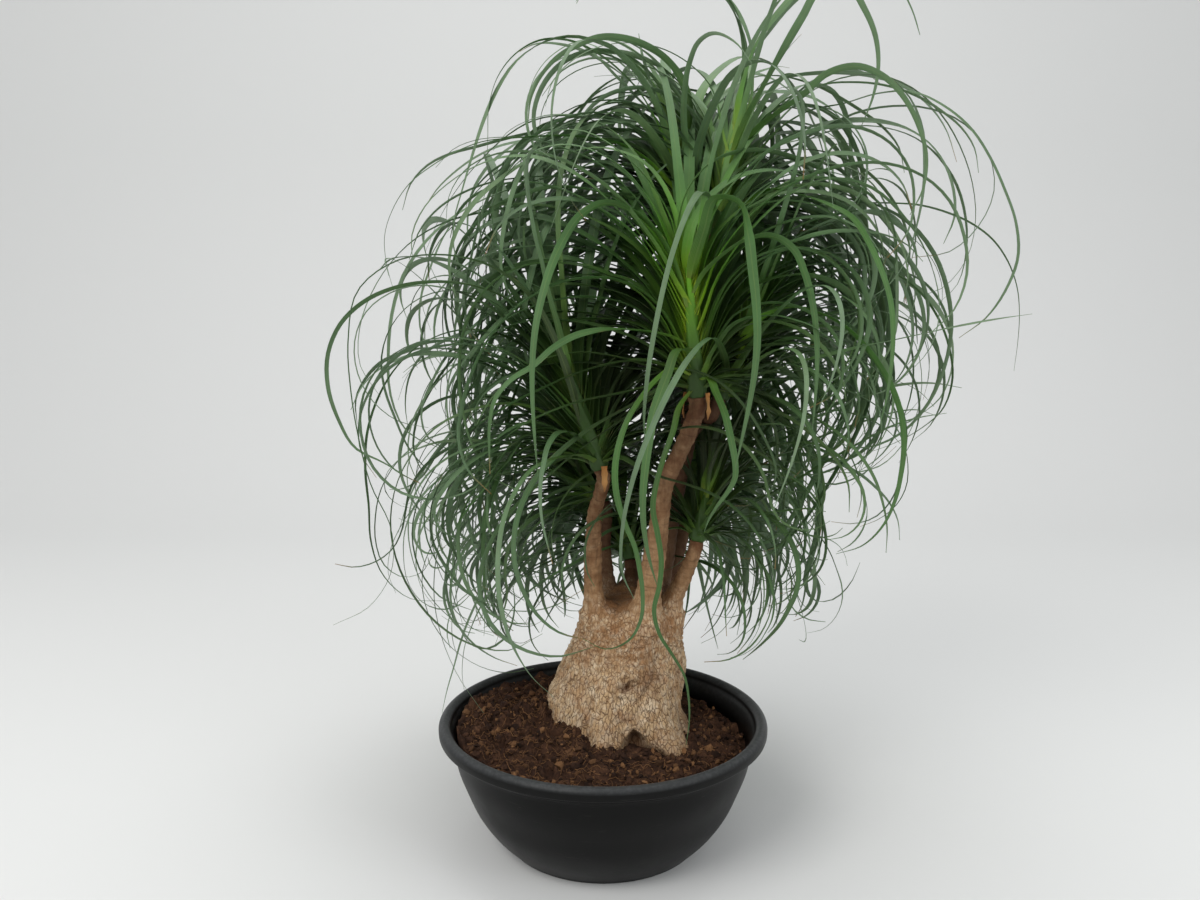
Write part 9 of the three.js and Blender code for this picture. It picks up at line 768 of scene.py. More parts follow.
        [0.28, 9.0, -1.75, [135, 21, 552, 129, 24, 576, 119, 25, 603, 104, 28, 630, 84, 30, 655, 61, 33, 676, 34, 36, 695, 4, 39, 711, -27, 43, 723, -61, 47, 729, -95, 51, 727, -129, 54, 716, -157, 58, 695, -175, 60, 665, -177, 60, 629]],
        [0.30, 13.6, 0.00, [141, 28, 548, 143, 49, 559, 142, 73, 562, 139, 97, 558, 134, 120, 553, 129, 142, 544, 123, 163, 533, 115, 182, 519, 107, 198, 503, 98, 212, 486, 89, 224, 466, 79, 233, 446, 70, 238, 424, 64, 234, 402, 64, 218, 383, 69, 197, 374, 78, 175, 376]],
        [0.30, 11.0, -1.93, [167, 30, 600, 184, 36, 620, 203, 42, 643, 225, 50, 665, 252, 60, 681, 283, 71, 691, 315, 82, 694, 348, 94, 690, 380, 105, 678, 410, 116, 660, 434, 124, 634, 449, 129, 601, 450, 130, 564, 435, 124, 530, 406, 115, 508]],
        [0.33, 8.9, -0.76, [140, 15, 551, 142, -1, 570, 138, -31, 588, 131, -67, 601, 122, -108, 613, 110, -151, 620, 93, -196, 614, 72, -236, 593, 50, -266, 557, 30, -281, 510, 18, -276, 457, 17, -252, 406, 30, -214, 365]],
        [0.34, 16.6, 0.20, [144, 28, 548, 153, 44, 557, 163, 65, 560, 171, 89, 561, 180, 113, 560, 188, 138, 558, 196, 163, 554, 203, 189, 548, 209, 214, 539, 215, 239, 527, 218, 263, 512, 219, 284, 493, 217, 301, 469, 212, 310, 442, 202, 309, 415]],
        [0.35, 17.1, 0.91, [139, 28, 550, 139, 49, 569, 134, 77, 583, 127, 108, 595, 118, 141, 606, 108, 174, 615, 97, 208, 620, 83, 243, 621, 68, 277, 616, 50, 309, 603, 33, 337, 583, 16, 359, 555, 3, 368, 520, -3, 361, 481, -1, 336, 450]],
        [0.36, 12.2, 0.09, [152, 25, 559, 170, 31, 576, 190, 37, 596, 214, 44, 614, 241, 53, 628, 271, 62, 638, 302, 72, 643, 334, 82, 643, 366, 92, 636, 396, 101, 621, 420, 109, 597, 434, 113, 565, 434, 113, 530, 419, 108, 497, 392, 99, 476]],
        [0.36, 14.4, 0.47, [137, 26, 552, 134, 40, 576, 130, 57, 603, 121, 77, 628, 108, 99, 652, 94, 122, 676, 76, 147, 695, 53, 174, 707, 26, 200, 711, -2, 223, 704, -30, 243, 687, -53, 257, 659, -67, 260, 622, -67, 249, 584, -54, 227, 554]],
        [0.37, 14.7, -0.16, [137, 26, 552, 129, 43, 571, 113, 64, 586, 91, 87, 596, 69, 110, 604, 44, 134, 609, 17, 156, 608, -11, 177, 601, -39, 193, 586, -66, 206, 564, -90, 213, 537, -109, 213, 505, -118, 204, 469, -115, 187, 436, -102, 163, 408]],
        [0.37, 17.2, 0.18, [145, 27, 548, 167, 52, 560, 189, 80, 563, 209, 110, 558, 228, 139, 550, 244, 168, 538, 258, 195, 518, 268, 219, 494, 274, 240, 465, 277, 256, 434, 276, 268, 400, 270, 276, 366, 267, 286, 331, 280, 308, 308, 303, 334, 308, 326, 350, 329, 342, 355, 360]],
        [0.37, 11.8, -0.13, [148, 20, 548, 170, 20, 564, 193, 20, 579, 219, 19, 590, 246, 17, 596, 273, 15, 595, 300, 14, 588, 323, 12, 573, 341, 11, 553, 354, 10, 528, 360, 10, 501, 359, 10, 473, 354, 10, 446, 346, 11, 420, 328, 11, 399, 303, 12, 390, 275, 13, 392]],
        [0.40, 13.6, 0.85, [138, 27, 552, 135, 41, 573, 129, 60, 594, 119, 81, 613, 105, 104, 629, 90, 129, 642, 71, 154, 650, 48, 178, 652, 24, 201, 644, 1, 220, 628, -19, 235, 604, -34, 242, 573, -42, 243, 539, -39, 233, 506, -26, 213, 479]],
        [0.41, 14.7, -0.00, [145, 28, 549, 156, 43, 560, 168, 63, 568, 181, 85, 573, 194, 108, 575, 205, 134, 574, 216, 159, 570, 226, 185, 562, 234, 210, 550, 240, 233, 533, 241, 255, 513, 239, 272, 488, 232, 280, 460, 219, 278, 433, 202, 267, 410]],
        [0.43, 7.9, 0.69, [146, 15, 551, 153, 10, 559, 162, 2, 568, 173, -9, 577, 185, -22, 584, 197, -39, 587, 210, -56, 586, 224, -74, 583, 237, -92, 574, 248, -107, 560, 256, -118, 539, 260, -122, 514, 256, -117, 489]],
        [0.45, 15.9, -0.08, [137, 26, 553, 132, 39, 579, 122, 56, 605, 107, 74, 631, 89, 95, 655, 69, 116, 677, 46, 139, 698, 21, 162, 716, -8, 184, 729, -41, 206, 734, -76, 226, 731, -110, 240, 717, -138, 245, 688, -153, 238, 651, -152, 221, 613]],
        [0.46, 16.3, -0.08, [137, 25, 554, 131, 37, 583, 120, 51, 615, 102, 69, 645, 81, 87, 674, 57, 106, 701, 29, 125, 725, -5, 145, 743, -43, 163, 751, -84, 177, 750, -125, 186, 734, -159, 185, 706, -179, 174, 668, -179, 155, 627, -162, 132, 591]],
        [0.46, 9.6, -2.71, [136, 21, 555, 126, 24, 580, 108, 26, 606, 85, 26, 630, 58, 27, 652, 31, 27, 673, 0, 28, 692, -34, 29, 704, -71, 30, 706, -105, 31, 692, -131, 31, 665, -147, 31, 630, -157, 31, 593, -155, 31, 554, -134, 30, 522]],
        [0.49, 16.5, 0.36, [144, 28, 551, 155, 46, 571, 168, 69, 593, 180, 95, 614, 193, 126, 630, 204, 159, 644, 214, 195, 653, 221, 234, 655, 225, 272, 647, 225, 308, 629, 222, 339, 603, 215, 364, 571, 205, 380, 534, 191, 378, 495, 176, 353, 465]],
        [0.52, 17.9, -0.49, [142, 28, 552, 148, 43, 569, 155, 62, 587, 159, 84, 603, 164, 109, 618, 166, 137, 627, 166, 167, 633, 163, 198, 633, 159, 228, 627, 150, 256, 615, 139, 281, 597, 127, 301, 575, 113, 314, 548, 99, 314, 519, 85, 303, 490]],
        [0.52, 13.8, -0.97, [148, 26, 550, 161, 36, 562, 177, 46, 575, 195, 58, 588, 213, 72, 597, 233, 89, 602, 253, 106, 604, 273, 124, 602, 292, 143, 595, 309, 161, 584, 323, 179, 568, 333, 196, 548, 338, 209, 523, 335, 217, 495, 324, 217, 469]],
        [0.53, 9.8, 0.12, [144, 15, 554, 154, 5, 573, 165, -6, 594, 176, -22, 615, 186, -42, 633, 196, -65, 649, 205, -91, 662, 213, -119, 670, 219, -150, 673, 222, -181, 670, 223, -212, 661, 222, -239, 643, 217, -259, 619, 208, -268, 589, 196, -264, 558]],
        [0.54, 7.8, 1.17, [153, 23, 561, 165, 25, 571, 177, 27, 584, 190, 30, 597, 207, 33, 607, 225, 35, 612, 245, 39, 614, 266, 42, 612, 285, 45, 605, 302, 47, 593, 317, 50, 577, 327, 51, 558, 333, 52, 537, 334, 52, 515, 329, 52, 493]],
        [0.56, 15.2, 0.53, [140, 26, 559, 140, 36, 586, 141, 47, 617, 140, 59, 649, 135, 73, 681, 130, 89, 713, 121, 106, 745, 110, 124, 777, 96, 143, 806, 76, 165, 832, 52, 189, 851, 22, 213, 861, -10, 236, 857, -39, 251, 835, -59, 255, 800]],
        [0.56, 9.6, -1.10, [137, 23, 556, 131, 29, 586, 119, 38, 619, 95, 47, 647, 66, 57, 671, 32, 70, 690, -4, 82, 703, -43, 96, 711, -83, 110, 712, -123, 125, 708, -163, 139, 698, -200, 152, 679, -227, 162, 646, -234, 164, 602, -220, 159, 560]],
        [0.57, 16.4, -0.61, [147, 27, 552, 161, 38, 563, 176, 52, 576, 192, 68, 587, 210, 86, 596, 227, 105, 601, 245, 125, 606, 263, 147, 608, 281, 169, 606, 299, 191, 602, 315, 214, 594, 328, 236, 581, 337, 255, 560, 339, 267, 533, 333, 272, 504]],
        [0.58, 14.0, -0.42, [142, 28, 554, 146, 41, 570, 151, 57, 588, 154, 74, 607, 157, 94, 623, 158, 117, 638, 158, 141, 650, 157, 167, 661, 154, 194, 670, 149, 221, 676, 141, 249, 677, 131, 277, 674, 118, 301, 663, 102, 317, 643, 87, 323, 618]],
        [0.58, 18.8, 0.92, [140, 27, 555, 141, 43, 578, 141, 61, 605, 138, 84, 630, 130, 109, 652, 121, 137, 673, 108, 167, 691, 93, 198, 704, 74, 230, 710, 52, 261, 707, 29, 288, 693, 8, 308, 667, -7, 319, 632, -13, 314, 593, -10, 294, 559]],
        [0.60, 10.2, 1.30, [148, 27, 552, 165, 39, 571, 189, 56, 597, 219, 81, 618, 254, 111, 636, 292, 144, 646, 333, 179, 649, 376, 216, 642, 418, 252, 621, 451, 281, 580, 461, 289, 520, 441, 273, 463, 400, 237, 428, 350, 193, 421, 298, 149, 429]],
        [0.61, 8.6, -0.96, [148, 17, 553, 156, 15, 561, 165, 12, 573, 176, 8, 586, 189, 4, 599, 204, -3, 609, 222, -13, 613, 241, -25, 609, 258, -35, 600, 273, -44, 585, 283, -50, 564, 287, -53, 541, 284, -50, 516]],
        [0.62, 10.9, -1.38, [138, 20, 557, 137, 21, 581, 135, 21, 608, 131, 21, 636, 119, 19, 662, 100, 16, 686, 78, 11, 708, 55, 7, 729, 30, 2, 747, 1, -4, 761, -30, -10, 769, -62, -16, 769, -93, -21, 759, -118, -26, 738, -132, -29, 708]],
        [0.65, 17.1, 0.55, [139, 26, 557, 139, 36, 581, 141, 46, 610, 141, 59, 638, 135, 74, 667, 127, 90, 695, 116, 108, 722, 102, 128, 747, 83, 149, 768, 59, 171, 783, 31, 194, 786, 3, 214, 776, -23, 228, 755, -40, 231, 722, -44, 224, 686]],
        [0.65, 10.1, 0.63, [157, 28, 576, 173, 38, 593, 191, 49, 613, 212, 62, 631, 236, 78, 645, 262, 95, 654, 289, 113, 660, 318, 131, 660, 346, 150, 657, 374, 168, 649, 402, 186, 636, 426, 202, 617, 443, 213, 588, 448, 216, 553, 440, 211, 518]],
        [0.66, 15.0, 0.52, [145, 28, 567, 146, 38, 585, 149, 47, 606, 151, 58, 629, 152, 71, 651, 150, 86, 672, 146, 102, 693, 140, 120, 713, 132, 140, 731, 122, 161, 745, 108, 183, 756, 91, 206, 760, 72, 228, 756, 53, 246, 744, 35, 259, 724]],
        [0.67, 10.1, -2.11, [155, 25, 566, 170, 29, 580, 186, 34, 597, 204, 40, 612, 227, 47, 622, 252, 54, 625, 278, 62, 623, 303, 70, 616, 327, 76, 603, 346, 81, 584, 360, 85, 559, 365, 87, 531, 360, 85, 503, 347, 81, 477, 325, 75, 459]],
        [0.67, 14.4, 0.84, [141, 28, 556, 146, 44, 582, 152, 65, 617, 154, 97, 652, 150, 137, 684, 139, 184, 711, 120, 237, 725, 93, 289, 717, 62, 332, 685, 35, 358, 632, 21, 362, 568, 23, 349, 501, 40, 325, 438]],
        [0.68, 14.5, 0.03, [168, 31, 604, 183, 41, 621, 200, 51, 641, 219, 62, 662, 238, 73, 683, 259, 87, 702, 283, 103, 718, 308, 122, 728, 333, 143, 729, 357, 165, 721, 377, 187, 704, 391, 205, 678, 396, 218, 647, 391, 223, 612, 377, 219, 580]],
        [0.68, 17.6, 0.06, [149, 27, 556, 165, 37, 573, 183, 48, 593, 203, 62, 612, 225, 79, 629, 249, 98, 639, 274, 120, 645, 298, 142, 643, 321, 166, 633, 341, 189, 615, 354, 208, 589, 361, 223, 558, 360, 233, 524, 348, 232, 490, 326, 221, 464]],
        [0.69, 11.1, -0.28, [138, 22, 558, 135, 24, 588, 129, 26, 622, 111, 26, 654, 82, 26, 677, 48, 26, 695, 10, 26, 707, -29, 25, 716, -70, 25, 719, -111, 25, 715, -151, 25, 702, -184, 25, 677, -207, 24, 641, -210, 24, 599, -192, 24, 560]],
        [0.71, 9.5, -0.40, [156, 28, 573, 178, 38, 595, 203, 51, 619, 233, 67, 638, 267, 86, 650, 303, 105, 658, 340, 125, 660, 377, 145, 654, 412, 165, 636, 440, 180, 606, 453, 187, 565, 440, 180, 523, 409, 163, 495, 369, 142, 490, 332, 121, 508]],
        [0.72, 9.0, -1.53, [169, 29, 607, 182, 32, 630, 195, 36, 657, 214, 41, 682, 239, 47, 703, 269, 54, 718, 302, 62, 723, 335, 71, 715, 364, 78, 696, 386, 83, 668, 398, 86, 633, 395, 85, 597, 377, 81, 565, 347, 74, 543, 311, 65, 538]],
        [0.73, 9.0, 0.23, [156, 22, 587, 161, 16, 605, 168, 9, 629, 176, 1, 657, 183, -10, 686, 191, -23, 718, 198, -38, 750, 204, -57, 782, 207, -82, 812, 204, -113, 839, 194, -149, 856, 174, -187, 859, 149, -220, 847]],
        [0.73, 14.5, 0.56, [148, 28, 555, 163, 42, 574, 180, 57, 595, 199, 75, 615, 219, 98, 631, 240, 123, 643, 261, 150, 652, 282, 180, 655, 302, 210, 651, 319, 241, 638, 331, 268, 615, 338, 290, 585, 340, 304, 549, 332, 304, 511, 315, 290, 480]],
        [0.74, 7.9, 0.84, [162, 27, 606, 164, 25, 635, 167, 24, 667, 166, 24, 702, 159, 28, 737, 147, 34, 771, 133, 42, 805, 118, 50, 839, 99, 61, 871, 77, 73, 901, 50, 88, 926, 18, 105, 943, -17, 124, 949, -51, 142, 938, -77, 156, 910]],
        [0.74, 13.4, -0.48, [146, 28, 555, 160, 45, 576, 176, 65, 600, 193, 91, 620, 210, 121, 636, 227, 155, 648, 243, 191, 656, 257, 229, 657, 269, 268, 649, 277, 305, 634, 279, 339, 608, 275, 366, 575, 266, 384, 538, 248, 384, 498, 226, 363, 467]],
        [0.77, 14.7, 0.06, [166, 32, 603, 178, 39, 615, 190, 48, 630, 204, 58, 646, 217, 69, 661, 232, 80, 676, 248, 93, 690, 264, 107, 702, 282, 123, 710, 300, 140, 714, 318, 158, 714, 336, 176, 709, 353, 194, 699, 365, 208, 681, 372, 219, 657]],
        [0.78, 12.5, -0.08, [144, 29, 557, 149, 41, 575, 156, 55, 596, 163, 71, 617, 168, 92, 636, 171, 115, 652, 173, 141, 666, 173, 168, 678, 171, 198, 687, 168, 228, 691, 163, 258, 690, 155, 288, 685, 145, 316, 672, 133, 336, 651, 120, 345, 623]],
        [0.78, 14.4, 0.84, [165, 32, 606, 170, 43, 624, 178, 53, 646, 186, 65, 669, 194, 77, 692, 201, 91, 716, 208, 107, 738, 213, 126, 760, 218, 148, 779, 221, 173, 795, 222, 201, 806, 222, 232, 807, 219, 261, 799, 213, 285, 781, 205, 299, 753]],
        [0.81, 11.6, 0.45, [140, 26, 560, 140, 35, 584, 140, 45, 611, 139, 55, 639, 131, 69, 667, 120, 85, 693, 106, 101, 718, 90, 118, 742, 69, 136, 762, 46, 155, 779, 19, 174, 788, -11, 192, 789, -41, 208, 777, -66, 218, 754, -80, 219, 721]],
        [0.83, 12.8, 0.32, [151, 30, 578, 156, 43, 600, 162, 60, 631, 167, 83, 664, 169, 112, 698, 169, 145, 731, 164, 185, 760, 150, 231, 779, 128, 279, 781, 99, 322, 762, 69, 348, 722, 44, 356, 670, 28, 345, 614]],
        [0.83, 8.0, 1.11, [165, 26, 600, 172, 23, 610, 180, 21, 624, 190, 20, 640, 204, 16, 654, 222, 11, 664, 244, 4, 668, 266, -2, 665, 287, -8, 653, 303, -13, 635, 314, -17, 611, 317, -17, 585, 310, -15, 558]],
        [0.84, 13.0, -0.47, [149, 27, 556, 166, 40, 575, 185, 54, 598, 208, 71, 618, 232, 93, 633, 258, 118, 642, 284, 144, 648, 309, 172, 648, 334, 201, 642, 357, 229, 627, 376, 256, 606, 390, 279, 576, 392, 292, 538, 382, 291, 499, 362, 278, 465]],
        [0.84, 14.9, 0.95, [163, 32, 606, 168, 46, 631, 173, 60, 662, 178, 76, 693, 185, 93, 725, 190, 111, 758, 194, 130, 791, 197, 151, 824, 198, 175, 856, 196, 202, 886, 190, 233, 911, 179, 270, 926, 162, 307, 928, 141, 339, 912, 121, 360, 882]],
        [0.84, 10.8, -0.03, [149, 29, 572, 152, 41, 591, 157, 53, 614, 161, 66, 637, 163, 83, 660, 163, 103, 681, 162, 125, 700, 158, 149, 718, 151, 175, 732, 142, 203, 742, 128, 231, 743, 112, 257, 735, 95, 277, 718, 78, 288, 692, 67, 284, 662]],
        [0.90, 9.5, -0.25, [167, 29, 602, 182, 33, 617, 199, 38, 635, 217, 43, 653, 238, 49, 669, 262, 55, 682, 287, 62, 691, 315, 69, 696, 343, 76, 695, 371, 84, 689, 397, 91, 677, 418, 96, 656, 432, 100, 629, 436, 101, 599, 428, 99, 569]],
        [0.91, 13.6, 0.30, [166, 32, 604, 182, 47, 628, 200, 63, 655, 220, 80, 684, 240, 99, 712, 262, 122, 739, 285, 148, 762, 308, 179, 780, 332, 214, 788, 353, 252, 784, 370, 289, 767, 382, 320, 737, 385, 342, 698, 376, 345, 654, 358, 332, 615]],
        [0.92, 12.6, 0.31, [169, 32, 608, 183, 39, 629, 196, 45, 655, 211, 52, 682, 226, 60, 709, 245, 69, 735, 265, 81, 760, 287, 96, 781, 312, 114, 797, 339, 135, 807, 367, 157, 805, 392, 180, 793, 411, 200, 769, 420, 212, 736, 415, 214, 699]],
        [0.93, 6.0, -0.53, [165, 26, 606, 171, 21, 622, 178, 19, 641, 186, 16, 661, 193, 12, 681, 200, 7, 702, 208, 1, 723, 215, -8, 744, 221, -19, 764, 228, -34, 782, 233, -51, 798, 237, -73, 810, 239, -97, 816, 238, -122, 815, 235, -145, 806]],
        [0.94, 8.5, 0.69, [162, 30, 588, 177, 40, 605, 195, 50, 625, 215, 64, 642, 239, 80, 655, 263, 97, 664, 290, 115, 670, 317, 133, 671, 345, 152, 668, 372, 171, 660, 398, 189, 648, 423, 206, 630, 442, 219, 605, 451, 226, 572, 449, 225, 537]],
        [0.95, 12.3, -0.40, [166, 32, 601, 180, 43, 617, 195, 55, 637, 211, 69, 656, 228, 84, 674, 247, 102, 691, 266, 122, 705, 286, 145, 714, 306, 170, 719, 324, 197, 717, 339, 225, 709, 351, 252, 693, 356, 276, 671, 353, 292, 641, 341, 298, 610]],
        [0.96, 6.0, 0.61, [167, 29, 601, 175, 31, 611, 184, 34, 627, 192, 36, 647, 205, 40, 665, 225, 46, 677, 248, 52, 684, 274, 59, 682, 299, 66, 674, 321, 73, 658, 338, 77, 635, 347, 80, 607, 341, 78, 578]],
        [0.99, 8.9, -0.29, [169, 32, 608, 180, 37, 624, 189, 40, 644, 198, 43, 667, 209, 47, 689, 221, 53, 710, 234, 58, 732, 249, 66, 753, 265, 75, 772, 283, 85, 789, 304, 98, 803, 325, 113, 812, 346, 130, 818, 368, 148, 816, 386, 166, 804]],
        [1.00, 12.6, -0.12, [163, 32, 607, 168, 42, 629, 174, 51, 656, 181, 60, 683, 187, 71, 711, 191, 85, 740, 194, 100, 768, 193, 118, 796, 189, 140, 820, 178, 166, 840, 161, 193, 850, 139, 220, 851, 114, 242, 841, 90, 255, 819, 73, 255, 788]],
        [0.92, 15.0, 0.31, [167, 33, 608, 177, 42, 630, 188, 48, 657, 200, 57, 684, 212, 66, 712, 225, 79, 740, 238, 94, 767, 250, 114, 792, 260, 139, 813, 270, 169, 828, 277, 203, 835, 281, 238, 831, 279, 270, 814, 272, 292, 786, 262, 302, 753]],
        [0.37, 13.6, -0.05, [147, 26, 548, 165, 38, 565, 185, 50, 579, 206, 66, 589, 226, 83, 594, 246, 102, 594, 264, 122, 587, 277, 141, 574, 286, 159, 555, 290, 173, 532, 288, 184, 507, 281, 191, 481, 272, 195, 456, 260, 195, 431, 243, 184, 414, 224, 165, 407, 208, 144, 411]],
        [0.10, 12.8, -0.38, [141, 28, 544, 152, 61, 548, 158, 94, 541, 165, 128, 535, 172, 161, 526, 179, 192, 513, 184, 220, 494, 189, 245, 470, 193, 266, 442, 196, 282, 411, 197, 291, 378, 197, 296, 343, 194, 294, 309, 184, 276, 282, 170, 246, 274, 156, 216, 284, 144, 189, 303]],
        [0.08, 15.0, -0.26, [145, 25, 542, 171, 45, 543, 194, 66, 529, 216, 86, 512, 237, 106, 496, 257, 125, 477, 275, 143, 454, 287, 158, 426, 293, 170, 395, 296, 179, 363, 294, 185, 330, 287, 189, 297, 282, 192, 264, 297, 203, 236, 328, 214, 234, 352, 219, 256, 364, 218, 287]],
        [0.68, 15.0, -0.26, [148, 28, 556, 165, 42, 577, 183, 58, 602, 203, 77, 625, 226, 103, 641, 249, 132, 651, 271, 165, 652, 289, 199, 642, 303, 231, 621, 310, 258, 590, 308, 278, 554, 300, 288, 514, 281, 283, 476, 256, 264, 448, 230, 233, 434]],
        [0.46, 11.4, 0.45, [136, 22, 555, 124, 26, 584, 103, 31, 613, 74, 34, 638, 43, 38, 663, 10, 42, 686, -28, 46, 702, -70, 51, 704, -109, 53, 688, -136, 55, 654, -151, 55, 613, -159, 55, 570, -159, 53, 525, -147, 50, 483, -113, 46, 453]],
        [0.14, 15.0, -0.16, [134, 24, 549, 122, 36, 573, 100, 52, 595, 77, 67, 617, 51, 84, 638, 22, 101, 656, -10, 119, 669, -46, 135, 675, -83, 150, 673, -120, 163, 662, -155, 173, 643, -185, 181, 616, -205, 184, 580, -207, 179, 539, -186, 165, 505]],
        [0.78, 14.3, -0.08, [149, 27, 555, 163, 36, 570, 180, 47, 588, 197, 59, 605, 217, 74, 619, 238, 92, 627, 261, 111, 634, 283, 131, 638, 306, 151, 637, 328, 173, 632, 349, 194, 622, 367, 215, 605, 380, 232, 582, 386, 244, 553, 383, 248, 521]],
        [0.77, 14.9, -0.92, [167, 31, 603, 179, 38, 615, 193, 45, 629, 207, 53, 644, 222, 62, 659, 238, 71, 674, 256, 82, 687, 275, 93, 698, 295, 105, 706, 315, 119, 709, 337, 133, 710, 358, 146, 705, 378, 158, 693, 393, 169, 675, 401, 175, 650]],
        [0.30, 15.0, -0.29, [146, 25, 546, 165, 39, 551, 183, 55, 547, 200, 70, 537, 215, 84, 523, 228, 98, 508, 240, 111, 491, 249, 121, 471, 256, 131, 449, 260, 138, 426, 262, 145, 402, 263, 149, 378, 257, 148, 355, 245, 137, 337, 228, 120, 330, 212, 102, 332, 197, 84, 339]],
        [0.49, 15.0, -0.60, [147, 27, 550, 165, 41, 569, 185, 60, 587, 209, 81, 603, 233, 105, 616, 258, 132, 624, 283, 160, 628, 307, 190, 624, 329, 220, 611, 346, 247, 587, 358, 271, 557, 364, 289, 521, 358, 295, 481, 340, 285, 445, 315, 263, 421]],
        [0.80, 10.8, -0.26, [164, 32, 602, 171, 42, 618, 180, 52, 637, 191, 64, 656, 206, 78, 670, 225, 94, 679, 246, 111, 681, 268, 126, 677, 290, 139, 667, 310, 150, 651, 327, 157, 631, 340, 160, 605, 346, 158, 578, 344, 151, 550, 333, 138, 526]],
        [0.33, 14.0, -0.28, [135, 22, 552, 129, 25, 577, 116, 30, 603, 99, 34, 629, 80, 38, 655, 59, 43, 679, 34, 49, 701, 4, 54, 716, -30, 60, 721, -64, 65, 714, -95, 70, 697, -119, 73, 670, -134, 74, 637, -134, 73, 601, -116, 69, 570]],
        [0.45, 15.0, -0.27, [147, 26, 549, 169, 44, 566, 192, 64, 577, 216, 85, 584, 240, 107, 588, 264, 129, 591, 288, 151, 591, 311, 174, 588, 333, 198, 582, 353, 221, 571, 372, 243, 555, 388, 264, 535, 399, 281, 510, 413, 300, 488, 434, 322, 478, 459, 343, 484, 480, 356, 504]],
        [0.02, 14.9, -0.73, [142, 27, 542, 152, 45, 546, 160, 68, 537, 166, 89, 524, 173, 112, 511, 180, 136, 498, 185, 159, 482, 189, 180, 463, 190, 199, 440, 190, 215, 415, 188, 228, 388, 184, 237, 360, 178, 241, 330, 168, 236, 301, 155, 220, 277]],
        [0.58, 9.6, -0.75, [149, 25, 551, 159, 30, 560, 171, 36, 571, 183, 41, 582, 197, 49, 590, 214, 56, 591, 231, 63, 587, 246, 69, 578, 260, 74, 565, 270, 76, 548, 277, 76, 529, 279, 74, 509, 275, 69, 490, 267, 62, 473, 254, 53, 459]],
        [0.10, 13.7, 0.49, [140, 28, 545, 143, 63, 552, 142, 99, 547, 143, 136, 544, 143, 172, 537, 142, 206, 524, 142, 237, 506, 141, 264, 481, 139, 287, 453, 137, 303, 420, 134, 314, 385, 132, 319, 350, 131, 309, 315, 131, 282, 292, 133, 246, 286, 135, 211, 296, 138, 181, 316]],
        [0.23, 15.0, 0.50, [135, 23, 550, 126, 29, 569, 110, 36, 587, 91, 45, 604, 71, 52, 621, 50, 60, 638, 27, 69, 653, 3, 77, 667, -24, 85, 677, -53, 92, 681, -83, 98, 681, -112, 103, 673, -139, 107, 659, -161, 107, 637, -172, 103, 608]],
        [0.08, 14.8, -0.61, [143, 27, 543, 156, 47, 548, 170, 76, 538, 183, 109, 523, 198, 144, 507, 211, 180, 484, 219, 213, 451, 219, 239, 410, 211, 256, 363, 195, 265, 314, 174, 266, 266, 147, 261, 218, 115, 253, 172]],
        [0.68, 15.0, 0.20, [167, 32, 604, 179, 43, 622, 193, 56, 642, 209, 69, 663, 224, 82, 684, 241, 98, 704, 259, 118, 722, 277, 141, 734, 295, 167, 739, 311, 195, 735, 323, 223, 723, 330, 248, 703, 332, 267, 676, 326, 277, 645, 314, 278, 613]],
        [0.58, 15.0, -0.54, [147, 26, 552, 159, 36, 562, 172, 45, 574, 186, 57, 586, 200, 69, 596, 216, 83, 604, 232, 98, 611, 249, 113, 615, 266, 130, 618, 282, 148, 619, 298, 165, 617, 314, 184, 612, 328, 203, 605, 340, 221, 593, 348, 237, 576]],
    ]},
    "right_low": {"base": [0.1152, 0.03, 0.3652], "tip": [0.1277, 0.03, 0.4276], "leaves": [
        [0.00, 10.1, -0.35, [119, 37, 367, 127, 49, 377, 136, 63, 382, 143, 78, 386, 151, 93, 388, 159, 108, 390, 167, 124, 392, 175, 139, 393, 182, 155, 391, 189, 170, 387, 195, 185, 381, 200, 200, 373, 205, 213, 363, 208, 225, 350, 208, 231, 334, 204, 232, 317, 198, 226, 302]],
        [0.02, 8.6, 0.14, [121, 36, 367, 131, 45, 374, 145, 61, 371, 159, 78, 361, 176, 98, 354, 194, 118, 347, 212, 140, 339, 232, 162, 328, 251, 184, 315, 271, 206, 300, 290, 228, 282, 309, 249, 262, 327, 270, 239]],
        [0.02, 6.7, -0.02, [123, 28, 367, 133, 24, 373, 144, 21, 376, 155, 17, 377, 167, 13, 378, 178, 9, 380, 189, 6, 381, 200, 2, 381, 212, -2, 381, 223, -6, 382, 235, -9, 382, 246, -13, 381, 257, -17, 380, 268, -21, 377, 278, -24, 370, 284, -26, 360, 287, -26, 348]],
        [0.03, 9.6, 0.46, [115, 37, 368, 115, 47, 375, 115, 59, 378, 114, 71, 379, 112, 84, 379, 111, 96, 380, 110, 108, 382, 109, 121, 383, 108, 133, 385, 107, 146, 385, 105, 158, 384, 103, 170, 383, 102, 182, 380, 100, 194, 376, 96, 204, 369, 92, 211, 360, 86, 216, 350]],
        [0.03, 6.8, -0.81, [109, 32, 370, 98, 34, 378, 79, 39, 376, 59, 43, 366, 36, 48, 358, 11, 53, 351, -14, 58, 340, -38, 64, 326, -63, 69, 310, -88, 75, 292, -110, 80, 270, -128, 84, 243, -140, 86, 212]],
        [0.05, 8.7, 0.65, [109, 30, 370, 99, 29, 383, 83, 28, 394, 65, 27, 403, 45, 25, 410, 25, 23, 416, 3, 22, 419, -19, 21, 418, -41, 19, 412, -62, 18, 402, -79, 17, 387, -93, 16, 368, -101, 15, 346, -104, 15, 323, -100, 16, 299]],
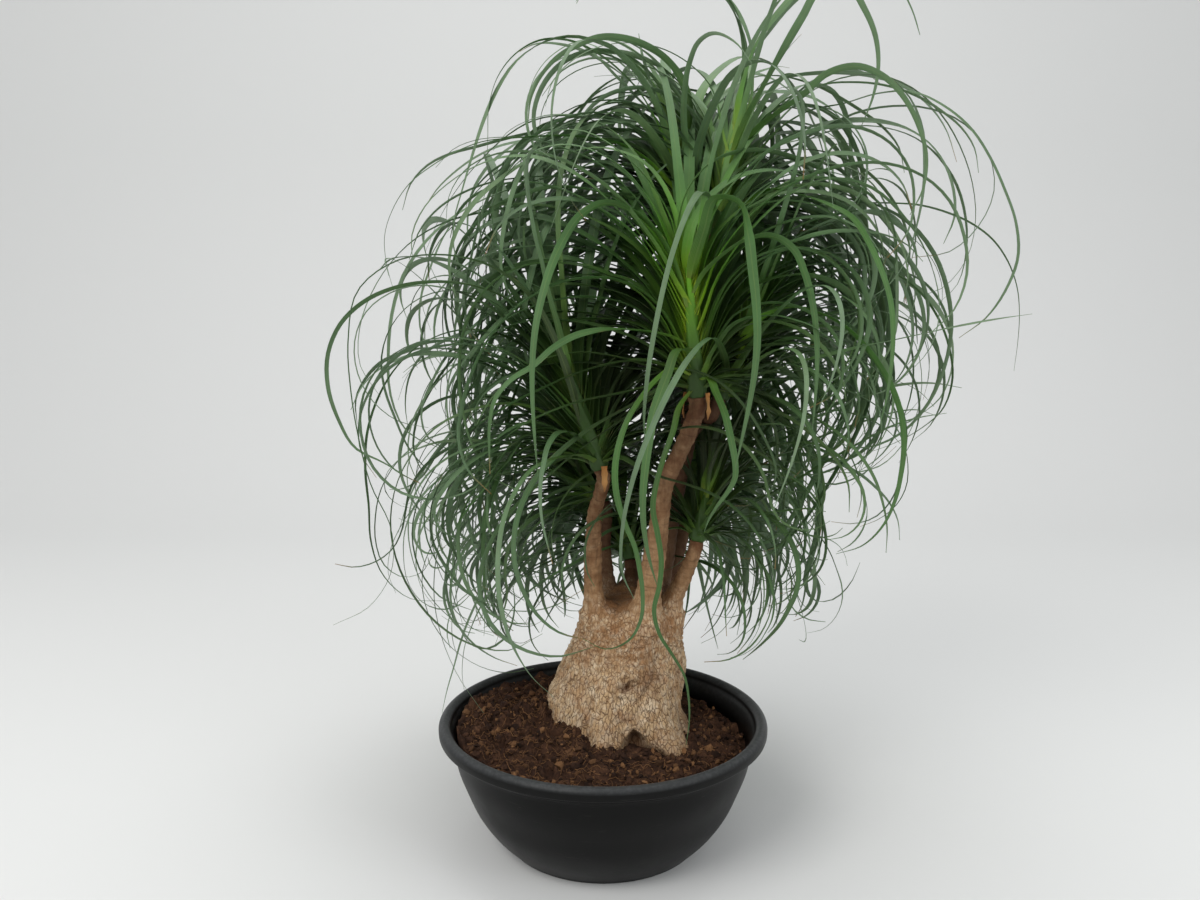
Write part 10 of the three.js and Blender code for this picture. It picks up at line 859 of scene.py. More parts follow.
        [0.07, 10.2, -0.52, [121, 35, 368, 134, 45, 374, 146, 58, 373, 158, 70, 369, 169, 82, 364, 181, 94, 360, 193, 106, 357, 204, 118, 353, 216, 131, 348, 227, 143, 341, 237, 154, 334, 247, 165, 325, 256, 177, 316, 267, 190, 314, 276, 203, 321, 282, 213, 335, 284, 218, 351]],
        [0.07, 7.9, 0.69, [123, 29, 367, 134, 28, 378, 149, 27, 390, 168, 25, 403, 190, 23, 416, 212, 21, 430, 236, 18, 444, 260, 16, 460, 286, 14, 476, 312, 11, 492, 340, 8, 508, 371, 5, 519, 404, 2, 525]],
        [0.10, 9.9, 0.04, [114, 37, 370, 112, 52, 379, 109, 70, 380, 104, 86, 376, 99, 103, 373, 95, 120, 371, 90, 137, 368, 85, 154, 363, 80, 169, 357, 75, 185, 350, 69, 199, 341, 64, 212, 330, 59, 224, 317, 55, 233, 303, 55, 236, 285, 58, 233, 268, 64, 225, 254]],
        [0.10, 8.5, -1.01, [109, 31, 371, 100, 31, 385, 87, 33, 400, 71, 35, 412, 54, 36, 423, 33, 38, 430, 12, 40, 434, -10, 43, 434, -32, 45, 430, -54, 47, 423, -74, 49, 411, -90, 51, 394, -101, 52, 374, -107, 53, 351, -104, 53, 327]],
        [0.11, 6.6, -0.51, [117, 23, 369, 119, 16, 375, 121, 4, 379, 123, -11, 380, 124, -27, 380, 126, -44, 381, 128, -62, 380, 130, -80, 376, 130, -98, 368, 131, -114, 356, 131, -128, 341, 131, -138, 323, 132, -144, 302]],
        [0.14, 5.1, -0.58, [122, 26, 369, 128, 22, 376, 134, 19, 383, 140, 15, 390, 147, 11, 396, 155, 6, 400, 163, 2, 403, 171, -3, 405, 180, -8, 406, 188, -14, 405, 196, -19, 403, 204, -24, 401, 213, -29, 400, 221, -35, 402, 228, -40, 406, 234, -44, 413, 238, -47, 422]],
        [0.14, 10.2, 0.22, [115, 37, 370, 116, 49, 382, 116, 63, 390, 115, 79, 397, 114, 94, 404, 113, 110, 410, 112, 125, 416, 111, 141, 421, 109, 158, 424, 107, 174, 426, 105, 191, 426, 103, 208, 424, 100, 223, 419, 96, 238, 412, 92, 250, 401, 89, 258, 386, 86, 259, 370]],
        [0.16, 7.7, -1.00, [109, 28, 372, 103, 26, 381, 92, 23, 390, 77, 19, 398, 59, 14, 403, 40, 9, 405, 20, 3, 405, -1, -3, 400, -20, -8, 390, -36, -13, 373, -46, -16, 352, -49, -16, 328, -43, -15, 304]],
        [0.18, 6.4, 0.96, [123, 29, 369, 137, 28, 373, 151, 25, 371, 163, 24, 364, 175, 22, 356, 186, 21, 346, 195, 19, 335, 202, 18, 322, 206, 17, 308, 209, 17, 294, 209, 17, 280, 206, 17, 265, 200, 18, 252, 193, 19, 239, 184, 21, 229, 172, 24, 220, 159, 27, 216]],
        [0.19, 6.8, -0.13, [123, 30, 369, 134, 30, 375, 146, 30, 379, 159, 30, 380, 172, 30, 378, 184, 30, 375, 195, 30, 369, 206, 30, 362, 215, 29, 354, 224, 29, 344, 230, 29, 333, 234, 29, 321, 237, 29, 309, 240, 29, 296, 246, 29, 285, 256, 29, 277, 268, 30, 274]],
        [0.21, 7.9, -1.55, [110, 33, 372, 101, 39, 381, 89, 45, 385, 77, 51, 385, 65, 58, 383, 52, 64, 380, 41, 70, 377, 29, 76, 373, 17, 82, 368, 6, 88, 362, -4, 94, 354, -14, 99, 346, -24, 104, 337, -33, 108, 328, -40, 111, 316, -43, 114, 303, -43, 114, 289]],
        [0.25, 6.3, 1.16, [122, 25, 370, 127, 21, 377, 134, 17, 384, 143, 11, 389, 151, 4, 395, 160, -3, 398, 170, -10, 403, 179, -18, 406, 189, -25, 410, 199, -33, 414, 209, -41, 417, 219, -49, 420, 229, -57, 423, 239, -67, 424, 248, -78, 424]],
        [0.25, 11.9, 0.39, [114, 37, 372, 113, 46, 384, 110, 62, 396, 106, 82, 408, 100, 105, 418, 93, 130, 427, 85, 157, 434, 76, 185, 438, 67, 215, 436, 57, 244, 428, 47, 272, 413, 40, 295, 389, 36, 311, 359]],
        [0.26, 11.9, -0.93, [110, 34, 373, 106, 38, 384, 98, 43, 394, 90, 49, 405, 81, 56, 415, 71, 63, 424, 60, 69, 434, 49, 77, 444, 38, 84, 453, 26, 92, 460, 12, 100, 467, -2, 108, 473, -16, 115, 477, -32, 122, 479, -49, 127, 476]],
        [0.27, 7.4, 1.74, [110, 31, 373, 107, 31, 379, 103, 32, 388, 97, 33, 396, 89, 34, 404, 78, 35, 410, 66, 36, 413, 52, 38, 415, 39, 39, 414, 25, 41, 410, 12, 43, 404, -1, 44, 395, -11, 45, 384]],
        [0.28, 7.4, -0.59, [110, 30, 374, 104, 29, 390, 96, 28, 409, 85, 27, 427, 70, 25, 442, 50, 23, 453, 29, 21, 459, 6, 19, 458, -16, 17, 450, -35, 16, 436, -50, 14, 416, -59, 13, 394, -62, 13, 370, -58, 13, 345, -47, 14, 323]],
        [0.29, 11.6, 0.28, [114, 37, 373, 112, 50, 384, 109, 66, 392, 104, 82, 396, 99, 99, 399, 94, 116, 401, 89, 132, 402, 83, 149, 403, 78, 166, 402, 72, 182, 399, 66, 198, 394, 59, 212, 387, 50, 223, 377, 41, 225, 362, 34, 217, 348, 30, 203, 339, 30, 186, 334]],
        [0.30, 5.2, -1.17, [123, 28, 371, 131, 25, 378, 141, 23, 384, 150, 20, 388, 161, 16, 391, 171, 13, 392, 182, 10, 393, 193, 6, 393, 203, 3, 392, 214, 0, 391, 224, -3, 388, 234, -6, 385, 244, -10, 381, 254, -14, 379, 264, -19, 381, 273, -24, 386, 279, -29, 394]],
        [0.33, 9.1, -1.10, [110, 33, 374, 105, 37, 387, 96, 42, 401, 86, 48, 414, 73, 55, 425, 59, 62, 436, 44, 69, 445, 28, 77, 453, 11, 85, 458, -8, 92, 460, -27, 98, 459, -47, 102, 455, -66, 104, 448, -84, 103, 438, -98, 100, 423]],
        [0.34, 6.4, 0.76, [110, 30, 374, 101, 29, 388, 90, 29, 399, 77, 28, 409, 62, 27, 416, 46, 26, 421, 30, 26, 423, 14, 25, 424, -2, 24, 422, -18, 23, 417, -32, 23, 410, -45, 22, 401, -57, 22, 389, -65, 25, 375, -67, 29, 360, -64, 36, 345, -56, 43, 333]],
        [0.36, 7.3, 1.21, [124, 29, 372, 131, 28, 376, 143, 27, 378, 156, 26, 377, 168, 24, 370, 180, 23, 359, 190, 22, 346, 197, 21, 331, 201, 20, 314, 201, 20, 296, 198, 21, 278, 189, 22, 261, 175, 23, 247]],
        [0.42, 5.7, -1.29, [124, 29, 373, 129, 29, 379, 134, 29, 386, 141, 28, 393, 147, 28, 400, 156, 27, 405, 165, 26, 410, 175, 25, 414, 185, 25, 418, 195, 24, 421, 205, 23, 424, 216, 22, 426, 227, 22, 427, 238, 21, 427, 249, 20, 426]],
        [0.42, 11.7, 0.09, [121, 36, 373, 126, 40, 382, 132, 45, 393, 139, 52, 406, 148, 61, 418, 158, 72, 430, 170, 85, 440, 182, 99, 449, 194, 114, 456, 208, 131, 461, 221, 150, 461, 234, 168, 456, 246, 186, 446]],
        [0.43, 5.3, -0.48, [124, 31, 373, 135, 32, 380, 147, 33, 384, 160, 34, 385, 172, 36, 381, 184, 37, 376, 195, 38, 370, 205, 39, 362, 214, 41, 354, 222, 42, 343, 228, 42, 332, 233, 43, 320, 235, 43, 307, 235, 43, 294, 232, 41, 282, 224, 37, 272, 214, 33, 266]],
        [0.44, 10.0, -0.83, [111, 33, 376, 106, 37, 391, 97, 43, 411, 84, 51, 432, 66, 62, 452, 45, 74, 470, 20, 87, 485, -9, 101, 494, -41, 114, 495, -74, 126, 489, -106, 133, 474, -136, 134, 452, -163, 130, 425]],
        [0.45, 9.5, -0.01, [115, 36, 375, 114, 43, 388, 114, 52, 403, 113, 62, 419, 111, 73, 434, 108, 86, 448, 104, 101, 461, 101, 116, 473, 96, 133, 484, 90, 150, 493, 84, 169, 500, 77, 189, 504, 70, 209, 503, 61, 227, 495, 54, 242, 482]],
        [0.49, 5.5, -0.54, [123, 27, 374, 129, 24, 382, 134, 22, 391, 140, 20, 399, 147, 17, 406, 156, 13, 410, 165, 8, 412, 174, 4, 413, 183, -1, 411, 192, -5, 409, 201, -10, 405, 209, -13, 400, 216, -17, 394, 223, -19, 386, 229, -20, 378, 233, -18, 368, 235, -15, 359]],
        [0.51, 11.4, 0.42, [117, 37, 376, 118, 43, 386, 120, 50, 398, 121, 58, 411, 123, 67, 423, 124, 79, 433, 125, 91, 442, 125, 105, 451, 125, 120, 458, 125, 136, 463, 124, 153, 466, 123, 170, 467, 122, 186, 464, 120, 203, 458, 119, 217, 449]],
        [0.52, 8.0, 1.27, [111, 28, 377, 105, 26, 389, 98, 22, 402, 88, 19, 415, 75, 13, 424, 59, 8, 429, 43, 2, 429, 26, -3, 426, 10, -9, 419, -3, -15, 407, -13, -18, 392, -20, -20, 375, -21, -21, 356, -18, -20, 337, -10, -17, 320]],
        [0.53, 6.9, 0.14, [119, 24, 376, 124, 16, 387, 129, 8, 399, 135, -1, 409, 140, -12, 418, 145, -24, 425, 150, -37, 430, 155, -51, 434, 160, -65, 436, 165, -79, 436, 169, -93, 434, 172, -107, 430, 175, -121, 425, 178, -134, 417, 180, -144, 406, 181, -151, 393, 180, -155, 379]],
        [0.58, 10.3, -0.41, [126, 32, 391, 133, 32, 400, 139, 34, 411, 147, 35, 423, 155, 37, 434, 164, 39, 446, 174, 40, 457, 185, 42, 467, 196, 45, 477, 208, 48, 486, 221, 52, 494, 235, 56, 500, 250, 61, 504, 265, 67, 506, 280, 73, 503]],
        [0.58, 11.1, -0.06, [118, 37, 377, 122, 44, 392, 127, 52, 409, 130, 61, 428, 136, 71, 446, 140, 84, 463, 145, 99, 479, 150, 115, 494, 155, 132, 509, 159, 152, 521, 164, 172, 531, 167, 195, 538, 169, 219, 541, 170, 242, 537, 168, 263, 525]],
        [0.63, 10.5, -0.01, [117, 31, 399, 115, 33, 412, 112, 34, 427, 109, 36, 443, 104, 38, 459, 99, 40, 476, 94, 43, 492, 86, 46, 508, 77, 49, 524, 67, 53, 539, 54, 57, 552, 40, 62, 563, 23, 67, 571, 5, 71, 575, -14, 75, 575]],
        [0.65, 8.6, 0.87, [126, 34, 408, 136, 42, 428, 146, 51, 451, 157, 61, 474, 170, 73, 497, 186, 87, 518, 204, 105, 535, 225, 124, 547, 247, 145, 555, 270, 166, 560, 294, 188, 559, 317, 210, 554, 340, 230, 544, 358, 247, 522, 368, 255, 491]],
        [0.67, 7.5, 0.03, [124, 26, 393, 129, 22, 402, 135, 18, 414, 141, 14, 428, 150, 7, 441, 162, -3, 451, 176, -15, 457, 192, -28, 460, 208, -41, 459, 223, -55, 452, 236, -66, 438, 244, -73, 419, 244, -73, 396]],
        [0.67, 9.2, 0.21, [124, 33, 382, 131, 36, 392, 138, 39, 404, 147, 41, 417, 155, 44, 430, 165, 47, 443, 177, 52, 453, 189, 57, 463, 202, 63, 472, 216, 70, 480, 231, 77, 486, 246, 84, 492, 262, 92, 496, 278, 99, 496, 294, 107, 491]],
        [0.71, 7.7, 1.23, [128, 28, 408, 139, 24, 424, 150, 21, 441, 162, 17, 457, 177, 12, 470, 193, 7, 481, 211, 1, 488, 229, -5, 491, 248, -11, 490, 266, -17, 483, 281, -22, 470, 293, -27, 454, 301, -31, 437, 302, -36, 417, 294, -41, 400, 278, -45, 388, 258, -46, 384]],
        [0.72, 6.3, -1.24, [125, 32, 382, 133, 34, 394, 140, 37, 406, 147, 39, 418, 156, 42, 429, 166, 45, 438, 179, 49, 444, 192, 53, 445, 206, 58, 444, 219, 63, 441, 232, 67, 436, 244, 71, 430, 255, 75, 421, 265, 77, 412, 273, 77, 400, 278, 73, 387, 279, 68, 374]],
        [0.74, 9.9, 0.75, [120, 36, 394, 123, 43, 408, 126, 52, 429, 130, 62, 452, 134, 76, 477, 138, 94, 501, 141, 114, 525, 144, 137, 548, 147, 164, 570, 150, 194, 588, 154, 227, 600, 160, 264, 603, 168, 300, 595]],
        [0.78, 7.5, 0.82, [124, 32, 379, 135, 34, 390, 148, 36, 405, 165, 40, 422, 188, 45, 433, 214, 51, 428, 239, 57, 414, 259, 62, 391, 270, 64, 362, 269, 64, 330, 254, 61, 300, 228, 54, 281, 194, 46, 273]],
        [0.80, 7.4, 2.07, [123, 29, 422, 124, 28, 441, 127, 27, 462, 128, 27, 485, 124, 31, 508, 115, 37, 529, 100, 47, 546, 81, 59, 557, 59, 72, 561, 38, 85, 559, 17, 99, 551, -3, 110, 538, -19, 120, 519, -29, 127, 495, -31, 129, 469]],
        [0.82, 9.0, 0.35, [129, 32, 423, 135, 37, 435, 141, 40, 450, 148, 42, 466, 155, 46, 482, 161, 50, 499, 170, 55, 515, 179, 61, 530, 189, 67, 545, 200, 75, 560, 212, 85, 572, 227, 95, 581, 242, 106, 587, 259, 117, 588, 275, 129, 583]],
        [0.82, 8.8, -0.27, [123, 34, 412, 123, 38, 422, 123, 43, 434, 124, 48, 446, 124, 53, 459, 124, 58, 472, 124, 64, 485, 124, 71, 498, 123, 79, 511, 122, 86, 524, 120, 94, 536, 119, 104, 548, 116, 114, 560, 113, 126, 570, 108, 139, 577]],
        [0.83, 5.2, 1.01, [125, 26, 419, 126, 24, 429, 127, 23, 441, 129, 22, 454, 133, 19, 466, 137, 14, 478, 143, 6, 488, 150, -3, 497, 157, -12, 504, 164, -23, 510, 172, -34, 515, 181, -46, 518, 189, -58, 520, 198, -70, 521, 205, -83, 519]],
        [0.85, 9.1, 0.83, [129, 33, 422, 135, 37, 435, 141, 41, 450, 147, 45, 466, 154, 50, 482, 162, 55, 498, 170, 62, 513, 180, 70, 528, 190, 79, 543, 201, 90, 556, 214, 101, 566, 228, 114, 573, 243, 127, 575, 259, 141, 572, 273, 154, 564]],
        [0.87, 9.7, 0.03, [126, 33, 427, 127, 36, 441, 131, 37, 457, 133, 37, 474, 137, 38, 492, 139, 40, 510, 143, 41, 529, 146, 43, 548, 148, 46, 567, 149, 50, 587, 151, 55, 606, 152, 62, 625, 152, 71, 643, 150, 82, 660, 147, 97, 674]],
        [0.89, 5.9, -1.22, [127, 33, 419, 133, 39, 436, 138, 43, 460, 148, 50, 487, 163, 64, 510, 184, 83, 529, 207, 105, 544, 233, 129, 552, 261, 155, 554, 290, 182, 549, 318, 208, 537, 344, 233, 517, 367, 253, 488, 377, 263, 447, 365, 252, 407]],
        [0.90, 5.4, 0.68, [129, 30, 412, 134, 30, 419, 141, 29, 429, 149, 29, 441, 161, 29, 451, 176, 28, 457, 193, 28, 459, 211, 27, 457, 229, 26, 450, 244, 26, 439, 257, 25, 424, 264, 25, 406, 264, 25, 385]],
        [0.95, 5.4, 0.55, [128, 27, 423, 132, 24, 434, 137, 20, 449, 142, 17, 467, 148, 14, 486, 155, 8, 506, 163, 2, 526, 171, -7, 547, 181, -18, 566, 192, -32, 584, 204, -49, 599, 216, -71, 608, 227, -96, 607]],
        [0.98, 6.7, 1.03, [127, 33, 422, 130, 39, 435, 134, 43, 450, 137, 47, 466, 141, 52, 482, 144, 58, 499, 148, 66, 515, 152, 76, 531, 156, 86, 546, 161, 99, 560, 166, 113, 572, 172, 129, 582, 178, 147, 589, 185, 165, 591, 192, 184, 589]],
        [1.00, 8.0, 0.21, [127, 33, 426, 128, 36, 441, 132, 38, 459, 135, 37, 477, 139, 38, 496, 142, 39, 516, 146, 41, 536, 149, 43, 556, 152, 46, 577, 154, 50, 597, 156, 55, 618, 157, 62, 639, 156, 73, 658, 152, 87, 674, 146, 104, 687]],
        [0.03, 8.3, 0.43, [120, 36, 367, 131, 49, 371, 139, 63, 363, 146, 74, 351, 153, 86, 339, 161, 99, 328, 169, 111, 318, 176, 124, 306, 183, 135, 294, 189, 146, 281, 195, 157, 268, 200, 166, 253, 205, 176, 238, 206, 184, 222, 202, 186, 205, 191, 182, 191, 177, 173, 183]],
        [0.21, 8.2, -0.64, [119, 37, 371, 125, 51, 378, 130, 67, 376, 134, 83, 371, 138, 98, 363, 142, 113, 356, 145, 127, 347, 149, 140, 337, 152, 152, 325, 154, 163, 312, 155, 173, 298, 156, 181, 284, 155, 188, 268, 150, 190, 252, 140, 185, 239, 129, 176, 230, 117, 164, 227]],
        [0.05, 10.1, -0.19, [109, 33, 370, 96, 40, 387, 78, 48, 398, 59, 56, 406, 40, 65, 414, 19, 74, 418, -2, 82, 417, -22, 90, 412, -42, 97, 403, -59, 103, 390, -73, 107, 373, -83, 110, 353, -89, 110, 332, -91, 110, 309, -83, 108, 288, -67, 105, 273, -46, 102, 267]],
        [0.74, 11.2, -0.09, [125, 33, 393, 135, 37, 407, 145, 42, 424, 156, 45, 441, 168, 51, 458, 182, 58, 474, 196, 64, 490, 212, 72, 505, 229, 80, 519, 247, 89, 532, 265, 99, 544, 285, 109, 554, 306, 119, 561, 328, 129, 562, 351, 139, 556]],
        [0.74, 11.1, 0.41, [125, 34, 393, 133, 39, 408, 143, 45, 424, 153, 51, 442, 164, 58, 460, 176, 66, 477, 190, 75, 493, 204, 85, 508, 219, 97, 523, 235, 109, 536, 252, 122, 548, 270, 135, 559, 289, 149, 566, 310, 163, 566, 329, 176, 557]],
        [0.78, 7.5, -0.04, [124, 33, 379, 137, 38, 394, 150, 42, 409, 164, 48, 423, 180, 55, 433, 199, 64, 432, 216, 73, 425, 231, 81, 414, 244, 87, 400, 254, 92, 382, 259, 96, 363, 260, 97, 343, 257, 97, 322, 248, 96, 304, 232, 94, 291, 213, 91, 285, 193, 88, 288]],
        [0.10, 11.9, -0.56, [111, 35, 370, 102, 45, 381, 89, 56, 383, 76, 67, 383, 64, 78, 381, 51, 90, 380, 38, 101, 379, 25, 112, 377, 11, 122, 374, -1, 132, 368, -13, 142, 361, -25, 152, 353, -36, 160, 343, -45, 165, 329, -50, 167, 313, -50, 163, 296, -46, 156, 281]],
        [0.52, 10.1, 0.25, [122, 35, 375, 128, 41, 383, 135, 48, 393, 144, 57, 401, 154, 67, 406, 163, 79, 407, 172, 92, 405, 180, 105, 399, 187, 117, 391, 193, 128, 380, 196, 138, 367, 196, 144, 351, 194, 146, 335, 189, 144, 318, 182, 138, 304]],
        [0.36, 8.9, 0.97, [123, 33, 372, 129, 35, 376, 138, 39, 378, 148, 44, 378, 158, 49, 374, 168, 54, 367, 176, 59, 357, 184, 64, 346, 189, 68, 333, 192, 71, 318, 192, 72, 302, 190, 74, 287, 184, 73, 271]],
        [0.10, 11.9, 0.60, [119, 37, 369, 128, 50, 375, 136, 65, 374, 143, 79, 369, 150, 94, 364, 157, 109, 359, 164, 124, 354, 170, 139, 348, 177, 153, 340, 182, 166, 331, 187, 179, 321, 191, 191, 309, 194, 201, 296, 197, 210, 281, 199, 213, 265, 199, 210, 249, 198, 201, 234]],
    ]},
    "rear_left": {"base": [-0.0036, 0.14, 0.3927], "tip": [-0.0575, 0.175, 0.4679], "leaves": [
        [0.00, 15.3, 0.20, [-1, 147, 396, 8, 169, 408, 24, 189, 411, 41, 210, 415, 56, 231, 420, 72, 252, 425, 89, 272, 427, 108, 292, 428, 127, 309, 426, 149, 324, 421, 171, 337, 413, 192, 346, 400, 213, 351, 384, 226, 347, 362, 226, 333, 340, 217, 315, 323, 202, 296, 311]],
        [0.00, 14.1, -1.27, [-9, 146, 391, -20, 157, 392, -30, 168, 388, -40, 179, 382, -49, 190, 376, -58, 201, 370, -68, 212, 365, -77, 222, 359, -86, 233, 351, -94, 242, 343, -101, 252, 332, -109, 260, 321, -116, 266, 309, -122, 268, 295, -126, 265, 281, -128, 255, 268, -127, 242, 260]],
        [0.02, 9.6, 1.78, [0, 146, 398, 17, 164, 412, 43, 177, 414, 68, 192, 418, 92, 208, 421, 116, 224, 423, 140, 240, 424, 164, 257, 423, 188, 273, 420, 212, 290, 416, 235, 306, 410, 258, 322, 401, 276, 338, 385, 276, 351, 360, 258, 354, 339, 232, 349, 326, 205, 339, 322]],
        [0.03, 15.3, 0.16, [-5, 149, 394, -8, 170, 395, -3, 189, 387, 3, 206, 376, 8, 225, 368, 12, 244, 360, 16, 263, 351, 21, 281, 342, 27, 299, 332, 34, 315, 321, 41, 330, 308, 49, 344, 295, 60, 351, 278, 70, 344, 261, 75, 327, 251, 74, 306, 251, 69, 287, 259]],
        [0.05, 8.4, -0.43, [-12, 142, 392, -33, 144, 388, -49, 141, 372, -63, 138, 355, -79, 136, 340, -96, 135, 325, -113, 134, 310, -128, 133, 295, -143, 132, 278, -156, 131, 260, -167, 130, 241, -176, 129, 220, -184, 128, 199, -188, 127, 177, -189, 125, 155, -186, 124, 133, -179, 122, 112]],
        [0.07, 14.4, -0.01, [-7, 149, 394, -12, 167, 394, -13, 185, 388, -13, 201, 379, -12, 218, 370, -12, 235, 363, -12, 252, 355, -12, 269, 346, -11, 285, 337, -10, 301, 326, -7, 316, 315, -3, 330, 303, 3, 343, 290, 12, 351, 277, 25, 354, 263, 39, 351, 251, 54, 343, 243]],
        [0.07, 8.9, 0.23, [-3, 138, 402, 7, 128, 423, 24, 113, 435, 41, 98, 446, 57, 82, 458, 74, 67, 470, 91, 50, 479, 109, 34, 486, 128, 16, 490, 146, -1, 491, 165, -18, 488, 183, -35, 481, 199, -46, 465, 206, -43, 441, 203, -30, 420, 193, -12, 405, 179, 8, 395]],
        [0.07, 12.6, -0.37, [-8, 148, 393, -16, 164, 393, -22, 179, 388, -26, 195, 380, -30, 210, 372, -34, 225, 363, -39, 241, 356, -43, 256, 348, -47, 271, 339, -50, 285, 329, -53, 299, 318, -54, 312, 306, -53, 324, 293, -47, 333, 278, -36, 337, 265, -22, 336, 254, -7, 330, 248]],
        [0.07, 12.9, 0.46, [-5, 149, 395, -6, 172, 400, -1, 195, 395, 6, 217, 389, 12, 239, 383, 18, 262, 378, 24, 284, 372, 31, 306, 365, 39, 326, 356, 49, 346, 346, 60, 364, 335, 71, 381, 323, 83, 396, 308, 97, 408, 293, 114, 413, 277, 132, 408, 262, 146, 392, 252]],
        [0.10, 15.5, 0.43, [-4, 149, 397, -3, 173, 405, 6, 200, 408, 16, 229, 408, 27, 258, 408, 38, 288, 407, 53, 317, 403, 70, 345, 396, 90, 370, 385, 112, 391, 370, 136, 407, 351, 162, 417, 329, 187, 416, 304, 207, 402, 279, 220, 377, 257]],
        [0.12, 12.8, 0.45, [-10, 148, 394, -20, 163, 395, -30, 178, 392, -38, 193, 386, -46, 208, 379, -53, 223, 372, -61, 238, 365, -68, 253, 358, -75, 267, 349, -81, 281, 339, -86, 295, 328, -91, 308, 317, -98, 323, 309, -108, 337, 307, -120, 351, 310, -132, 362, 319, -143, 370, 330]],
        [0.14, 8.9, 1.15, [-2, 143, 402, 1, 148, 416, 6, 153, 431, 14, 157, 447, 25, 163, 460, 39, 169, 472, 55, 177, 480, 71, 185, 486, 89, 194, 488, 108, 202, 486, 125, 211, 480, 142, 219, 471, 156, 226, 458, 168, 233, 442, 176, 238, 422]],
        [0.15, 12.5, 0.30, [-10, 148, 394, -21, 163, 398, -31, 180, 398, -40, 196, 394, -48, 212, 389, -56, 228, 383, -63, 244, 376, -69, 260, 367, -74, 275, 356, -77, 289, 343, -80, 301, 329, -80, 312, 314, -80, 322, 297, -78, 329, 280, -75, 330, 261, -71, 324, 244, -66, 312, 230]],
        [0.16, 8.7, 0.11, [-13, 138, 397, -41, 129, 402, -67, 114, 398, -91, 98, 392, -117, 83, 385, -141, 68, 375, -162, 55, 359, -179, 45, 336, -188, 39, 308, -188, 39, 278, -180, 44, 250, -167, 53, 224, -146, 70, 213, -125, 88, 224, -116, 98, 250, -116, 100, 280, -124, 95, 309]],
        [0.16, 13.1, -0.61, [-3, 148, 400, 3, 169, 412, 15, 190, 419, 30, 210, 424, 44, 229, 429, 59, 249, 434, 74, 269, 438, 90, 288, 440, 107, 306, 441, 125, 323, 440, 144, 339, 437, 164, 353, 430, 185, 364, 422, 203, 372, 407, 212, 370, 384, 210, 361, 362, 197, 346, 346]],
        [0.20, 16.5, -1.00, [-4, 149, 400, -1, 174, 413, 9, 200, 422, 21, 225, 428, 33, 251, 433, 47, 276, 437, 62, 300, 439, 80, 323, 438, 99, 344, 433, 119, 362, 424, 141, 376, 411, 161, 386, 394, 181, 390, 373, 198, 388, 351, 211, 373, 330, 214, 348, 317, 208, 320, 314]],
        [0.21, 12.0, -0.07, [-6, 150, 399, -6, 173, 408, -1, 197, 410, 6, 221, 409, 15, 244, 407, 23, 268, 406, 32, 290, 403, 42, 312, 399, 54, 333, 391, 67, 352, 382, 82, 368, 371, 98, 383, 359, 116, 390, 344, 133, 382, 328, 142, 362, 318, 142, 338, 314, 137, 314, 317]],
        [0.21, 16.1, -0.13, [-4, 149, 400, -3, 169, 416, 3, 190, 428, 10, 211, 439, 19, 232, 449, 30, 253, 458, 43, 274, 465, 57, 294, 470, 74, 313, 470, 93, 329, 467, 114, 341, 461, 135, 350, 450, 156, 355, 437, 173, 353, 419, 184, 342, 400, 189, 326, 381, 188, 307, 364]],
        [0.21, 8.0, -0.03, [-13, 138, 399, -25, 136, 410, -39, 132, 421, -55, 129, 432, -71, 122, 441, -89, 114, 446, -108, 105, 449, -128, 97, 450, -147, 88, 448, -167, 80, 442, -185, 71, 433, -202, 64, 421, -217, 57, 405, -227, 51, 385, -231, 49, 363]],
        [0.23, 13.1, 0.10, [-11, 149, 396, -22, 162, 400, -34, 175, 404, -45, 189, 406, -54, 204, 407, -65, 218, 406, -75, 233, 403, -84, 248, 399, -92, 263, 392, -99, 277, 384, -105, 291, 375, -110, 304, 363, -114, 316, 351, -116, 326, 336, -114, 331, 320, -108, 333, 303, -100, 329, 287]],
        [0.23, 11.0, 0.87, [-13, 147, 395, -36, 165, 395, -57, 182, 385, -78, 199, 372, -98, 217, 360, -118, 234, 347, -138, 250, 333, -157, 266, 318, -176, 282, 302, -194, 297, 285, -211, 312, 266, -228, 326, 246, -241, 336, 223, -243, 336, 194, -232, 325, 170, -212, 307, 157, -191, 288, 159]],
        [0.24, 9.3, 0.83, [-3, 143, 405, -2, 146, 423, 3, 150, 448, 15, 153, 476, 31, 155, 503, 56, 159, 527, 89, 163, 541, 126, 169, 542, 163, 174, 530, 196, 179, 508, 225, 183, 478, 245, 186, 440, 254, 187, 398, 250, 186, 354, 229, 184, 314]],
        [0.26, 14.1, -0.21, [-5, 150, 401, -4, 166, 410, 1, 183, 417, 8, 200, 421, 17, 217, 423, 26, 233, 424, 37, 248, 424, 49, 263, 423, 61, 276, 420, 75, 289, 415, 89, 299, 408, 103, 308, 399, 117, 313, 388, 132, 317, 377, 146, 313, 365, 157, 301, 355, 162, 284, 350]],
        [0.27, 12.5, -0.09, [-7, 150, 400, -11, 164, 409, -16, 179, 418, -19, 197, 428, -21, 216, 436, -23, 235, 444, -23, 256, 450, -23, 277, 455, -21, 299, 459, -17, 322, 460, -12, 344, 459, -3, 365, 454, 7, 384, 445, 20, 398, 432, 34, 407, 414]],
        [0.27, 10.7, 0.59, [-13, 148, 396, -35, 167, 405, -56, 187, 410, -78, 207, 410, -99, 228, 406, -120, 249, 399, -141, 268, 390, -161, 287, 377, -179, 305, 361, -195, 321, 341, -210, 335, 319, -221, 346, 294, -229, 354, 266, -229, 348, 237, -218, 328, 219, -201, 303, 219, -185, 283, 234]],
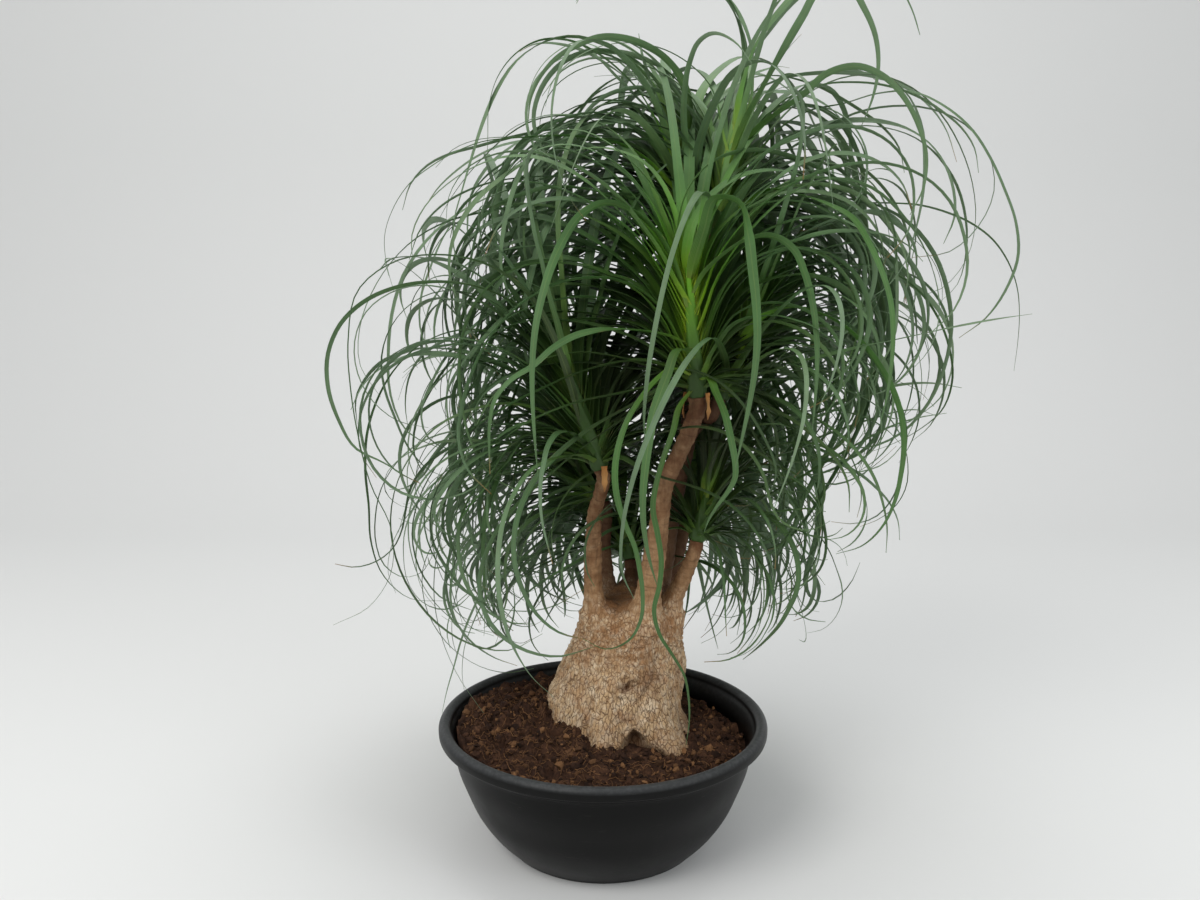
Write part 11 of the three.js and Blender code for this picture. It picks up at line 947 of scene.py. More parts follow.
        [0.28, 8.0, -1.49, [-14, 138, 401, -24, 136, 409, -39, 131, 420, -56, 123, 430, -75, 113, 440, -95, 100, 447, -117, 86, 451, -140, 71, 451, -163, 56, 445, -183, 43, 430, -198, 34, 407, -204, 30, 377, -198, 34, 347]],
        [0.29, 14.1, -0.43, [-13, 149, 397, -26, 161, 401, -39, 174, 404, -51, 188, 405, -63, 201, 404, -76, 214, 401, -87, 228, 396, -98, 242, 390, -108, 255, 382, -117, 268, 372, -125, 279, 361, -132, 290, 348, -138, 301, 334, -144, 310, 319, -151, 324, 310, -158, 341, 311, -164, 355, 321]],
        [0.30, 7.1, -2.60, [-4, 145, 405, 5, 152, 424, 22, 156, 439, 42, 158, 448, 63, 161, 454, 85, 163, 458, 107, 167, 459, 129, 170, 457, 151, 172, 453, 172, 174, 446, 192, 177, 436, 211, 179, 425, 229, 179, 410, 240, 176, 392, 245, 170, 371, 243, 161, 350, 236, 152, 331]],
        [0.33, 8.7, 0.43, [-14, 148, 397, -31, 160, 402, -54, 178, 406, -79, 199, 402, -107, 221, 392, -135, 244, 379, -163, 267, 361, -190, 289, 337, -215, 309, 306, -232, 324, 267, -239, 329, 222, -228, 320, 176, -200, 297, 145, -163, 267, 130, -124, 235, 128]],
        [0.33, 12.8, -0.39, [-6, 150, 402, -3, 174, 416, 6, 200, 424, 19, 225, 429, 34, 249, 432, 49, 273, 433, 66, 296, 433, 84, 318, 430, 103, 339, 425, 123, 358, 418, 144, 374, 407, 166, 387, 394, 187, 397, 378, 205, 399, 357, 215, 390, 332, 213, 371, 311, 201, 349, 298]],
        [0.33, 13.6, -0.23, [-10, 151, 399, -19, 167, 406, -28, 186, 413, -38, 207, 417, -45, 231, 418, -51, 255, 416, -56, 279, 411, -58, 304, 402, -58, 327, 391, -57, 349, 375, -53, 368, 357, -47, 384, 336, -39, 394, 311, -28, 395, 286, -16, 386, 262]],
        [0.34, 8.6, 1.40, [-15, 140, 401, -31, 139, 410, -47, 136, 419, -64, 132, 427, -81, 128, 432, -98, 121, 434, -116, 114, 434, -133, 106, 431, -150, 99, 427, -166, 93, 420, -180, 87, 410, -193, 82, 397, -202, 77, 382, -203, 75, 364, -196, 76, 347, -183, 78, 334, -166, 83, 326]],
        [0.37, 11.5, -0.77, [-12, 150, 399, -23, 168, 404, -34, 187, 407, -43, 207, 407, -51, 227, 402, -59, 246, 397, -66, 266, 390, -71, 285, 381, -75, 304, 369, -77, 321, 356, -78, 337, 342, -77, 351, 325, -75, 363, 306, -67, 369, 287, -54, 368, 269, -39, 360, 256, -23, 347, 250]],
        [0.38, 13.0, -1.02, [-6, 149, 404, -5, 160, 416, -1, 172, 428, 4, 186, 440, 13, 201, 450, 23, 215, 459, 35, 229, 468, 48, 243, 475, 63, 258, 481, 79, 271, 486, 96, 284, 487, 114, 296, 486, 133, 306, 480, 152, 312, 469, 168, 313, 454]],
        [0.39, 8.5, -0.64, [-17, 145, 399, -31, 148, 400, -50, 151, 397, -71, 152, 387, -89, 152, 370, -107, 151, 351, -125, 150, 330, -142, 150, 306, -157, 149, 280, -170, 149, 251, -183, 148, 222, -194, 148, 191, -203, 148, 159, -213, 147, 126, -221, 147, 92]],
        [0.41, 11.3, -0.37, [-12, 151, 400, -22, 168, 405, -31, 185, 407, -39, 204, 408, -47, 222, 405, -52, 241, 400, -57, 259, 394, -61, 277, 386, -64, 295, 376, -65, 311, 365, -66, 327, 353, -66, 341, 339, -65, 354, 323, -64, 366, 307, -69, 381, 295, -81, 396, 290, -97, 407, 294]],
        [0.41, 13.7, -0.47, [-13, 150, 400, -25, 165, 406, -41, 186, 413, -59, 211, 416, -75, 240, 413, -92, 271, 404, -106, 302, 389, -116, 333, 367, -123, 360, 337, -124, 381, 301, -120, 392, 260, -112, 391, 217, -99, 375, 176]],
        [0.43, 6.8, -0.87, [-6, 145, 408, -3, 150, 427, 0, 154, 446, 9, 156, 464, 24, 159, 476, 42, 160, 482, 62, 162, 483, 82, 164, 480, 100, 166, 473, 116, 167, 461, 129, 168, 446, 139, 169, 429, 146, 169, 411, 146, 170, 391, 136, 169, 375, 118, 168, 367, 98, 166, 370]],
        [0.45, 8.4, -0.35, [-18, 143, 401, -32, 145, 409, -48, 147, 418, -66, 149, 426, -85, 150, 432, -106, 149, 434, -127, 148, 433, -148, 146, 429, -168, 144, 423, -188, 143, 413, -204, 141, 398, -217, 140, 380, -226, 139, 359, -230, 139, 336, -228, 139, 313]],
        [0.46, 14.9, 0.65, [-11, 152, 402, -16, 167, 410, -21, 183, 418, -27, 200, 424, -29, 218, 428, -31, 236, 431, -31, 254, 431, -31, 273, 430, -29, 291, 427, -27, 309, 424, -23, 326, 419, -18, 343, 413, -12, 358, 405, -4, 371, 395, 8, 376, 382, 19, 369, 369, 26, 355, 361]],
        [0.46, 10.6, -0.29, [-16, 149, 400, -36, 166, 408, -58, 182, 415, -79, 200, 415, -99, 217, 411, -119, 235, 403, -139, 252, 394, -158, 268, 383, -177, 284, 371, -195, 300, 358, -213, 316, 344, -230, 331, 329, -246, 346, 312, -254, 358, 289, -247, 364, 263, -230, 361, 242, -208, 354, 227]],
        [0.47, 8.3, -0.18, [-12, 140, 408, -23, 138, 431, -37, 138, 456, -51, 136, 483, -65, 130, 512, -78, 123, 541, -91, 115, 570, -103, 105, 600, -115, 93, 630, -125, 79, 659, -134, 60, 688, -141, 39, 715, -143, 13, 740, -139, -18, 758, -127, -51, 761]],
        [0.47, 10.5, 1.15, [-7, 145, 409, -4, 150, 431, 3, 155, 456, 18, 158, 479, 39, 160, 498, 63, 160, 516, 89, 161, 530, 118, 162, 541, 148, 164, 548, 179, 164, 545, 208, 165, 532, 230, 166, 510, 242, 167, 480, 243, 167, 447, 230, 166, 417]],
        [0.51, 11.4, -0.03, [-22, 145, 408, -49, 149, 427, -75, 152, 446, -104, 153, 462, -134, 150, 474, -165, 148, 483, -198, 146, 483, -229, 144, 474, -257, 142, 457, -279, 140, 433, -294, 139, 404, -301, 139, 372, -302, 138, 339, -293, 136, 308, -268, 127, 292, -239, 116, 300, -221, 109, 327]],
        [0.51, 15.8, -1.13, [-14, 151, 402, -28, 167, 409, -41, 184, 417, -54, 201, 423, -66, 219, 425, -78, 238, 423, -88, 258, 419, -97, 277, 413, -105, 296, 405, -112, 314, 394, -118, 331, 380, -122, 347, 364, -125, 359, 346, -127, 362, 324, -126, 354, 304, -124, 337, 289, -120, 316, 283]],
        [0.52, 9.0, 0.05, [-18, 147, 401, -38, 154, 404, -59, 161, 403, -79, 167, 398, -97, 172, 388, -113, 175, 374, -128, 178, 358, -140, 181, 340, -149, 183, 321, -154, 184, 300, -156, 184, 278, -154, 183, 257, -149, 182, 236, -137, 179, 218, -118, 174, 209, -98, 168, 210, -80, 163, 221]],
        [0.56, 13.9, -0.16, [-18, 148, 402, -33, 154, 409, -49, 162, 418, -65, 172, 428, -84, 180, 435, -104, 189, 438, -126, 198, 437, -147, 205, 433, -168, 212, 426, -188, 218, 413, -205, 222, 397, -219, 223, 377, -228, 220, 354, -230, 215, 330, -223, 206, 308]],
        [0.56, 11.3, 2.13, [-23, 151, 410, -42, 161, 419, -63, 172, 432, -87, 184, 442, -113, 196, 447, -140, 209, 446, -167, 222, 441, -193, 234, 429, -215, 244, 409, -233, 253, 384, -245, 259, 355, -248, 260, 323, -240, 256, 291, -223, 248, 264, -199, 236, 245]],
        [0.56, 14.1, -0.19, [-9, 151, 408, -11, 162, 420, -14, 178, 438, -17, 196, 458, -16, 217, 478, -8, 241, 496, 3, 267, 513, 19, 294, 527, 40, 321, 537, 66, 346, 540, 97, 366, 533, 129, 377, 515, 157, 378, 488]],
        [0.58, 10.2, 0.10, [-17, 150, 402, -38, 169, 411, -60, 188, 417, -82, 207, 420, -103, 228, 415, -123, 248, 408, -142, 268, 398, -162, 287, 387, -181, 306, 375, -199, 324, 360, -217, 342, 344, -233, 358, 325, -249, 376, 309, -264, 401, 313, -270, 418, 336, -265, 421, 364, -253, 413, 390]],
        [0.59, 13.8, 0.25, [-19, 156, 413, -27, 168, 422, -35, 182, 434, -46, 197, 445, -55, 213, 456, -63, 232, 465, -70, 253, 470, -75, 275, 473, -78, 298, 474, -80, 321, 472, -80, 345, 467, -78, 367, 459, -73, 388, 446, -65, 404, 430, -53, 413, 410]],
        [0.62, 7.6, -0.11, [-20, 144, 405, -38, 145, 414, -59, 146, 424, -81, 145, 432, -106, 141, 434, -131, 135, 430, -155, 128, 423, -179, 121, 415, -202, 115, 402, -221, 109, 383, -235, 105, 360, -242, 103, 333, -242, 103, 305, -235, 105, 278, -219, 109, 254]],
        [0.62, 14.0, 0.21, [-16, 152, 404, -27, 166, 413, -38, 180, 422, -50, 193, 431, -61, 208, 439, -72, 224, 444, -83, 240, 448, -93, 257, 450, -102, 275, 450, -112, 293, 449, -120, 311, 446, -127, 329, 442, -134, 347, 440, -141, 365, 444, -147, 381, 456, -150, 392, 472, -152, 398, 490]],
        [0.63, 8.1, 0.44, [-19, 142, 407, -35, 141, 419, -52, 138, 432, -68, 135, 443, -87, 131, 452, -105, 122, 455, -123, 112, 454, -140, 102, 450, -157, 92, 442, -171, 84, 430, -182, 77, 414, -191, 71, 396, -196, 68, 377, -192, 68, 357, -180, 73, 341, -163, 81, 333, -145, 90, 334]],
        [0.64, 12.8, 0.66, [-14, 154, 413, -19, 169, 430, -25, 185, 449, -32, 203, 469, -35, 223, 488, -34, 246, 507, -30, 271, 523, -22, 296, 537, -10, 322, 549, 5, 348, 557, 25, 372, 560, 50, 391, 557, 77, 404, 546, 104, 407, 528, 127, 402, 506]],
        [0.65, 12.9, -0.50, [-20, 148, 404, -37, 157, 412, -55, 166, 423, -75, 176, 433, -97, 186, 441, -121, 195, 443, -146, 205, 441, -170, 213, 435, -195, 221, 424, -217, 226, 409, -236, 229, 389, -250, 228, 364, -258, 224, 337, -257, 216, 310, -248, 206, 284]],
        [0.66, 14.5, -0.42, [-17, 152, 404, -34, 169, 414, -51, 185, 425, -68, 202, 434, -85, 220, 441, -101, 240, 441, -117, 260, 440, -133, 280, 436, -148, 300, 430, -161, 320, 421, -174, 339, 409, -185, 357, 394, -193, 374, 376, -190, 386, 354, -173, 388, 335, -151, 380, 326, -129, 367, 326]],
        [0.67, 12.8, 0.02, [-20, 154, 408, -33, 166, 417, -47, 178, 427, -60, 191, 435, -74, 204, 443, -87, 218, 449, -101, 233, 450, -113, 249, 447, -125, 265, 441, -135, 280, 433, -144, 295, 423, -152, 309, 410, -158, 322, 396, -162, 334, 380, -160, 341, 361, -151, 341, 342, -138, 335, 328]],
        [0.67, 13.2, -0.69, [-17, 154, 407, -29, 168, 417, -41, 183, 428, -52, 197, 439, -63, 213, 448, -74, 230, 454, -84, 249, 456, -93, 268, 457, -101, 288, 455, -108, 308, 452, -114, 328, 446, -119, 347, 438, -124, 367, 434, -131, 387, 438, -138, 403, 449, -144, 414, 467, -148, 418, 487]],
        [0.69, 8.7, -0.20, [-20, 144, 406, -36, 145, 416, -51, 148, 427, -66, 150, 437, -82, 151, 447, -99, 151, 454, -118, 149, 457, -136, 146, 456, -155, 143, 453, -172, 140, 448, -189, 137, 441, -206, 134, 432, -221, 130, 422, -232, 126, 408, -238, 122, 390, -237, 118, 372, -228, 115, 356]],
        [0.69, 12.0, -0.76, [-12, 153, 408, -17, 169, 420, -22, 185, 433, -26, 201, 444, -29, 219, 454, -26, 239, 460, -22, 259, 464, -17, 278, 465, -9, 298, 464, 0, 316, 461, 11, 333, 455, 22, 347, 446, 34, 360, 436, 48, 368, 423, 65, 369, 411, 80, 362, 399, 93, 350, 390]],
        [0.70, 9.3, -0.32, [-42, 161, 440, -59, 163, 451, -76, 166, 461, -93, 168, 472, -112, 171, 480, -131, 173, 485, -151, 175, 486, -172, 176, 484, -191, 178, 479, -209, 180, 470, -226, 181, 458, -239, 182, 444, -251, 184, 427, -256, 186, 408, -254, 189, 388, -245, 192, 370, -231, 195, 356]],
        [0.73, 10.8, -0.45, [-20, 156, 413, -29, 170, 422, -40, 184, 434, -51, 200, 447, -62, 218, 457, -72, 238, 465, -81, 261, 468, -88, 285, 469, -94, 310, 466, -96, 334, 459, -97, 357, 446, -95, 377, 428, -91, 391, 406, -83, 398, 382, -73, 395, 357]],
        [0.73, 13.0, -0.15, [-25, 158, 418, -40, 175, 430, -54, 191, 442, -69, 208, 453, -83, 227, 460, -96, 249, 462, -107, 271, 461, -118, 294, 456, -127, 315, 448, -134, 337, 437, -139, 357, 423, -143, 375, 406, -145, 392, 387, -143, 405, 366, -134, 412, 344, -120, 411, 323, -102, 403, 308]],
        [0.74, 12.3, -1.16, [-14, 154, 408, -22, 172, 422, -31, 188, 436, -40, 206, 449, -47, 226, 459, -50, 249, 466, -50, 272, 469, -49, 296, 469, -45, 319, 466, -38, 341, 459, -30, 361, 449, -21, 379, 437, -9, 393, 422, 7, 399, 405, 23, 396, 389, 39, 385, 375, 52, 369, 364]],
        [0.74, 8.6, -0.47, [-54, 169, 457, -76, 172, 472, -98, 176, 486, -121, 181, 497, -146, 186, 503, -172, 191, 503, -197, 196, 498, -221, 201, 488, -242, 205, 473, -258, 208, 453, -269, 210, 429, -271, 211, 403, -266, 210, 377, -256, 208, 353, -239, 203, 334, -216, 196, 323, -191, 188, 322]],
        [0.75, 11.2, -0.48, [-21, 151, 407, -40, 161, 416, -57, 172, 426, -74, 183, 437, -93, 194, 444, -113, 205, 446, -133, 217, 444, -152, 228, 439, -171, 238, 431, -189, 247, 420, -205, 255, 405, -218, 261, 388, -229, 266, 368, -239, 269, 347, -256, 274, 333, -278, 279, 329, -299, 284, 336]],
        [0.76, 7.7, 1.41, [-42, 160, 440, -57, 160, 451, -71, 162, 463, -86, 163, 473, -103, 163, 482, -120, 163, 488, -138, 162, 491, -157, 161, 491, -175, 160, 486, -192, 159, 478, -207, 159, 467, -220, 158, 454, -230, 158, 438, -240, 159, 423, -254, 161, 411, -270, 165, 403, -288, 170, 401]],
        [0.78, 12.6, -0.54, [-33, 164, 434, -39, 177, 444, -47, 192, 455, -56, 206, 468, -64, 223, 480, -71, 241, 490, -77, 261, 500, -82, 283, 507, -85, 306, 511, -86, 330, 513, -84, 354, 511, -81, 377, 503, -74, 397, 491, -65, 413, 474, -54, 423, 455]],
        [0.79, 12.1, -0.22, [-44, 171, 449, -50, 181, 457, -57, 192, 466, -64, 204, 476, -71, 217, 486, -78, 230, 495, -85, 245, 504, -92, 260, 512, -97, 277, 520, -102, 294, 526, -106, 313, 529, -108, 332, 530, -108, 352, 529, -105, 371, 523, -100, 387, 513]],
        [0.79, 13.1, -0.46, [-19, 157, 416, -26, 174, 430, -38, 195, 451, -49, 222, 473, -52, 259, 489, -51, 300, 500, -42, 343, 503, -23, 384, 493, 5, 414, 468, 36, 426, 432, 64, 417, 390, 84, 390, 350, 94, 351, 316]],
        [0.80, 8.2, 0.34, [-22, 147, 407, -36, 151, 414, -52, 156, 424, -68, 160, 434, -86, 165, 442, -107, 167, 443, -127, 168, 437, -147, 168, 428, -165, 168, 415, -180, 168, 399, -193, 168, 380, -203, 168, 359, -207, 168, 337, -206, 168, 314, -198, 168, 292]],
        [0.81, 8.4, 2.25, [-41, 159, 443, -52, 158, 455, -66, 157, 472, -83, 156, 490, -103, 151, 508, -127, 144, 523, -154, 136, 533, -184, 126, 534, -215, 117, 525, -241, 109, 505, -257, 104, 475, -260, 103, 439, -249, 106, 405, -229, 113, 374, -201, 121, 349]],
        [0.85, 9.3, -0.89, [-50, 168, 461, -62, 167, 484, -75, 167, 511, -85, 165, 540, -91, 165, 572, -89, 165, 605, -82, 165, 638, -68, 167, 669, -48, 170, 698, -23, 172, 723, 6, 175, 744, 39, 179, 758, 74, 184, 764, 110, 188, 756, 137, 191, 732]],
        [0.87, 6.1, -0.03, [-53, 168, 461, -65, 167, 476, -81, 165, 498, -100, 163, 522, -120, 161, 549, -142, 157, 577, -165, 151, 606, -188, 141, 635, -212, 125, 663, -234, 100, 688, -250, 66, 703, -255, 24, 703, -244, -12, 684]],
        [0.90, 9.4, -0.31, [-50, 174, 460, -55, 186, 472, -60, 198, 486, -66, 210, 501, -72, 224, 516, -78, 238, 531, -82, 254, 547, -86, 271, 561, -87, 289, 575, -86, 309, 588, -83, 330, 598, -76, 351, 605, -65, 372, 608, -51, 391, 606, -34, 407, 598]],
        [0.91, 10.4, 0.26, [-50, 174, 463, -54, 184, 479, -60, 197, 501, -68, 212, 526, -76, 229, 553, -84, 247, 582, -91, 266, 613, -97, 287, 645, -99, 309, 678, -95, 333, 711, -81, 357, 743, -55, 380, 769, -18, 397, 786]],
        [0.91, 10.6, -0.90, [-55, 175, 461, -68, 186, 472, -85, 200, 491, -105, 216, 512, -128, 236, 531, -153, 260, 546, -180, 288, 556, -207, 320, 559, -234, 353, 552, -259, 385, 534, -280, 411, 503, -295, 425, 461, -303, 421, 413]],
        [0.93, 8.6, -1.55, [-58, 175, 463, -69, 182, 473, -81, 190, 487, -92, 198, 502, -104, 206, 517, -118, 215, 531, -133, 224, 544, -149, 235, 555, -167, 246, 564, -186, 258, 572, -206, 268, 575, -228, 278, 575, -249, 287, 572, -270, 294, 563, -289, 298, 549]],
        [0.94, 6.4, 0.15, [-43, 162, 450, -54, 160, 468, -68, 158, 489, -81, 156, 512, -89, 154, 537, -92, 153, 565, -87, 155, 592, -74, 163, 617, -55, 173, 636, -30, 186, 648, -4, 200, 650, 21, 215, 644, 45, 228, 630, 64, 238, 608, 74, 244, 580]],
        [0.94, 9.1, 0.23, [-51, 175, 462, -57, 186, 475, -65, 198, 490, -74, 209, 506, -82, 223, 522, -90, 237, 538, -97, 253, 554, -102, 270, 570, -105, 288, 585, -107, 308, 599, -106, 330, 610, -100, 352, 620, -90, 375, 625, -75, 395, 624, -57, 413, 619]],
        [0.97, 10.4, -0.00, [-55, 175, 461, -65, 185, 470, -75, 193, 482, -86, 202, 496, -97, 211, 509, -110, 223, 521, -123, 236, 531, -136, 251, 540, -149, 267, 546, -162, 284, 549, -173, 303, 550, -184, 323, 547, -193, 342, 540, -199, 361, 528, -200, 376, 511]],
        [0.98, 9.0, -0.02, [-54, 177, 464, -61, 187, 477, -72, 196, 492, -84, 206, 508, -95, 216, 525, -106, 227, 542, -117, 240, 559, -128, 254, 575, -138, 269, 591, -146, 287, 607, -153, 306, 621, -159, 328, 632, -160, 352, 639, -156, 378, 640, -147, 402, 635]],
        [0.98, 6.2, 0.77, [-35, 154, 432, -50, 153, 447, -66, 153, 463, -81, 152, 479, -98, 150, 492, -116, 142, 501, -135, 133, 507, -154, 123, 510, -173, 113, 509, -191, 103, 502, -208, 94, 491, -221, 87, 475, -231, 82, 456, -235, 76, 436, -231, 71, 415, -218, 67, 398, -200, 64, 386]],
        [0.99, 9.0, -0.06, [-43, 170, 447, -49, 181, 456, -56, 194, 466, -65, 207, 477, -73, 222, 487, -80, 239, 496, -85, 257, 503, -90, 277, 508, -93, 297, 512, -95, 319, 513, -94, 340, 511, -92, 361, 505, -86, 380, 496, -78, 395, 481, -67, 404, 464]],
        [0.99, 9.9, -0.01, [-51, 175, 463, -55, 184, 475, -61, 192, 488, -68, 202, 502, -75, 212, 517, -81, 222, 532, -87, 233, 547, -92, 244, 563, -97, 257, 578, -99, 271, 593, -100, 285, 608, -99, 301, 622, -95, 318, 633, -87, 336, 641, -75, 354, 646]],
        [1.00, 9.4, -0.13, [-58, 174, 463, -69, 181, 473, -81, 187, 486, -91, 195, 501, -103, 202, 516, -117, 209, 530, -132, 218, 543, -148, 226, 555, -166, 235, 564, -185, 244, 571, -206, 253, 575, -227, 260, 575, -249, 266, 570, -269, 270, 559, -286, 272, 543]],
        [0.07, 15.0, 0.64, [-10, 146, 392, -24, 160, 390, -35, 172, 379, -43, 183, 365, -52, 194, 352, -62, 206, 340, -72, 218, 328, -81, 230, 315, -90, 241, 301, -97, 251, 285, -103, 260, 269, -108, 269, 252, -111, 276, 234, -112, 282, 215, -110, 283, 196, -103, 276, 179, -93, 263, 168]],
        [0.07, 15.0, 0.11, [-12, 145, 392, -29, 155, 390, -44, 164, 381, -58, 172, 368, -72, 180, 356, -86, 188, 345, -100, 196, 334, -114, 204, 321, -127, 211, 308, -139, 217, 293, -149, 221, 277, -158, 225, 260, -166, 227, 241, -170, 226, 222, -166, 220, 203, -157, 210, 189, -143, 198, 182]],
        [0.42, 11.9, 0.28, [-11, 152, 401, -24, 178, 417, -37, 206, 430, -46, 237, 434, -53, 269, 428, -57, 297, 412, -60, 321, 389, -60, 335, 359, -57, 339, 326, -51, 332, 294, -44, 315, 267, -36, 292, 245, -27, 263, 230, -18, 232, 224, -12, 207, 242, -12, 204, 274, -16, 217, 304]],
        [0.61, 13.2, -0.25, [-18, 152, 405, -38, 169, 418, -58, 187, 432, -79, 206, 442, -101, 226, 442, -123, 245, 436, -144, 261, 421, -162, 270, 400, -175, 274, 374, -183, 271, 345, -184, 262, 317, -178, 248, 291, -165, 231, 271, -140, 215, 271, -119, 211, 291, -111, 218, 318, -112, 230, 345]],
        [0.18, 10.6, 0.00, [-13, 146, 394, -33, 161, 396, -54, 175, 391, -73, 190, 384, -93, 204, 376, -112, 218, 367, -131, 231, 356, -148, 244, 342, -163, 256, 325, -175, 266, 305, -182, 272, 281, -184, 273, 256, -181, 273, 231, -171, 269, 208, -152, 261, 193, -130, 251, 187, -107, 241, 191]],
        [0.47, 13.5, 0.21, [-13, 151, 401, -25, 172, 408, -36, 195, 411, -43, 219, 406, -49, 241, 396, -54, 263, 384, -59, 283, 369, -63, 302, 353, -66, 319, 334, -68, 333, 313, -68, 341, 289, -67, 344, 264, -64, 339, 239, -60, 334, 215, -58, 339, 190, -58, 353, 170, -60, 375, 156]],
        [0.38, 15.0, -0.19, [-16, 146, 398, -34, 153, 402, -52, 159, 402, -69, 165, 399, -87, 170, 394, -104, 174, 388, -121, 179, 380, -137, 183, 371, -153, 186, 360, -168, 188, 348, -181, 189, 335, -193, 188, 320, -204, 187, 304, -217, 191, 291, -231, 201, 283, -243, 216, 283, -249, 231, 291]],
        [0.05, 9.4, 0.09, [-8, 148, 392, -18, 164, 389, -21, 178, 376, -23, 191, 362, -26, 205, 348, -30, 220, 336, -33, 235, 324, -36, 249, 311, -39, 263, 298, -40, 277, 285, -40, 291, 271, -38, 304, 256, -35, 316, 241, -25, 324, 227, -8, 325, 218, 10, 320, 215, 26, 310, 219]],
        [0.25, 8.5, 0.29, [-9, 150, 397, -15, 162, 400, -20, 178, 401, -25, 197, 399, -29, 216, 390, -34, 234, 377, -39, 250, 359, -44, 264, 339, -50, 274, 315, -55, 281, 290, -60, 283, 263, -65, 279, 235, -67, 264, 212]],
        [0.12, 15.0, 1.04, [-13, 145, 393, -29, 153, 393, -44, 160, 389, -59, 167, 383, -73, 174, 374, -87, 181, 367, -102, 188, 359, -116, 194, 350, -130, 199, 341, -143, 205, 330, -155, 210, 319, -166, 214, 306, -177, 218, 292, -185, 222, 277, -187, 224, 260, -181, 224, 243, -170, 222, 230]],
        [0.96, 8.0, 0.28, [-46, 169, 446, -59, 182, 455, -72, 194, 464, -86, 207, 472, -102, 218, 477, -120, 227, 477, -139, 233, 472, -158, 234, 465, -175, 232, 456, -192, 227, 445, -206, 218, 433, -217, 208, 420, -229, 199, 406, -244, 195, 393, -259, 200, 381, -272, 213, 372, -282, 230, 369]],
        [0.51, 12.3, 0.28, [-20, 152, 406, -42, 168, 419, -66, 185, 434, -93, 206, 445, -121, 229, 452, -148, 255, 453, -169, 287, 447, -180, 320, 431, -181, 352, 408, -170, 379, 379, -151, 398, 349, -125, 409, 319, -92, 405, 296, -58, 384, 285, -32, 351, 288]],
        [0.51, 15.0, 0.32, [-16, 150, 401, -31, 163, 408, -46, 176, 414, -62, 189, 419, -77, 203, 420, -92, 218, 418, -106, 233, 414, -120, 247, 407, -133, 261, 398, -145, 274, 388, -156, 287, 375, -165, 298, 360, -173, 308, 343, -179, 316, 325, -183, 319, 305, -184, 315, 284, -182, 305, 266]],
        [0.16, 10.4, -0.17, [-10, 148, 395, -24, 170, 393, -36, 196, 381, -47, 223, 366, -56, 250, 351, -62, 279, 333, -59, 307, 312, -43, 329, 289, -17, 341, 268, 16, 342, 253, 50, 333, 244, 82, 314, 243, 108, 287, 250, 121, 256, 266, 122, 225, 288]],
        [0.71, 8.7, -0.26, [-23, 154, 411, -45, 170, 423, -67, 185, 437, -89, 203, 446, -112, 222, 447, -132, 243, 440, -148, 263, 424, -158, 281, 403, -164, 297, 378, -165, 310, 352, -162, 320, 324, -155, 327, 295, -143, 329, 268, -128, 328, 243, -117, 337, 217, -114, 357, 195, -120, 384, 183]],
        [0.02, 9.4, -0.22, [0, 145, 399, 12, 160, 419, 34, 172, 432, 56, 186, 442, 79, 201, 449, 102, 215, 449, 126, 228, 441, 147, 238, 425, 164, 245, 405, 177, 248, 380, 184, 247, 353, 187, 244, 325, 186, 238, 298, 181, 228, 273, 169, 210, 255, 153, 187, 251, 137, 167, 259]],
        [1.00, 10.8, 0.06, [-54, 172, 467, -60, 176, 481, -69, 181, 496, -80, 187, 510, -90, 194, 525, -99, 200, 542, -108, 204, 560, -116, 208, 579, -122, 211, 599, -127, 211, 620, -129, 210, 642, -129, 207, 663, -125, 201, 684, -116, 190, 702, -103, 178, 714]],
        [0.78, 9.2, -0.13, [-44, 166, 442, -61, 178, 451, -79, 189, 462, -97, 200, 469, -117, 210, 471, -138, 220, 468, -158, 228, 461, -176, 234, 448, -192, 236, 432, -203, 236, 412, -210, 232, 391, -212, 226, 369, -207, 217, 348, -198, 207, 330, -180, 198, 320, -159, 194, 325, -145, 197, 342]],
        [0.90, 10.0, 0.47, [-53, 174, 458, -64, 184, 465, -76, 195, 474, -89, 206, 484, -102, 218, 494, -115, 230, 502, -129, 244, 510, -144, 258, 517, -159, 272, 523, -173, 289, 526, -188, 305, 526, -203, 322, 523, -216, 339, 514, -225, 354, 500, -230, 365, 480]],
        [0.37, 12.8, 0.02, [-16, 146, 398, -36, 157, 402, -58, 166, 403, -79, 176, 399, -99, 183, 392, -119, 191, 382, -139, 198, 371, -157, 205, 358, -173, 210, 342, -187, 214, 324, -200, 217, 305, -209, 217, 283, -214, 216, 261, -216, 212, 238, -206, 206, 218, -186, 199, 208, -164, 193, 210]],
        [0.21, 15.0, -0.35, [-3, 144, 403, 3, 152, 421, 17, 159, 439, 36, 164, 455, 56, 171, 470, 76, 176, 487, 99, 181, 501, 123, 186, 514, 149, 189, 524, 177, 190, 531, 205, 189, 533, 234, 187, 531, 262, 182, 524, 288, 175, 511, 306, 165, 491]],
        [0.52, 9.1, -0.63, [-14, 152, 402, -25, 170, 407, -35, 190, 408, -43, 210, 404, -48, 230, 396, -50, 249, 385, -50, 267, 372, -48, 283, 357, -43, 297, 341, -36, 309, 324, -26, 317, 306, -13, 322, 289, 1, 322, 272, 17, 319, 257, 35, 310, 249, 51, 296, 250, 63, 280, 259]],
        [0.00, 15.0, 0.29, [0, 144, 399, 11, 155, 416, 32, 164, 428, 55, 174, 441, 77, 185, 456, 100, 196, 471, 125, 206, 484, 153, 215, 493, 183, 223, 499, 214, 228, 500, 246, 229, 495, 276, 228, 484, 302, 223, 466, 320, 213, 440, 325, 199, 411]],
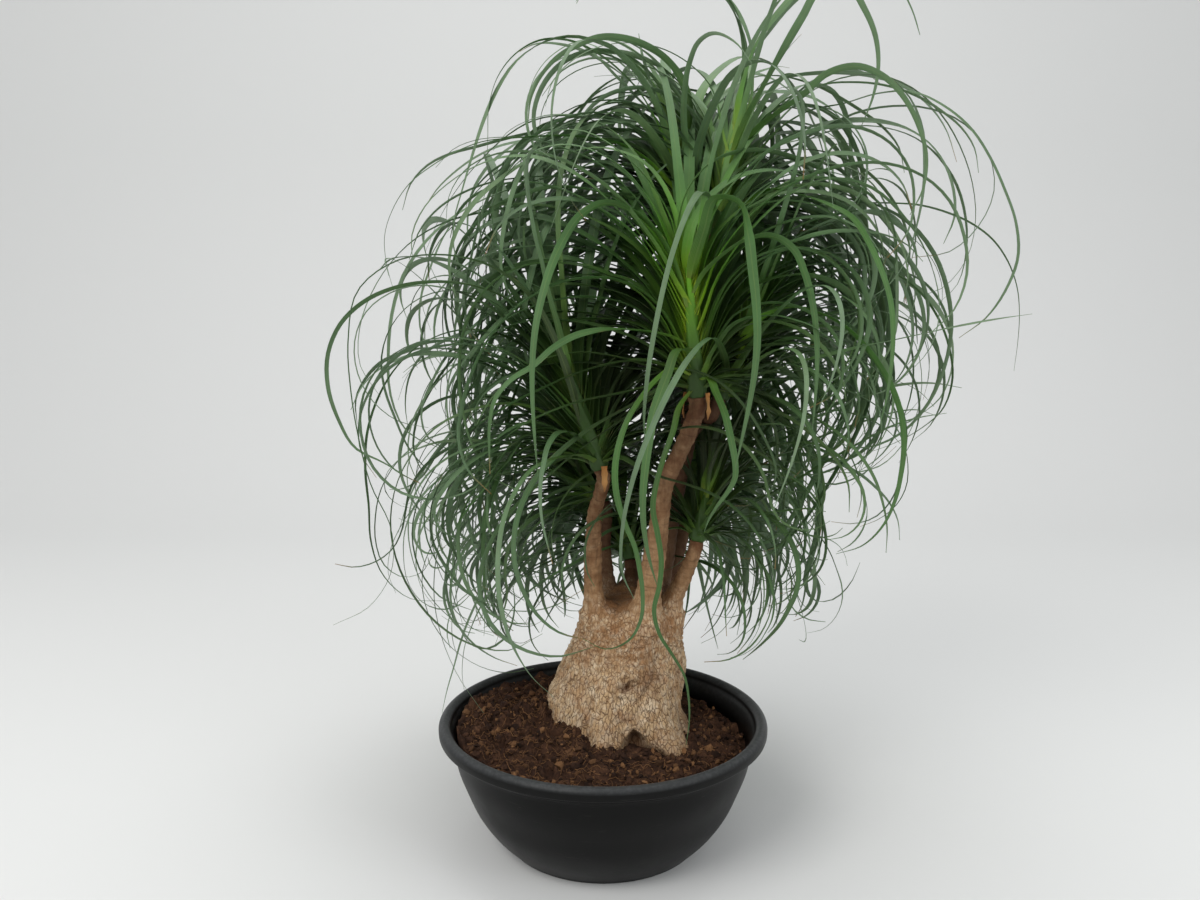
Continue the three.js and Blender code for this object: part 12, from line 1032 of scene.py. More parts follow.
        [0.25, 9.1, 0.15, [-13, 147, 396, -28, 158, 397, -42, 169, 394, -56, 179, 387, -69, 186, 376, -81, 191, 364, -93, 193, 350, -105, 193, 336, -115, 191, 320, -125, 189, 305, -133, 184, 290, -141, 178, 274, -147, 169, 259, -149, 157, 246, -146, 141, 237, -139, 125, 233, -128, 111, 236]],
        [0.26, 15.0, 0.24, [-15, 145, 396, -30, 151, 397, -45, 157, 394, -59, 162, 388, -72, 166, 380, -86, 170, 372, -98, 173, 363, -110, 177, 352, -121, 180, 341, -131, 181, 328, -140, 182, 315, -147, 183, 300, -153, 183, 285, -155, 181, 270, -153, 176, 254, -145, 170, 241, -135, 163, 231]],
        [0.07, 15.0, -0.14, [-10, 147, 393, -23, 165, 390, -32, 182, 379, -40, 198, 365, -48, 214, 352, -57, 230, 340, -65, 246, 326, -72, 262, 312, -79, 276, 297, -85, 291, 280, -89, 304, 263, -92, 317, 245, -93, 328, 226, -93, 338, 205, -90, 345, 185, -82, 349, 165, -68, 347, 148]],
        [0.47, 15.0, 0.70, [-16, 148, 400, -32, 162, 404, -49, 175, 404, -65, 188, 399, -81, 200, 390, -95, 210, 378, -108, 220, 365, -121, 229, 350, -134, 236, 334, -145, 241, 317, -155, 245, 298, -164, 246, 279, -169, 244, 258, -172, 239, 238, -171, 229, 219, -168, 219, 200, -169, 213, 180]],
        [0.16, 10.7, 0.14, [-12, 146, 394, -32, 161, 391, -53, 176, 377, -73, 193, 361, -92, 210, 343, -109, 229, 322, -119, 249, 298, -119, 268, 271, -106, 282, 244, -83, 292, 221, -52, 294, 206, -18, 290, 198, 15, 280, 200, 44, 263, 212, 64, 243, 233]],
        [0.07, 15.0, 0.35, [-12, 145, 392, -27, 154, 389, -40, 161, 380, -52, 167, 367, -63, 173, 355, -75, 180, 343, -87, 187, 332, -99, 193, 320, -110, 199, 307, -121, 205, 293, -130, 210, 279, -139, 215, 264, -145, 219, 248, -149, 223, 231, -148, 225, 214, -141, 226, 198, -129, 225, 184]],
        [0.03, 15.0, -0.02, [-12, 144, 391, -29, 153, 387, -42, 160, 373, -52, 165, 356, -65, 171, 342, -78, 177, 327, -91, 183, 313, -103, 189, 298, -114, 194, 282, -124, 199, 265, -133, 203, 248, -141, 206, 229, -144, 206, 210, -140, 201, 192, -128, 192, 181, -112, 181, 181, -98, 172, 191]],
        [0.07, 15.0, -0.41, [-8, 147, 393, -17, 163, 392, -23, 178, 385, -27, 191, 374, -30, 205, 363, -34, 219, 353, -39, 234, 344, -43, 248, 334, -47, 262, 324, -50, 276, 312, -52, 288, 300, -53, 300, 286, -54, 311, 272, -53, 321, 258, -51, 330, 242, -46, 334, 226, -41, 333, 210]],
        [0.29, 14.9, 0.22, [-15, 146, 397, -30, 151, 401, -45, 158, 403, -59, 164, 404, -74, 170, 404, -89, 175, 402, -104, 180, 399, -119, 185, 395, -133, 190, 389, -147, 195, 382, -160, 198, 373, -172, 201, 364, -184, 203, 353, -195, 205, 341, -205, 206, 329, -215, 208, 317, -227, 214, 308]],
        [0.21, 15.0, -0.71, [-11, 149, 396, -23, 167, 396, -34, 186, 390, -43, 203, 381, -51, 221, 370, -59, 238, 359, -66, 256, 348, -73, 273, 336, -79, 289, 322, -84, 304, 306, -87, 318, 289, -87, 330, 271, -86, 341, 252, -82, 348, 232, -72, 349, 214, -57, 341, 202, -41, 327, 200]],
        [0.52, 9.8, -0.86, [-18, 146, 401, -36, 153, 404, -55, 158, 404, -73, 162, 400, -90, 165, 393, -106, 168, 382, -120, 170, 370, -133, 172, 356, -144, 173, 340, -152, 174, 323, -158, 174, 304, -160, 174, 285, -159, 173, 266, -155, 172, 247, -148, 170, 230, -138, 169, 214, -123, 169, 203]],
        [0.20, 15.0, -0.20, [-13, 146, 395, -34, 155, 394, -54, 165, 388, -73, 174, 379, -92, 182, 368, -111, 190, 358, -129, 198, 346, -146, 205, 333, -162, 212, 318, -177, 218, 301, -190, 222, 282, -200, 224, 262, -208, 224, 240, -213, 222, 218, -215, 218, 195, -213, 212, 173, -206, 204, 153]],
        [0.38, 13.6, -0.72, [-16, 146, 398, -28, 152, 401, -42, 159, 401, -56, 166, 400, -72, 172, 397, -87, 178, 392, -103, 185, 385, -118, 191, 377, -132, 197, 368, -146, 202, 357, -160, 206, 345, -173, 209, 331, -184, 211, 316, -193, 211, 299, -199, 209, 281]],
    ]},
    "rear": {"base": [0.0362, 0.13, 0.3136], "tip": [0.0262, 0.17, 0.3935], "leaves": [
        [0.00, 11.0, -0.83, [34, 138, 313, 29, 153, 316, 25, 167, 311, 20, 181, 305, 15, 195, 299, 11, 210, 295, 6, 225, 291, 1, 239, 286, -4, 253, 281, -9, 267, 274, -14, 280, 266, -19, 292, 257, -25, 304, 248, -30, 315, 238, -36, 329, 234, -40, 344, 237, -42, 356, 247]],
        [0.02, 6.4, 0.26, [43, 132, 318, 50, 134, 326, 60, 135, 330, 70, 136, 333, 80, 137, 335, 91, 138, 337, 101, 140, 337, 112, 141, 337, 122, 143, 334, 132, 144, 331, 142, 145, 327, 151, 147, 321, 159, 148, 315, 167, 149, 307, 173, 151, 299, 177, 154, 289, 178, 157, 279]],
        [0.02, 7.7, 0.14, [42, 136, 316, 54, 151, 320, 72, 165, 314, 91, 179, 308, 111, 194, 303, 130, 211, 298, 150, 227, 292, 170, 244, 284, 189, 260, 275, 209, 277, 264, 228, 293, 252, 246, 308, 237, 259, 320, 215, 267, 328, 188, 268, 330, 159]],
        [0.03, 11.6, 0.31, [36, 138, 314, 36, 152, 318, 37, 170, 319, 39, 192, 316, 40, 215, 314, 42, 240, 312, 43, 265, 308, 46, 291, 300, 49, 317, 288, 53, 341, 271, 58, 361, 250, 64, 378, 225, 71, 389, 196]],
        [0.03, 6.5, 1.14, [30, 135, 315, 17, 145, 319, 2, 154, 316, -12, 161, 309, -26, 168, 302, -39, 176, 294, -52, 183, 285, -63, 190, 275, -74, 197, 263, -84, 202, 250, -92, 207, 235, -99, 211, 220, -104, 214, 204, -104, 215, 187, -100, 213, 170, -90, 208, 157, -77, 202, 148]],
        [0.07, 7.5, 0.88, [41, 129, 321, 53, 123, 332, 67, 113, 333, 80, 101, 330, 94, 90, 329, 108, 79, 329, 122, 69, 328, 136, 58, 325, 149, 48, 318, 160, 40, 308, 169, 34, 294, 174, 30, 278, 176, 28, 260, 175, 29, 243, 169, 34, 227, 158, 42, 216, 145, 52, 211]],
        [0.07, 10.6, 0.00, [32, 138, 315, 25, 154, 321, 17, 170, 323, 8, 186, 323, 0, 202, 324, -9, 218, 324, -17, 234, 324, -26, 250, 323, -35, 265, 320, -44, 281, 315, -52, 296, 309, -60, 310, 301, -67, 327, 298, -72, 344, 302, -73, 358, 313, -70, 368, 328, -64, 373, 345]],
        [0.09, 9.3, 0.89, [37, 139, 315, 39, 153, 318, 41, 167, 316, 43, 180, 311, 46, 194, 306, 48, 207, 302, 51, 221, 298, 54, 234, 294, 56, 247, 289, 60, 260, 283, 63, 272, 275, 67, 283, 267, 71, 293, 258, 76, 302, 247, 82, 308, 236, 89, 309, 223, 96, 305, 211]],
        [0.10, 11.7, 0.41, [42, 136, 318, 51, 146, 325, 63, 156, 329, 76, 164, 330, 88, 172, 332, 101, 181, 333, 113, 190, 334, 126, 198, 334, 140, 206, 334, 153, 213, 333, 166, 220, 330, 180, 225, 325, 194, 231, 320, 207, 238, 318, 219, 247, 319, 229, 257, 324, 236, 268, 332]],
        [0.13, 10.8, -1.23, [35, 139, 316, 32, 154, 323, 29, 168, 329, 27, 184, 333, 24, 200, 336, 21, 216, 338, 18, 232, 338, 15, 247, 335, 13, 263, 332, 10, 278, 327, 7, 293, 319, 3, 305, 310, -1, 317, 299, -5, 326, 286, -6, 332, 271, -4, 331, 255, 0, 326, 241]],
        [0.16, 6.3, 0.46, [30, 129, 321, 22, 128, 331, 11, 124, 340, -1, 120, 348, -13, 113, 356, -27, 107, 363, -41, 100, 368, -56, 93, 372, -72, 86, 373, -87, 78, 372, -102, 71, 366, -116, 64, 358, -129, 58, 346, -139, 54, 332, -145, 50, 315]],
        [0.18, 9.9, 0.22, [42, 134, 321, 49, 142, 334, 58, 152, 353, 70, 164, 373, 89, 179, 388, 111, 196, 400, 136, 215, 406, 163, 236, 408, 190, 257, 404, 217, 277, 394, 243, 297, 377, 265, 314, 352, 281, 326, 319, 285, 330, 280, 272, 320, 244]],
        [0.20, 10.2, -0.74, [42, 137, 320, 51, 147, 328, 62, 157, 335, 74, 167, 339, 87, 176, 342, 100, 185, 344, 113, 194, 346, 126, 203, 347, 140, 211, 347, 154, 218, 345, 168, 225, 342, 182, 232, 337, 196, 237, 331, 209, 238, 323, 221, 235, 312, 230, 229, 301, 235, 219, 289]],
        [0.20, 6.7, 0.17, [38, 128, 324, 39, 127, 335, 40, 126, 350, 42, 124, 367, 45, 120, 385, 48, 115, 404, 52, 109, 423, 56, 102, 443, 60, 93, 463, 66, 82, 483, 72, 68, 502, 78, 51, 518, 85, 31, 531]],
        [0.20, 10.1, 0.09, [39, 139, 318, 44, 152, 325, 50, 168, 328, 59, 184, 330, 68, 201, 330, 77, 218, 329, 86, 236, 328, 96, 254, 325, 107, 270, 320, 118, 287, 313, 130, 302, 304, 140, 316, 293, 151, 329, 279, 161, 337, 261, 167, 339, 240]],
        [0.21, 7.6, 1.72, [30, 130, 322, 22, 129, 332, 14, 126, 341, 4, 122, 347, -6, 116, 352, -17, 110, 354, -28, 104, 356, -39, 98, 356, -50, 92, 354, -60, 86, 351, -71, 81, 346, -80, 76, 340, -89, 71, 332, -98, 68, 324, -105, 66, 313, -111, 67, 302, -115, 69, 291]],
        [0.24, 7.9, -0.12, [40, 130, 324, 47, 126, 338, 59, 117, 352, 75, 102, 363, 94, 85, 372, 114, 66, 380, 136, 47, 382, 158, 26, 376, 178, 8, 359, 191, -3, 330, 193, -5, 297, 188, -1, 262, 175, 11, 231]],
        [0.25, 8.0, -1.97, [40, 139, 320, 49, 150, 326, 59, 161, 328, 70, 172, 327, 81, 181, 323, 92, 191, 317, 103, 200, 311, 113, 209, 305, 123, 217, 297, 133, 225, 287, 141, 232, 277, 149, 239, 266, 156, 246, 254, 160, 252, 240, 158, 255, 225, 151, 256, 212, 140, 254, 202]],
        [0.27, 6.3, 0.27, [28, 134, 322, 19, 136, 327, 9, 137, 330, -1, 137, 332, -11, 137, 331, -21, 136, 329, -31, 136, 326, -40, 135, 322, -49, 134, 316, -57, 133, 309, -64, 133, 302, -71, 132, 294, -76, 131, 285, -84, 130, 278, -92, 127, 273, -102, 122, 272, -110, 118, 275]],
        [0.28, 11.7, 0.13, [41, 138, 322, 48, 147, 330, 55, 156, 339, 64, 164, 346, 74, 173, 352, 84, 181, 356, 94, 189, 360, 105, 198, 364, 117, 206, 366, 128, 214, 368, 140, 221, 369, 152, 228, 369, 165, 235, 368, 177, 240, 365, 189, 241, 356, 197, 239, 345, 201, 234, 333]],
        [0.30, 6.5, 1.25, [42, 134, 324, 55, 138, 341, 70, 142, 357, 88, 143, 369, 108, 145, 376, 130, 146, 378, 151, 146, 375, 171, 146, 366, 188, 147, 352, 202, 148, 335, 210, 148, 314, 213, 148, 293, 212, 148, 271, 205, 149, 250, 191, 152, 234, 171, 156, 226, 150, 161, 229]],
        [0.32, 13.0, 0.64, [30, 139, 321, 20, 151, 330, 6, 168, 341, -12, 187, 351, -33, 208, 356, -58, 230, 357, -84, 252, 351, -110, 271, 337, -135, 287, 315, -156, 299, 285, -168, 304, 248, -167, 303, 208, -152, 296, 170]],
        [0.33, 8.6, -0.61, [28, 135, 322, 11, 141, 331, -8, 145, 334, -27, 146, 333, -47, 147, 329, -66, 148, 324, -85, 149, 318, -103, 150, 310, -121, 151, 301, -138, 152, 291, -155, 152, 281, -171, 153, 269, -187, 154, 257, -201, 153, 243, -209, 150, 225, -211, 145, 206, -206, 137, 189]],
        [0.34, 10.4, 0.41, [35, 141, 320, 35, 156, 326, 34, 172, 327, 34, 188, 327, 34, 204, 323, 34, 220, 319, 34, 235, 314, 35, 250, 308, 36, 265, 300, 37, 278, 292, 39, 291, 282, 40, 303, 271, 42, 313, 258, 43, 320, 244, 42, 320, 228, 38, 314, 213, 34, 303, 202]],
        [0.34, 14.1, -0.67, [29, 139, 321, 19, 152, 332, 9, 165, 343, -3, 178, 352, -16, 192, 360, -29, 205, 366, -43, 219, 371, -57, 232, 375, -72, 245, 376, -88, 257, 375, -104, 269, 373, -119, 281, 368, -135, 293, 367, -150, 305, 373, -160, 315, 386, -166, 322, 404, -166, 325, 423]],
        [0.36, 10.5, -0.53, [35, 141, 321, 33, 153, 327, 32, 165, 333, 30, 178, 337, 28, 191, 340, 27, 204, 341, 26, 218, 340, 25, 231, 338, 23, 244, 335, 22, 257, 331, 22, 270, 326, 21, 282, 320, 20, 293, 313, 19, 303, 304, 20, 311, 293, 23, 314, 280, 26, 314, 267]],
        [0.36, 8.4, 1.26, [41, 132, 326, 47, 134, 344, 53, 135, 362, 60, 137, 379, 70, 137, 395, 84, 135, 408, 100, 132, 418, 118, 129, 424, 136, 126, 428, 154, 122, 427, 172, 119, 422, 189, 116, 414, 204, 114, 402, 214, 116, 386, 217, 121, 368, 213, 127, 351, 204, 135, 336]],
        [0.39, 6.2, 0.56, [28, 137, 323, 13, 146, 333, -4, 154, 340, -22, 162, 343, -41, 169, 343, -60, 175, 340, -79, 181, 335, -97, 187, 328, -114, 192, 320, -130, 198, 309, -145, 203, 296, -159, 207, 282, -168, 211, 264, -167, 214, 245, -157, 217, 227, -142, 218, 213, -125, 218, 202]],
        [0.42, 13.4, -0.05, [31, 141, 322, 24, 156, 333, 17, 172, 343, 9, 188, 352, 1, 205, 360, -9, 222, 365, -18, 239, 370, -27, 256, 373, -37, 274, 374, -47, 291, 373, -57, 308, 371, -68, 325, 367, -78, 341, 359, -88, 355, 349, -98, 363, 334, -107, 365, 316, -113, 359, 298]],
        [0.45, 7.6, -1.49, [29, 132, 327, 18, 131, 344, 6, 128, 360, -9, 122, 373, -24, 114, 383, -41, 104, 389, -59, 94, 390, -76, 84, 387, -92, 74, 380, -106, 66, 367, -117, 60, 351, -122, 56, 332, -123, 56, 312, -121, 57, 292, -124, 53, 272, -134, 42, 258, -148, 28, 254]],
        [0.46, 11.3, 0.26, [30, 141, 323, 24, 152, 332, 17, 164, 340, 10, 176, 348, 2, 189, 355, -6, 201, 360, -15, 214, 363, -25, 227, 364, -35, 239, 365, -44, 252, 364, -54, 264, 362, -64, 276, 358, -74, 287, 352, -83, 296, 343, -91, 301, 330, -97, 301, 315, -99, 297, 300]],
        [0.49, 11.6, 0.34, [31, 142, 324, 25, 156, 335, 17, 174, 351, 8, 196, 368, -4, 222, 383, -18, 250, 394, -34, 282, 403, -52, 314, 406, -71, 347, 401, -92, 377, 385, -112, 402, 359, -128, 416, 323, -139, 420, 282]],
        [0.51, 6.1, 0.73, [28, 138, 326, 15, 146, 336, 3, 155, 347, -12, 162, 354, -28, 170, 358, -45, 176, 356, -63, 181, 352, -79, 187, 346, -94, 192, 338, -108, 197, 327, -121, 200, 314, -132, 204, 300, -141, 208, 285, -143, 212, 267, -136, 216, 250, -124, 218, 238, -107, 219, 230]],
        [0.53, 12.8, 0.13, [41, 139, 327, 49, 151, 342, 58, 163, 356, 68, 175, 370, 80, 186, 382, 94, 198, 392, 110, 209, 400, 126, 219, 405, 145, 229, 409, 163, 237, 410, 183, 244, 408, 202, 248, 403, 221, 254, 397, 239, 265, 396, 251, 281, 401, 256, 299, 409, 255, 316, 420]],
        [0.54, 10.4, 0.45, [32, 149, 338, 29, 160, 347, 27, 170, 356, 26, 181, 366, 23, 193, 374, 21, 204, 381, 18, 217, 387, 16, 230, 392, 13, 244, 396, 11, 258, 398, 8, 272, 398, 6, 286, 397, 4, 300, 395, 2, 313, 390, 0, 325, 383, -2, 335, 373, -4, 341, 360]],
        [0.54, 6.3, 0.82, [41, 137, 328, 52, 142, 341, 66, 147, 354, 85, 150, 363, 106, 151, 365, 128, 151, 360, 148, 151, 350, 166, 151, 334, 178, 151, 315, 186, 151, 292, 187, 151, 268, 183, 151, 244, 172, 151, 222, 156, 151, 203, 134, 151, 191]],
        [0.55, 13.1, 0.93, [30, 141, 325, 20, 156, 337, 10, 170, 348, -1, 186, 357, -13, 202, 364, -27, 218, 366, -42, 232, 365, -57, 247, 361, -71, 260, 354, -85, 273, 344, -99, 284, 333, -112, 294, 320, -123, 303, 304, -132, 310, 286, -135, 313, 266, -133, 311, 245, -126, 306, 226]],
        [0.56, 6.0, -0.10, [28, 135, 328, 18, 138, 340, 8, 141, 351, -3, 142, 362, -15, 143, 371, -30, 143, 376, -45, 140, 377, -61, 137, 375, -75, 135, 369, -88, 133, 361, -100, 131, 351, -110, 130, 339, -118, 129, 326, -121, 127, 311, -119, 125, 295, -111, 124, 282, -99, 122, 272]],
        [0.57, 12.6, -0.71, [40, 140, 327, 47, 150, 338, 54, 162, 351, 64, 175, 364, 75, 188, 374, 90, 201, 383, 106, 214, 388, 124, 227, 392, 143, 238, 392, 163, 250, 389, 182, 260, 383, 202, 268, 373, 220, 272, 359, 234, 274, 340, 245, 271, 319]],
        [0.58, 11.1, -0.18, [37, 143, 326, 38, 159, 339, 39, 177, 355, 40, 195, 371, 44, 217, 384, 49, 241, 393, 55, 267, 397, 63, 293, 398, 72, 319, 393, 82, 343, 383, 92, 363, 366, 102, 379, 344, 110, 386, 317, 116, 383, 289, 118, 369, 263]],
        [0.58, 10.2, -0.78, [29, 140, 326, 22, 148, 334, 16, 156, 342, 10, 164, 351, 3, 172, 358, -6, 181, 363, -16, 189, 366, -26, 196, 367, -37, 204, 366, -48, 211, 365, -59, 217, 362, -70, 223, 357, -81, 228, 351, -91, 232, 344, -100, 233, 334, -107, 231, 323, -111, 227, 311]],
        [0.59, 10.7, -0.06, [40, 141, 328, 44, 151, 339, 49, 160, 350, 53, 170, 362, 59, 179, 372, 65, 189, 382, 74, 199, 390, 84, 209, 395, 95, 219, 400, 106, 229, 402, 119, 237, 403, 132, 246, 402, 145, 253, 400, 158, 259, 395, 170, 265, 387, 181, 268, 376, 188, 269, 363]],
        [0.60, 8.0, -0.26, [41, 136, 330, 49, 140, 346, 60, 141, 361, 72, 143, 374, 88, 142, 382, 106, 139, 385, 123, 136, 383, 140, 133, 378, 156, 131, 368, 168, 128, 356, 177, 126, 340, 184, 125, 323, 190, 125, 306, 202, 123, 293, 218, 120, 287, 236, 116, 288, 252, 112, 295]],
        [0.60, 13.2, -0.53, [31, 143, 326, 25, 156, 337, 20, 170, 348, 14, 183, 359, 8, 197, 368, 1, 212, 376, -7, 228, 380, -16, 244, 382, -24, 259, 382, -33, 275, 380, -42, 290, 376, -52, 305, 371, -60, 319, 364, -70, 331, 354, -80, 337, 341, -90, 338, 325, -98, 332, 311]],
        [0.65, 7.8, 0.30, [40, 135, 332, 45, 139, 351, 51, 143, 370, 57, 146, 389, 66, 148, 407, 78, 148, 423, 95, 147, 435, 113, 144, 443, 132, 142, 448, 152, 139, 450, 172, 136, 446, 191, 134, 439, 207, 131, 427, 221, 127, 413, 230, 122, 396, 231, 115, 377, 225, 109, 359]],
        [0.72, 9.2, -0.72, [30, 162, 369, 29, 171, 376, 28, 182, 384, 27, 192, 394, 26, 204, 403, 25, 216, 411, 25, 229, 419, 24, 243, 426, 24, 258, 431, 24, 274, 434, 23, 290, 436, 22, 306, 435, 21, 322, 431, 20, 337, 424, 19, 350, 413]],
        [0.74, 10.6, -0.49, [36, 151, 347, 40, 162, 358, 44, 177, 375, 49, 194, 394, 57, 214, 412, 69, 237, 428, 84, 261, 442, 102, 286, 451, 123, 313, 455, 148, 338, 451, 172, 361, 439, 196, 379, 416, 215, 392, 386]],
        [0.75, 10.1, 0.09, [29, 161, 365, 27, 172, 374, 25, 184, 384, 23, 198, 394, 20, 212, 405, 17, 227, 415, 14, 243, 423, 11, 260, 430, 9, 278, 435, 7, 297, 438, 3, 316, 438, 1, 336, 435, -1, 354, 429, -3, 371, 418, -4, 384, 402]],
        [0.77, 9.3, 0.18, [24, 164, 378, 16, 173, 389, 7, 183, 403, -2, 193, 417, -13, 205, 430, -25, 216, 443, -38, 228, 455, -54, 239, 465, -71, 251, 473, -89, 262, 480, -109, 273, 482, -130, 283, 480, -150, 290, 473, -169, 295, 459, -183, 295, 441]],
        [0.78, 6.2, -1.28, [38, 136, 335, 42, 138, 353, 46, 142, 378, 51, 147, 405, 62, 148, 434, 83, 140, 458, 111, 130, 475, 144, 117, 485, 179, 104, 481, 209, 92, 461, 228, 85, 427, 228, 85, 386, 209, 92, 350]],
        [0.78, 11.3, 0.05, [33, 159, 367, 38, 168, 378, 42, 178, 391, 46, 189, 405, 52, 199, 419, 59, 211, 432, 67, 223, 445, 77, 236, 457, 89, 248, 467, 103, 260, 475, 119, 273, 479, 136, 283, 480, 155, 292, 477, 174, 297, 470, 192, 299, 458]],
        [0.80, 6.0, 0.90, [28, 138, 333, 14, 145, 352, 1, 152, 371, -14, 158, 389, -33, 162, 403, -56, 164, 412, -80, 165, 415, -104, 165, 416, -128, 165, 413, -152, 166, 408, -175, 166, 400, -197, 166, 389, -217, 166, 375, -230, 162, 356, -231, 153, 334, -221, 142, 314, -203, 132, 301]],
        [0.85, 7.5, -1.87, [30, 135, 336, 25, 136, 353, 18, 138, 376, 10, 140, 403, -2, 136, 430, -20, 120, 452, -41, 101, 470, -64, 79, 484, -91, 55, 494, -118, 29, 496, -147, 3, 491, -173, -21, 476, -192, -39, 445]],
        [0.87, 11.0, -0.33, [27, 168, 382, 25, 180, 392, 23, 195, 403, 20, 209, 415, 17, 224, 428, 14, 242, 438, 10, 259, 448, 7, 279, 456, 4, 299, 462, 1, 320, 464, -3, 342, 461, -6, 363, 454, -9, 381, 442, -10, 396, 425, -11, 404, 404]],
        [0.89, 9.4, -0.35, [26, 164, 373, 22, 173, 381, 18, 182, 390, 14, 192, 399, 8, 203, 408, 3, 214, 417, -3, 226, 424, -10, 239, 432, -17, 252, 438, -24, 265, 444, -32, 279, 450, -40, 293, 453, -50, 307, 455, -60, 320, 452, -69, 332, 446]],
        [0.90, 8.5, -1.08, [25, 161, 371, 17, 173, 384, 7, 185, 399, -4, 199, 414, -17, 213, 428, -33, 228, 441, -50, 244, 450, -70, 259, 457, -91, 274, 461, -113, 287, 463, -137, 299, 461, -162, 306, 454, -186, 309, 441, -206, 305, 424, -220, 295, 402]],
        [0.92, 10.2, 0.48, [32, 162, 373, 38, 171, 385, 43, 182, 400, 48, 193, 415, 55, 205, 430, 64, 218, 444, 74, 231, 458, 87, 244, 470, 101, 257, 481, 117, 270, 489, 136, 282, 494, 156, 292, 494, 177, 300, 490, 197, 305, 480, 215, 306, 464]],
        [0.92, 8.8, 0.73, [29, 171, 391, 30, 177, 399, 30, 185, 412, 28, 192, 427, 27, 201, 444, 27, 212, 460, 28, 223, 478, 29, 235, 496, 33, 249, 513, 39, 264, 530, 49, 279, 544, 65, 294, 555, 86, 307, 561]],
        [0.92, 7.0, -0.49, [28, 143, 333, 19, 153, 344, 10, 162, 355, 1, 172, 365, -10, 182, 374, -22, 193, 380, -37, 202, 380, -51, 210, 375, -64, 218, 368, -77, 225, 359, -89, 231, 348, -99, 237, 336, -110, 244, 324, -121, 254, 317, -132, 267, 316, -141, 281, 321, -147, 294, 331]],
        [0.25, 8.7, 0.18, [29, 136, 320, 14, 145, 326, -2, 152, 327, -19, 158, 323, -36, 161, 318, -53, 163, 311, -70, 164, 303, -86, 164, 295, -102, 163, 286, -116, 159, 276, -130, 154, 265, -143, 149, 254, -154, 141, 242, -167, 133, 231, -183, 130, 226, -201, 132, 227, -217, 139, 234]],
        [0.20, 10.7, -0.31, [30, 138, 318, 20, 151, 324, 8, 164, 326, -4, 177, 326, -16, 189, 325, -29, 201, 322, -42, 213, 319, -54, 225, 315, -67, 236, 309, -80, 245, 302, -92, 254, 292, -104, 260, 281, -116, 265, 268, -127, 271, 256, -137, 283, 248, -143, 299, 246, -146, 317, 249]],
        [0.34, 10.5, 0.09, [31, 140, 321, 24, 154, 326, 14, 167, 328, 6, 181, 328, -4, 194, 324, -14, 207, 320, -23, 219, 314, -32, 231, 308, -41, 243, 301, -50, 254, 293, -58, 264, 282, -65, 274, 271, -71, 282, 258, -75, 288, 243, -72, 289, 227, -63, 284, 214, -51, 275, 208]],
        [0.25, 10.4, 0.28, [32, 140, 319, 26, 151, 321, 19, 165, 321, 11, 178, 316, 3, 190, 309, -6, 201, 300, -14, 212, 290, -24, 222, 279, -34, 230, 267, -44, 238, 254, -54, 243, 240, -63, 247, 225, -73, 249, 209, -82, 247, 193, -89, 240, 177]],
        [0.25, 8.0, -0.54, [41, 138, 321, 51, 148, 328, 64, 159, 331, 80, 169, 330, 96, 179, 325, 112, 188, 319, 127, 198, 310, 143, 207, 300, 157, 216, 288, 170, 224, 273, 182, 230, 257, 192, 235, 238, 197, 237, 217, 198, 236, 196, 194, 232, 175]],
        [0.54, 7.0, -0.55, [41, 138, 328, 50, 146, 338, 64, 153, 348, 80, 160, 355, 99, 167, 357, 118, 171, 351, 136, 175, 342, 151, 178, 328, 163, 181, 310, 171, 182, 290, 174, 183, 269, 172, 182, 247, 165, 180, 225, 153, 177, 206, 136, 172, 192]],
        [0.09, 10.0, 0.17, [28, 134, 317, 18, 138, 322, 6, 142, 323, -6, 145, 322, -18, 147, 321, -30, 150, 320, -42, 153, 320, -54, 156, 319, -66, 158, 317, -78, 160, 315, -89, 163, 313, -101, 164, 310, -113, 165, 306, -124, 167, 300, -133, 168, 293, -141, 169, 283, -146, 169, 272]],
        [0.16, 8.1, -0.62, [39, 139, 318, 45, 153, 324, 51, 168, 328, 59, 183, 328, 68, 197, 327, 77, 211, 326, 87, 224, 324, 99, 235, 320, 111, 245, 314, 124, 253, 307, 138, 258, 299, 151, 260, 289, 164, 259, 279, 176, 256, 268, 187, 249, 258, 197, 238, 250, 204, 223, 246]],
        [0.42, 8.9, -0.35, [28, 136, 324, 15, 146, 337, 1, 156, 350, -14, 164, 363, -32, 170, 371, -53, 171, 375, -74, 170, 377, -95, 165, 376, -114, 158, 373, -132, 148, 368, -149, 137, 361, -163, 123, 353, -175, 109, 343, -182, 93, 331, -182, 76, 318, -175, 61, 305, -161, 50, 294]],
        [0.02, 9.3, -1.22, [41, 137, 315, 52, 153, 319, 65, 166, 313, 79, 179, 306, 92, 192, 301, 105, 207, 296, 119, 221, 292, 131, 235, 286, 144, 249, 280, 157, 262, 272, 169, 276, 265, 181, 289, 257, 193, 302, 247, 200, 310, 230, 201, 309, 211, 195, 301, 194, 184, 288, 184]],
        [0.10, 12.3, 0.45, [33, 138, 315, 27, 151, 319, 21, 165, 319, 14, 179, 316, 8, 192, 311, 1, 205, 307, -5, 218, 304, -12, 231, 300, -18, 244, 295, -24, 256, 288, -31, 268, 280, -37, 279, 272, -42, 289, 262, -45, 298, 250, -44, 303, 236, -41, 305, 221, -35, 302, 208]],
        [0.54, 7.7, -0.41, [40, 141, 326, 47, 154, 334, 57, 166, 340, 67, 179, 343, 79, 191, 342, 90, 202, 337, 100, 211, 327, 109, 219, 316, 117, 225, 302, 122, 230, 287, 124, 233, 271, 124, 233, 254, 123, 232, 237, 121, 227, 222, 117, 218, 208, 112, 206, 198, 106, 191, 193]],
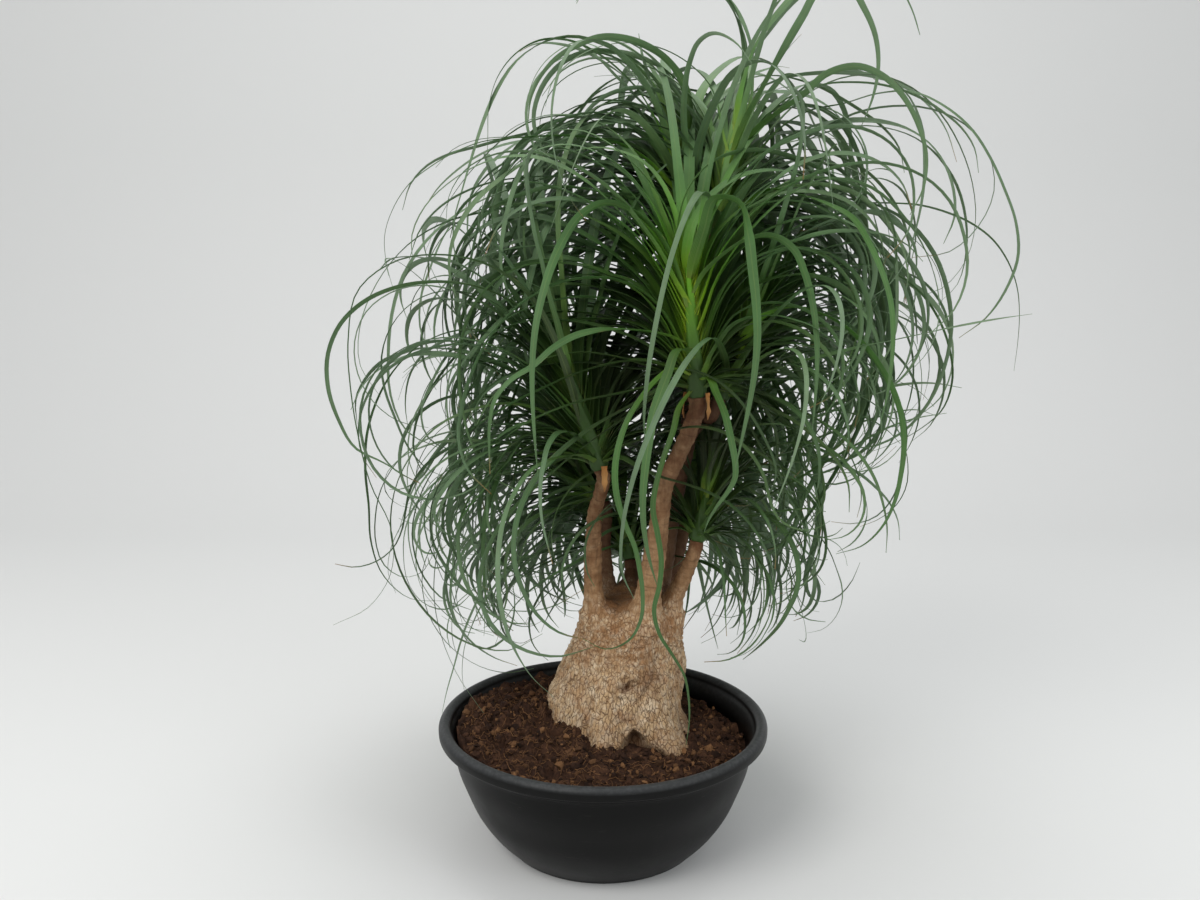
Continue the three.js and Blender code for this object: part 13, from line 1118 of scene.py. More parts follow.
        [0.02, 7.1, -0.12, [32, 138, 314, 28, 147, 316, 23, 156, 314, 19, 165, 312, 13, 173, 309, 8, 181, 305, 2, 188, 301, -5, 194, 296, -12, 199, 290, -19, 204, 284, -25, 207, 277, -32, 209, 269, -39, 210, 262, -47, 209, 255, -54, 206, 249, -61, 200, 244, -66, 192, 240]],
        [0.02, 7.7, 0.94, [36, 138, 314, 36, 148, 316, 37, 157, 316, 37, 167, 313, 38, 176, 309, 37, 185, 306, 37, 194, 302, 36, 203, 297, 34, 210, 291, 31, 218, 285, 29, 224, 278, 27, 229, 270, 24, 233, 261, 22, 237, 252, 19, 242, 244, 16, 249, 238, 12, 257, 234]],
        [0.12, 9.4, -0.24, [33, 139, 316, 28, 154, 321, 22, 170, 322, 16, 185, 321, 9, 200, 318, 3, 215, 315, -4, 229, 310, -11, 243, 304, -19, 256, 297, -26, 268, 289, -34, 280, 280, -42, 289, 269, -50, 298, 258, -57, 311, 249, -61, 326, 246, -62, 343, 248, -58, 357, 255]],
        [0.45, 8.3, -0.20, [39, 141, 324, 46, 157, 334, 54, 174, 343, 64, 191, 348, 77, 207, 350, 92, 221, 347, 108, 232, 342, 126, 239, 335, 144, 243, 325, 160, 241, 313, 173, 233, 299, 183, 221, 286, 190, 207, 273, 190, 190, 262, 180, 174, 255, 163, 162, 254, 144, 157, 258]],
        [0.75, 7.2, -1.22, [28, 141, 330, 16, 152, 344, 4, 164, 357, -9, 176, 370, -25, 187, 380, -43, 198, 385, -63, 207, 385, -83, 215, 382, -102, 222, 377, -122, 227, 368, -139, 230, 355, -153, 230, 339, -166, 230, 322, -183, 235, 310, -202, 246, 306, -218, 259, 312, -229, 273, 324]],
        [0.12, 7.7, -0.23, [29, 136, 317, 16, 148, 324, 1, 160, 327, -14, 171, 327, -30, 181, 326, -47, 189, 324, -64, 198, 320, -81, 205, 316, -98, 210, 309, -115, 214, 301, -131, 217, 292, -147, 217, 281, -161, 216, 269, -172, 213, 254, -178, 206, 237, -177, 198, 220, -170, 188, 205]],
        [0.56, 7.0, -0.25, [39, 142, 326, 43, 156, 337, 49, 171, 347, 55, 186, 355, 66, 201, 359, 79, 213, 357, 95, 222, 351, 111, 228, 344, 127, 231, 335, 142, 230, 325, 155, 225, 313, 167, 218, 301, 177, 207, 290, 185, 194, 279, 190, 178, 272, 193, 160, 268, 191, 142, 269]],
        [0.10, 14.0, 0.53, [42, 136, 318, 52, 146, 327, 66, 155, 331, 81, 164, 332, 95, 173, 334, 110, 181, 336, 125, 189, 338, 140, 197, 338, 155, 204, 337, 170, 211, 334, 186, 217, 330, 201, 220, 324, 216, 223, 317, 229, 225, 306, 238, 224, 292, 241, 222, 275, 236, 217, 260]],
        [0.65, 8.2, -0.30, [31, 143, 327, 26, 160, 339, 20, 176, 352, 14, 194, 364, 5, 212, 372, -6, 230, 374, -19, 247, 372, -33, 263, 366, -48, 275, 356, -64, 284, 344, -79, 288, 330, -94, 288, 313, -106, 283, 296, -117, 274, 279, -124, 259, 266, -127, 238, 259, -125, 217, 258]],
        [0.09, 10.1, -0.08, [35, 139, 315, 34, 151, 317, 33, 163, 315, 32, 175, 311, 31, 187, 307, 30, 199, 303, 29, 211, 300, 28, 222, 296, 27, 234, 291, 26, 245, 285, 26, 256, 280, 26, 267, 274, 26, 277, 267, 26, 287, 259, 28, 295, 249, 31, 301, 239, 35, 304, 228]],
        [0.03, 13.1, -0.21, [33, 138, 314, 27, 155, 318, 20, 172, 317, 14, 189, 315, 7, 206, 313, 0, 223, 311, -6, 240, 309, -13, 256, 305, -19, 273, 299, -26, 288, 292, -32, 303, 284, -38, 318, 274, -41, 330, 261, -38, 337, 244, -30, 336, 228, -19, 328, 216, -7, 316, 209]],
        [0.13, 13.7, 0.54, [29, 134, 318, 19, 142, 326, 8, 149, 334, -3, 155, 341, -16, 161, 346, -28, 168, 351, -41, 174, 355, -55, 179, 357, -69, 184, 358, -84, 188, 358, -98, 191, 356, -113, 193, 354, -127, 193, 349, -141, 192, 344, -153, 187, 336, -160, 177, 328, -163, 165, 320]],
        [0.56, 7.0, -0.13, [39, 142, 326, 44, 154, 336, 50, 168, 346, 58, 183, 356, 70, 199, 361, 87, 211, 359, 105, 220, 353, 124, 224, 344, 143, 223, 333, 160, 218, 320, 175, 207, 307, 185, 193, 293, 191, 175, 279, 191, 155, 268, 184, 134, 261]],
        [0.09, 10.4, 0.57, [40, 138, 316, 46, 150, 321, 54, 162, 321, 63, 173, 318, 72, 184, 315, 80, 195, 313, 89, 206, 311, 97, 218, 308, 106, 228, 305, 115, 239, 300, 124, 248, 295, 134, 257, 289, 144, 264, 282, 154, 270, 274, 165, 274, 266, 176, 274, 257, 187, 269, 248]],
        [0.20, 11.8, -0.11, [31, 139, 318, 24, 152, 323, 17, 166, 325, 8, 179, 325, -1, 193, 323, -9, 206, 321, -18, 219, 319, -26, 232, 316, -35, 245, 313, -43, 257, 308, -52, 269, 302, -61, 280, 294, -68, 291, 285, -73, 298, 272, -74, 303, 257, -73, 304, 241, -68, 301, 226]],
        [0.65, 8.3, -0.71, [41, 139, 330, 49, 147, 349, 56, 156, 367, 64, 165, 385, 76, 174, 401, 94, 182, 411, 113, 190, 417, 133, 198, 419, 153, 206, 416, 172, 213, 409, 189, 220, 398, 204, 224, 382, 215, 228, 364, 223, 227, 344, 223, 221, 323, 216, 211, 306, 202, 197, 296]],
        [0.33, 11.1, -0.78, [29, 137, 321, 15, 146, 327, 0, 154, 329, -16, 161, 326, -31, 167, 321, -47, 172, 316, -62, 178, 309, -76, 184, 300, -90, 190, 291, -103, 195, 282, -116, 200, 271, -129, 205, 260, -141, 210, 249, -152, 215, 237, -163, 219, 224, -172, 222, 209, -177, 221, 193]],
        [0.24, 8.6, -0.76, [41, 136, 321, 52, 144, 329, 69, 152, 335, 90, 159, 336, 114, 167, 334, 140, 174, 330, 165, 181, 322, 189, 185, 307, 209, 186, 285, 219, 183, 257, 217, 176, 227, 205, 165, 199, 184, 152, 176]],
        [0.25, 9.1, 0.07, [30, 139, 319, 23, 151, 322, 14, 163, 321, 5, 174, 317, -4, 185, 311, -14, 193, 303, -24, 201, 295, -33, 209, 287, -43, 215, 277, -53, 221, 267, -62, 225, 256, -72, 228, 245, -82, 230, 234, -91, 229, 223, -100, 223, 213, -107, 212, 205, -110, 199, 201]],
        [0.00, 11.1, 0.30, [31, 137, 313, 22, 148, 317, 12, 159, 314, 2, 170, 308, -9, 180, 304, -19, 191, 301, -30, 202, 297, -40, 212, 293, -51, 223, 289, -61, 233, 284, -71, 242, 278, -82, 251, 271, -93, 259, 263, -104, 266, 255, -115, 275, 249, -124, 286, 250, -131, 297, 256]],
        [0.20, 13.2, -0.15, [28, 134, 320, 17, 140, 327, 5, 146, 332, -8, 150, 335, -21, 154, 337, -35, 158, 339, -48, 161, 340, -62, 165, 341, -76, 168, 342, -89, 172, 342, -103, 174, 342, -117, 176, 340, -131, 178, 337, -144, 179, 333, -156, 180, 325, -166, 180, 315, -172, 179, 303]],
        [0.45, 9.5, -0.32, [29, 139, 324, 17, 150, 332, 5, 162, 340, -9, 173, 344, -23, 184, 345, -38, 195, 343, -52, 205, 336, -64, 215, 327, -74, 225, 315, -82, 233, 300, -86, 238, 283, -85, 241, 265, -81, 241, 247, -74, 239, 230, -65, 233, 216, -53, 224, 208, -40, 211, 207]],
    ]},
    "rear_right": {"base": [0.1156, 0.14, 0.3927], "tip": [0.1421, 0.18, 0.4808], "leaves": [
        [0.02, 10.5, 1.47, [122, 136, 398, 139, 124, 408, 154, 104, 406, 168, 84, 401, 185, 64, 398, 203, 45, 393, 218, 27, 381, 230, 14, 361, 236, 7, 335, 235, 9, 308, 228, 17, 283, 219, 27, 259, 207, 40, 237, 194, 54, 217, 180, 69, 198]],
        [0.02, 7.1, 0.94, [124, 140, 396, 140, 142, 406, 159, 143, 416, 180, 144, 425, 201, 145, 435, 223, 146, 445, 245, 147, 456, 267, 149, 467, 291, 149, 477, 315, 150, 486, 339, 152, 494, 364, 153, 502, 390, 154, 509, 416, 156, 511, 442, 159, 503]],
        [0.03, 13.1, -0.04, [113, 148, 395, 109, 167, 402, 99, 188, 402, 89, 210, 399, 78, 233, 396, 67, 256, 394, 56, 280, 391, 43, 303, 385, 28, 324, 375, 14, 343, 361, -1, 359, 343, -16, 370, 322, -30, 373, 297, -39, 366, 271, -43, 351, 247]],
        [0.03, 14.0, -0.60, [122, 146, 394, 133, 156, 397, 144, 166, 397, 155, 177, 394, 166, 187, 391, 178, 196, 388, 190, 205, 384, 201, 215, 380, 212, 224, 374, 222, 232, 367, 233, 240, 359, 242, 248, 349, 251, 255, 339, 257, 260, 326, 257, 262, 311, 252, 261, 297, 242, 256, 286]],
        [0.05, 10.3, -0.61, [110, 142, 400, 96, 146, 420, 73, 150, 438, 47, 153, 452, 18, 157, 461, -14, 162, 464, -46, 167, 459, -76, 172, 446, -102, 175, 425, -124, 179, 399, -139, 181, 368, -147, 182, 334, -150, 183, 299, -139, 182, 266, -114, 178, 241]],
        [0.05, 11.8, -0.62, [122, 147, 394, 132, 158, 394, 143, 167, 388, 152, 176, 379, 160, 183, 369, 169, 191, 360, 179, 200, 352, 188, 209, 343, 197, 217, 334, 206, 225, 324, 214, 233, 314, 222, 240, 303, 228, 245, 290, 230, 247, 276, 229, 244, 261, 223, 237, 248, 214, 228, 240]],
        [0.06, 13.1, -0.53, [111, 147, 397, 100, 164, 407, 84, 180, 409, 66, 195, 409, 49, 210, 409, 32, 225, 408, 14, 239, 405, -5, 251, 401, -23, 262, 393, -42, 271, 383, -60, 278, 371, -77, 282, 357, -92, 283, 340, -101, 277, 319, -101, 266, 299, -92, 252, 284, -77, 237, 277]],
        [0.07, 8.4, -0.66, [120, 136, 400, 126, 130, 412, 133, 119, 423, 141, 106, 432, 149, 91, 440, 156, 76, 449, 164, 61, 458, 171, 45, 466, 179, 27, 472, 186, 9, 475, 192, -10, 477, 198, -30, 474, 202, -49, 468, 205, -67, 457, 206, -82, 442]],
        [0.08, 8.9, 1.55, [124, 139, 397, 134, 141, 408, 148, 143, 422, 166, 145, 436, 186, 146, 451, 207, 147, 466, 230, 148, 481, 256, 149, 495, 283, 150, 508, 311, 151, 521, 341, 153, 533, 372, 154, 541, 405, 155, 546, 439, 157, 546, 474, 158, 540]],
        [0.09, 9.6, 0.03, [110, 142, 400, 100, 144, 410, 82, 141, 412, 61, 135, 407, 38, 129, 402, 13, 124, 398, -12, 120, 390, -38, 115, 380, -64, 110, 367, -89, 105, 351, -112, 101, 330, -130, 98, 304, -138, 96, 273, -134, 97, 240, -120, 100, 209]],
        [0.10, 12.9, 0.44, [116, 149, 396, 117, 169, 400, 115, 190, 396, 111, 209, 388, 108, 228, 381, 105, 248, 374, 102, 267, 366, 99, 286, 356, 95, 303, 345, 90, 319, 332, 85, 332, 317, 81, 343, 299, 77, 352, 281, 75, 356, 260, 77, 352, 240, 82, 342, 222, 89, 327, 209]],
        [0.10, 10.5, -0.50, [111, 146, 399, 99, 161, 414, 74, 180, 425, 44, 203, 435, 12, 228, 443, -23, 256, 444, -60, 284, 438, -96, 313, 424, -132, 342, 402, -165, 368, 371, -194, 390, 332, -217, 408, 285, -233, 421, 233, -237, 425, 176, -224, 414, 120]],
        [0.11, 15.5, 0.44, [119, 149, 395, 126, 168, 401, 133, 188, 403, 140, 207, 402, 146, 227, 401, 153, 247, 400, 160, 267, 398, 166, 287, 394, 172, 307, 389, 177, 326, 382, 183, 344, 373, 188, 361, 361, 191, 376, 347, 190, 386, 329, 184, 391, 310, 174, 389, 291, 162, 382, 275]],
        [0.12, 8.3, -1.30, [124, 141, 398, 142, 142, 409, 161, 142, 418, 181, 141, 423, 202, 139, 425, 223, 137, 424, 243, 135, 418, 261, 134, 408, 276, 133, 393, 287, 132, 376, 293, 132, 356, 296, 132, 335, 294, 132, 314, 285, 131, 295, 269, 129, 282, 250, 128, 275, 229, 126, 275]],
        [0.14, 14.0, 0.67, [117, 150, 396, 120, 168, 402, 121, 187, 400, 121, 206, 396, 122, 224, 392, 122, 243, 387, 122, 261, 381, 121, 279, 374, 120, 295, 365, 118, 311, 354, 116, 325, 341, 114, 337, 326, 112, 347, 310, 110, 353, 292, 110, 354, 273, 113, 348, 255, 117, 337, 240]],
        [0.15, 14.5, 0.06, [114, 149, 398, 105, 169, 406, 92, 189, 404, 78, 207, 399, 64, 226, 394, 50, 244, 389, 36, 261, 383, 21, 278, 375, 6, 294, 366, -9, 309, 355, -24, 323, 343, -39, 335, 330, -53, 347, 315, -64, 355, 296, -65, 355, 273, -57, 347, 252, -42, 334, 240]],
        [0.19, 7.5, -2.21, [125, 141, 400, 139, 142, 412, 156, 143, 425, 175, 143, 436, 197, 141, 445, 220, 139, 450, 244, 137, 454, 269, 135, 454, 293, 133, 449, 317, 131, 440, 339, 129, 428, 359, 128, 411, 376, 126, 392, 388, 125, 368, 391, 124, 342]],
        [0.20, 11.2, 0.31, [122, 148, 397, 133, 162, 408, 144, 176, 418, 156, 190, 426, 168, 206, 433, 181, 221, 437, 194, 236, 441, 207, 252, 442, 221, 267, 441, 234, 282, 436, 247, 296, 428, 260, 309, 418, 271, 320, 406, 282, 329, 390, 290, 332, 372, 294, 327, 353, 293, 314, 337]],
        [0.22, 13.6, -0.65, [123, 148, 398, 137, 160, 406, 150, 173, 411, 166, 185, 414, 180, 198, 415, 195, 211, 415, 211, 224, 414, 226, 236, 412, 241, 248, 409, 256, 260, 403, 270, 272, 397, 284, 284, 389, 296, 295, 379, 305, 305, 364, 308, 311, 346, 305, 312, 326, 296, 309, 309]],
        [0.23, 8.1, 1.96, [112, 147, 402, 91, 168, 425, 62, 188, 438, 31, 208, 448, 0, 229, 452, -32, 249, 452, -63, 270, 445, -92, 288, 431, -117, 305, 408, -137, 317, 378, -147, 324, 342, -149, 326, 305, -136, 319, 271, -108, 303, 252, -75, 285, 252, -44, 267, 265, -17, 251, 285]],
        [0.23, 12.6, 0.08, [123, 148, 398, 133, 161, 402, 145, 172, 403, 156, 185, 401, 167, 196, 397, 179, 208, 392, 190, 219, 387, 201, 230, 381, 212, 241, 375, 223, 251, 367, 233, 260, 358, 243, 269, 348, 251, 276, 335, 255, 278, 319, 254, 275, 302, 248, 268, 289, 238, 257, 280]],
        [0.24, 9.7, -2.53, [124, 146, 399, 140, 156, 406, 156, 165, 411, 173, 174, 413, 190, 182, 411, 208, 191, 407, 224, 199, 401, 240, 207, 393, 254, 215, 382, 268, 221, 370, 279, 227, 355, 289, 230, 338, 294, 233, 320, 297, 235, 301, 295, 236, 281, 285, 235, 265, 270, 232, 253]],
        [0.25, 14.3, -0.18, [112, 146, 403, 98, 156, 419, 80, 164, 431, 60, 172, 438, 38, 178, 443, 15, 183, 447, -7, 188, 448, -30, 190, 446, -53, 191, 441, -75, 190, 434, -96, 188, 423, -114, 183, 410, -130, 176, 395, -143, 166, 378, -146, 151, 362, -140, 133, 348, -125, 117, 341]],
        [0.25, 8.8, -0.94, [125, 144, 400, 140, 146, 405, 156, 147, 404, 172, 146, 400, 186, 144, 394, 201, 142, 387, 214, 142, 378, 226, 141, 367, 236, 139, 355, 246, 138, 342, 253, 138, 328, 258, 137, 313, 261, 136, 297, 259, 135, 282, 252, 134, 267, 241, 133, 256, 227, 132, 249]],
        [0.26, 13.9, 0.89, [115, 150, 400, 113, 172, 413, 110, 195, 423, 104, 219, 430, 96, 243, 433, 88, 266, 433, 78, 289, 429, 66, 311, 422, 54, 330, 410, 42, 345, 394, 31, 356, 374, 22, 363, 352, 14, 365, 327, 9, 362, 303, 7, 351, 280, 10, 332, 263, 17, 309, 255]],
        [0.27, 13.3, -0.65, [112, 146, 404, 101, 155, 420, 85, 164, 435, 65, 173, 448, 43, 182, 461, 19, 189, 472, -6, 197, 482, -32, 204, 490, -60, 210, 494, -89, 215, 496, -118, 217, 494, -147, 217, 489, -175, 214, 480, -201, 209, 466, -218, 197, 443]],
        [0.28, 13.5, -0.17, [114, 150, 401, 110, 166, 410, 102, 184, 417, 92, 204, 420, 80, 224, 420, 67, 244, 418, 53, 263, 415, 38, 281, 408, 23, 299, 399, 6, 314, 388, -10, 328, 374, -27, 337, 356, -42, 341, 336, -54, 336, 313, -60, 323, 291]],
        [0.30, 13.0, -0.04, [123, 149, 400, 136, 162, 408, 148, 175, 415, 161, 189, 421, 175, 202, 423, 189, 216, 423, 203, 230, 420, 217, 243, 416, 231, 255, 409, 244, 267, 400, 257, 278, 390, 268, 288, 377, 279, 297, 364, 289, 304, 348, 297, 306, 331, 302, 300, 313, 303, 288, 297]],
        [0.31, 12.0, 0.91, [117, 151, 401, 118, 165, 409, 119, 179, 416, 120, 193, 423, 120, 208, 429, 120, 223, 433, 119, 239, 436, 118, 255, 437, 116, 271, 437, 114, 286, 436, 111, 302, 434, 108, 317, 429, 106, 331, 423, 102, 345, 416, 97, 355, 405, 90, 361, 392, 82, 361, 379]],
        [0.34, 13.2, 0.21, [120, 151, 401, 126, 171, 412, 132, 192, 421, 138, 214, 429, 144, 236, 433, 148, 259, 434, 153, 283, 433, 157, 305, 428, 160, 328, 421, 162, 348, 410, 163, 367, 396, 164, 383, 378, 164, 397, 359, 165, 408, 338, 166, 410, 315, 168, 401, 294, 171, 382, 279]],
        [0.35, 14.9, 0.26, [113, 149, 404, 104, 164, 420, 92, 179, 435, 77, 195, 446, 60, 210, 453, 42, 224, 459, 22, 237, 464, 2, 250, 465, -19, 262, 464, -41, 272, 460, -62, 281, 453, -83, 289, 445, -105, 298, 440, -127, 306, 443, -146, 313, 455, -160, 318, 474, -166, 320, 497]],
        [0.36, 9.1, -0.23, [126, 143, 403, 140, 146, 415, 156, 148, 426, 172, 149, 435, 190, 149, 440, 209, 148, 440, 227, 146, 436, 244, 145, 428, 259, 143, 416, 271, 142, 401, 280, 142, 385, 286, 141, 367, 288, 139, 348, 283, 136, 330, 272, 132, 316, 257, 127, 306, 239, 123, 303]],
        [0.37, 8.3, 0.69, [126, 144, 403, 142, 146, 415, 160, 148, 424, 179, 147, 429, 199, 146, 430, 218, 145, 426, 237, 143, 419, 254, 141, 408, 267, 139, 394, 278, 138, 377, 285, 137, 358, 288, 137, 338, 288, 136, 318, 282, 134, 299, 270, 131, 284, 254, 128, 273, 235, 124, 269]],
        [0.38, 15.5, 0.36, [123, 150, 401, 134, 167, 414, 150, 189, 431, 169, 216, 446, 192, 248, 454, 216, 283, 453, 241, 317, 437, 261, 344, 406, 274, 359, 362, 279, 362, 313, 275, 352, 263, 265, 330, 216, 249, 300, 174]],
        [0.40, 14.8, -0.28, [114, 150, 404, 111, 168, 420, 105, 186, 435, 99, 205, 449, 89, 224, 459, 77, 244, 468, 65, 264, 474, 50, 283, 477, 34, 301, 477, 17, 318, 474, -1, 333, 467, -19, 345, 456, -36, 355, 443, -49, 362, 424, -55, 362, 401, -53, 357, 377, -43, 347, 358]],
        [0.40, 11.8, 0.01, [117, 152, 403, 117, 168, 413, 117, 184, 422, 116, 201, 430, 114, 218, 437, 111, 236, 441, 108, 254, 444, 104, 272, 445, 100, 290, 446, 95, 308, 445, 89, 326, 442, 82, 342, 436, 74, 357, 429, 64, 367, 417, 52, 367, 403, 41, 359, 390, 34, 345, 381]],
        [0.41, 14.0, 0.65, [120, 152, 402, 124, 171, 412, 129, 191, 420, 133, 212, 427, 136, 233, 429, 139, 255, 429, 141, 277, 426, 143, 298, 422, 144, 319, 415, 146, 339, 406, 146, 358, 394, 148, 374, 380, 149, 389, 364, 152, 397, 344, 155, 397, 322, 158, 389, 302, 161, 376, 285]],
        [0.42, 9.5, -0.61, [128, 149, 426, 137, 149, 446, 146, 150, 470, 158, 149, 494, 172, 146, 517, 191, 142, 538, 213, 136, 555, 239, 131, 567, 268, 124, 570, 296, 118, 563, 320, 113, 545, 337, 109, 519, 343, 107, 489, 338, 108, 458, 322, 111, 432]],
        [0.43, 7.0, -0.81, [123, 140, 407, 131, 136, 422, 139, 130, 435, 148, 123, 448, 158, 112, 457, 168, 100, 463, 177, 86, 467, 187, 72, 469, 197, 59, 469, 207, 45, 467, 216, 31, 463, 225, 18, 458, 233, 3, 456, 237, -13, 461, 238, -26, 472, 235, -35, 486, 228, -40, 501]],
        [0.44, 11.5, -0.21, [124, 150, 402, 135, 166, 414, 147, 181, 427, 160, 197, 438, 173, 215, 445, 187, 232, 451, 202, 249, 455, 216, 267, 456, 230, 286, 455, 245, 303, 452, 259, 321, 446, 271, 338, 436, 283, 354, 425, 290, 367, 407, 289, 374, 385, 281, 374, 364, 267, 365, 348]],
        [0.47, 7.2, -1.56, [126, 144, 406, 138, 146, 415, 153, 147, 424, 170, 148, 431, 189, 145, 434, 208, 142, 430, 226, 138, 423, 242, 135, 410, 255, 132, 394, 263, 131, 375, 267, 130, 355, 268, 130, 333, 264, 130, 312, 256, 131, 292, 243, 134, 274]],
        [0.48, 14.4, 0.71, [122, 152, 404, 133, 173, 416, 144, 196, 427, 155, 220, 434, 166, 244, 436, 177, 269, 435, 188, 293, 431, 197, 317, 424, 207, 340, 412, 215, 361, 398, 222, 379, 379, 228, 393, 357, 231, 403, 332, 228, 401, 305, 218, 388, 284, 205, 368, 272, 191, 345, 270]],
        [0.49, 11.9, 0.39, [116, 152, 406, 114, 164, 416, 112, 177, 428, 108, 191, 439, 103, 208, 449, 96, 224, 458, 87, 241, 463, 77, 259, 467, 66, 276, 468, 53, 294, 468, 40, 310, 465, 25, 325, 458, 11, 337, 447, -4, 345, 432, -17, 348, 414]],
        [0.51, 14.0, 0.11, [114, 149, 408, 110, 160, 425, 107, 173, 445, 103, 186, 466, 95, 199, 486, 85, 214, 506, 71, 229, 523, 55, 244, 539, 35, 259, 553, 13, 273, 562, -12, 286, 569, -39, 297, 570, -66, 304, 565, -92, 306, 551, -110, 301, 529]],
        [0.51, 8.4, 1.13, [134, 167, 462, 136, 167, 475, 139, 168, 492, 138, 167, 512, 131, 162, 533, 120, 154, 552, 105, 143, 568, 87, 129, 580, 66, 114, 588, 44, 98, 592, 21, 82, 591, -1, 65, 583, -21, 51, 567, -34, 41, 543, -35, 40, 514]],
        [0.51, 13.1, -0.42, [124, 152, 404, 134, 168, 414, 146, 183, 422, 157, 200, 429, 169, 217, 431, 181, 234, 429, 193, 250, 423, 204, 266, 414, 214, 280, 403, 223, 293, 389, 231, 305, 373, 237, 314, 355, 241, 322, 336, 243, 327, 316, 243, 327, 295, 240, 320, 275, 235, 308, 259]],
        [0.52, 9.0, -1.65, [115, 143, 411, 111, 143, 434, 105, 142, 460, 94, 136, 485, 78, 126, 507, 60, 113, 526, 38, 99, 543, 16, 83, 557, -9, 67, 568, -34, 50, 575, -61, 31, 577, -88, 13, 575, -114, -3, 567, -138, -18, 549, -154, -27, 522]],
        [0.52, 14.7, -0.46, [118, 153, 406, 120, 165, 416, 123, 182, 431, 126, 201, 449, 129, 223, 465, 128, 251, 476, 125, 282, 481, 119, 314, 481, 110, 346, 473, 99, 375, 458, 84, 398, 435, 66, 411, 405, 48, 413, 373]],
        [0.53, 13.0, 0.29, [126, 152, 408, 136, 162, 418, 146, 172, 431, 157, 184, 443, 170, 197, 456, 183, 210, 466, 198, 224, 475, 215, 238, 481, 232, 252, 486, 250, 267, 488, 269, 281, 487, 288, 295, 483, 307, 307, 476, 324, 318, 462, 338, 324, 444]],
        [0.56, 11.4, -0.59, [121, 153, 406, 125, 167, 415, 130, 181, 423, 135, 195, 431, 140, 210, 438, 144, 226, 442, 148, 242, 443, 151, 259, 443, 154, 276, 442, 156, 292, 439, 159, 308, 434, 160, 324, 428, 161, 339, 421, 160, 353, 411, 156, 363, 398, 150, 367, 383, 142, 365, 368]],
        [0.59, 14.3, -0.06, [127, 162, 428, 131, 175, 438, 135, 188, 450, 140, 203, 463, 144, 219, 475, 148, 237, 486, 152, 256, 495, 155, 277, 502, 158, 298, 507, 160, 320, 509, 162, 343, 507, 163, 366, 502, 163, 387, 492, 161, 404, 477, 159, 417, 457]],
        [0.59, 16.4, 0.36, [116, 152, 408, 115, 167, 424, 115, 183, 443, 114, 201, 463, 109, 221, 481, 102, 243, 497, 92, 266, 510, 79, 290, 520, 64, 315, 525, 46, 339, 525, 25, 359, 517, 5, 376, 501, -13, 386, 479, -27, 388, 451, -33, 377, 423]],
        [0.60, 9.3, 0.14, [127, 144, 409, 142, 146, 425, 158, 147, 441, 175, 147, 455, 194, 143, 465, 215, 138, 471, 236, 131, 472, 257, 125, 470, 277, 119, 465, 296, 112, 456, 313, 107, 442, 326, 103, 425, 336, 97, 406, 338, 91, 385, 331, 84, 365, 317, 78, 349, 298, 74, 339]],
        [0.61, 9.3, 1.33, [137, 164, 454, 148, 165, 471, 160, 167, 491, 174, 169, 512, 192, 171, 529, 213, 174, 544, 237, 177, 555, 264, 180, 559, 291, 183, 557, 317, 186, 547, 339, 189, 530, 355, 190, 507, 363, 191, 479, 363, 192, 451, 353, 192, 423]],
        [0.61, 13.8, -0.58, [121, 156, 412, 123, 168, 422, 126, 182, 435, 129, 196, 448, 132, 211, 461, 135, 228, 472, 135, 246, 481, 135, 267, 487, 134, 288, 490, 132, 310, 491, 128, 332, 487, 123, 352, 479, 116, 370, 467, 107, 382, 450, 98, 386, 430]],
        [0.65, 7.5, -0.69, [141, 172, 468, 154, 175, 485, 169, 179, 505, 184, 185, 525, 202, 192, 545, 221, 199, 563, 243, 207, 580, 267, 216, 593, 293, 226, 601, 321, 236, 603, 348, 247, 598, 375, 257, 587, 396, 265, 567, 408, 269, 539, 410, 270, 508]],
        [0.67, 9.3, 1.20, [127, 146, 410, 138, 147, 422, 151, 149, 435, 164, 151, 449, 180, 152, 461, 199, 151, 469, 220, 147, 468, 240, 142, 461, 257, 137, 448, 270, 134, 431, 279, 132, 411, 282, 132, 389, 280, 133, 366, 271, 135, 345, 258, 139, 327]],
        [0.67, 14.4, 0.64, [137, 172, 456, 147, 186, 468, 159, 201, 483, 170, 218, 498, 182, 236, 513, 196, 255, 527, 211, 275, 539, 227, 296, 547, 245, 318, 551, 263, 341, 550, 281, 362, 543, 300, 380, 528, 317, 393, 508, 329, 400, 481, 336, 398, 452]],
        [0.68, 10.7, -0.11, [124, 156, 413, 130, 168, 422, 136, 181, 434, 143, 194, 447, 150, 209, 458, 157, 226, 468, 164, 245, 473, 172, 265, 477, 180, 285, 478, 186, 306, 475, 192, 327, 470, 197, 346, 459, 200, 363, 444, 200, 375, 425, 197, 381, 403]],
        [0.69, 13.6, 0.66, [118, 155, 420, 115, 170, 442, 111, 187, 469, 104, 205, 495, 92, 225, 519, 73, 246, 540, 50, 267, 557, 22, 287, 568, -11, 303, 570, -44, 316, 562, -76, 322, 543, -102, 321, 515, -115, 311, 481, -113, 293, 447, -100, 272, 417]],
        [0.70, 9.9, 0.80, [118, 146, 418, 117, 149, 444, 117, 153, 473, 114, 155, 505, 104, 151, 535, 88, 142, 563, 67, 130, 587, 42, 116, 606, 13, 100, 618, -17, 82, 623, -49, 65, 620, -78, 48, 608, -104, 33, 587, -120, 24, 555, -123, 22, 518]],
        [0.70, 12.9, -0.25, [124, 162, 430, 123, 176, 445, 124, 191, 461, 123, 208, 478, 120, 227, 494, 115, 248, 509, 108, 270, 520, 99, 293, 529, 87, 317, 535, 73, 340, 536, 56, 362, 532, 37, 381, 523, 18, 395, 510, -1, 402, 490, -16, 399, 466]],
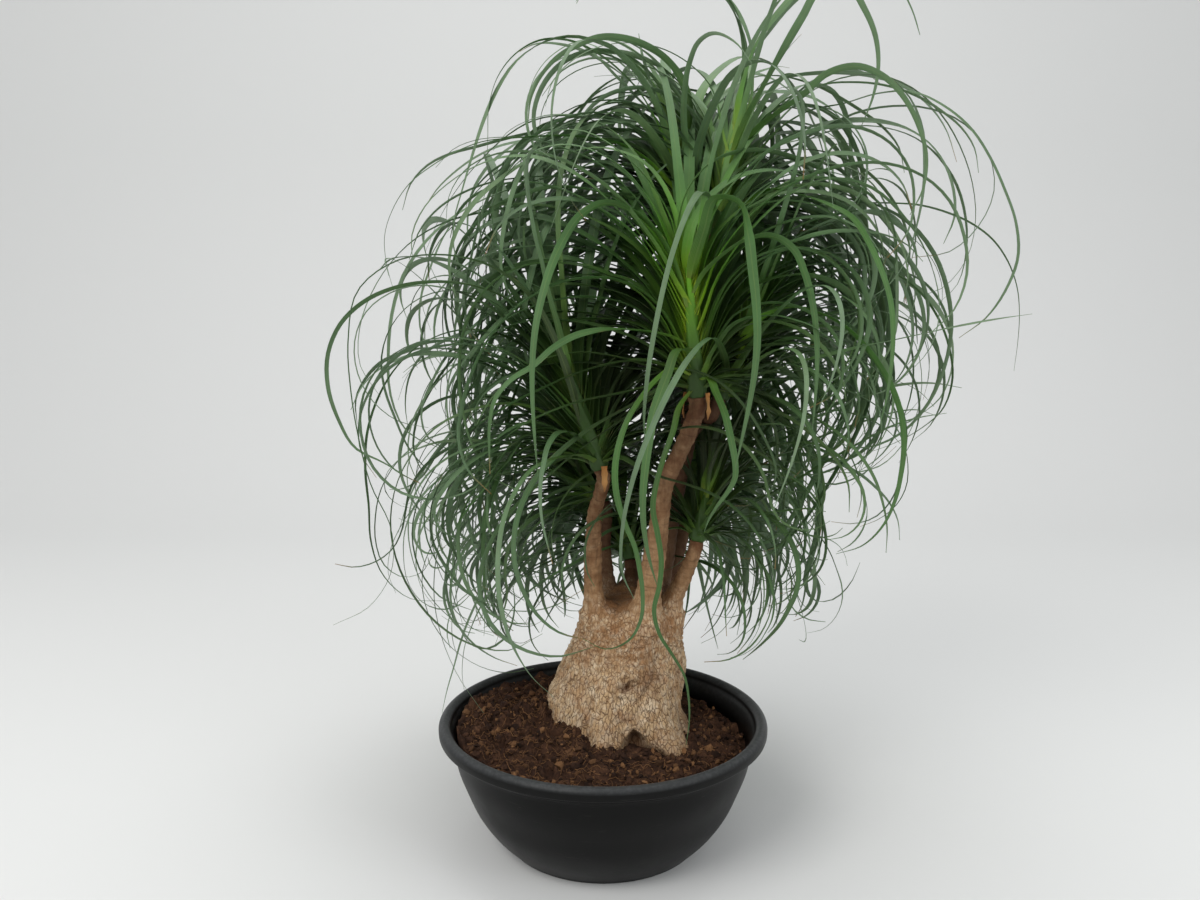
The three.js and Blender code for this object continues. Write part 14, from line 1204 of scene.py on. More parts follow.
        [0.71, 8.7, 0.20, [138, 168, 450, 160, 183, 474, 183, 199, 496, 208, 215, 515, 234, 231, 532, 262, 249, 547, 291, 267, 557, 321, 285, 560, 350, 304, 556, 379, 322, 545, 406, 339, 529, 429, 354, 507, 448, 367, 480, 450, 377, 446, 432, 379, 416, 404, 377, 394, 373, 371, 379]],
        [0.72, 6.7, -1.10, [126, 144, 413, 137, 144, 426, 148, 145, 443, 160, 145, 459, 174, 143, 475, 191, 137, 489, 208, 127, 499, 227, 117, 507, 246, 105, 513, 266, 94, 517, 286, 82, 519, 307, 70, 517, 327, 59, 511, 346, 48, 500, 362, 40, 483]],
        [0.76, 11.8, 0.29, [123, 161, 430, 121, 172, 443, 120, 183, 459, 118, 196, 475, 115, 210, 491, 110, 226, 505, 101, 241, 518, 91, 258, 530, 78, 275, 539, 64, 292, 545, 47, 309, 547, 29, 324, 545, 10, 336, 537, -8, 344, 523, -23, 345, 504]],
        [0.77, 13.2, 0.69, [125, 163, 432, 125, 176, 445, 126, 191, 460, 127, 206, 475, 127, 223, 490, 125, 242, 503, 121, 262, 515, 116, 284, 524, 109, 306, 532, 101, 329, 536, 92, 353, 536, 82, 375, 531, 72, 395, 520, 61, 411, 503, 50, 420, 481]],
        [0.79, 12.1, -0.01, [142, 176, 469, 152, 183, 479, 163, 192, 491, 175, 201, 503, 189, 210, 516, 203, 219, 527, 219, 229, 537, 236, 239, 544, 255, 248, 549, 275, 256, 550, 296, 263, 547, 317, 268, 540, 337, 270, 529, 353, 269, 513, 366, 265, 495]],
        [0.81, 11.2, -0.31, [141, 180, 473, 147, 191, 484, 153, 203, 498, 160, 216, 512, 167, 229, 527, 175, 242, 542, 182, 257, 556, 190, 274, 570, 198, 291, 581, 207, 310, 591, 215, 330, 599, 223, 351, 604, 230, 374, 604, 235, 396, 597, 237, 416, 583]],
        [0.83, 12.6, 0.50, [125, 155, 411, 134, 168, 422, 144, 183, 435, 154, 199, 449, 164, 217, 462, 177, 238, 467, 191, 259, 466, 205, 280, 461, 218, 301, 452, 230, 321, 440, 241, 340, 425, 251, 355, 405, 258, 365, 380, 259, 368, 353, 256, 363, 326]],
        [0.83, 8.4, -0.11, [137, 165, 457, 143, 165, 471, 150, 165, 486, 157, 165, 503, 167, 164, 519, 178, 161, 533, 193, 156, 545, 211, 151, 552, 230, 145, 554, 249, 139, 552, 268, 133, 546, 285, 129, 534, 298, 125, 518, 306, 123, 499, 309, 122, 478]],
        [0.83, 9.9, 0.46, [131, 166, 438, 137, 179, 449, 143, 194, 461, 151, 209, 474, 158, 226, 487, 166, 244, 497, 173, 265, 503, 181, 287, 508, 188, 310, 509, 195, 333, 507, 202, 355, 502, 209, 377, 492, 214, 396, 477, 216, 410, 457, 217, 418, 433]],
        [0.83, 11.8, 0.15, [138, 177, 464, 142, 189, 475, 146, 203, 486, 150, 217, 499, 155, 234, 510, 158, 253, 519, 162, 273, 525, 165, 294, 529, 167, 316, 528, 167, 338, 522, 166, 358, 512, 164, 376, 498, 161, 390, 480, 156, 399, 460, 150, 402, 437]],
        [0.85, 9.1, -0.78, [127, 150, 429, 132, 150, 443, 138, 150, 463, 144, 150, 485, 153, 147, 508, 163, 137, 530, 176, 120, 549, 191, 100, 563, 208, 76, 573, 226, 51, 579, 244, 25, 578, 263, 0, 569, 278, -22, 549, 286, -33, 518, 282, -28, 484]],
        [0.87, 9.2, 0.97, [142, 181, 475, 148, 191, 487, 154, 201, 503, 160, 210, 520, 167, 221, 537, 174, 233, 553, 183, 247, 568, 193, 263, 581, 203, 280, 591, 215, 299, 597, 227, 319, 598, 241, 338, 595, 254, 355, 586, 266, 369, 571, 275, 377, 550]],
        [0.89, 8.4, -0.12, [139, 172, 472, 145, 172, 496, 151, 172, 523, 161, 172, 550, 175, 169, 577, 195, 166, 601, 221, 161, 618, 252, 156, 626, 284, 149, 625, 313, 143, 612, 337, 139, 588, 352, 136, 558, 356, 136, 524, 348, 138, 491, 328, 142, 464]],
        [0.91, 10.5, -0.57, [140, 178, 468, 146, 190, 479, 154, 204, 492, 162, 219, 505, 170, 235, 518, 179, 252, 529, 188, 271, 538, 198, 291, 545, 208, 313, 549, 217, 335, 548, 226, 357, 544, 234, 378, 533, 239, 397, 518, 241, 411, 498, 239, 419, 474]],
        [0.94, 6.9, 0.13, [139, 170, 468, 144, 170, 484, 149, 170, 503, 156, 170, 522, 164, 169, 542, 175, 165, 560, 191, 160, 575, 209, 153, 586, 230, 145, 591, 251, 137, 590, 272, 130, 583, 290, 123, 568, 303, 118, 549, 310, 116, 526, 311, 116, 502]],
        [0.95, 12.5, 0.11, [129, 168, 446, 128, 186, 463, 128, 205, 484, 127, 226, 506, 122, 251, 524, 114, 277, 541, 104, 304, 554, 89, 333, 561, 71, 361, 563, 50, 387, 557, 27, 407, 541, 4, 419, 519, -16, 420, 490, -28, 408, 460, -30, 384, 434]],
        [0.96, 6.7, -0.61, [141, 176, 465, 150, 185, 478, 159, 196, 497, 169, 208, 520, 186, 227, 536, 207, 250, 546, 230, 274, 550, 254, 300, 550, 278, 327, 546, 303, 354, 537, 328, 381, 523, 351, 406, 504, 371, 428, 476, 379, 437, 438, 361, 416, 407]],
        [0.98, 10.6, -0.56, [141, 178, 470, 148, 191, 482, 158, 207, 500, 170, 226, 520, 183, 248, 540, 198, 274, 557, 215, 303, 570, 233, 336, 575, 250, 370, 566, 263, 402, 544, 268, 424, 510, 262, 436, 470, 246, 435, 429]],
        [0.99, 9.8, 0.90, [143, 179, 474, 156, 193, 493, 168, 208, 518, 181, 224, 544, 197, 241, 569, 214, 260, 593, 233, 279, 616, 255, 300, 636, 280, 322, 651, 309, 345, 659, 340, 365, 658, 372, 380, 645, 401, 386, 621, 420, 382, 588, 423, 369, 552]],
        [1.00, 10.9, 0.12, [138, 175, 461, 146, 194, 476, 157, 215, 494, 168, 238, 510, 179, 266, 521, 190, 296, 524, 201, 327, 519, 210, 357, 506, 218, 384, 486, 223, 405, 459, 225, 421, 427, 225, 431, 393, 223, 432, 358, 216, 421, 324, 207, 398, 298]],
        [1.00, 10.2, 0.64, [139, 177, 465, 145, 189, 476, 152, 204, 487, 159, 219, 500, 167, 236, 512, 175, 254, 521, 184, 273, 529, 192, 294, 535, 200, 316, 537, 209, 338, 535, 216, 359, 528, 223, 378, 515, 230, 394, 498, 234, 405, 476, 235, 408, 452]],
        [0.06, 14.0, -0.32, [120, 148, 394, 133, 168, 396, 144, 187, 389, 155, 205, 379, 166, 224, 368, 177, 242, 357, 187, 259, 343, 196, 274, 328, 204, 288, 310, 210, 299, 289, 214, 308, 268, 218, 314, 245, 218, 318, 222, 215, 318, 198, 208, 309, 178, 197, 290, 169, 187, 269, 173]],
        [0.15, 15.0, -0.05, [120, 149, 396, 130, 168, 398, 138, 187, 390, 146, 205, 379, 155, 222, 368, 162, 240, 357, 170, 257, 345, 177, 273, 332, 184, 289, 318, 190, 304, 303, 196, 318, 286, 201, 330, 269, 206, 341, 250, 208, 349, 230, 205, 351, 208, 198, 345, 188, 187, 334, 172]],
        [0.03, 10.6, -0.87, [111, 146, 397, 95, 165, 407, 74, 182, 407, 53, 199, 404, 33, 216, 397, 14, 232, 387, -3, 246, 372, -19, 259, 354, -34, 271, 335, -47, 281, 314, -59, 290, 291, -70, 298, 268, -79, 304, 243, -81, 308, 217, -66, 306, 195, -41, 299, 190, -18, 290, 199]],
        [0.06, 15.0, -0.49, [119, 149, 394, 126, 166, 397, 132, 186, 392, 138, 205, 383, 144, 226, 373, 150, 246, 363, 155, 267, 351, 160, 286, 336, 163, 303, 318, 165, 317, 297, 166, 329, 275, 165, 338, 250, 162, 344, 225, 155, 342, 200, 146, 332, 177]],
        [0.25, 15.0, 1.09, [121, 150, 398, 130, 168, 402, 140, 188, 401, 150, 209, 393, 159, 230, 383, 168, 250, 370, 176, 269, 354, 183, 286, 334, 188, 300, 312, 190, 310, 286, 190, 317, 259, 186, 319, 232, 179, 314, 205, 167, 302, 182, 153, 284, 164]],
        [0.03, 15.0, 0.63, [120, 148, 393, 131, 167, 396, 142, 186, 390, 152, 205, 382, 162, 223, 374, 172, 242, 368, 183, 260, 360, 193, 278, 351, 202, 295, 339, 210, 311, 325, 217, 324, 309, 223, 336, 291, 227, 345, 271, 225, 347, 249, 217, 338, 231, 204, 322, 221, 191, 304, 222]],
        [0.05, 11.7, -0.81, [116, 149, 394, 117, 171, 401, 117, 198, 400, 117, 226, 396, 119, 254, 387, 123, 280, 372, 127, 302, 352, 133, 319, 326, 138, 329, 296, 144, 331, 265, 151, 328, 234, 157, 318, 203, 163, 300, 176, 167, 272, 158, 168, 239, 152]],
        [0.15, 15.0, -0.64, [120, 149, 396, 128, 167, 399, 135, 184, 393, 142, 200, 384, 148, 216, 374, 154, 232, 364, 160, 248, 354, 165, 264, 343, 171, 279, 331, 176, 293, 319, 181, 307, 305, 185, 319, 291, 189, 331, 275, 191, 339, 258, 190, 340, 238, 185, 334, 220, 177, 322, 207]],
        [0.15, 15.0, -0.41, [123, 147, 396, 141, 160, 398, 158, 173, 391, 175, 184, 381, 191, 194, 370, 208, 204, 359, 224, 215, 347, 240, 224, 335, 256, 233, 321, 270, 241, 306, 284, 248, 289, 297, 254, 272, 309, 259, 254, 317, 262, 233, 312, 259, 212, 297, 252, 198, 277, 243, 193]],
        [0.28, 10.1, 0.36, [125, 147, 400, 138, 154, 405, 151, 162, 407, 164, 169, 407, 178, 175, 404, 192, 180, 399, 206, 183, 393, 219, 185, 384, 231, 186, 375, 242, 185, 364, 251, 183, 352, 259, 180, 339, 267, 177, 326, 277, 176, 315, 288, 179, 305, 301, 185, 299, 313, 195, 297]],
        [0.39, 12.3, 0.39, [125, 148, 402, 143, 163, 411, 163, 177, 415, 184, 190, 412, 205, 201, 405, 226, 209, 393, 245, 216, 378, 262, 219, 361, 277, 220, 340, 288, 217, 318, 295, 212, 295, 297, 202, 272, 294, 190, 251, 283, 176, 234, 264, 163, 228, 241, 154, 234, 221, 150, 249]],
        [0.34, 13.3, -0.68, [118, 151, 401, 123, 179, 415, 127, 208, 424, 130, 239, 425, 134, 270, 420, 139, 299, 410, 144, 327, 397, 150, 353, 381, 158, 376, 362, 167, 396, 339, 175, 412, 314, 184, 423, 287, 193, 429, 257, 203, 429, 228, 215, 411, 207, 225, 382, 205, 228, 355, 220]],
        [0.10, 13.5, 0.04, [122, 147, 395, 132, 160, 397, 143, 172, 394, 153, 183, 387, 163, 194, 379, 173, 204, 371, 183, 216, 364, 193, 226, 357, 202, 237, 348, 211, 247, 339, 220, 256, 328, 229, 264, 317, 240, 274, 309, 252, 284, 306, 265, 293, 308, 278, 301, 316, 288, 308, 327]],
        [0.69, 14.6, 0.27, [118, 152, 422, 113, 161, 451, 109, 172, 483, 100, 182, 517, 82, 190, 549, 59, 194, 579, 29, 196, 605, -8, 192, 621, -47, 184, 625, -85, 173, 616, -117, 160, 592, -141, 149, 559, -154, 139, 520, -147, 134, 479, -118, 133, 447]],
        [0.10, 15.0, 0.14, [121, 148, 395, 131, 164, 397, 141, 179, 392, 149, 193, 383, 158, 208, 374, 167, 222, 366, 176, 236, 358, 184, 250, 348, 193, 263, 337, 200, 275, 325, 207, 286, 311, 213, 295, 296, 217, 303, 279, 217, 306, 261, 212, 305, 242, 204, 300, 227, 193, 291, 214]],
        [0.26, 15.0, 0.26, [122, 149, 399, 134, 166, 407, 148, 184, 412, 161, 202, 415, 174, 220, 414, 188, 237, 411, 201, 255, 405, 214, 271, 396, 225, 286, 384, 236, 298, 368, 245, 308, 350, 253, 314, 330, 259, 317, 308, 262, 314, 287, 261, 300, 269, 255, 279, 262, 246, 259, 267]],
        [0.14, 15.0, 0.32, [121, 148, 396, 130, 162, 399, 140, 177, 398, 148, 192, 393, 157, 206, 388, 166, 220, 383, 175, 234, 377, 183, 247, 369, 191, 261, 361, 198, 273, 351, 206, 284, 340, 212, 294, 327, 219, 300, 312, 224, 298, 295, 227, 289, 281, 227, 274, 272, 225, 257, 270]],
        [1.00, 11.2, 0.30, [142, 173, 466, 152, 178, 477, 164, 184, 490, 177, 189, 504, 191, 195, 518, 207, 200, 530, 224, 205, 541, 242, 209, 551, 262, 212, 559, 283, 213, 565, 306, 212, 566, 328, 210, 563, 349, 205, 557, 366, 197, 545, 378, 186, 528]],
        [0.22, 15.0, 0.32, [122, 149, 398, 132, 164, 405, 144, 179, 410, 155, 194, 412, 166, 210, 414, 177, 226, 413, 189, 242, 412, 200, 257, 409, 211, 273, 406, 221, 288, 400, 231, 303, 393, 240, 318, 385, 249, 333, 377, 257, 347, 365, 260, 356, 349, 258, 359, 330, 251, 355, 313]],
        [0.07, 9.1, -0.31, [123, 146, 395, 140, 159, 399, 157, 172, 395, 175, 183, 389, 193, 195, 384, 210, 207, 379, 227, 218, 371, 244, 228, 361, 259, 237, 348, 272, 244, 332, 283, 249, 314, 290, 253, 293, 294, 254, 272, 295, 253, 250, 292, 245, 230, 285, 231, 216, 274, 213, 209]],
        [0.52, 15.0, 0.38, [125, 150, 405, 134, 159, 413, 143, 169, 425, 154, 180, 436, 165, 191, 448, 177, 203, 457, 191, 215, 464, 206, 228, 468, 222, 241, 469, 239, 254, 466, 255, 267, 462, 271, 279, 454, 286, 290, 443, 298, 298, 427, 307, 304, 407]],
        [0.28, 15.0, -0.32, [123, 149, 399, 137, 163, 405, 151, 178, 406, 165, 193, 403, 179, 208, 398, 193, 221, 390, 207, 234, 382, 220, 247, 372, 233, 258, 359, 244, 268, 346, 254, 278, 330, 264, 286, 314, 272, 292, 295, 276, 296, 276, 273, 298, 255, 263, 296, 238, 247, 292, 225]],
        [0.67, 12.0, -0.26, [126, 152, 408, 138, 164, 419, 150, 176, 429, 163, 189, 439, 176, 203, 446, 189, 217, 443, 201, 232, 434, 209, 245, 421, 213, 257, 406, 212, 266, 388, 208, 273, 369, 201, 276, 350, 191, 276, 333, 176, 270, 322, 159, 258, 320, 145, 245, 325, 134, 231, 335]],
        [0.06, 15.0, 0.02, [121, 147, 394, 137, 163, 396, 151, 179, 390, 166, 193, 381, 180, 207, 371, 195, 221, 360, 208, 235, 349, 221, 247, 335, 233, 257, 319, 243, 266, 301, 251, 273, 281, 258, 278, 260, 263, 282, 239, 265, 283, 216, 262, 280, 195, 254, 270, 178, 242, 254, 171]],
        [0.25, 15.0, -0.04, [123, 149, 398, 135, 163, 402, 148, 179, 401, 163, 194, 395, 178, 210, 386, 192, 225, 374, 206, 239, 360, 219, 252, 344, 230, 263, 324, 239, 271, 301, 245, 276, 277, 248, 279, 251, 246, 278, 225, 240, 273, 201, 229, 262, 179]],
        [0.25, 15.0, 0.51, [122, 149, 398, 133, 164, 402, 146, 182, 401, 159, 199, 394, 172, 216, 385, 185, 233, 373, 197, 248, 359, 208, 263, 342, 217, 275, 321, 224, 284, 299, 228, 290, 274, 230, 293, 248, 227, 292, 222, 220, 286, 197, 208, 275, 176]],
        [0.06, 15.0, 0.56, [121, 147, 394, 134, 162, 396, 146, 177, 391, 158, 191, 383, 170, 205, 375, 182, 218, 366, 194, 231, 356, 205, 244, 345, 215, 255, 332, 224, 266, 317, 232, 274, 301, 239, 282, 284, 245, 287, 265, 250, 291, 246, 252, 294, 226, 251, 294, 206, 247, 289, 188]],
        [0.02, 12.1, 0.40, [122, 147, 393, 135, 163, 391, 147, 176, 376, 158, 188, 359, 169, 202, 342, 180, 217, 325, 185, 230, 305, 185, 239, 282, 177, 244, 259, 163, 243, 239, 144, 237, 223, 123, 227, 212, 101, 216, 204, 79, 203, 199, 58, 188, 195]],
        [0.26, 14.3, -0.06, [122, 149, 398, 136, 168, 408, 150, 188, 413, 165, 208, 416, 179, 229, 414, 194, 249, 409, 208, 268, 400, 221, 285, 387, 233, 300, 370, 243, 310, 350, 251, 317, 327, 256, 319, 302, 259, 316, 277, 259, 308, 253, 255, 294, 233, 246, 275, 220, 233, 254, 216]],
        [0.23, 9.6, -0.56, [121, 149, 398, 135, 177, 403, 150, 206, 400, 164, 233, 392, 179, 259, 382, 195, 284, 369, 212, 306, 353, 229, 324, 333, 246, 338, 310, 262, 346, 284, 277, 347, 256, 290, 341, 227, 299, 328, 200, 305, 309, 175, 304, 282, 159, 296, 253, 158, 283, 227, 170]],
        [0.25, 15.0, 0.12, [125, 145, 400, 145, 154, 406, 166, 161, 406, 188, 166, 402, 209, 170, 394, 231, 174, 387, 251, 176, 376, 269, 177, 363, 286, 177, 347, 300, 176, 330, 312, 173, 310, 320, 169, 289, 326, 164, 268, 326, 160, 246, 317, 157, 225, 301, 155, 210, 280, 156, 204]],
    ]},
}
# long single leaves: crown, width mm, how far the face turns to the front (0 to 1), centre line mm
LONG_LEAVES = {
    "leaf_front_01": {"crown": "front", "width": 12.5, "face": 1.0, "path": [[95.5, -56.4, 680.4], [99.0, -80.8, 704.2], [105.5, -101.1, 730.9], [114.4, -115.0, 761.0], [138.5, -126.0, 756.1], [147.3, -134.7, 723.9], [151.5, -141.2, 690.2], [155.3, -146.1, 656.1], [156.8, -149.9, 621.8], [154.5, -153.2, 587.4], [149.2, -156.4, 553.4], [142.2, -160.1, 519.7], [134.6, -165.0, 486.3]]},
    "leaf_front_02": {"crown": "front", "width": 10.0, "face": 1.0, "path": [[99.5, -53.0, 663.5], [111.2, -64.4, 686.2], [129.5, -74.4, 705.3], [151.5, -83.4, 720.3], [178.0, -91.1, 724.7], [200.4, -97.7, 710.6], [212.0, -102.9, 685.4], [219.6, -107.1, 658.5], [224.0, -110.0, 630.8], [226.0, -111.8, 602.6], [226.2, -112.3, 574.4], [225.1, -111.7, 546.1], [223.5, -110.0, 518.0]]},
    "leaf_top_right_03": {"crown": "top_right", "width": 10.0, "face": 1.0, "path": [[140.3, 24.6, 749.3], [163.5, 5.0, 763.7], [186.9, -14.0, 778.9], [215.1, -31.0, 772.9], [243.7, -45.3, 762.0], [270.5, -57.5, 745.7], [287.4, -67.0, 718.2], [300.7, -74.1, 687.9], [310.2, -79.1, 655.9], [313.6, -81.9, 622.4], [313.2, -82.8, 588.5], [310.0, -82.1, 554.9], [304.1, -80.0, 521.6]]},
    "leaf_right_04": {"crown": "right", "width": 10.0, "face": 0.6, "path": [[157.8, 20.5, 583.3], [166.1, 10.6, 612.9], [184.7, 0.1, 636.7], [213.4, -7.8, 648.6], [243.9, -15.3, 642.5], [272.2, -22.1, 628.4], [295.3, -28.0, 606.7], [314.7, -32.9, 581.2], [330.0, -36.6, 553.0], [339.7, -39.0, 522.2], [343.2, -40.1, 490.1], [341.2, -39.5, 457.8], [335.9, -37.4, 426.0], [324.1, -33.5, 396.2], [303.3, -27.7, 372.4], [274.6, -20.0, 360.5]]},
    "leaf_front_05": {"crown": "front", "width": 11.5, "face": 1.0, "path": [[92.4, -50.0, 645.6], [83.1, -55.9, 675.6], [72.2, -61.7, 705.0], [55.8, -69.0, 731.2], [31.9, -77.6, 750.3], [2.8, -86.3, 759.3], [-23.6, -95.3, 746.3], [-41.3, -104.0, 721.3], [-54.3, -112.7, 693.5], [-63.5, -120.7, 664.0], [-70.1, -127.8, 633.7], [-73.4, -133.8, 602.5], [-74.1, -138.3, 570.9], [-73.1, -141.0, 539.1], [-71.1, -141.6, 507.3], [-68.7, -140.0, 475.5]]},
    "leaf_front_06": {"crown": "front", "width": 9.5, "face": 1.0, "path": [[94.0, -45.2, 608.2], [69.8, -53.2, 618.2], [44.3, -62.0, 623.4], [18.4, -70.7, 625.7], [-7.6, -79.5, 624.7], [-32.8, -88.2, 618.5], [-55.4, -96.4, 605.4], [-75.3, -103.6, 588.0], [-98.1, -109.5, 574.0], [-115.0, -113.4, 553.5], [-121.1, -115.0, 526.9], [-122.2, -113.9, 499.5], [-122.2, -110.0, 472.3]]},
    "leaf_front_07": {"crown": "front", "width": 11.5, "face": 1.0, "path": [[99.4, -48.4, 590.6], [93.8, -72.3, 602.0], [78.5, -94.0, 602.4], [69.1, -110.0, 581.9], [59.8, -125.6, 560.7], [51.5, -140.4, 538.7], [46.8, -151.2, 513.5], [43.0, -158.0, 486.8], [40.8, -160.0, 459.1], [41.4, -157.4, 431.4], [45.0, -150.9, 404.5], [50.7, -141.5, 378.9], [57.7, -130.0, 354.6]]},
    "leaf_front_08": {"crown": "front", "width": 8.5, "face": 0.8, "path": [[97.3, -44.2, 573.3], [78.0, -63.1, 581.6], [58.1, -80.4, 570.5], [41.1, -95.4, 552.7], [26.7, -108.2, 531.3], [17.0, -117.7, 505.9], [12.5, -123.5, 478.0], [14.9, -126.0, 449.5], [23.2, -125.9, 421.9], [34.1, -123.8, 395.2], [39.8, -120.3, 367.2], [43.0, -116.2, 338.8], [41.3, -111.7, 310.4], [28.6, -107.3, 285.2], [3.6, -103.2, 273.2], [-22.6, -100.0, 283.7]]},
    "leaf_front_09": {"crown": "front", "width": 7.0, "face": 0.8, "path": [[99.8, -44.0, 555.9], [85.1, -61.3, 538.0], [77.6, -77.0, 514.3], [67.4, -88.0, 489.1], [59.0, -95.9, 462.0], [54.3, -101.0, 433.6], [59.4, -103.8, 404.8], [63.6, -104.6, 375.8], [61.9, -103.8, 346.5], [56.3, -101.9, 317.7], [62.6, -99.3, 289.6], [77.4, -96.2, 264.4], [91.4, -92.9, 238.9], [97.1, -89.8, 210.2], [98.3, -87.1, 181.0], [95.1, -85.0, 151.9]]},
    "leaf_front_10": {"crown": "front", "width": 9.5, "face": 1.0, "path": [[109.5, -45.9, 568.4], [118.0, -59.4, 570.0], [123.2, -70.4, 557.4], [128.3, -81.9, 545.2], [132.4, -93.5, 532.7], [135.3, -103.2, 518.3], [138.2, -111.0, 502.9], [140.9, -116.5, 486.5], [140.6, -119.5, 469.3], [132.7, -120.1, 453.8], [122.8, -118.5, 439.4], [114.6, -114.9, 424.3], [109.5, -110.0, 408.3]]},
    "leaf_top_left_13": {"crown": "top_left", "width": 10.0, "face": 0.6, "path": [[93.5, 62.8, 835.5], [100.5, 50.0, 858.6], [98.8, 41.0, 884.1], [89.2, 34.2, 908.7], [71.5, 28.1, 928.5], [48.4, 22.7, 941.9], [22.5, 17.8, 949.0], [-4.3, 13.5, 949.0], [-29.5, 9.8, 939.3], [-52.6, 6.6, 925.1], [-70.4, 3.9, 904.6], [-81.5, 1.7, 879.8], [-84.7, 0.0, 852.8]]},
    "leaf_top_left_14": {"crown": "top_left", "width": 8.5, "face": 0.0, "path": [[90.1, 62.4, 807.1], [75.9, 62.9, 838.1], [61.2, 64.7, 868.8], [43.5, 64.8, 897.8], [19.6, 62.0, 922.0], [-8.0, 59.2, 941.8], [-39.3, 56.5, 954.7], [-72.9, 53.9, 954.5], [-102.5, 51.2, 938.2], [-123.2, 48.5, 911.6], [-133.0, 45.7, 879.2], [-134.5, 42.9, 845.3], [-135.8, 40.0, 811.4]]},
    "leaf_top_left_15": {"crown": "top_left", "width": 8.5, "face": 0.0, "path": [[95.2, 58.3, 773.6], [73.3, 50.3, 796.3], [50.2, 46.3, 818.9], [22.7, 39.9, 834.6], [-8.1, 30.9, 840.4], [-39.7, 23.1, 842.8], [-71.7, 16.7, 841.5], [-103.8, 11.3, 838.8], [-135.8, 7.0, 834.8], [-166.1, 3.6, 823.3], [-194.2, 0.8, 807.1], [-219.8, -1.5, 787.1], [-238.3, -3.5, 760.4], [-248.8, -5.5, 729.7], [-247.2, -7.6, 697.4], [-239.2, -10.0, 665.9]]},
    "leaf_left_16": {"crown": "left", "width": 9.0, "face": 0.4, "path": [[-35.0, -10.9, 543.6], [-44.4, -12.4, 581.1], [-61.5, -11.4, 615.7], [-87.9, -14.8, 643.8], [-120.4, -17.9, 664.7], [-157.3, -20.3, 675.9], [-196.0, -21.8, 678.0], [-234.2, -22.6, 671.8], [-269.8, -22.5, 656.6], [-298.7, -21.6, 631.0], [-315.2, -19.9, 596.2], [-317.2, -17.5, 557.8], [-307.8, -14.2, 520.3], [-290.6, -10.2, 486.1], [-257.8, -5.4, 466.8], [-226.4, 0.0, 445.4]]},
    "leaf_left_17": {"crown": "left", "width": 8.5, "face": 0.0, "path": [[-25.1, -11.7, 512.7], [-37.5, -23.4, 563.6], [-55.5, -32.1, 613.6], [-80.5, -41.4, 660.2], [-121.1, -53.8, 692.5], [-171.7, -64.8, 705.6], [-224.0, -73.7, 698.8], [-264.7, -80.2, 667.0], [-275.7, -84.3, 614.5], [-274.4, -86.0, 561.1], [-267.8, -85.2, 507.7], [-256.9, -82.0, 455.2], [-237.6, -76.6, 405.4], [-240.1, -69.3, 353.1], [-268.6, -60.5, 308.9], [-313.8, -50.0, 283.4]]},
    "leaf_left_18": {"crown": "left", "width": 8.5, "face": 0.0, "path": [[-18.5, 1.9, 482.6], [-35.9, 4.8, 524.3], [-56.2, 7.1, 564.7], [-86.9, 10.8, 597.4], [-126.8, 15.3, 617.9], [-171.4, 19.8, 620.7], [-213.5, 24.2, 605.6], [-247.0, 28.5, 575.7], [-271.0, 32.5, 537.5], [-285.7, 36.3, 495.0], [-290.0, 39.8, 450.1], [-288.0, 42.9, 404.9], [-287.5, 45.5, 359.7], [-274.6, 47.6, 316.6], [-242.6, 49.1, 285.7], [-198.3, 50.0, 281.7]]},
    "leaf_top_right_19": {"crown": "top_right", "width": 11.0, "face": 0.8, "path": [[150.3, 27.8, 847.3], [152.3, 25.0, 878.0], [159.5, 22.5, 908.2], [169.5, 20.2, 937.6], [186.0, 18.4, 964.0], [206.3, 17.5, 987.6], [227.1, 17.6, 1010.8], [251.8, 18.9, 1029.8], [281.4, 21.6, 1037.3], [310.8, 25.7, 1028.3], [334.9, 31.6, 1009.7], [353.2, 39.7, 985.8], [366.7, 50.0, 959.7]]},
    "leaf_top_right_20": {"crown": "top_right", "width": 10.5, "face": 1.0, "path": [[149.5, 25.4, 823.4], [160.5, 17.7, 852.7], [174.1, 10.5, 881.3], [188.6, 3.6, 909.7], [203.6, -2.8, 937.8], [219.4, -8.7, 965.7], [236.2, -13.6, 993.0], [265.2, -17.6, 996.9], [284.4, -20.4, 971.0], [297.3, -22.3, 941.4], [301.4, -22.9, 909.2], [296.6, -22.2, 877.1], [285.6, -20.0, 846.7]]},
    "leaf_top_right_21": {"crown": "top_right", "width": 8.5, "face": 0.5, "path": [[148.6, 29.7, 794.3], [176.7, 29.0, 821.7], [202.9, 27.8, 851.0], [236.3, 25.8, 871.0], [274.8, 23.2, 878.7], [312.6, 20.1, 889.1], [351.3, 16.6, 890.0], [386.9, 12.8, 874.0], [416.9, 8.8, 849.0], [438.9, 4.6, 816.8], [455.8, 0.3, 781.5], [469.2, -4.0, 744.8], [472.6, -8.2, 706.0], [459.9, -12.4, 669.2], [437.6, -16.4, 637.1], [406.3, -20.0, 614.0]]},
    "leaf_top_right_22": {"crown": "top_right", "width": 8.0, "face": 0.0, "path": [[144.7, 31.4, 768.4], [177.0, 37.5, 764.7], [209.7, 42.0, 767.3], [242.5, 45.7, 770.1], [275.6, 48.4, 770.9], [308.7, 50.1, 770.0], [341.8, 51.0, 769.5], [374.9, 51.3, 767.2], [407.0, 51.2, 759.1], [437.5, 50.7, 746.2], [464.2, 50.0, 726.9], [484.0, 49.4, 700.4], [496.3, 48.9, 669.8], [500.9, 48.7, 637.0], [501.0, 49.1, 603.8], [499.0, 50.0, 570.7]]},
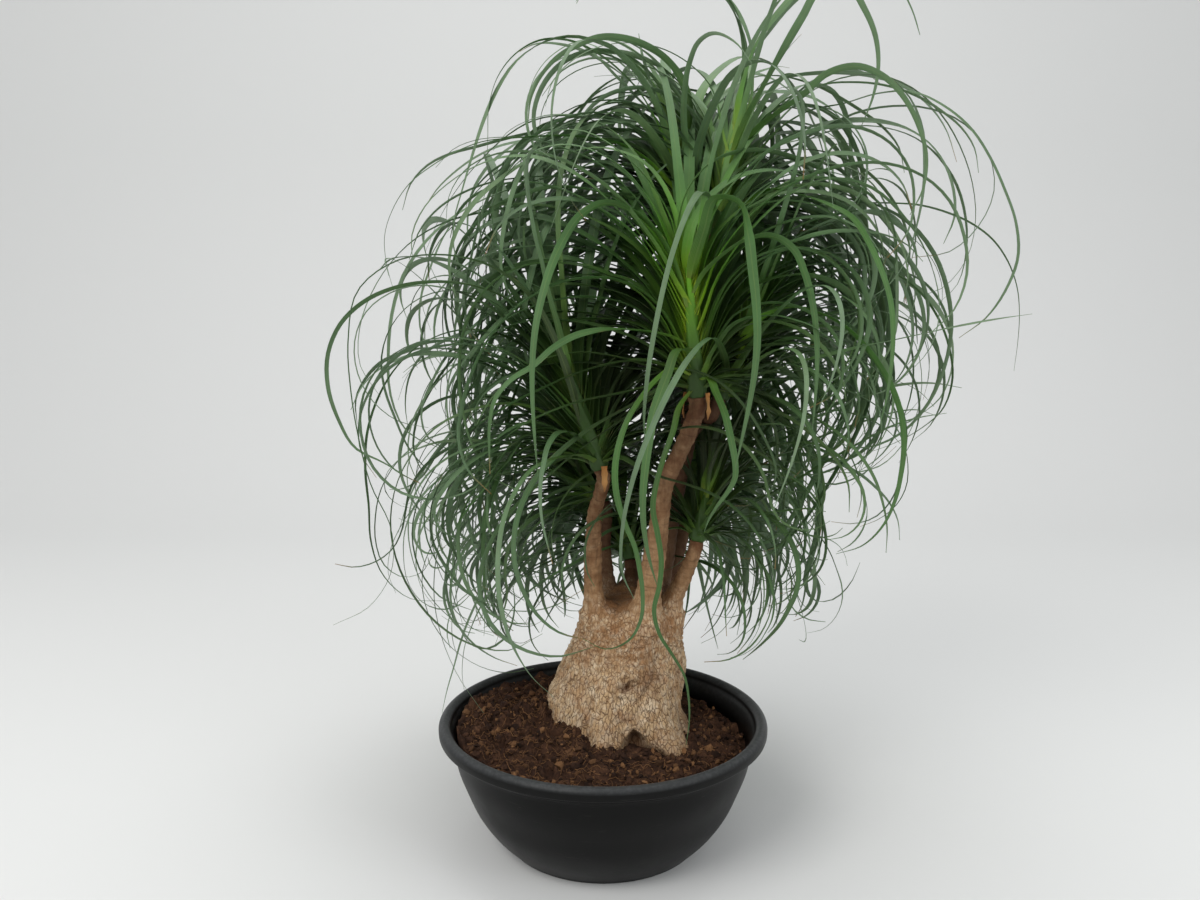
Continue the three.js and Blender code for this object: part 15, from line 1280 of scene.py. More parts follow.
    "leaf_top_right_23": {"crown": "top_right", "width": 9.0, "face": 0.8, "path": [[147.2, 24.6, 810.6], [157.0, 0.8, 828.9], [173.1, -20.3, 846.2], [191.8, -42.0, 859.8], [212.9, -61.0, 873.7], [234.1, -75.3, 892.3], [262.8, -84.2, 898.4], [291.7, -88.5, 886.7], [313.8, -90.0, 864.2], [329.4, -89.6, 836.7], [338.9, -88.7, 806.6], [337.4, -88.4, 775.2], [323.9, -90.0, 746.7]]},
    "leaf_rear_left_24": {"crown": "rear_left", "width": 9.5, "face": 0.6, "path": [[-27.1, 147.1, 424.6], [-34.2, 136.6, 451.7], [-48.7, 124.6, 474.5], [-74.7, 114.4, 483.9], [-100.4, 103.3, 474.7], [-119.2, 92.3, 454.3], [-132.7, 81.1, 430.1], [-143.0, 70.8, 403.9], [-148.7, 61.8, 376.0], [-150.0, 54.6, 347.0], [-148.8, 50.0, 317.5], [-146.7, 48.3, 287.7], [-137.1, 50.0, 259.6]]},
    "leaf_left_25": {"crown": "left", "width": 8.0, "face": 0.0, "path": [[-15.0, -3.7, 464.0], [-38.4, -9.7, 483.0], [-66.0, -14.9, 494.5], [-93.6, -22.3, 484.4], [-116.7, -28.8, 465.2], [-136.0, -33.7, 441.8], [-155.7, -37.2, 418.4], [-172.1, -39.3, 392.6], [-179.0, -40.0, 362.8], [-177.9, -39.4, 332.1], [-171.4, -37.5, 302.2], [-155.9, -34.4, 276.1], [-129.1, -30.0, 263.3]]},
    "leaf_right_26": {"crown": "right", "width": 9.0, "face": 0.0, "path": [[154.2, 24.7, 558.9], [172.3, 32.1, 593.2], [189.2, 38.9, 628.3], [210.8, 45.5, 660.6], [242.4, 51.8, 683.5], [279.1, 57.6, 696.5], [318.1, 62.8, 697.5], [355.6, 67.5, 686.3], [387.7, 71.7, 663.9], [411.9, 75.5, 633.0], [428.2, 78.9, 597.1], [435.1, 81.9, 558.5], [425.8, 84.5, 520.5], [397.6, 86.7, 493.6], [363.2, 88.6, 474.2], [326.0, 90.0, 461.1]]},
    "leaf_rear_right_27": {"crown": "rear_right", "width": 9.0, "face": 0.0, "path": [[132.0, 151.4, 428.3], [148.7, 142.7, 456.9], [167.4, 136.0, 484.7], [194.7, 128.5, 500.7], [227.0, 122.4, 492.0], [253.2, 119.2, 470.7], [269.9, 118.0, 441.0], [279.8, 118.3, 408.3], [286.2, 119.5, 374.8], [286.9, 120.8, 340.8], [276.4, 121.8, 308.4], [256.3, 121.7, 280.9], [228.3, 120.0, 261.7]]},
}

# ------------------------------------------------------------------ materials of the plant
def leaf_material(name, dry=False, single=False):
    M = Mat(name)
    data = M.attr("leaf", "Color")
    sep = M.n("ShaderNodeSeparateColor")
    M.link(data, sep.inputs[0])
    along, age, rnd = sep.outputs[0], sep.outputs[1], sep.outputs[2]
    across = M.attr("across", "Fac")
    co = M.coords()
    if dry:
        base = M.ramp(along, [(0.0, lin(170, 112, 58)), (0.5, lin(190, 140, 84)), (1.0, lin(150, 104, 62))])
    else:
        young = M.ramp(along, [(0.0, lin(196, 224, 52)), (0.05, lin(158, 214, 22)), (0.13, lin(104, 176, 18)), (0.28, lin(66, 128, 28)), (0.6, lin(76, 128, 56)), (1.0, lin(90, 128, 80))])
        old = M.ramp(along, [(0.0, lin(104, 130, 46)), (0.04, lin(70, 114, 28)), (0.16, lin(48, 94, 24)), (0.45, lin(62, 108, 52)), (1.0, lin(82, 116, 76))])
        base = M.mix(M.remap(age, 0.15, 0.75), young, old)
        # some leaves bluish, some yellowish
        base = M.mix(M.remap(rnd, 0.55, 1.0, 0.0, 0.38), base, lin(44, 86, 54))
        base = M.mix(M.remap(rnd, 0.0, 0.3, 0.35, 0.0), base, lin(104, 136, 40))
    patch = M.noise(co, 38.0, 3.0)
    if not dry:
        # painted shade: darker inside the crown; painted light and sheen: paler grey-green outside it
        ps = M.n("ShaderNodeVectorMath")
        ps.operation = 'SUBTRACT'
        M.link(co, ps.inputs[0])
        ps.inputs[1].default_value = (0.085, 0.02, 0.50)
        pm = M.n("ShaderNodeVectorMath")
        pm.operation = 'MULTIPLY'
        M.link(ps.outputs[0], pm.inputs[0])
        pm.inputs[1].default_value = (1 / 0.34, 1 / 0.34, 1 / 0.42)
        pl = M.n("ShaderNodeVectorMath")
        pl.operation = 'LENGTH'
        M.link(pm.outputs[0], pl.inputs[0])
        shade = M.math('MULTIPLY', M.remap(pl.outputs["Value"], 0.20, 0.64, 0.30 if single else 0.95, 0.0), M.remap(along, 0.03, 0.20, 0.30, 1.0))
        if single:
            # leaves of the lower crowns rise out of deep shade
            shade = M.math('MAXIMUM', shade, M.math('MULTIPLY', M.remap(age, 0.85, 0.94), M.remap(along, 0.10, 0.46, 0.80, 0.0)))
        base = M.mix(shade, base, lin(12, 24, 7))
        base = M.mix(M.remap(pl.outputs["Value"], 0.80 if single else 0.52, 1.20 if single else 1.06, 0.0, 0.34 if single else 0.60), base, lin(136, 156, 136))
    base = M.mix(M.remap(patch, 0.3, 0.75, 0.0, 0.28), base, (0.012, 0.022, 0.008), 'MIX') if not dry else M.mix(M.remap(patch, 0.3, 0.8, 0.0, 0.5), base, lin(96, 60, 34))
    # fine veins along the leaf
    vein = M.math('SINE', M.math('MULTIPLY', across, 62.0))
    vein = M.remap(vein, -1.0, 1.0)
    base = M.mix(M.math('MULTIPLY', vein, 0.12), base, lin(190, 205, 150) if not dry else lin(210, 170, 120))
    # paler midrib
    mid = M.math('ABSOLUTE', M.math('SUBTRACT', across, 0.5))
    base = M.mix(M.remap(mid, 0.0, 0.07, 0.22, 0.0), base, lin(150, 170, 96) if not dry else lin(205, 160, 100))
    if not dry:
        # browned tips and scars on some leaves
        tip = M.math('MULTIPLY', M.remap(along, 0.93, 1.0), M.remap(rnd, 0.74, 0.80))
        base = M.mix(tip, base, lin(150, 112, 66))
        edge = M.math('MULTIPLY', M.remap(mid, 0.40, 0.5), M.remap(M.noise(co, 90.0, 2.0), 0.6, 0.75))
        base = M.mix(M.math('MULTIPLY', edge, 0.5), base, lin(160, 150, 96))
    M.link(base, M.p.inputs["Base Color"])
    rough = M.remap(M.noise(co, 60.0, 3.0), 0.2, 0.8, 0.40, 0.58)
    if dry:
        M.p.inputs["Roughness"].default_value = 0.8
    else:
        M.link(rough, M.p.inputs["Roughness"])
    M.p.inputs["Specular IOR Level"].default_value = 0.32 if not dry else 0.2
    h = M.math('ADD', M.math('MULTIPLY', vein, 0.6), M.math('MULTIPLY', M.noise(co, 260.0, 2.0), 0.5))
    M.link(M.bump(h, 0.35, 0.0003), M.p.inputs["Normal"])
    if not dry:
        tr = M.n("ShaderNodeBsdfTranslucent")
        M.link(M.mix(0.5, base, lin(150, 200, 50)), tr.inputs["Color"])
        mx = M.n("ShaderNodeMixShader")
        mx.inputs[0].default_value = 0.20
        M.link(M.p.outputs[0], mx.inputs[1])
        M.link(tr.outputs[0], mx.inputs[2])
        M.link(mx.outputs[0], M.out.inputs["Surface"])
    return M.m


def plastic_material():
    M = Mat("black_bowl_plastic")
    co = M.coords()
    dust = M.remap(M.noise(co, 9.0, 6.0, 0.62), 0.42, 0.72)
    fine = M.noise(co, 240.0, 3.0)
    geo = M.n("ShaderNodeNewGeometry")
    sp = M.n("ShaderNodeSeparateXYZ")
    M.link(geo.outputs["Normal"], sp.inputs[0])
    up = M.remap(sp.outputs[2], 0.1, 0.9)
    base = M.mix(dust, lin(2, 2, 2), lin(6, 6, 5))
    # upward faces paler: dust and a painted sheen
    base = M.mix(M.math('MULTIPLY', up, M.remap(fine, 0.4, 0.75, 0.55, 0.92)), base, lin(76, 78, 79))
    # fine scuffs
    sc = M.n("ShaderNodeMapping")
    sc.inputs["Scale"].default_value = (18, 18, 300)
    M.link(co, sc.inputs["Vector"])
    scratch = M.remap(M.noise(sc.outputs[0], 1.4, 5.0, 0.7, 0.6), 0.63, 0.70)
    base = M.mix(M.math('MULTIPLY', scratch, 0.35), base, lin(70, 70, 66))
    M.link(base, M.p.inputs["Base Color"])
    r = M.math('ADD', M.remap(dust, 0.0, 1.0, 0.38, 0.52), M.math('MULTIPLY', scratch, 0.15))
    M.link(r, M.p.inputs["Roughness"])
    M.p.inputs["Specular IOR Level"].default_value = 0.18
    h = M.math('ADD', M.math('MULTIPLY', fine, 0.5), M.math('MULTIPLY', scratch, -0.6))
    M.link(M.bump(h, 0.25, 0.0004), M.p.inputs["Normal"])
    return M.m


def soil_material(name, crumbs=False):
    M = Mat(name)
    co = M.coords()
    a = M.noise(co, 55.0, 6.0, 0.65)
    b = M.noise(co, 320.0, 4.0, 0.6)
    base = M.ramp(a, [(0.25, lin(26, 15, 10)), (0.42, lin(52, 32, 21)), (0.58, lin(78, 52, 36)), (0.74, lin(120, 86, 60))])
    base = M.mix(M.remap(b, 0.35, 0.7, 0.0, 0.55), base, lin(30, 18, 12))
    if crumbs:
        tint = M.attr("tint", "Fac")
        base = M.mix(M.remap(tint, 0.55, 1.0, 0.0, 0.80), base, lin(138, 100, 66))
        base = M.mix(M.remap(tint, 0.0, 0.35, 0.6, 0.0), base, lin(26, 16, 11))
    else:
        sp = M.n("ShaderNodeTexVoronoi")
        sp.inputs["Scale"].default_value = 150.0
        M.link(co, sp.inputs["Vector"])
        speck = M.remap(sp.outputs["Distance"], 0.0, 0.22, 1.0, 0.0)
        pick = M.remap(M.noise(co, 31.0, 2.0), 0.55, 0.7)
        base = M.mix(M.math('MULTIPLY', M.math('MULTIPLY', speck, pick), 0.7), base, lin(150, 100, 62))
    M.link(base, M.p.inputs["Base Color"])
    M.p.inputs["Roughness"].default_value = 0.93
    M.p.inputs["Specular IOR Level"].default_value = 0.25
    h = M.math('ADD', M.math('MULTIPLY', a, 0.6), b)
    M.link(M.bump(h, 0.7, 0.0012), M.p.inputs["Normal"])
    return M.m


def bark_colour(M, co, crack, plate, dark, low):
    """pale cracked plates; low is 1 near the soil, where the bark is stained brown"""
    big = M.noise(co, 18.0, 4.0)
    mid = M.noise(co, 110.0, 4.0, 0.6)
    fine = M.noise(co, 480.0, 5.0, 0.68)
    base = M.ramp(big, [(0.25, lin(172, 134, 94)), (0.5, lin(208, 178, 138)), (0.75, lin(230, 208, 174))])
    base = M.mix(M.remap(plate, 0.0, 1.0, 0.35, 0.0), base, lin(170, 128, 86))
    base = M.mix(M.remap(mid, 0.42, 0.70, 0.0, 0.60), base, lin(244, 228, 202))
    base = M.mix(M.remap(fine, 0.50, 0.76, 0.0, 0.34), base, lin(134, 98, 64))
    base = M.mix(M.remap(M.noise(co, 33.0, 5.0, 0.65), 0.52, 0.68, 0.0, 0.55), base, lin(150, 98, 58))
    base = M.mix(M.math('MULTIPLY', low, M.remap(mid, 0.3, 0.7, 0.35, 0.85)), base, lin(112, 72, 42))
    base = M.mix(M.remap(crack, 0.0, 0.8, 0.88, 0.0), base, lin(84, 54, 31))
    # dark brown from stain_and_shade: the front hollow, partly painted shadow in the notch, painted shade on the dome
    # top
    base = M.mix(M.math('MULTIPLY', dark, 0.90), base, lin(92, 54, 26))
    return base, mid, fine


def bark_material():
    M = Mat("foot_bark")
    co = M.coords()
    crack = M.attr("crack", "Fac")      # 0 in a crack, 1 on a plate
    plate = M.attr("plate", "Fac")      # one number for each plate
    # darker colour in the front hollow, partly painted shadow in the notch, painted shade on the dome top
    dark = M.attr("stain_and_shade", "Fac")
    sp = M.n("ShaderNodeSeparateXYZ")
    M.link(co, sp.inputs[0])
    hz = M.math('ADD', sp.outputs[2], M.math('MULTIPLY', M.noise(co, 40.0, 3.0), 0.024))
    low = M.remap(hz, 0.128, 0.170, 1.0, 0.0)
    # fine upright cracks between the plates
    nz = M.n("ShaderNodeTexNoise")
    nz.inputs["Scale"].default_value = 150.0
    nz.inputs["Detail"].default_value = 3.0
    M.link(co, nz.inputs["Vector"])
    sm = M.n("ShaderNodeVectorMath")
    sm.operation = 'SCALE'
    sm.inputs["Scale"].default_value = 0.0050
    M.link(nz.outputs["Color"], sm.inputs[0])
    wv = M.n("ShaderNodeVectorMath")
    wv.operation = 'ADD'
    M.link(co, wv.inputs[0])
    M.link(sm.outputs[0], wv.inputs[1])
    sc = M.n("ShaderNodeMapping")
    sc.inputs["Scale"].default_value = (240, 240, 80)
    M.link(wv.outputs[0], sc.inputs["Vector"])
    vo = M.n("ShaderNodeTexVoronoi")
    vo.feature = 'DISTANCE_TO_EDGE'
    vo.inputs["Scale"].default_value = 1.0
    M.link(sc.outputs[0], vo.inputs["Vector"])
    edge = M.remap(vo.outputs["Distance"], 0.0, 0.115)
    some = M.remap(M.noise(co, 46.0, 3.0), 0.26, 0.50, 0.55, 1.0)
    edge = M.math('SUBTRACT', 1.0, M.math('MULTIPLY', M.math('SUBTRACT', 1.0, edge), some))
    crack = M.math('MINIMUM', crack, edge)
    base, mid, fine = bark_colour(M, co, crack, plate, dark, low)
    # browner round the collar under the stems, and in upright runs below it
    run = M.n("ShaderNodeMapping")
    run.inputs["Scale"].default_value = (70, 70, 14)
    M.link(co, run.inputs["Vector"])
    drip = M.remap(M.noise(run.outputs[0], 1.0, 4.0, 0.6), 0.50, 0.66)
    upz = M.math('ADD', sp.outputs[2], M.math('MULTIPLY', M.noise(co, 26.0, 3.0), 0.05))
    collar = M.remap(upz, 0.230, 0.268)
    brown = M.math('MAXIMUM', M.math('MULTIPLY', collar, M.remap(mid, 0.40, 0.60, 0.70, 0.10)), M.math('MULTIPLY', M.math('MULTIPLY', drip, M.remap(upz, 0.190, 0.250)), 0.65))
    base = M.mix(brown, base, lin(146, 106, 70))
    M.link(base, M.p.inputs["Base Color"])
    M.p.inputs["Roughness"].default_value = 0.84
    M.p.inputs["Specular IOR Level"].default_value = 0.25
    h = M.math('ADD', M.math('MULTIPLY', mid, 0.8), M.math('MULTIPLY', fine, 0.6))
    h = M.math('ADD', h, M.math('MULTIPLY', edge, 0.7))
    M.link(M.bump(h, 0.8, 0.0015), M.p.inputs["Normal"])
    return M.m


def stem_material():
    M = Mat("stem_bark")
    co = M.coords()
    ring = M.attr("ring", "Fac")
    age = M.attr("height", "Fac")       # 0 at the foot, 1 under the crown
    shade = M.attr("shade", "Fac")      # 1 on the stems that stand behind
    foot = M.attr("foot", "Fac")        # 1 where the stem widens into the bark
    mid = M.noise(co, 60.0, 5.0, 0.62)
    fine = M.noise(co, 520.0, 4.0, 0.6)
    st = M.n("ShaderNodeMapping")
    st.inputs["Scale"].default_value = (300, 300, 34)
    M.link(co, st.inputs["Vector"])
    streak = M.noise(st.outputs[0], 1.0, 4.0, 0.6)
    # paler at the foot and darker towards the crown: partly the bark's own tone, partly painted shade under the crowns
    base = M.ramp(age, [(0.0, lin(156, 121, 84)), (0.4, lin(134, 98, 65)), (0.8, lin(116, 80, 50)), (1.0, lin(104, 66, 38))])
    base = M.mix(M.remap(mid, 0.4, 0.68, 0.0, 0.55), base, lin(186, 152, 112))
    base = M.mix(M.remap(mid, 0.25, 0.42, 0.5, 0.0), base, lin(102, 70, 44))
    base = M.mix(M.remap(streak, 0.5, 0.70, 0.0, 0.55), base, lin(84, 60, 40))
    base = M.mix(M.remap(ring, 0.0, 0.9, 0.70, 0.0), base, lin(74, 48, 30))
    base = M.mix(M.remap(fine, 0.5, 0.75, 0.0, 0.3), base, lin(98, 70, 46))
    vo = M.n("ShaderNodeTexVoronoi")
    vo.feature = 'DISTANCE_TO_EDGE'
    vo.inputs["Scale"].default_value = 1.0
    sc = M.n("ShaderNodeMapping")
    sc.inputs["Scale"].default_value = (240, 240, 80)
    wv = M.n("ShaderNodeVectorMath")
    wv.operation = 'ADD'
    nz = M.n("ShaderNodeTexNoise")
    nz.inputs["Scale"].default_value = 180.0
    M.link(co, nz.inputs["Vector"])
    sm = M.n("ShaderNodeVectorMath")
    sm.operation = 'SCALE'
    sm.inputs["Scale"].default_value = 0.004
    M.link(nz.outputs["Color"], sm.inputs[0])
    M.link(co, wv.inputs[0])
    M.link(sm.outputs[0], wv.inputs[1])
    M.link(wv.outputs[0], sc.inputs["Vector"])
    M.link(sc.outputs[0], vo.inputs["Vector"])
    crk = M.remap(vo.outputs["Distance"], 0.0, 0.14)
    half = M.remap(crk, 0.0, 1.0, 0.5, 0.5)
    bark, bm, bf = bark_colour(M, co, crk, half, M.remap(age, 0.0, 1.0, 0.0, 0.0), M.remap(age, 0.0, 1.0, 0.0, 0.0))
    hb = M.n("ShaderNodeSeparateXYZ")
    M.link(co, hb.inputs[0])
    run = M.n("ShaderNodeMapping")
    run.inputs["Scale"].default_value = (70, 70, 14)
    M.link(co, run.inputs["Vector"])
    drip = M.remap(M.noise(run.outputs[0], 1.0, 4.0, 0.6), 0.50, 0.66)
    upz = M.math('ADD', hb.outputs[2], M.math('MULTIPLY', M.noise(co, 26.0, 3.0), 0.05))
    brown = M.math('MAXIMUM', M.math('MULTIPLY', M.remap(upz, 0.230, 0.268), M.remap(bm, 0.40, 0.60, 0.70, 0.10)), M.math('MULTIPLY', M.math('MULTIPLY', drip, M.remap(upz, 0.190, 0.250)), 0.65))
    bark = M.mix(brown, bark, lin(146, 106, 70))
    blend = M.remap(M.math('ADD', foot, M.remap(mid, 0.3, 0.7, -0.30, 0.30)), 0.10, 0.85)
    base = M.mix(blend, base, bark)
    base = M.mix(M.math('MULTIPLY', shade, 0.62), base, lin(62, 34, 23))
    # painted shade on the upper stems, under the crowns
    hz = M.n("ShaderNodeSeparateXYZ")
    M.link(co, hz.inputs[0])
    base = M.mix(M.remap(hz.outputs[2], 0.33, 0.50, 0.0, 0.52), base, lin(66, 38, 22))
    M.link(base, M.p.inputs["Base Color"])
    M.p.inputs["Roughness"].default_value = 0.74
    M.p.inputs["Specular IOR Level"].default_value = 0.3
    h = M.math('ADD', M.math('MULTIPLY', streak, 0.5), M.math('MULTIPLY', fine, 0.35))
    h = M.math('ADD', h, M.math('MULTIPLY', M.math('MULTIPLY', crk, blend), 1.2))
    M.link(M.bump(h, 0.6, 0.0010), M.p.inputs["Normal"])
    return M.m


GREEN = leaf_material("leaf_green")
LONG = leaf_material("leaf_green_long", single=True)
DRY = leaf_material("dry_leaf", dry=True)
PLASTIC = plastic_material()
SOIL = soil_material("peat_soil")
CRUMBS = soil_material("peat_crumbs", crumbs=True)
BARK = bark_material()
STEM = stem_material()

# ------------------------------------------------------------------ bowl
BOWL_WALL = np.array([[0.0022, 0.1206], [0.020, 0.1375], [0.045, 0.155], [0.075, 0.1684], [0.105, 0.1788], [0.128, 0.1817]])
WALL = 0.003


def wall_r(z):
    """outer wall radius, a smooth curve through the rows"""
    zz, rr = BOWL_WALL[:, 0], BOWL_WALL[:, 1]
    m = np.gradient(rr, zz)
    k = np.clip(np.searchsorted(zz, z) - 1, 0, len(zz) - 2)
    h = zz[k + 1] - zz[k]
    t = (z - zz[k]) / h
    return ((2 * t ** 3 - 3 * t ** 2 + 1) * rr[k] + (t ** 3 - 2 * t ** 2 + t) * h * m[k]
            + (-2 * t ** 3 + 3 * t ** 2) * rr[k + 1] + (t ** 3 - t ** 2) * h * m[k + 1])


def bowl():
    zz = np.linspace(0.0022, 0.128, 30)
    outer = [(wall_r(z), z) for z in zz]
    arc = lambda r, a, b, n: [(0.1926 + r * math.cos(math.radians(a + (b - a) * i / n)), 0.1465 + r * math.sin(math.radians(a + (b - a) * i / n))) for i in range(n + 1)]
    prof = [(0.0, 0.0), (0.06, 0.0), (0.112, 0.0), (0.1168, 0.0), (0.1187, 0.0003), (0.1199, 0.0012)] + outer
    prof += [(0.1822, 0.1288), (0.1832, 0.1296), (0.1836, 0.1305), (0.1838, 0.1330), (0.1834, 0.1342), (0.1828, 0.1349), (0.1832, 0.1380), (0.1846, 0.1420), (0.1858, 0.1455)]
    prof += arc(0.0050, 165, 0, 10) + [(0.1974, 0.1425), (0.1975, 0.1408), (0.1979, 0.1398), (0.1986, 0.1394), (0.1993, 0.1399), (0.1997, 0.1410), (0.1999, 0.1435)]
    prof += arc(0.0074, 0, 180, 20)
    prof += [(0.1842, 0.1440), (0.1830, 0.1422), (0.1816, 0.1390), (0.1801, 0.1340)]
    prof += [(wall_r(z) - WALL, z) for z in zz[::-1] if z > 0.006] + [(0.118, 0.0040), (0.1155, 0.0031), (0.1120, 0.0030), (0.05, 0.0030), (0.0, 0.0030)]
    prof = np.array(prof)
    S = 200
    a = np.arange(S) / S * 2 * np.pi
    r, z = prof[:, 0], prof[:, 1]
    body = prof[1:-1]
    R = body[:, 0][:, None] * np.ones(S)
    wob = 1 + 0.0010 * np.sin(2 * a + 0.7) + 0.0006 * np.sin(3 * a + 2.0)     # a bowl is never quite round
    hi = smooth(0.02, 0.14, body[:, 1])[:, None]
    R = R * (1 + (wob - 1.0016) * hi)
    V = np.stack([R * np.cos(a), R * np.sin(a), body[:, 1][:, None] * np.ones(S)], -1).reshape(-1, 3)
    F = grid_faces(len(body), S)
    n = len(V)
    V = np.vstack([V, [[0, 0, 0.0], [0, 0, 0.0030]]])
    k = np.arange(S)
    k2 = (k + 1) % S
    tri = np.vstack([np.stack([k2, k, np.full(S, n)], -1), np.stack([k, k2, np.full(S, n + 1)], -1) + np.array([(len(body) - 1) * S, (len(body) - 1) * S, 0])])
    return make_mesh("planter_bowl_shell", V, [F, tri], sharp=60)


finish_piece(bowl(), PLASTIC, ["planter_bowl"])

# ------------------------------------------------------------------ curves
def curve_through(pts, n):
    """centripetal curve through pts, n points evenly spaced along it"""
    p = np.asarray(pts, float)
    p = np.vstack([2 * p[0] - p[1], p, 2 * p[-1] - p[-2]])
    out = []
    for i in range(1, len(p) - 2):
        p0, p1, p2, p3 = p[i - 1:i + 3]
        t0 = 0.0
        t1 = t0 + max(np.linalg.norm(p1 - p0), 1e-9) ** 0.5
        t2 = t1 + max(np.linalg.norm(p2 - p1), 1e-9) ** 0.5
        t3 = t2 + max(np.linalg.norm(p3 - p2), 1e-9) ** 0.5
        t = np.linspace(t1, t2, 24, endpoint=(i == len(p) - 3))[:, None]
        A1 = (t1 - t) / (t1 - t0) * p0 + (t - t0) / (t1 - t0) * p1
        A2 = (t2 - t) / (t2 - t1) * p1 + (t - t1) / (t2 - t1) * p2
        A3 = (t3 - t) / (t3 - t2) * p2 + (t - t2) / (t3 - t2) * p3
        B1 = (t2 - t) / (t2 - t0) * A1 + (t - t0) / (t2 - t0) * A2
        B2 = (t3 - t) / (t3 - t1) * A2 + (t - t1) / (t3 - t1) * A3
        out.append((t2 - t) / (t2 - t1) * B1 + (t - t1) / (t2 - t1) * B2)
    q = np.vstack(out)
    run = np.r_[0, np.cumsum(np.linalg.norm(np.diff(q, axis=0), axis=1))]
    s = np.linspace(0, run[-1], n)
    return np.stack([np.interp(s, run, q[:, i]) for i in range(3)], -1), run[-1]


# ------------------------------------------------------------------ bark foot
CAUDEX = np.array([
    [62, 22, 40, 40], [80, 22, 40, 62], [100, 22, 38, 78], [116, 22, 36, 86], [128, 20, 37, 84],
    [140, 18, 39, 80], [158, 17, 41, 79], [178, 19, 42, 78], [200, 22, 44, 74], [222, 26, 46, 68],
    [242, 30, 48, 61.5], [258, 34, 49, 54.5], [270, 36, 50, 47], [279, 38, 50, 37], [284, 39, 50, 22]]) / 1000
ROOT_TOES = [(-50, 21, 20), (-102, 14, 17), (-150, 22, 8), (172, 20, 10), (118, 24, 9), (60, 22, 10), (8, 18, 5)]
# direction, height, width (degrees), half height, swell mm
SWELLS = [(10, 0.183, 22, 0.030, 8), (170, 0.165, 30, 0.028, 3)]


def foot_r(z, deg, r):
    s = np.zeros_like(z)
    for d0, w, mm in ROOT_TOES:
        d = (deg - d0 + 540) % 360 - 180
        s = s + mm / 1000 * np.exp(-(d * d) / (2 * w * w / 3)) * (1 - smooth(0.118, 0.190, z))
    for d0, z0, w, dz, mm in SWELLS:
        d = (deg - d0 + 540) % 360 - 180
        s = s + mm / 1000 * np.exp(-(d * d) / (2 * w * w)) * np.exp(-((z - z0) / dz) ** 2 / 2)
    lump = 0.0022 * np.sin(3 * np.radians(deg) + z * 1000 / 31) + 0.0013 * np.sin(7 * np.radians(deg) - z * 1000 / 17)
    return r + s + lump * np.minimum(1, r / 0.06)


def foot_base(C, Rw):
    """the plain shape of the foot: points (Rw, C, 3), angle and height of each"""
    prof = CAUDEX
    u = np.linspace(0, len(prof) - 1, 600)
    k = np.clip(u.astype(int), 0, len(prof) - 2)
    f = (u - k)[:, None]
    pad = np.vstack([2 * prof[0] - prof[1], prof, 2 * prof[-1] - prof[-2]])
    p0, p1, p2, p3 = pad[k], pad[k + 1], pad[k + 2], pad[k + 3]
    P = 0.5 * (2 * p1 + (p2 - p0) * f + (2 * p0 - 5 * p1 + 4 * p2 - p3) * f ** 2 + (3 * p1 - p0 - 3 * p2 + p3) * f ** 3)
    top = P[-1].copy()
    for q in np.linspace(0, 1, 24)[1:]:                         # the dome's middle
        P = np.vstack([P, [top[0] + 0.002 * math.sin(q * math.pi / 2), top[1], top[2], max(top[3] * (1 - q), 0.0004)]])
    run = np.r_[0, np.cumsum(np.hypot(np.diff(P[:, 0]), np.diff(P[:, 3])))]
    low = float(np.interp(0.106, P[:400, 0], run[:400]))        # what is under the soil needs few rows
    tgt = np.r_[np.linspace(0, low, 9)[:-1], np.linspace(low, run[-1], Rw - 8)]
    P = np.stack([np.interp(tgt, run, P[:, i]) for i in range(4)], -1)
    # more columns on the front
    t = np.arange(C) / C
    a = 360 * t + 34 * np.sin(2 * np.pi * t - np.pi / 2 + np.pi * 0.5) * 0 - 180
    dens = 1 + 0.32 * np.cos(np.radians(np.linspace(-180, 180, 2001) + 90))
    cum = np.r_[0, np.cumsum(dens[:-1])]
    a = np.interp(t * cum[-1], cum, np.linspace(-180, 180, 2001))
    Z = P[:, 0][:, None] * np.ones(C)
    A = np.ones((Rw, 1)) * a
    R = foot_r(Z, A, P[:, 3][:, None] * np.ones(C))
    X = P[:, 1][:, None] + R * np.cos(np.radians(A))
    Y = P[:, 2][:, None] + R * np.sin(np.radians(A))
    return np.stack([X, Y, Z], -1), A, Z


def grid_normals(V):
    du = np.roll(V, -1, 1) - np.roll(V, 1, 1)
    dv = np.gradient(V, axis=0)
    N = np.cross(du, dv)
    return N / (np.linalg.norm(N, axis=-1, keepdims=True) + 1e-12)


BLEND = 0.032           # how far a stem's foot and the bark run into each other


def stem_beads():
    c, r = [], []
    for rows in STEM_PATHS.values():
        for path, radii in rows:
            P, L = curve_through(np.array(path) / 1000, 80)
            key = np.r_[0, np.cumsum(np.linalg.norm(np.diff(np.array(path) / 1000, axis=0), axis=1))]
            rr = np.interp(np.linspace(0, 1, 80), key / key[-1], np.array(radii) / 1000)
            ok = P[:, 2] < 0.34
            c.append(P[ok]); r.append(rr[ok])
    return np.vstack(c), np.concatenate(r)


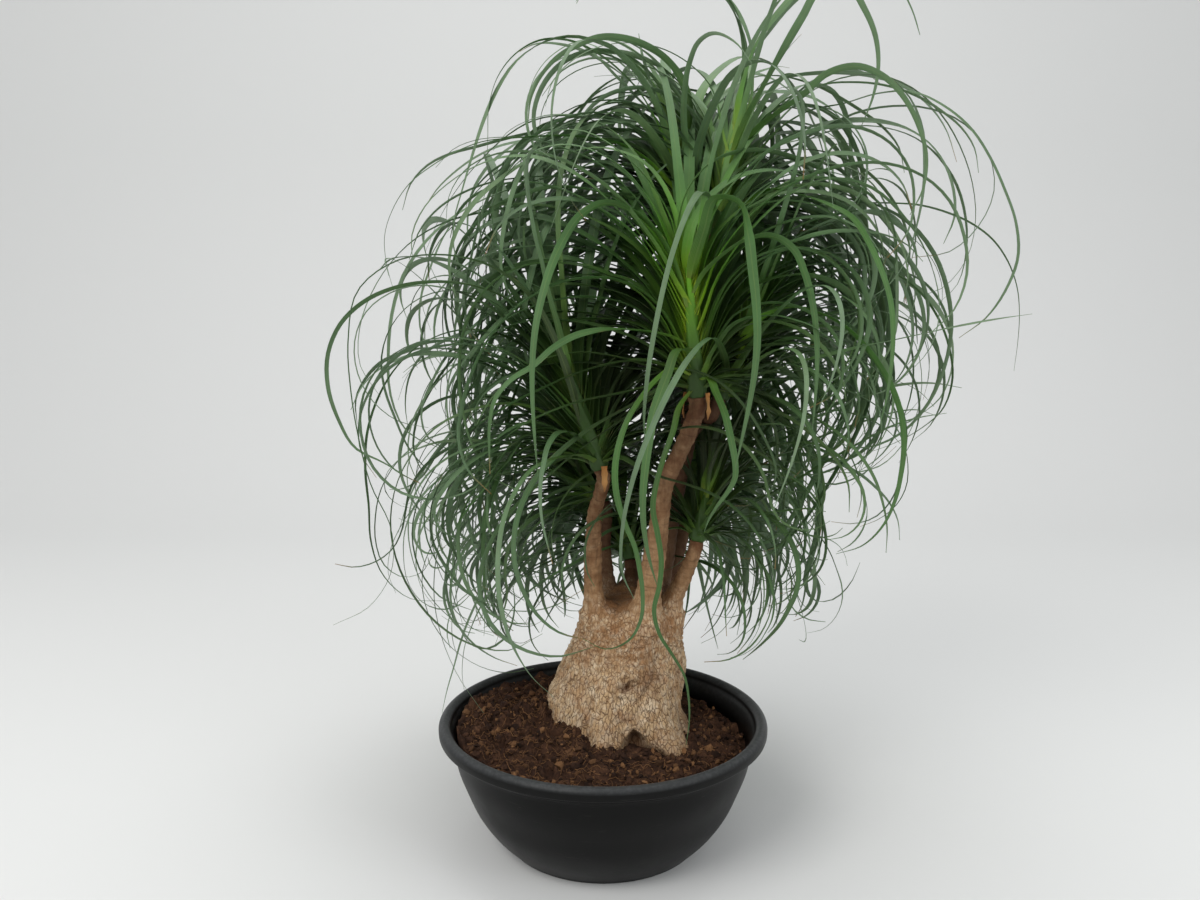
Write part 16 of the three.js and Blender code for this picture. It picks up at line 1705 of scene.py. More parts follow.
def foot():
    C, Rw = 400, 244
    V, A, Z = foot_base(C, Rw)
    N = grid_normals(V)
    # broad swellings and folds
    V = V + N * (0.0040 * fbm(V / 0.045, 3) + 0.0020 * fbm(V / 0.016 + 9, 3))[..., None]
    # the stems grow out of the foot in hollow curves
    bc, br = stem_beads()
    flat = V.reshape(-1, 3)
    ds = np.full(len(flat), 1.0)
    hi = np.where(flat[:, 2] > 0.20)[0]
    for a in range(0, len(hi), 8000):
        q = flat[hi[a:a + 8000]]
        ds[hi[a:a + 8000]] = (np.linalg.norm(q[:, None] - bc[None], axis=-1) - br[None]).min(1)
    ds = ds.reshape(Z.shape)
    h = np.clip(1 - np.abs(ds) / BLEND, 0, 1)
    up = N * 0.6 + np.array([0, 0, 0.6])
    V = V + up * (h * h * BLEND * 0.36)[..., None]
    # cleft between the two front toes, and shallower ones elsewhere
    for d0, w, zt, mm in ((-24, 6, 0.170, 5), (-140, 7, 0.165, 5), (150, 7, 0.16, 6), (85, 8, 0.16, 6), (-62, 4, 0.135, 2.5)):
        d = (A - d0 + 540) % 360 - 180
        d = d + 5 * fbm(V / 0.02 + d0, 2)
        V = V - N * (mm / 1000 * np.exp(-(d / w) ** 2) * (1 - smooth(0.116, zt, Z)))[..., None]
    # a notch like an upturned V between the two front toes
    d = np.abs((A + 76 + 540) % 360 - 180 + 2.0 * fbm(V / 0.012 + 17, 2))
    half = 12.5 * np.clip(0.153 - Z, 0.00002, 1) / 0.022
    notch = smooth(1.30, 0.20, d / half) * smooth(0.153, 0.140, Z)
    V = V - N * (0.021 * notch)[..., None]
    # upright folds on the flanks
    fold = np.abs(np.sin(np.radians(A) * 6.5 + 2.6 * fbm(V / 0.055 + 3, 2) + 0.6))
    V = V - N * (0.0022 * (1 - smooth(0.0, 0.4, fold)) * (1 - smooth(0.19, 0.25, Z)))[..., None]
    # a deep fold down the right side, behind the front toe
    d = A - (-17 + 7 * np.sin(Z * 1000 / 22))
    V = V - N * (0.006 * np.exp(-(d / 3.2) ** 2) * smooth(0.235, 0.20, Z))[..., None]
    # the hollow on the front and the scar rings round it
    c = np.array([0.029, -0.031, 0.2010])
    rel = (V - c) * np.array([0.85, 0.6, 1.15])
    d = np.linalg.norm(rel, axis=-1) + 0.0085 * fbm(V / 0.0085, 4)
    V = V - N * (0.0078 * np.exp(-(d / 0.0058) ** 2) - 0.0022 * np.exp(-((d - 0.0130) / 0.0044) ** 2) + 0.0010 * np.exp(-((d - 0.0205) / 0.003) ** 2))[..., None]
    # darker colour round the hollow and in a patch beside it
    stain_and_shade = np.exp(-(d / 0.0095) ** 2)
    c2 = np.array([0.060, -0.028, 0.2100])
    stain_and_shade = np.maximum(stain_and_shade, 0.75 * smooth(0.024, 0.004, np.linalg.norm((V - c2) * np.array([1, 0.5, 0.7]), axis=-1) + 0.007 * fbm(V / 0.009, 2)))
    # in the notch between the front toes, partly brown bark and partly painted shadow
    stain_and_shade = np.maximum(stain_and_shade, 0.75 * notch ** 1.5)
    # painted shade on the top of the dome, among the stems
    stain_and_shade = np.maximum(stain_and_shade, 0.85 * smooth(0.268, 0.279, Z))
    # wrinkles across the upper front
    wr = np.sin(Z * 1000 / 1.15 + 6.5 * fbm(V / 0.012 + 4, 3))
    zone = smooth(0.205, 0.230, Z) * smooth(0.278, 0.262, Z) * smooth(0.05, 0.45, fbm(V / 0.03 + 40, 2) + 0.35)
    V = V + N * (0.0013 * wr * zone)[..., None]
    Nf = grid_normals(V).reshape(-1, 3)
    flat = V.reshape(-1, 3)
    # bark plates: cells on the surface, taller than wide, warped
    rg = np.random.default_rng(5)
    w = flat + 0.0030 * np.stack([fbm(flat / 0.009 + o, 3) for o in (1.0, 31.0, 61.0)], -1) + 0.0008 * np.stack([fbm(flat / 0.0024 + o, 2) for o in (3.0, 33.0, 63.0)], -1)
    zf = flat[:, 2]
    q = w * np.array([1.0, 1.0, 0.24])
    pick = rg.permutation(len(flat))[:14000]
    pts = q[pick]
    keep = []
    grid = {}
    for p in pts:                                               # even spacing
        side = 0.0039 + 0.0012 * float(smooth(0.0, 0.05, p[0])) * float(smooth(0.02, -0.02, p[1]))
        key = tuple((p // 0.0066).astype(int))
        ok = True
        for dx in (-1, 0, 1):
            for dy in (-1, 0, 1):
                for dz in (-1, 0, 1):
                    for o in grid.get((key[0] + dx, key[1] + dy, key[2] + dz), ()):
                        if (o[0] - p[0]) ** 2 + (o[1] - p[1]) ** 2 + (o[2] - p[2]) ** 2 < side * side:
                            ok = False
        if ok:
            grid.setdefault(key, []).append(p)
            keep.append(p)
    seeds = np.array(keep)
    d1, d2, ix = cells(q, seeds)
    gap = d2 - d1
    wide = 0.00060 + 0.0005 * fbm(flat / 0.02 + 5, 2)
    plate = smooth(0.0, 1.0, gap / np.maximum(wide, 0.0004))
    tilt = rg.uniform(-1, 1, len(seeds))[ix]
    lean = rg.uniform(-1, 1, (len(seeds), 3))[ix]
    age = 1 - 0.55 * smooth(0.262, 0.285, zf)                   # the young bark on top is smoother
    # finer cracks inside the plates
    m1, m2, _ = cells(q, q[rg.permutation(len(flat))[:8000]])
    fine = smooth(0.0, 0.0011, m2 - m1)
    dome = smooth(0, 0.0045, gap)
    rise = 0.00065 * (plate - 1) + 0.00018 * tilt * plate + 0.0002 * (fine - 1) * plate + 0.0001 * dome
    rise = rise + 0.03 * ((q - seeds[ix]) * lean).sum(1) * plate + 0.0003 * fbm(flat / 0.0024, 3)
    ridge = 1 - np.abs(fbm(flat / np.array([0.0062, 0.0062, 0.030]) + 77, 3))        # upright wrinkles
    rise = rise + 0.0026 * (ridge - 0.75) * smooth(0.262, 0.236, zf)
    rise = rise * (0.12 + 0.88 * smooth(0.136, 0.168, zf))
    V = flat + Nf * (rise * age)[:, None]
    crack = np.clip(0.35 + 0.65 * plate * (0.6 + 0.4 * fine), 0, 1) * age + (1 - age) * 0.8
    F = grid_faces(Rw, C)
    n = len(V)
    V = np.vstack([V, V[:C].mean(0) - [0, 0, 0.002], V[-C:].mean(0)])
    k = np.arange(C)
    k2 = (k + 1) % C
    tri = np.vstack([np.stack([k2, k, np.full(C, n)], -1), np.stack([k + (Rw - 1) * C, k2 + (Rw - 1) * C, np.full(C, n + 1)], -1)])
    one = lambda x: np.r_[x.ravel(), 0.5, 0.5]
    return make_mesh("caudex_bark", V, [F, tri], attrs={"crack": ('FLOAT', one(crack)), "plate": ('FLOAT', one(0.5 + 0.5 * tilt)), "stain_and_shade": ('FLOAT', one(np.clip(stain_and_shade, 0, 1)))})


_fv, _, _ = foot_base(120, 90)
FOOT_TREE = kdtree.KDTree(_fv.shape[0] * _fv.shape[1])
for _i, _p in enumerate(_fv.reshape(-1, 3)):
    FOOT_TREE.insert(_p, _i)
FOOT_TREE.balance()


def tube(path, radii, seed, sides=48, step=0.0015, behind=0.0):
    """a stem: rings of old leaf scars, shallow cracks, slight bends, a foot that widens into the bark"""
    pts = np.asarray(path, float) / 1000
    key = np.r_[0, np.cumsum(np.linalg.norm(np.diff(pts, axis=0), axis=1))]
    _, L = curve_through(pts, 10)
    n = max(int(L / step), 8)
    P, L = curve_through(pts, n)
    s = np.linspace(0, 1, n)
    r = np.interp(s, key / key[-1], np.asarray(radii, float) / 1000)
    T = np.gradient(P, axis=0)
    T /= np.linalg.norm(T, axis=1, keepdims=True)
    X = np.zeros_like(P)
    x = np.array([1.0, 0, 0])
    for i in range(n):
        x = x - T[i] * (x @ T[i])
        x /= np.linalg.norm(x)
        X[i] = x
    Yv = np.cross(T, X)
    a = np.arange(sides) / sides * 2 * np.pi
    D = np.cos(a)[None, :, None] * X[:, None] + np.sin(a)[None, :, None] * Yv[:, None]
    z = s[:, None] * L * np.ones(sides)
    wob = z + 0.0016 * np.sin(a + seed) + 0.0009 * np.sin(2 * a + 3 * seed) + 0.0010 * fbm((P[:, None] + r[:, None, None] * D) / 0.008 + seed, 2)
    rg = np.random.default_rng(int(seed * 10) + 3)
    marks = np.cumsum(rg.uniform(0.0032, 0.0105, 400))
    deep = rg.uniform(0.15, 1.0, 400) ** 1.5
    j = np.clip(np.searchsorted(marks, wob), 1, 399)
    da, db = np.abs(wob - marks[j]), np.abs(wob - marks[j - 1])
    near = np.minimum(da, db)
    amt = np.where(da < db, deep[j], deep[j - 1])
    ring = 1 - (1 - smooth(0.0, 0.0012, near)) * amt
    R = r[:, None] * np.ones(sides)
    pos = P[:, None] + R[..., None] * D
    swell = 0.0011 * fbm(pos / 0.022 + seed, 2) + 0.0004 * np.sin(wob / 0.011 * 2 * np.pi + seed)
    # widening foot
    f = np.zeros_like(R)
    top_row = np.where(P[:, 2] < 0.36)[0]
    for i in top_row:
        for k in range(sides):
            f[i, k] = FOOT_TREE.find(pos[i, k])[2]
    h = np.zeros_like(R)
    h[top_row] = np.clip(1 - f[top_row] / BLEND, 0, 1)
    inside = P[:, 2] < 0.275
    h[inside] = np.maximum(h[inside], 0.85)
    tone = np.zeros_like(R)                                     # how far the pale bark runs up the stem
    tone[top_row] = np.clip(1 - f[top_row] / 0.040, 0, 1)
    tone[inside] = np.maximum(tone[inside], 0.9)
    R = R + swell + h * h * BLEND * 0.27
    pos = P[:, None] + R[..., None] * D
    R = R + 0.00040 * (ring - 1) + 0.00028 * fbm(pos / np.array([0.0025, 0.0025, 0.016]) + seed, 3)
    R = R + h * (0.0012 * fbm(pos / np.array([0.006, 0.006, 0.012]) + seed + 3, 3))
    groove = np.abs(np.sin(2.5 * a[None] + 2.5 * fbm(pos / 0.05 + seed, 2)))
    R = R - 0.00045 * (1 - smooth(0.1, 0.4, groove))
    pos = P[:, None] + R[..., None] * D
    V = np.vstack([pos.reshape(-1, 3), P[:1], P[-1:]])
    F = grid_faces(n, sides)
    k = np.arange(sides)
    k2 = (k + 1) % sides
    m = n * sides
    tri = np.vstack([np.stack([k2, k, np.full(sides, m)], -1), np.stack([k + (n - 1) * sides, k2 + (n - 1) * sides, np.full(sides, m + 1)], -1)])
    return V, F, tri, np.r_[ring.ravel(), 1, 1], np.r_[(s[:, None] * np.ones(sides)).ravel(), 0, 1], np.full(len(V), behind), np.r_[tone.ravel(), 1, 0]


def stem(name, rows, nodes, behind=0.0):
    Vs, Fs, Ts, rings, hs, bs, fs, o = [], [], [], [], [], [], [], 0
    for i, (path, radii) in enumerate(rows):
        V, F, T, ring, h, b, f = tube(path, radii, len(name) * 0.7 + i * 1.9, sides=40 if behind else 48, step=0.0021 if behind else 0.0015, behind=behind)
        Vs.append(V); Fs.append(F + o); Ts.append(T + o); rings.append(ring); hs.append(h); bs.append(b); fs.append(f)
        o += len(V)
    ob = make_mesh(name, np.vstack(Vs), [np.vstack(Fs), np.vstack(Ts)], attrs={"ring": ('FLOAT', np.concatenate(rings)), "height": ('FLOAT', np.concatenate(hs)), "shade": ('FLOAT', np.concatenate(bs)), "foot": ('FLOAT', np.concatenate(fs))})
    return finish_piece(ob, STEM, nodes)


finish_piece(foot(), BARK, ["caudex"])
for nm, rows in STEM_PATHS.items():
    stem(nm + "_bark", rows, [nm], 1.0 if "rear" in nm else 0.0)

# ------------------------------------------------------------------ soil


def soil_top(x, y):
    b = (np.sin(x * 1000 / 17 + 1.7) * np.cos(y * 1000 / 17 * 1.13 - 0.6) + 0.6 * np.sin((x + 1.4 * y) * 1000 / (17 * 0.61) + 2.1)
         + 0.4 * np.cos((1.9 * x - y) * 1000 / (17 * 0.43) + 0.4)) / 2
    z = np.minimum(0.127 - 0.075 * x + 0.03 * y, 0.1445) + 0.0022 * b
    # heaped against the left of the foot and at the left rim
    for cx, cy, wx, wy, up in ((-0.080, 0.025, 0.045, 0.070, 0.015), (-0.026, -0.030, 0.036, 0.034, 0.012), (-0.150, -0.010, 0.035, 0.100, 0.007),
                               (0.035, -0.070, 0.045, 0.024, 0.003), (-0.085, -0.115, 0.050, 0.035, 0.004), (0.105, -0.010, 0.030, 0.060, 0.004)):
        z = z + up * np.exp(-(((x - cx) / wx) ** 2 + ((y - cy) / wy) ** 2))
    p = np.stack([x, y, np.zeros_like(x)], -1)
    rough = 0.7 + 0.6 * smooth(0.02, -0.06, x)                  # the left side is the rougher one
    z = z + rough * (0.0056 * fbm(p / 0.026, 3) + 0.0088 * fbm(p / 0.012 + 7, 3) + 0.0056 * fbm(p / 0.0048 + 3, 3))
    return z


def soil():
    S, Rg = 340, 120
    a = np.arange(S) / S * 2 * np.pi
    edge = 0.1788
    sh = np.linspace(0.06, 1.0, Rg)
    R = sh[:, None] * edge * np.ones(S)
    R[-1] -= 0.0006
    X, Y = R * np.cos(a), R * np.sin(a)
    Z = soil_top(X, Y)
    r0 = np.hypot(X, Y)
    Z = Z - 0.0030 * smooth(0.93, 1.0, sh)[:, None] * smooth(-0.10, 0.0, X)      # sinks a little at the wall
    Z[-1] = np.minimum(Z[-1], 0.1505)
    top = np.stack([X, Y, Z], -1)
    rows = []
    for z in (0.105, 0.075, 0.045, 0.020, 0.0036):
        r = (wall_r(z) - WALL - 0.0016) if z > 0.01 else 0.1147
        rows.append(np.stack([r * np.cos(a), r * np.sin(a), np.full(S, z)], -1))
    V = np.vstack([top.reshape(-1, 3)] + rows)
    F = grid_faces(Rg + 5, S)[:, ::-1]
    n = len(V)
    V = np.vstack([V, [[0, 0, float(soil_top(np.array([0.0]), np.array([0.0]))[0])], [0, 0, 0.0036]]])
    k = np.arange(S)
    k2 = (k + 1) % S
    last = (Rg + 4) * S
    tri = np.vstack([np.stack([k, k2, np.full(S, n)], -1), np.stack([k2 + last, k + last, np.full(S, n + 1)], -1)])
    return make_mesh("potting_soil_surface", V, [F, tri])


def soil_bits():
    """crumbs, bark chips and root fibres lying on the soil, one mesh"""
    rg = np.random.default_rng(21)
    ico = []
    t = (1 + 5 ** 0.5) / 2
    base = np.array([(-1, t, 0), (1, t, 0), (-1, -t, 0), (1, -t, 0), (0, -1, t), (0, 1, t), (0, -1, -t), (0, 1, -t), (t, 0, -1), (t, 0, 1), (-t, 0, -1), (-t, 0, 1)], float)
    base /= np.linalg.norm(base[0])
    tris = np.array([(0, 11, 5), (0, 5, 1), (0, 1, 7), (0, 7, 10), (0, 10, 11), (1, 5, 9), (5, 11, 4), (11, 10, 2), (10, 7, 6), (7, 1, 8), (3, 9, 4), (3, 4, 2), (3, 2, 6), (3, 6, 8), (3, 8, 9), (4, 9, 5), (2, 4, 11), (6, 2, 10), (8, 6, 7), (9, 8, 1)])
    K = 3300
    ang = rg.uniform(0, 2 * np.pi, K)
    rad = np.sqrt(rg.uniform(0.04, 1.0, K)) * 0.1745
    x, y = rad * np.cos(ang), rad * np.sin(ang)
    size = 0.0009 + 0.0034 * rg.uniform(0, 1, K) ** 3
    far = np.hypot(x - 0.020, y - 0.038) > 0.083
    inside = (np.hypot(x, y) + size < 0.1765)
    ok = far & inside
    x, y, size = x[ok], y[ok], size[ok]
    K = len(x)
    sc = rg.uniform(0.55, 1.5, (K, 3))
    q = rg.normal(size=(K, 4))
    q /= np.linalg.norm(q, axis=1, keepdims=True)
    w, a, b, c = q.T
    Rm = np.stack([np.stack([1 - 2 * (b * b + c * c), 2 * (a * b - c * w), 2 * (a * c + b * w)], -1),
                   np.stack([2 * (a * b + c * w), 1 - 2 * (a * a + c * c), 2 * (b * c - a * w)], -1),
                   np.stack([2 * (a * c - b * w), 2 * (b * c + a * w), 1 - 2 * (a * a + b * b)], -1)], 1)
    jit = 1 + 0.35 * rg.uniform(-1, 1, (K, 12, 1))
    V = np.einsum('kij,kvj->kvi', Rm, base[None] * jit * sc[:, None] * size[:, None, None])
    z = soil_top(x, y) + size * 0.35
    V = V + np.stack([x, y, z], -1)[:, None]
    tint = rg.uniform(0, 1, K) ** 1.3
    verts = [V.reshape(-1, 3)]
    faces = [(tris[None] + 12 * np.arange(K)[:, None, None]).reshape(-1, 3)]
    tints = [np.repeat(tint, 12)]
    o = K * 12
    quads = []
    # fibres: thin bent roots and straw
    for i in range(1500):
        ang, rad = rg.uniform(0, 2 * np.pi), math.sqrt(rg.uniform(0.05, 1)) * 0.171
        if math.cos(ang - math.radians(215)) < rg.uniform(-1.1, 0.7):
            continue
        x0, y0 = rad * math.cos(ang), rad * math.sin(ang)
        if math.hypot(x0 - 0.02, y0 - 0.038) < 0.09:
            continue
        L = rg.uniform(0.006, 0.026)
        n = 8
        h = rg.uniform(0, 2 * np.pi)
        turn = rg.normal(0, 0.35, n).cumsum()
        d = np.stack([np.cos(h + turn), np.sin(h + turn)], -1) * L / n
        xy = np.array([x0, y0]) + np.vstack([[0, 0], d.cumsum(0)[:-1]])
        if (np.hypot(xy[:, 0], xy[:, 1]) > 0.1725).any() or (np.hypot(xy[:, 0] - 0.02, xy[:, 1] - 0.038) < 0.086).any():
            continue
        zz = soil_top(xy[:, 0], xy[:, 1]) + 0.0012 + 0.0028 * np.sin(np.linspace(0, np.pi, n)) * rg.uniform(0.1, 1)
        zz = np.maximum(zz, zz.mean() - 0.001)
        Pf = np.column_stack([xy, zz])
        T = np.gradient(Pf, axis=0)
        T /= np.linalg.norm(T, axis=1, keepdims=True)
        Bx = np.cross(T, [0, 0, 1.0])
        Bx /= np.linalg.norm(Bx, axis=1, keepdims=True)
        Nz = np.cross(Bx, T)
        rr = rg.uniform(0.00022, 0.0006) * np.linspace(1, 0.45, n)
        ringa = np.arange(4) / 4 * 2 * np.pi
        tv = Pf[:, None] + rr[:, None, None] * (np.cos(ringa)[None, :, None] * Bx[:, None] + np.sin(ringa)[None, :, None] * Nz[:, None])
        verts.append(tv.reshape(-1, 3))
        quads.append(grid_faces(n, 4, offset=o))
        quads.append(np.array([[3, 2, 1, 0], [0 + (n - 1) * 4, 1 + (n - 1) * 4, 2 + (n - 1) * 4, 3 + (n - 1) * 4]]) + o)
        tints.append(np.full(n * 4, rg.uniform(0.55, 1.0)))
        o += n * 4
    return make_mesh("soil_crumbs", np.vstack(verts), [np.vstack(faces), np.vstack(quads)], attrs={"tint": ('FLOAT', np.concatenate(tints))}, smooth_shade=False)


finish_piece(soil(), SOIL, ["potting_soil"])
finish_piece(soil_bits(), CRUMBS, ())

# ------------------------------------------------------------------ leaves
WIDTH_AT = [0, .04, .10, .2, .35, .55, .75, .9, 1]
WIDTH_SHARE = [1.3, 1.38, 1.2, 1.04, .93, .76, .53, .28, .05]
LONG_SHARE = [1.1, 1.18, 1.1, 1.0, .93, .76, .53, .29, .05]


def blade_frames(P, axis):
    """for paths P (K, n, 3): across and upper-face directions; a blade lies level where it arches"""
    K, n, _ = P.shape
    T = np.gradient(P, axis=1)
    T /= np.linalg.norm(T, axis=-1, keepdims=True)
    b = np.cross(np.broadcast_to(axis, (K, 3)), T[:, 1])
    b /= np.linalg.norm(b, axis=1, keepdims=True) + 1e-9
    B = np.empty_like(P)
    for i in range(n):
        lv = np.cross(np.array([0, 0, 1.0]), T[:, i])
        f = np.linalg.norm(lv, axis=1, keepdims=True)
        lv = lv / (f + 1e-9)
        lv = lv * np.where(np.sum(lv * b, 1, keepdims=True) >= 0, 1, -1)
        b = b + 0.14 * (lv - b) * (f > 0.25)
        b = b - T[:, i] * np.sum(b * T[:, i], 1, keepdims=True)
        b = b / (np.linalg.norm(b, axis=1, keepdims=True) + 1e-9)
        B[:, i] = b
    N = np.cross(T, B)
    # the upper face is the outer side of the arch
    up = np.sign((N[:, :n // 2, 2]).sum(1))[:, None, None]
    up = np.where(up == 0, 1, up)
    return B * up, N * up


def strips(P, B, N, W, age, rnd, wav, thick=0.00055):
    """closed thin channelled blades: P, B, N (K, n, 3), W (K, n)"""
    K, n = W.shape
    s = np.linspace(0, 1, n)
    T = np.gradient(P, axis=1)
    T /= np.linalg.norm(T, axis=-1, keepdims=True)
    B = B - T * np.sum(B * T, -1, keepdims=True)
    B /= np.linalg.norm(B, axis=-1, keepdims=True)
    N = np.cross(T, B)
    # the blade rocks a little along its length
    ang = (wav[:, :1] * np.sin(2 * np.pi * (s[None] * wav[:, 1:2] + wav[:, 2:3])) * smooth(0.05, 0.4, s)[None])[..., None]
    B, N = B * np.cos(ang) + N * np.sin(ang), N * np.cos(ang) - B * np.sin(ang)
    w = W[..., None]
    ch = w * (0.10 + 0.16 * (1 - smooth(0.0, 0.25, s)))[None, :, None]
    th = thick * (0.5 + 0.5 * (1 - s))[None, :, None]
    ring = np.stack([P - 0.5 * w * B + ch * N, P, P + 0.5 * w * B + ch * N,
                     P + 0.5 * w * B + (ch - 0.4 * th) * N, P - th * N, P - 0.5 * w * B + (ch - 0.4 * th) * N], 2)   # K, n, 6, 3
    V = ring.reshape(-1, 3)
    one = grid_faces(n, 6)
    caps = np.array([[0, 1, 4, 5], [1, 2, 3, 4]])
    caps = np.vstack([caps, caps[:, ::-1] + (n - 1) * 6])
    F1 = np.vstack([one, caps])
    # outward check on the first blade
    q = V[:n * 6][F1]
    vol = np.einsum('ij,ij->i', q[:, 0], np.cross(q[:, 1], q[:, 2])).sum() + np.einsum('ij,ij->i', q[:, 0], np.cross(q[:, 2], q[:, 3])).sum()
    if vol < 0:
        F1 = F1[:, ::-1]
    F = (F1[None] + (n * 6) * np.arange(K)[:, None, None]).reshape(-1, 4)
    data = np.zeros((K, n, 6, 3))
    data[..., 0] = s[None, :, None]
    data[..., 1] = age[:, None, None]
    data[..., 2] = rnd[:, None, None]
    across = np.broadcast_to(np.array([0, .5, 1, 1, .5, 0.0]), (K, n, 6))
    return V, F, data.reshape(-1, 3), across.reshape(-1)


def widths(n, W, share=WIDTH_SHARE):
    s = np.linspace(0, 1, n)
    return np.maximum(np.interp(s, WIDTH_AT, share)[None] * np.asarray(W)[:, None], 0.0007)


def core(base, tip):
    """the bundle of clasping leaf bases"""
    base, tip = np.asarray(base, float), np.asarray(tip, float)
    a = tip - base
    L = np.linalg.norm(a)
    a /= L
    e1 = np.array([1.0, 0, 0])
    e1 = e1 - a * (e1 @ a)
    e1 /= np.linalg.norm(e1)
    e2 = np.cross(a, e1)
    n, S = 26, 30
    s = np.linspace(0, 1, n)
    r = np.interp(s, [0, .04, .35, .7, 1], [.0096, .0112, .0088, .0060, .0030])
    g = np.arange(S) / S * 2 * np.pi
    lap = 1 + 0.10 * np.sin(5 * g[None] + 14 * s[:, None])       # overlapping bases
    P = base + (s[:, None, None] * L) * a + (r[:, None] * lap)[..., None] * (np.cos(g)[None, :, None] * e1 + np.sin(g)[None, :, None] * e2)
    V = np.vstack([P.reshape(-1, 3), base, tip])
    F = grid_faces(n, S)
    k = np.arange(S)
    k2 = (k + 1) % S
    m = n * S
    # caps as flat quads with a doubled corner are avoided: triangles
    tri = np.vstack([np.stack([k2, k, np.full(S, m)], -1), np.stack([k + (n - 1) * S, k2 + (n - 1) * S, np.full(S, m + 1)], -1)])
    data = np.zeros((len(V), 3))
    data[:, 0] = 0.11
    data[:m, 1] = np.repeat(1 - s, S)
    data[:, 2] = 0.4
    return V, F, tri, data, np.full(len(V), 0.3)


# how bright and yellow the youngest leaves of each crown are; the lower values on the crowns that stand in shade are
# painted shade
HEART = {"front": 1.0, "top_right": 0.9, "top_left": 0.85, "right": 0.7, "right_low": 0.55, "left": 0.15, "rear_left": 0.3, "rear": 0.4, "rear_right": 0.4}
FRONT = np.array([-0.06, -0.99, 0.12])     # long blades hang with their face toward the front
SEG = 40
for name, row in CROWNS.items():
    rows = row["leaves"]
    rg = np.random.default_rng(len(name) * 13 + 5)
    K = len(rows)
    ax = np.asarray(row["tip"], float) - np.asarray(row["base"], float)
    ax /= np.linalg.norm(ax)
    pts = np.stack([curve_through(np.array(r[3], float).reshape(-1, 3) / 1000, SEG)[0] for r in rows])
    b, n = blade_frames(pts, ax)
    tw = (np.array([r[2] for r in rows])[:, None] * smooth(0.12, 1.0, np.linspace(0, 1, SEG))[None])[..., None]
    b, n = b * np.cos(tw) + n * np.sin(tw), n * np.cos(tw) - b * np.sin(tw)
    wav = np.stack([rg.uniform(0.05, 0.40, K), rg.uniform(0.6, 2.2, K), rg.uniform(0, 1, K)], -1)
    V, F, data, across = strips(pts, b, n, widths(SEG, [r[1] * 0.90 / 1000 for r in rows]), 1 - HEART[name] * np.array([r[0] for r in rows]), rg.uniform(0, 1, K), wav)
    Vc, Fc, Tc, Dc, Ac = core(row["base"], row["tip"])
    Dc[:, 1] = 1 - HEART[name] * (1 - Dc[:, 1])
    o = len(V)
    ob = make_mesh("crown_%s_leaves" % name, np.vstack([V, Vc]), [np.vstack([F, Fc + o]), Tc + o],
                   attrs={"leaf": ('FLOAT_COLOR', np.vstack([data, Dc])), "across": ('FLOAT', np.r_[across, Ac])}, sharp=55)
    finish_piece(ob, GREEN, ["crown_" + name])


def long_leaf(name, crown, width, face, path, seed):
    n = 64
    P, L = curve_through(np.asarray(path, float) / 1000, n)
    ax = np.asarray(CROWNS[crown]["tip"], float) - np.asarray(CROWNS[crown]["base"], float)
    ax /= np.linalg.norm(ax)
    T = np.gradient(P, axis=0)
    T /= np.linalg.norm(T, axis=1, keepdims=True)
    b = np.cross(ax, T[0])
    b /= np.linalg.norm(b)
    B = []
    for i in range(n):
        lv = np.cross([0, 0, 1.0], T[i])
        f = np.linalg.norm(lv)
        if f > 0.25:
            lv /= f
            b = b + 0.12 * ((lv if lv @ b >= 0 else -lv) - b)
        fr = np.cross(T[i], FRONT)
        f = np.linalg.norm(fr)
        if f > 0.3 and face > 0:
            fr /= f
            b = b + 0.25 * face * smooth(0.18, 0.42, i / n) * ((fr if fr @ b >= 0 else -fr) - b)
        b = b - T[i] * (b @ T[i])
        b /= np.linalg.norm(b)
        B.append(b)
    B = np.array(B)
    N = np.cross(T, B)
    W = widths(n, [width / 1000], LONG_SHARE) * np.minimum(1, 0.55 + 6 * np.linspace(0, 1, n))[None]
    rg = np.random.default_rng(seed)
    # age 0.95 on the blades of the left and rear crowns gives them the old leaf colour and the painted shade on their
    # lower half
    V, F, data, across = strips(P[None], B[None], N[None], W, np.array([0.95 if crown in ("left", "rear_left", "rear_right") else rg.uniform(0.30, 0.75)]), rg.uniform(0.25, 0.8, 1), np.array([[rg.uniform(0.05, 0.25), 1.1, rg.uniform(0, 1)]]))
    ob = make_mesh(name + "_blade", V, F, attrs={"leaf": ('FLOAT_COLOR', data), "across": ('FLOAT', across)}, sharp=55)
    finish_piece(ob, LONG, [name])


for i, (name, row) in enumerate(LONG_LEAVES.items()):
    long_leaf(name, row["crown"], row["width"], row["face"], row["path"], 100 + i)

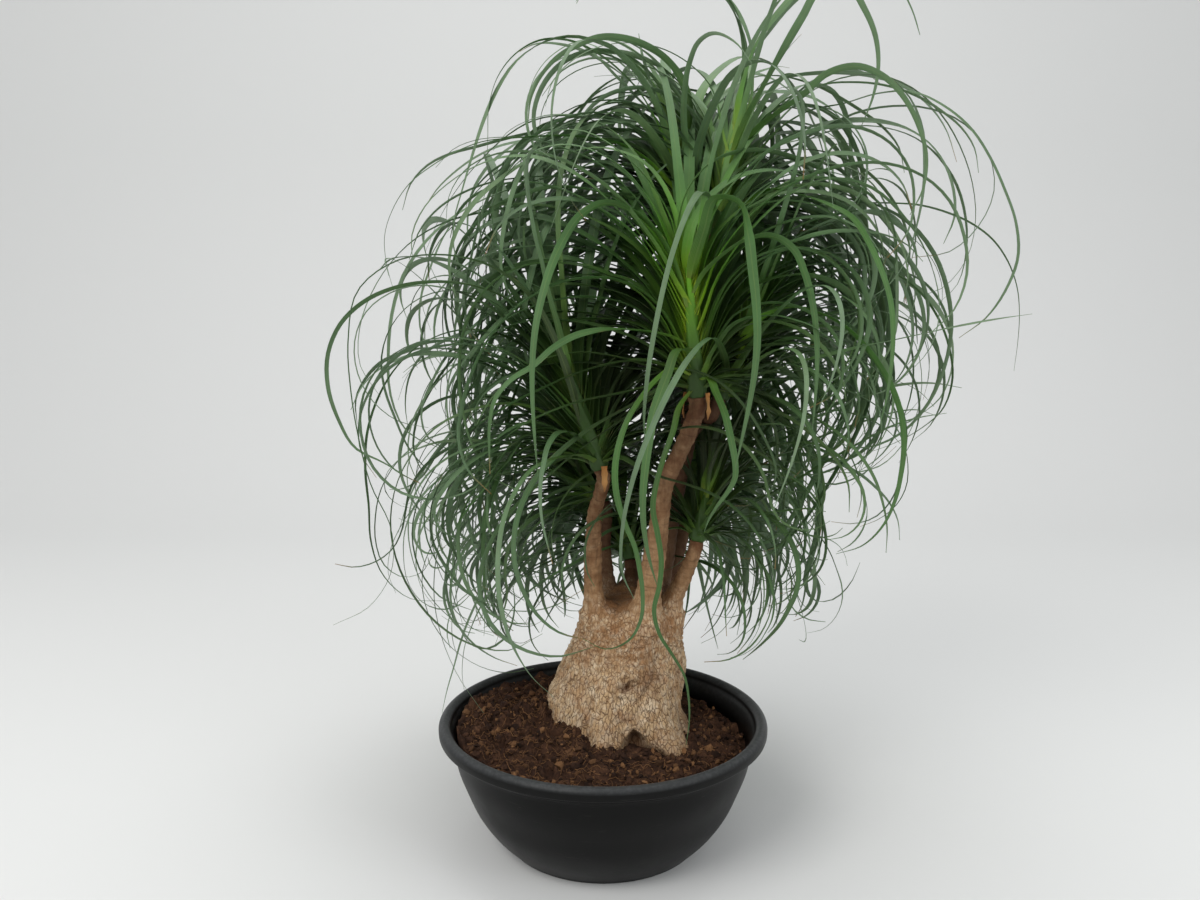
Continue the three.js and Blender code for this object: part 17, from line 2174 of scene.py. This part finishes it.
# dry remains of old leaf bases at the neck of two crowns
for i, (name, crown, deg) in enumerate((("dry_scrap_front_1", "front", 160), ("dry_scrap_front_2", "front", 320), ("dry_scrap_left_1", "left", 290))):
    base = np.asarray(CROWNS[crown]["base"], float)
    a = math.radians(deg)
    out = np.array([math.cos(a), math.sin(a), 0.0])
    rows = np.array([[12.6, 4], [14.2, -2], [15.0, -8], [15.8, -15], [15.6, -21], [15.0, -26]]) / 1000
    P, _ = curve_through(np.array([base + out * r + np.array([0, 0, z]) for r, z in rows]), 26)
    T = np.gradient(P, axis=0)
    T /= np.linalg.norm(T, axis=1, keepdims=True)
    B = np.tile(np.array([-math.sin(a), math.cos(a), 0.0]), (26, 1))
    N = np.cross(T, B)
    s = np.linspace(0, 1, 26)
    W = (0.0080 * np.interp(s, [0, .3, .7, 1], [0.9, 1, .75, .2]) * (1 + 0.12 * np.sin(s * 19 + i)))[None]
    V, F, data, across = strips(P[None], B[None], N[None], W, np.array([1.0]), np.array([0.5]), np.array([[0.3, 1.4, 0.2 * i]]), thick=0.0009)
    ob = make_mesh(name + "_husk", V, F, attrs={"leaf": ('FLOAT_COLOR', data), "across": ('FLOAT', across)}, sharp=55)
    finish_piece(ob, DRY, [name])


# ------------------------------------------------------------------ floor and light
def backdrop():
    S = 48
    prof = [(-3.2, 0.0), (1.6, 0.0)]
    for i in range(1, 13):
        t = i / 12 * math.pi / 2
        prof.append((1.6 + 1.2 * math.sin(t), 1.2 - 1.2 * math.cos(t)))
    prof.append((2.8, 4.5))
    V = []
    for x in (-5.0, 5.0):
        V += [(x, y, z) for y, z in prof]
    n = len(prof)
    F = [(i, n + i, n + i + 1, i + 1) for i in range(n - 1)]
    ob = make_mesh("studio_floor", np.array(V), np.array(F))
    M = Mat("studio_floor")
    M.p.inputs["Base Color"].default_value = (*lin(222, 223, 222), 1)
    M.p.inputs["Roughness"].default_value = 0.9
    M.p.inputs["Specular IOR Level"].default_value = 0.1
    ob.data.materials.append(M.m)


backdrop()


def area(name, loc, target, size, power, colour=(1, 1, 1)):
    d = bpy.data.lights.new(name, 'AREA')
    d.shape = 'RECTANGLE'
    d.size, d.size_y = size
    d.energy = power
    d.color = colour
    o = bpy.data.objects.new(name, d)
    scene.collection.objects.link(o)
    o.location = loc
    o.rotation_euler = (Vector(target) - Vector(loc)).to_track_quat('-Z', 'Y').to_euler()


area("key", (-1.6, -1.9, 2.6), (0, 0, 0.55), (1.8, 1.8), 49, (1.0, 0.985, 0.96))
area("fill", (2.2, -1.6, 1.6), (0, 0, 0.5), (1.6, 1.6), 17, (0.95, 0.98, 1.0))
area("top", (0.2, 0.5, 3.2), (0, 0.1, 0.3), (2.2, 2.2), 30)
world = bpy.data.worlds.new("studio")
scene.world = world
world.use_nodes = True
bg = world.node_tree.nodes["Background"]
bg.inputs["Color"].default_value = (0.985, 0.99, 1.0, 1)
bg.inputs["Strength"].default_value = 0.62
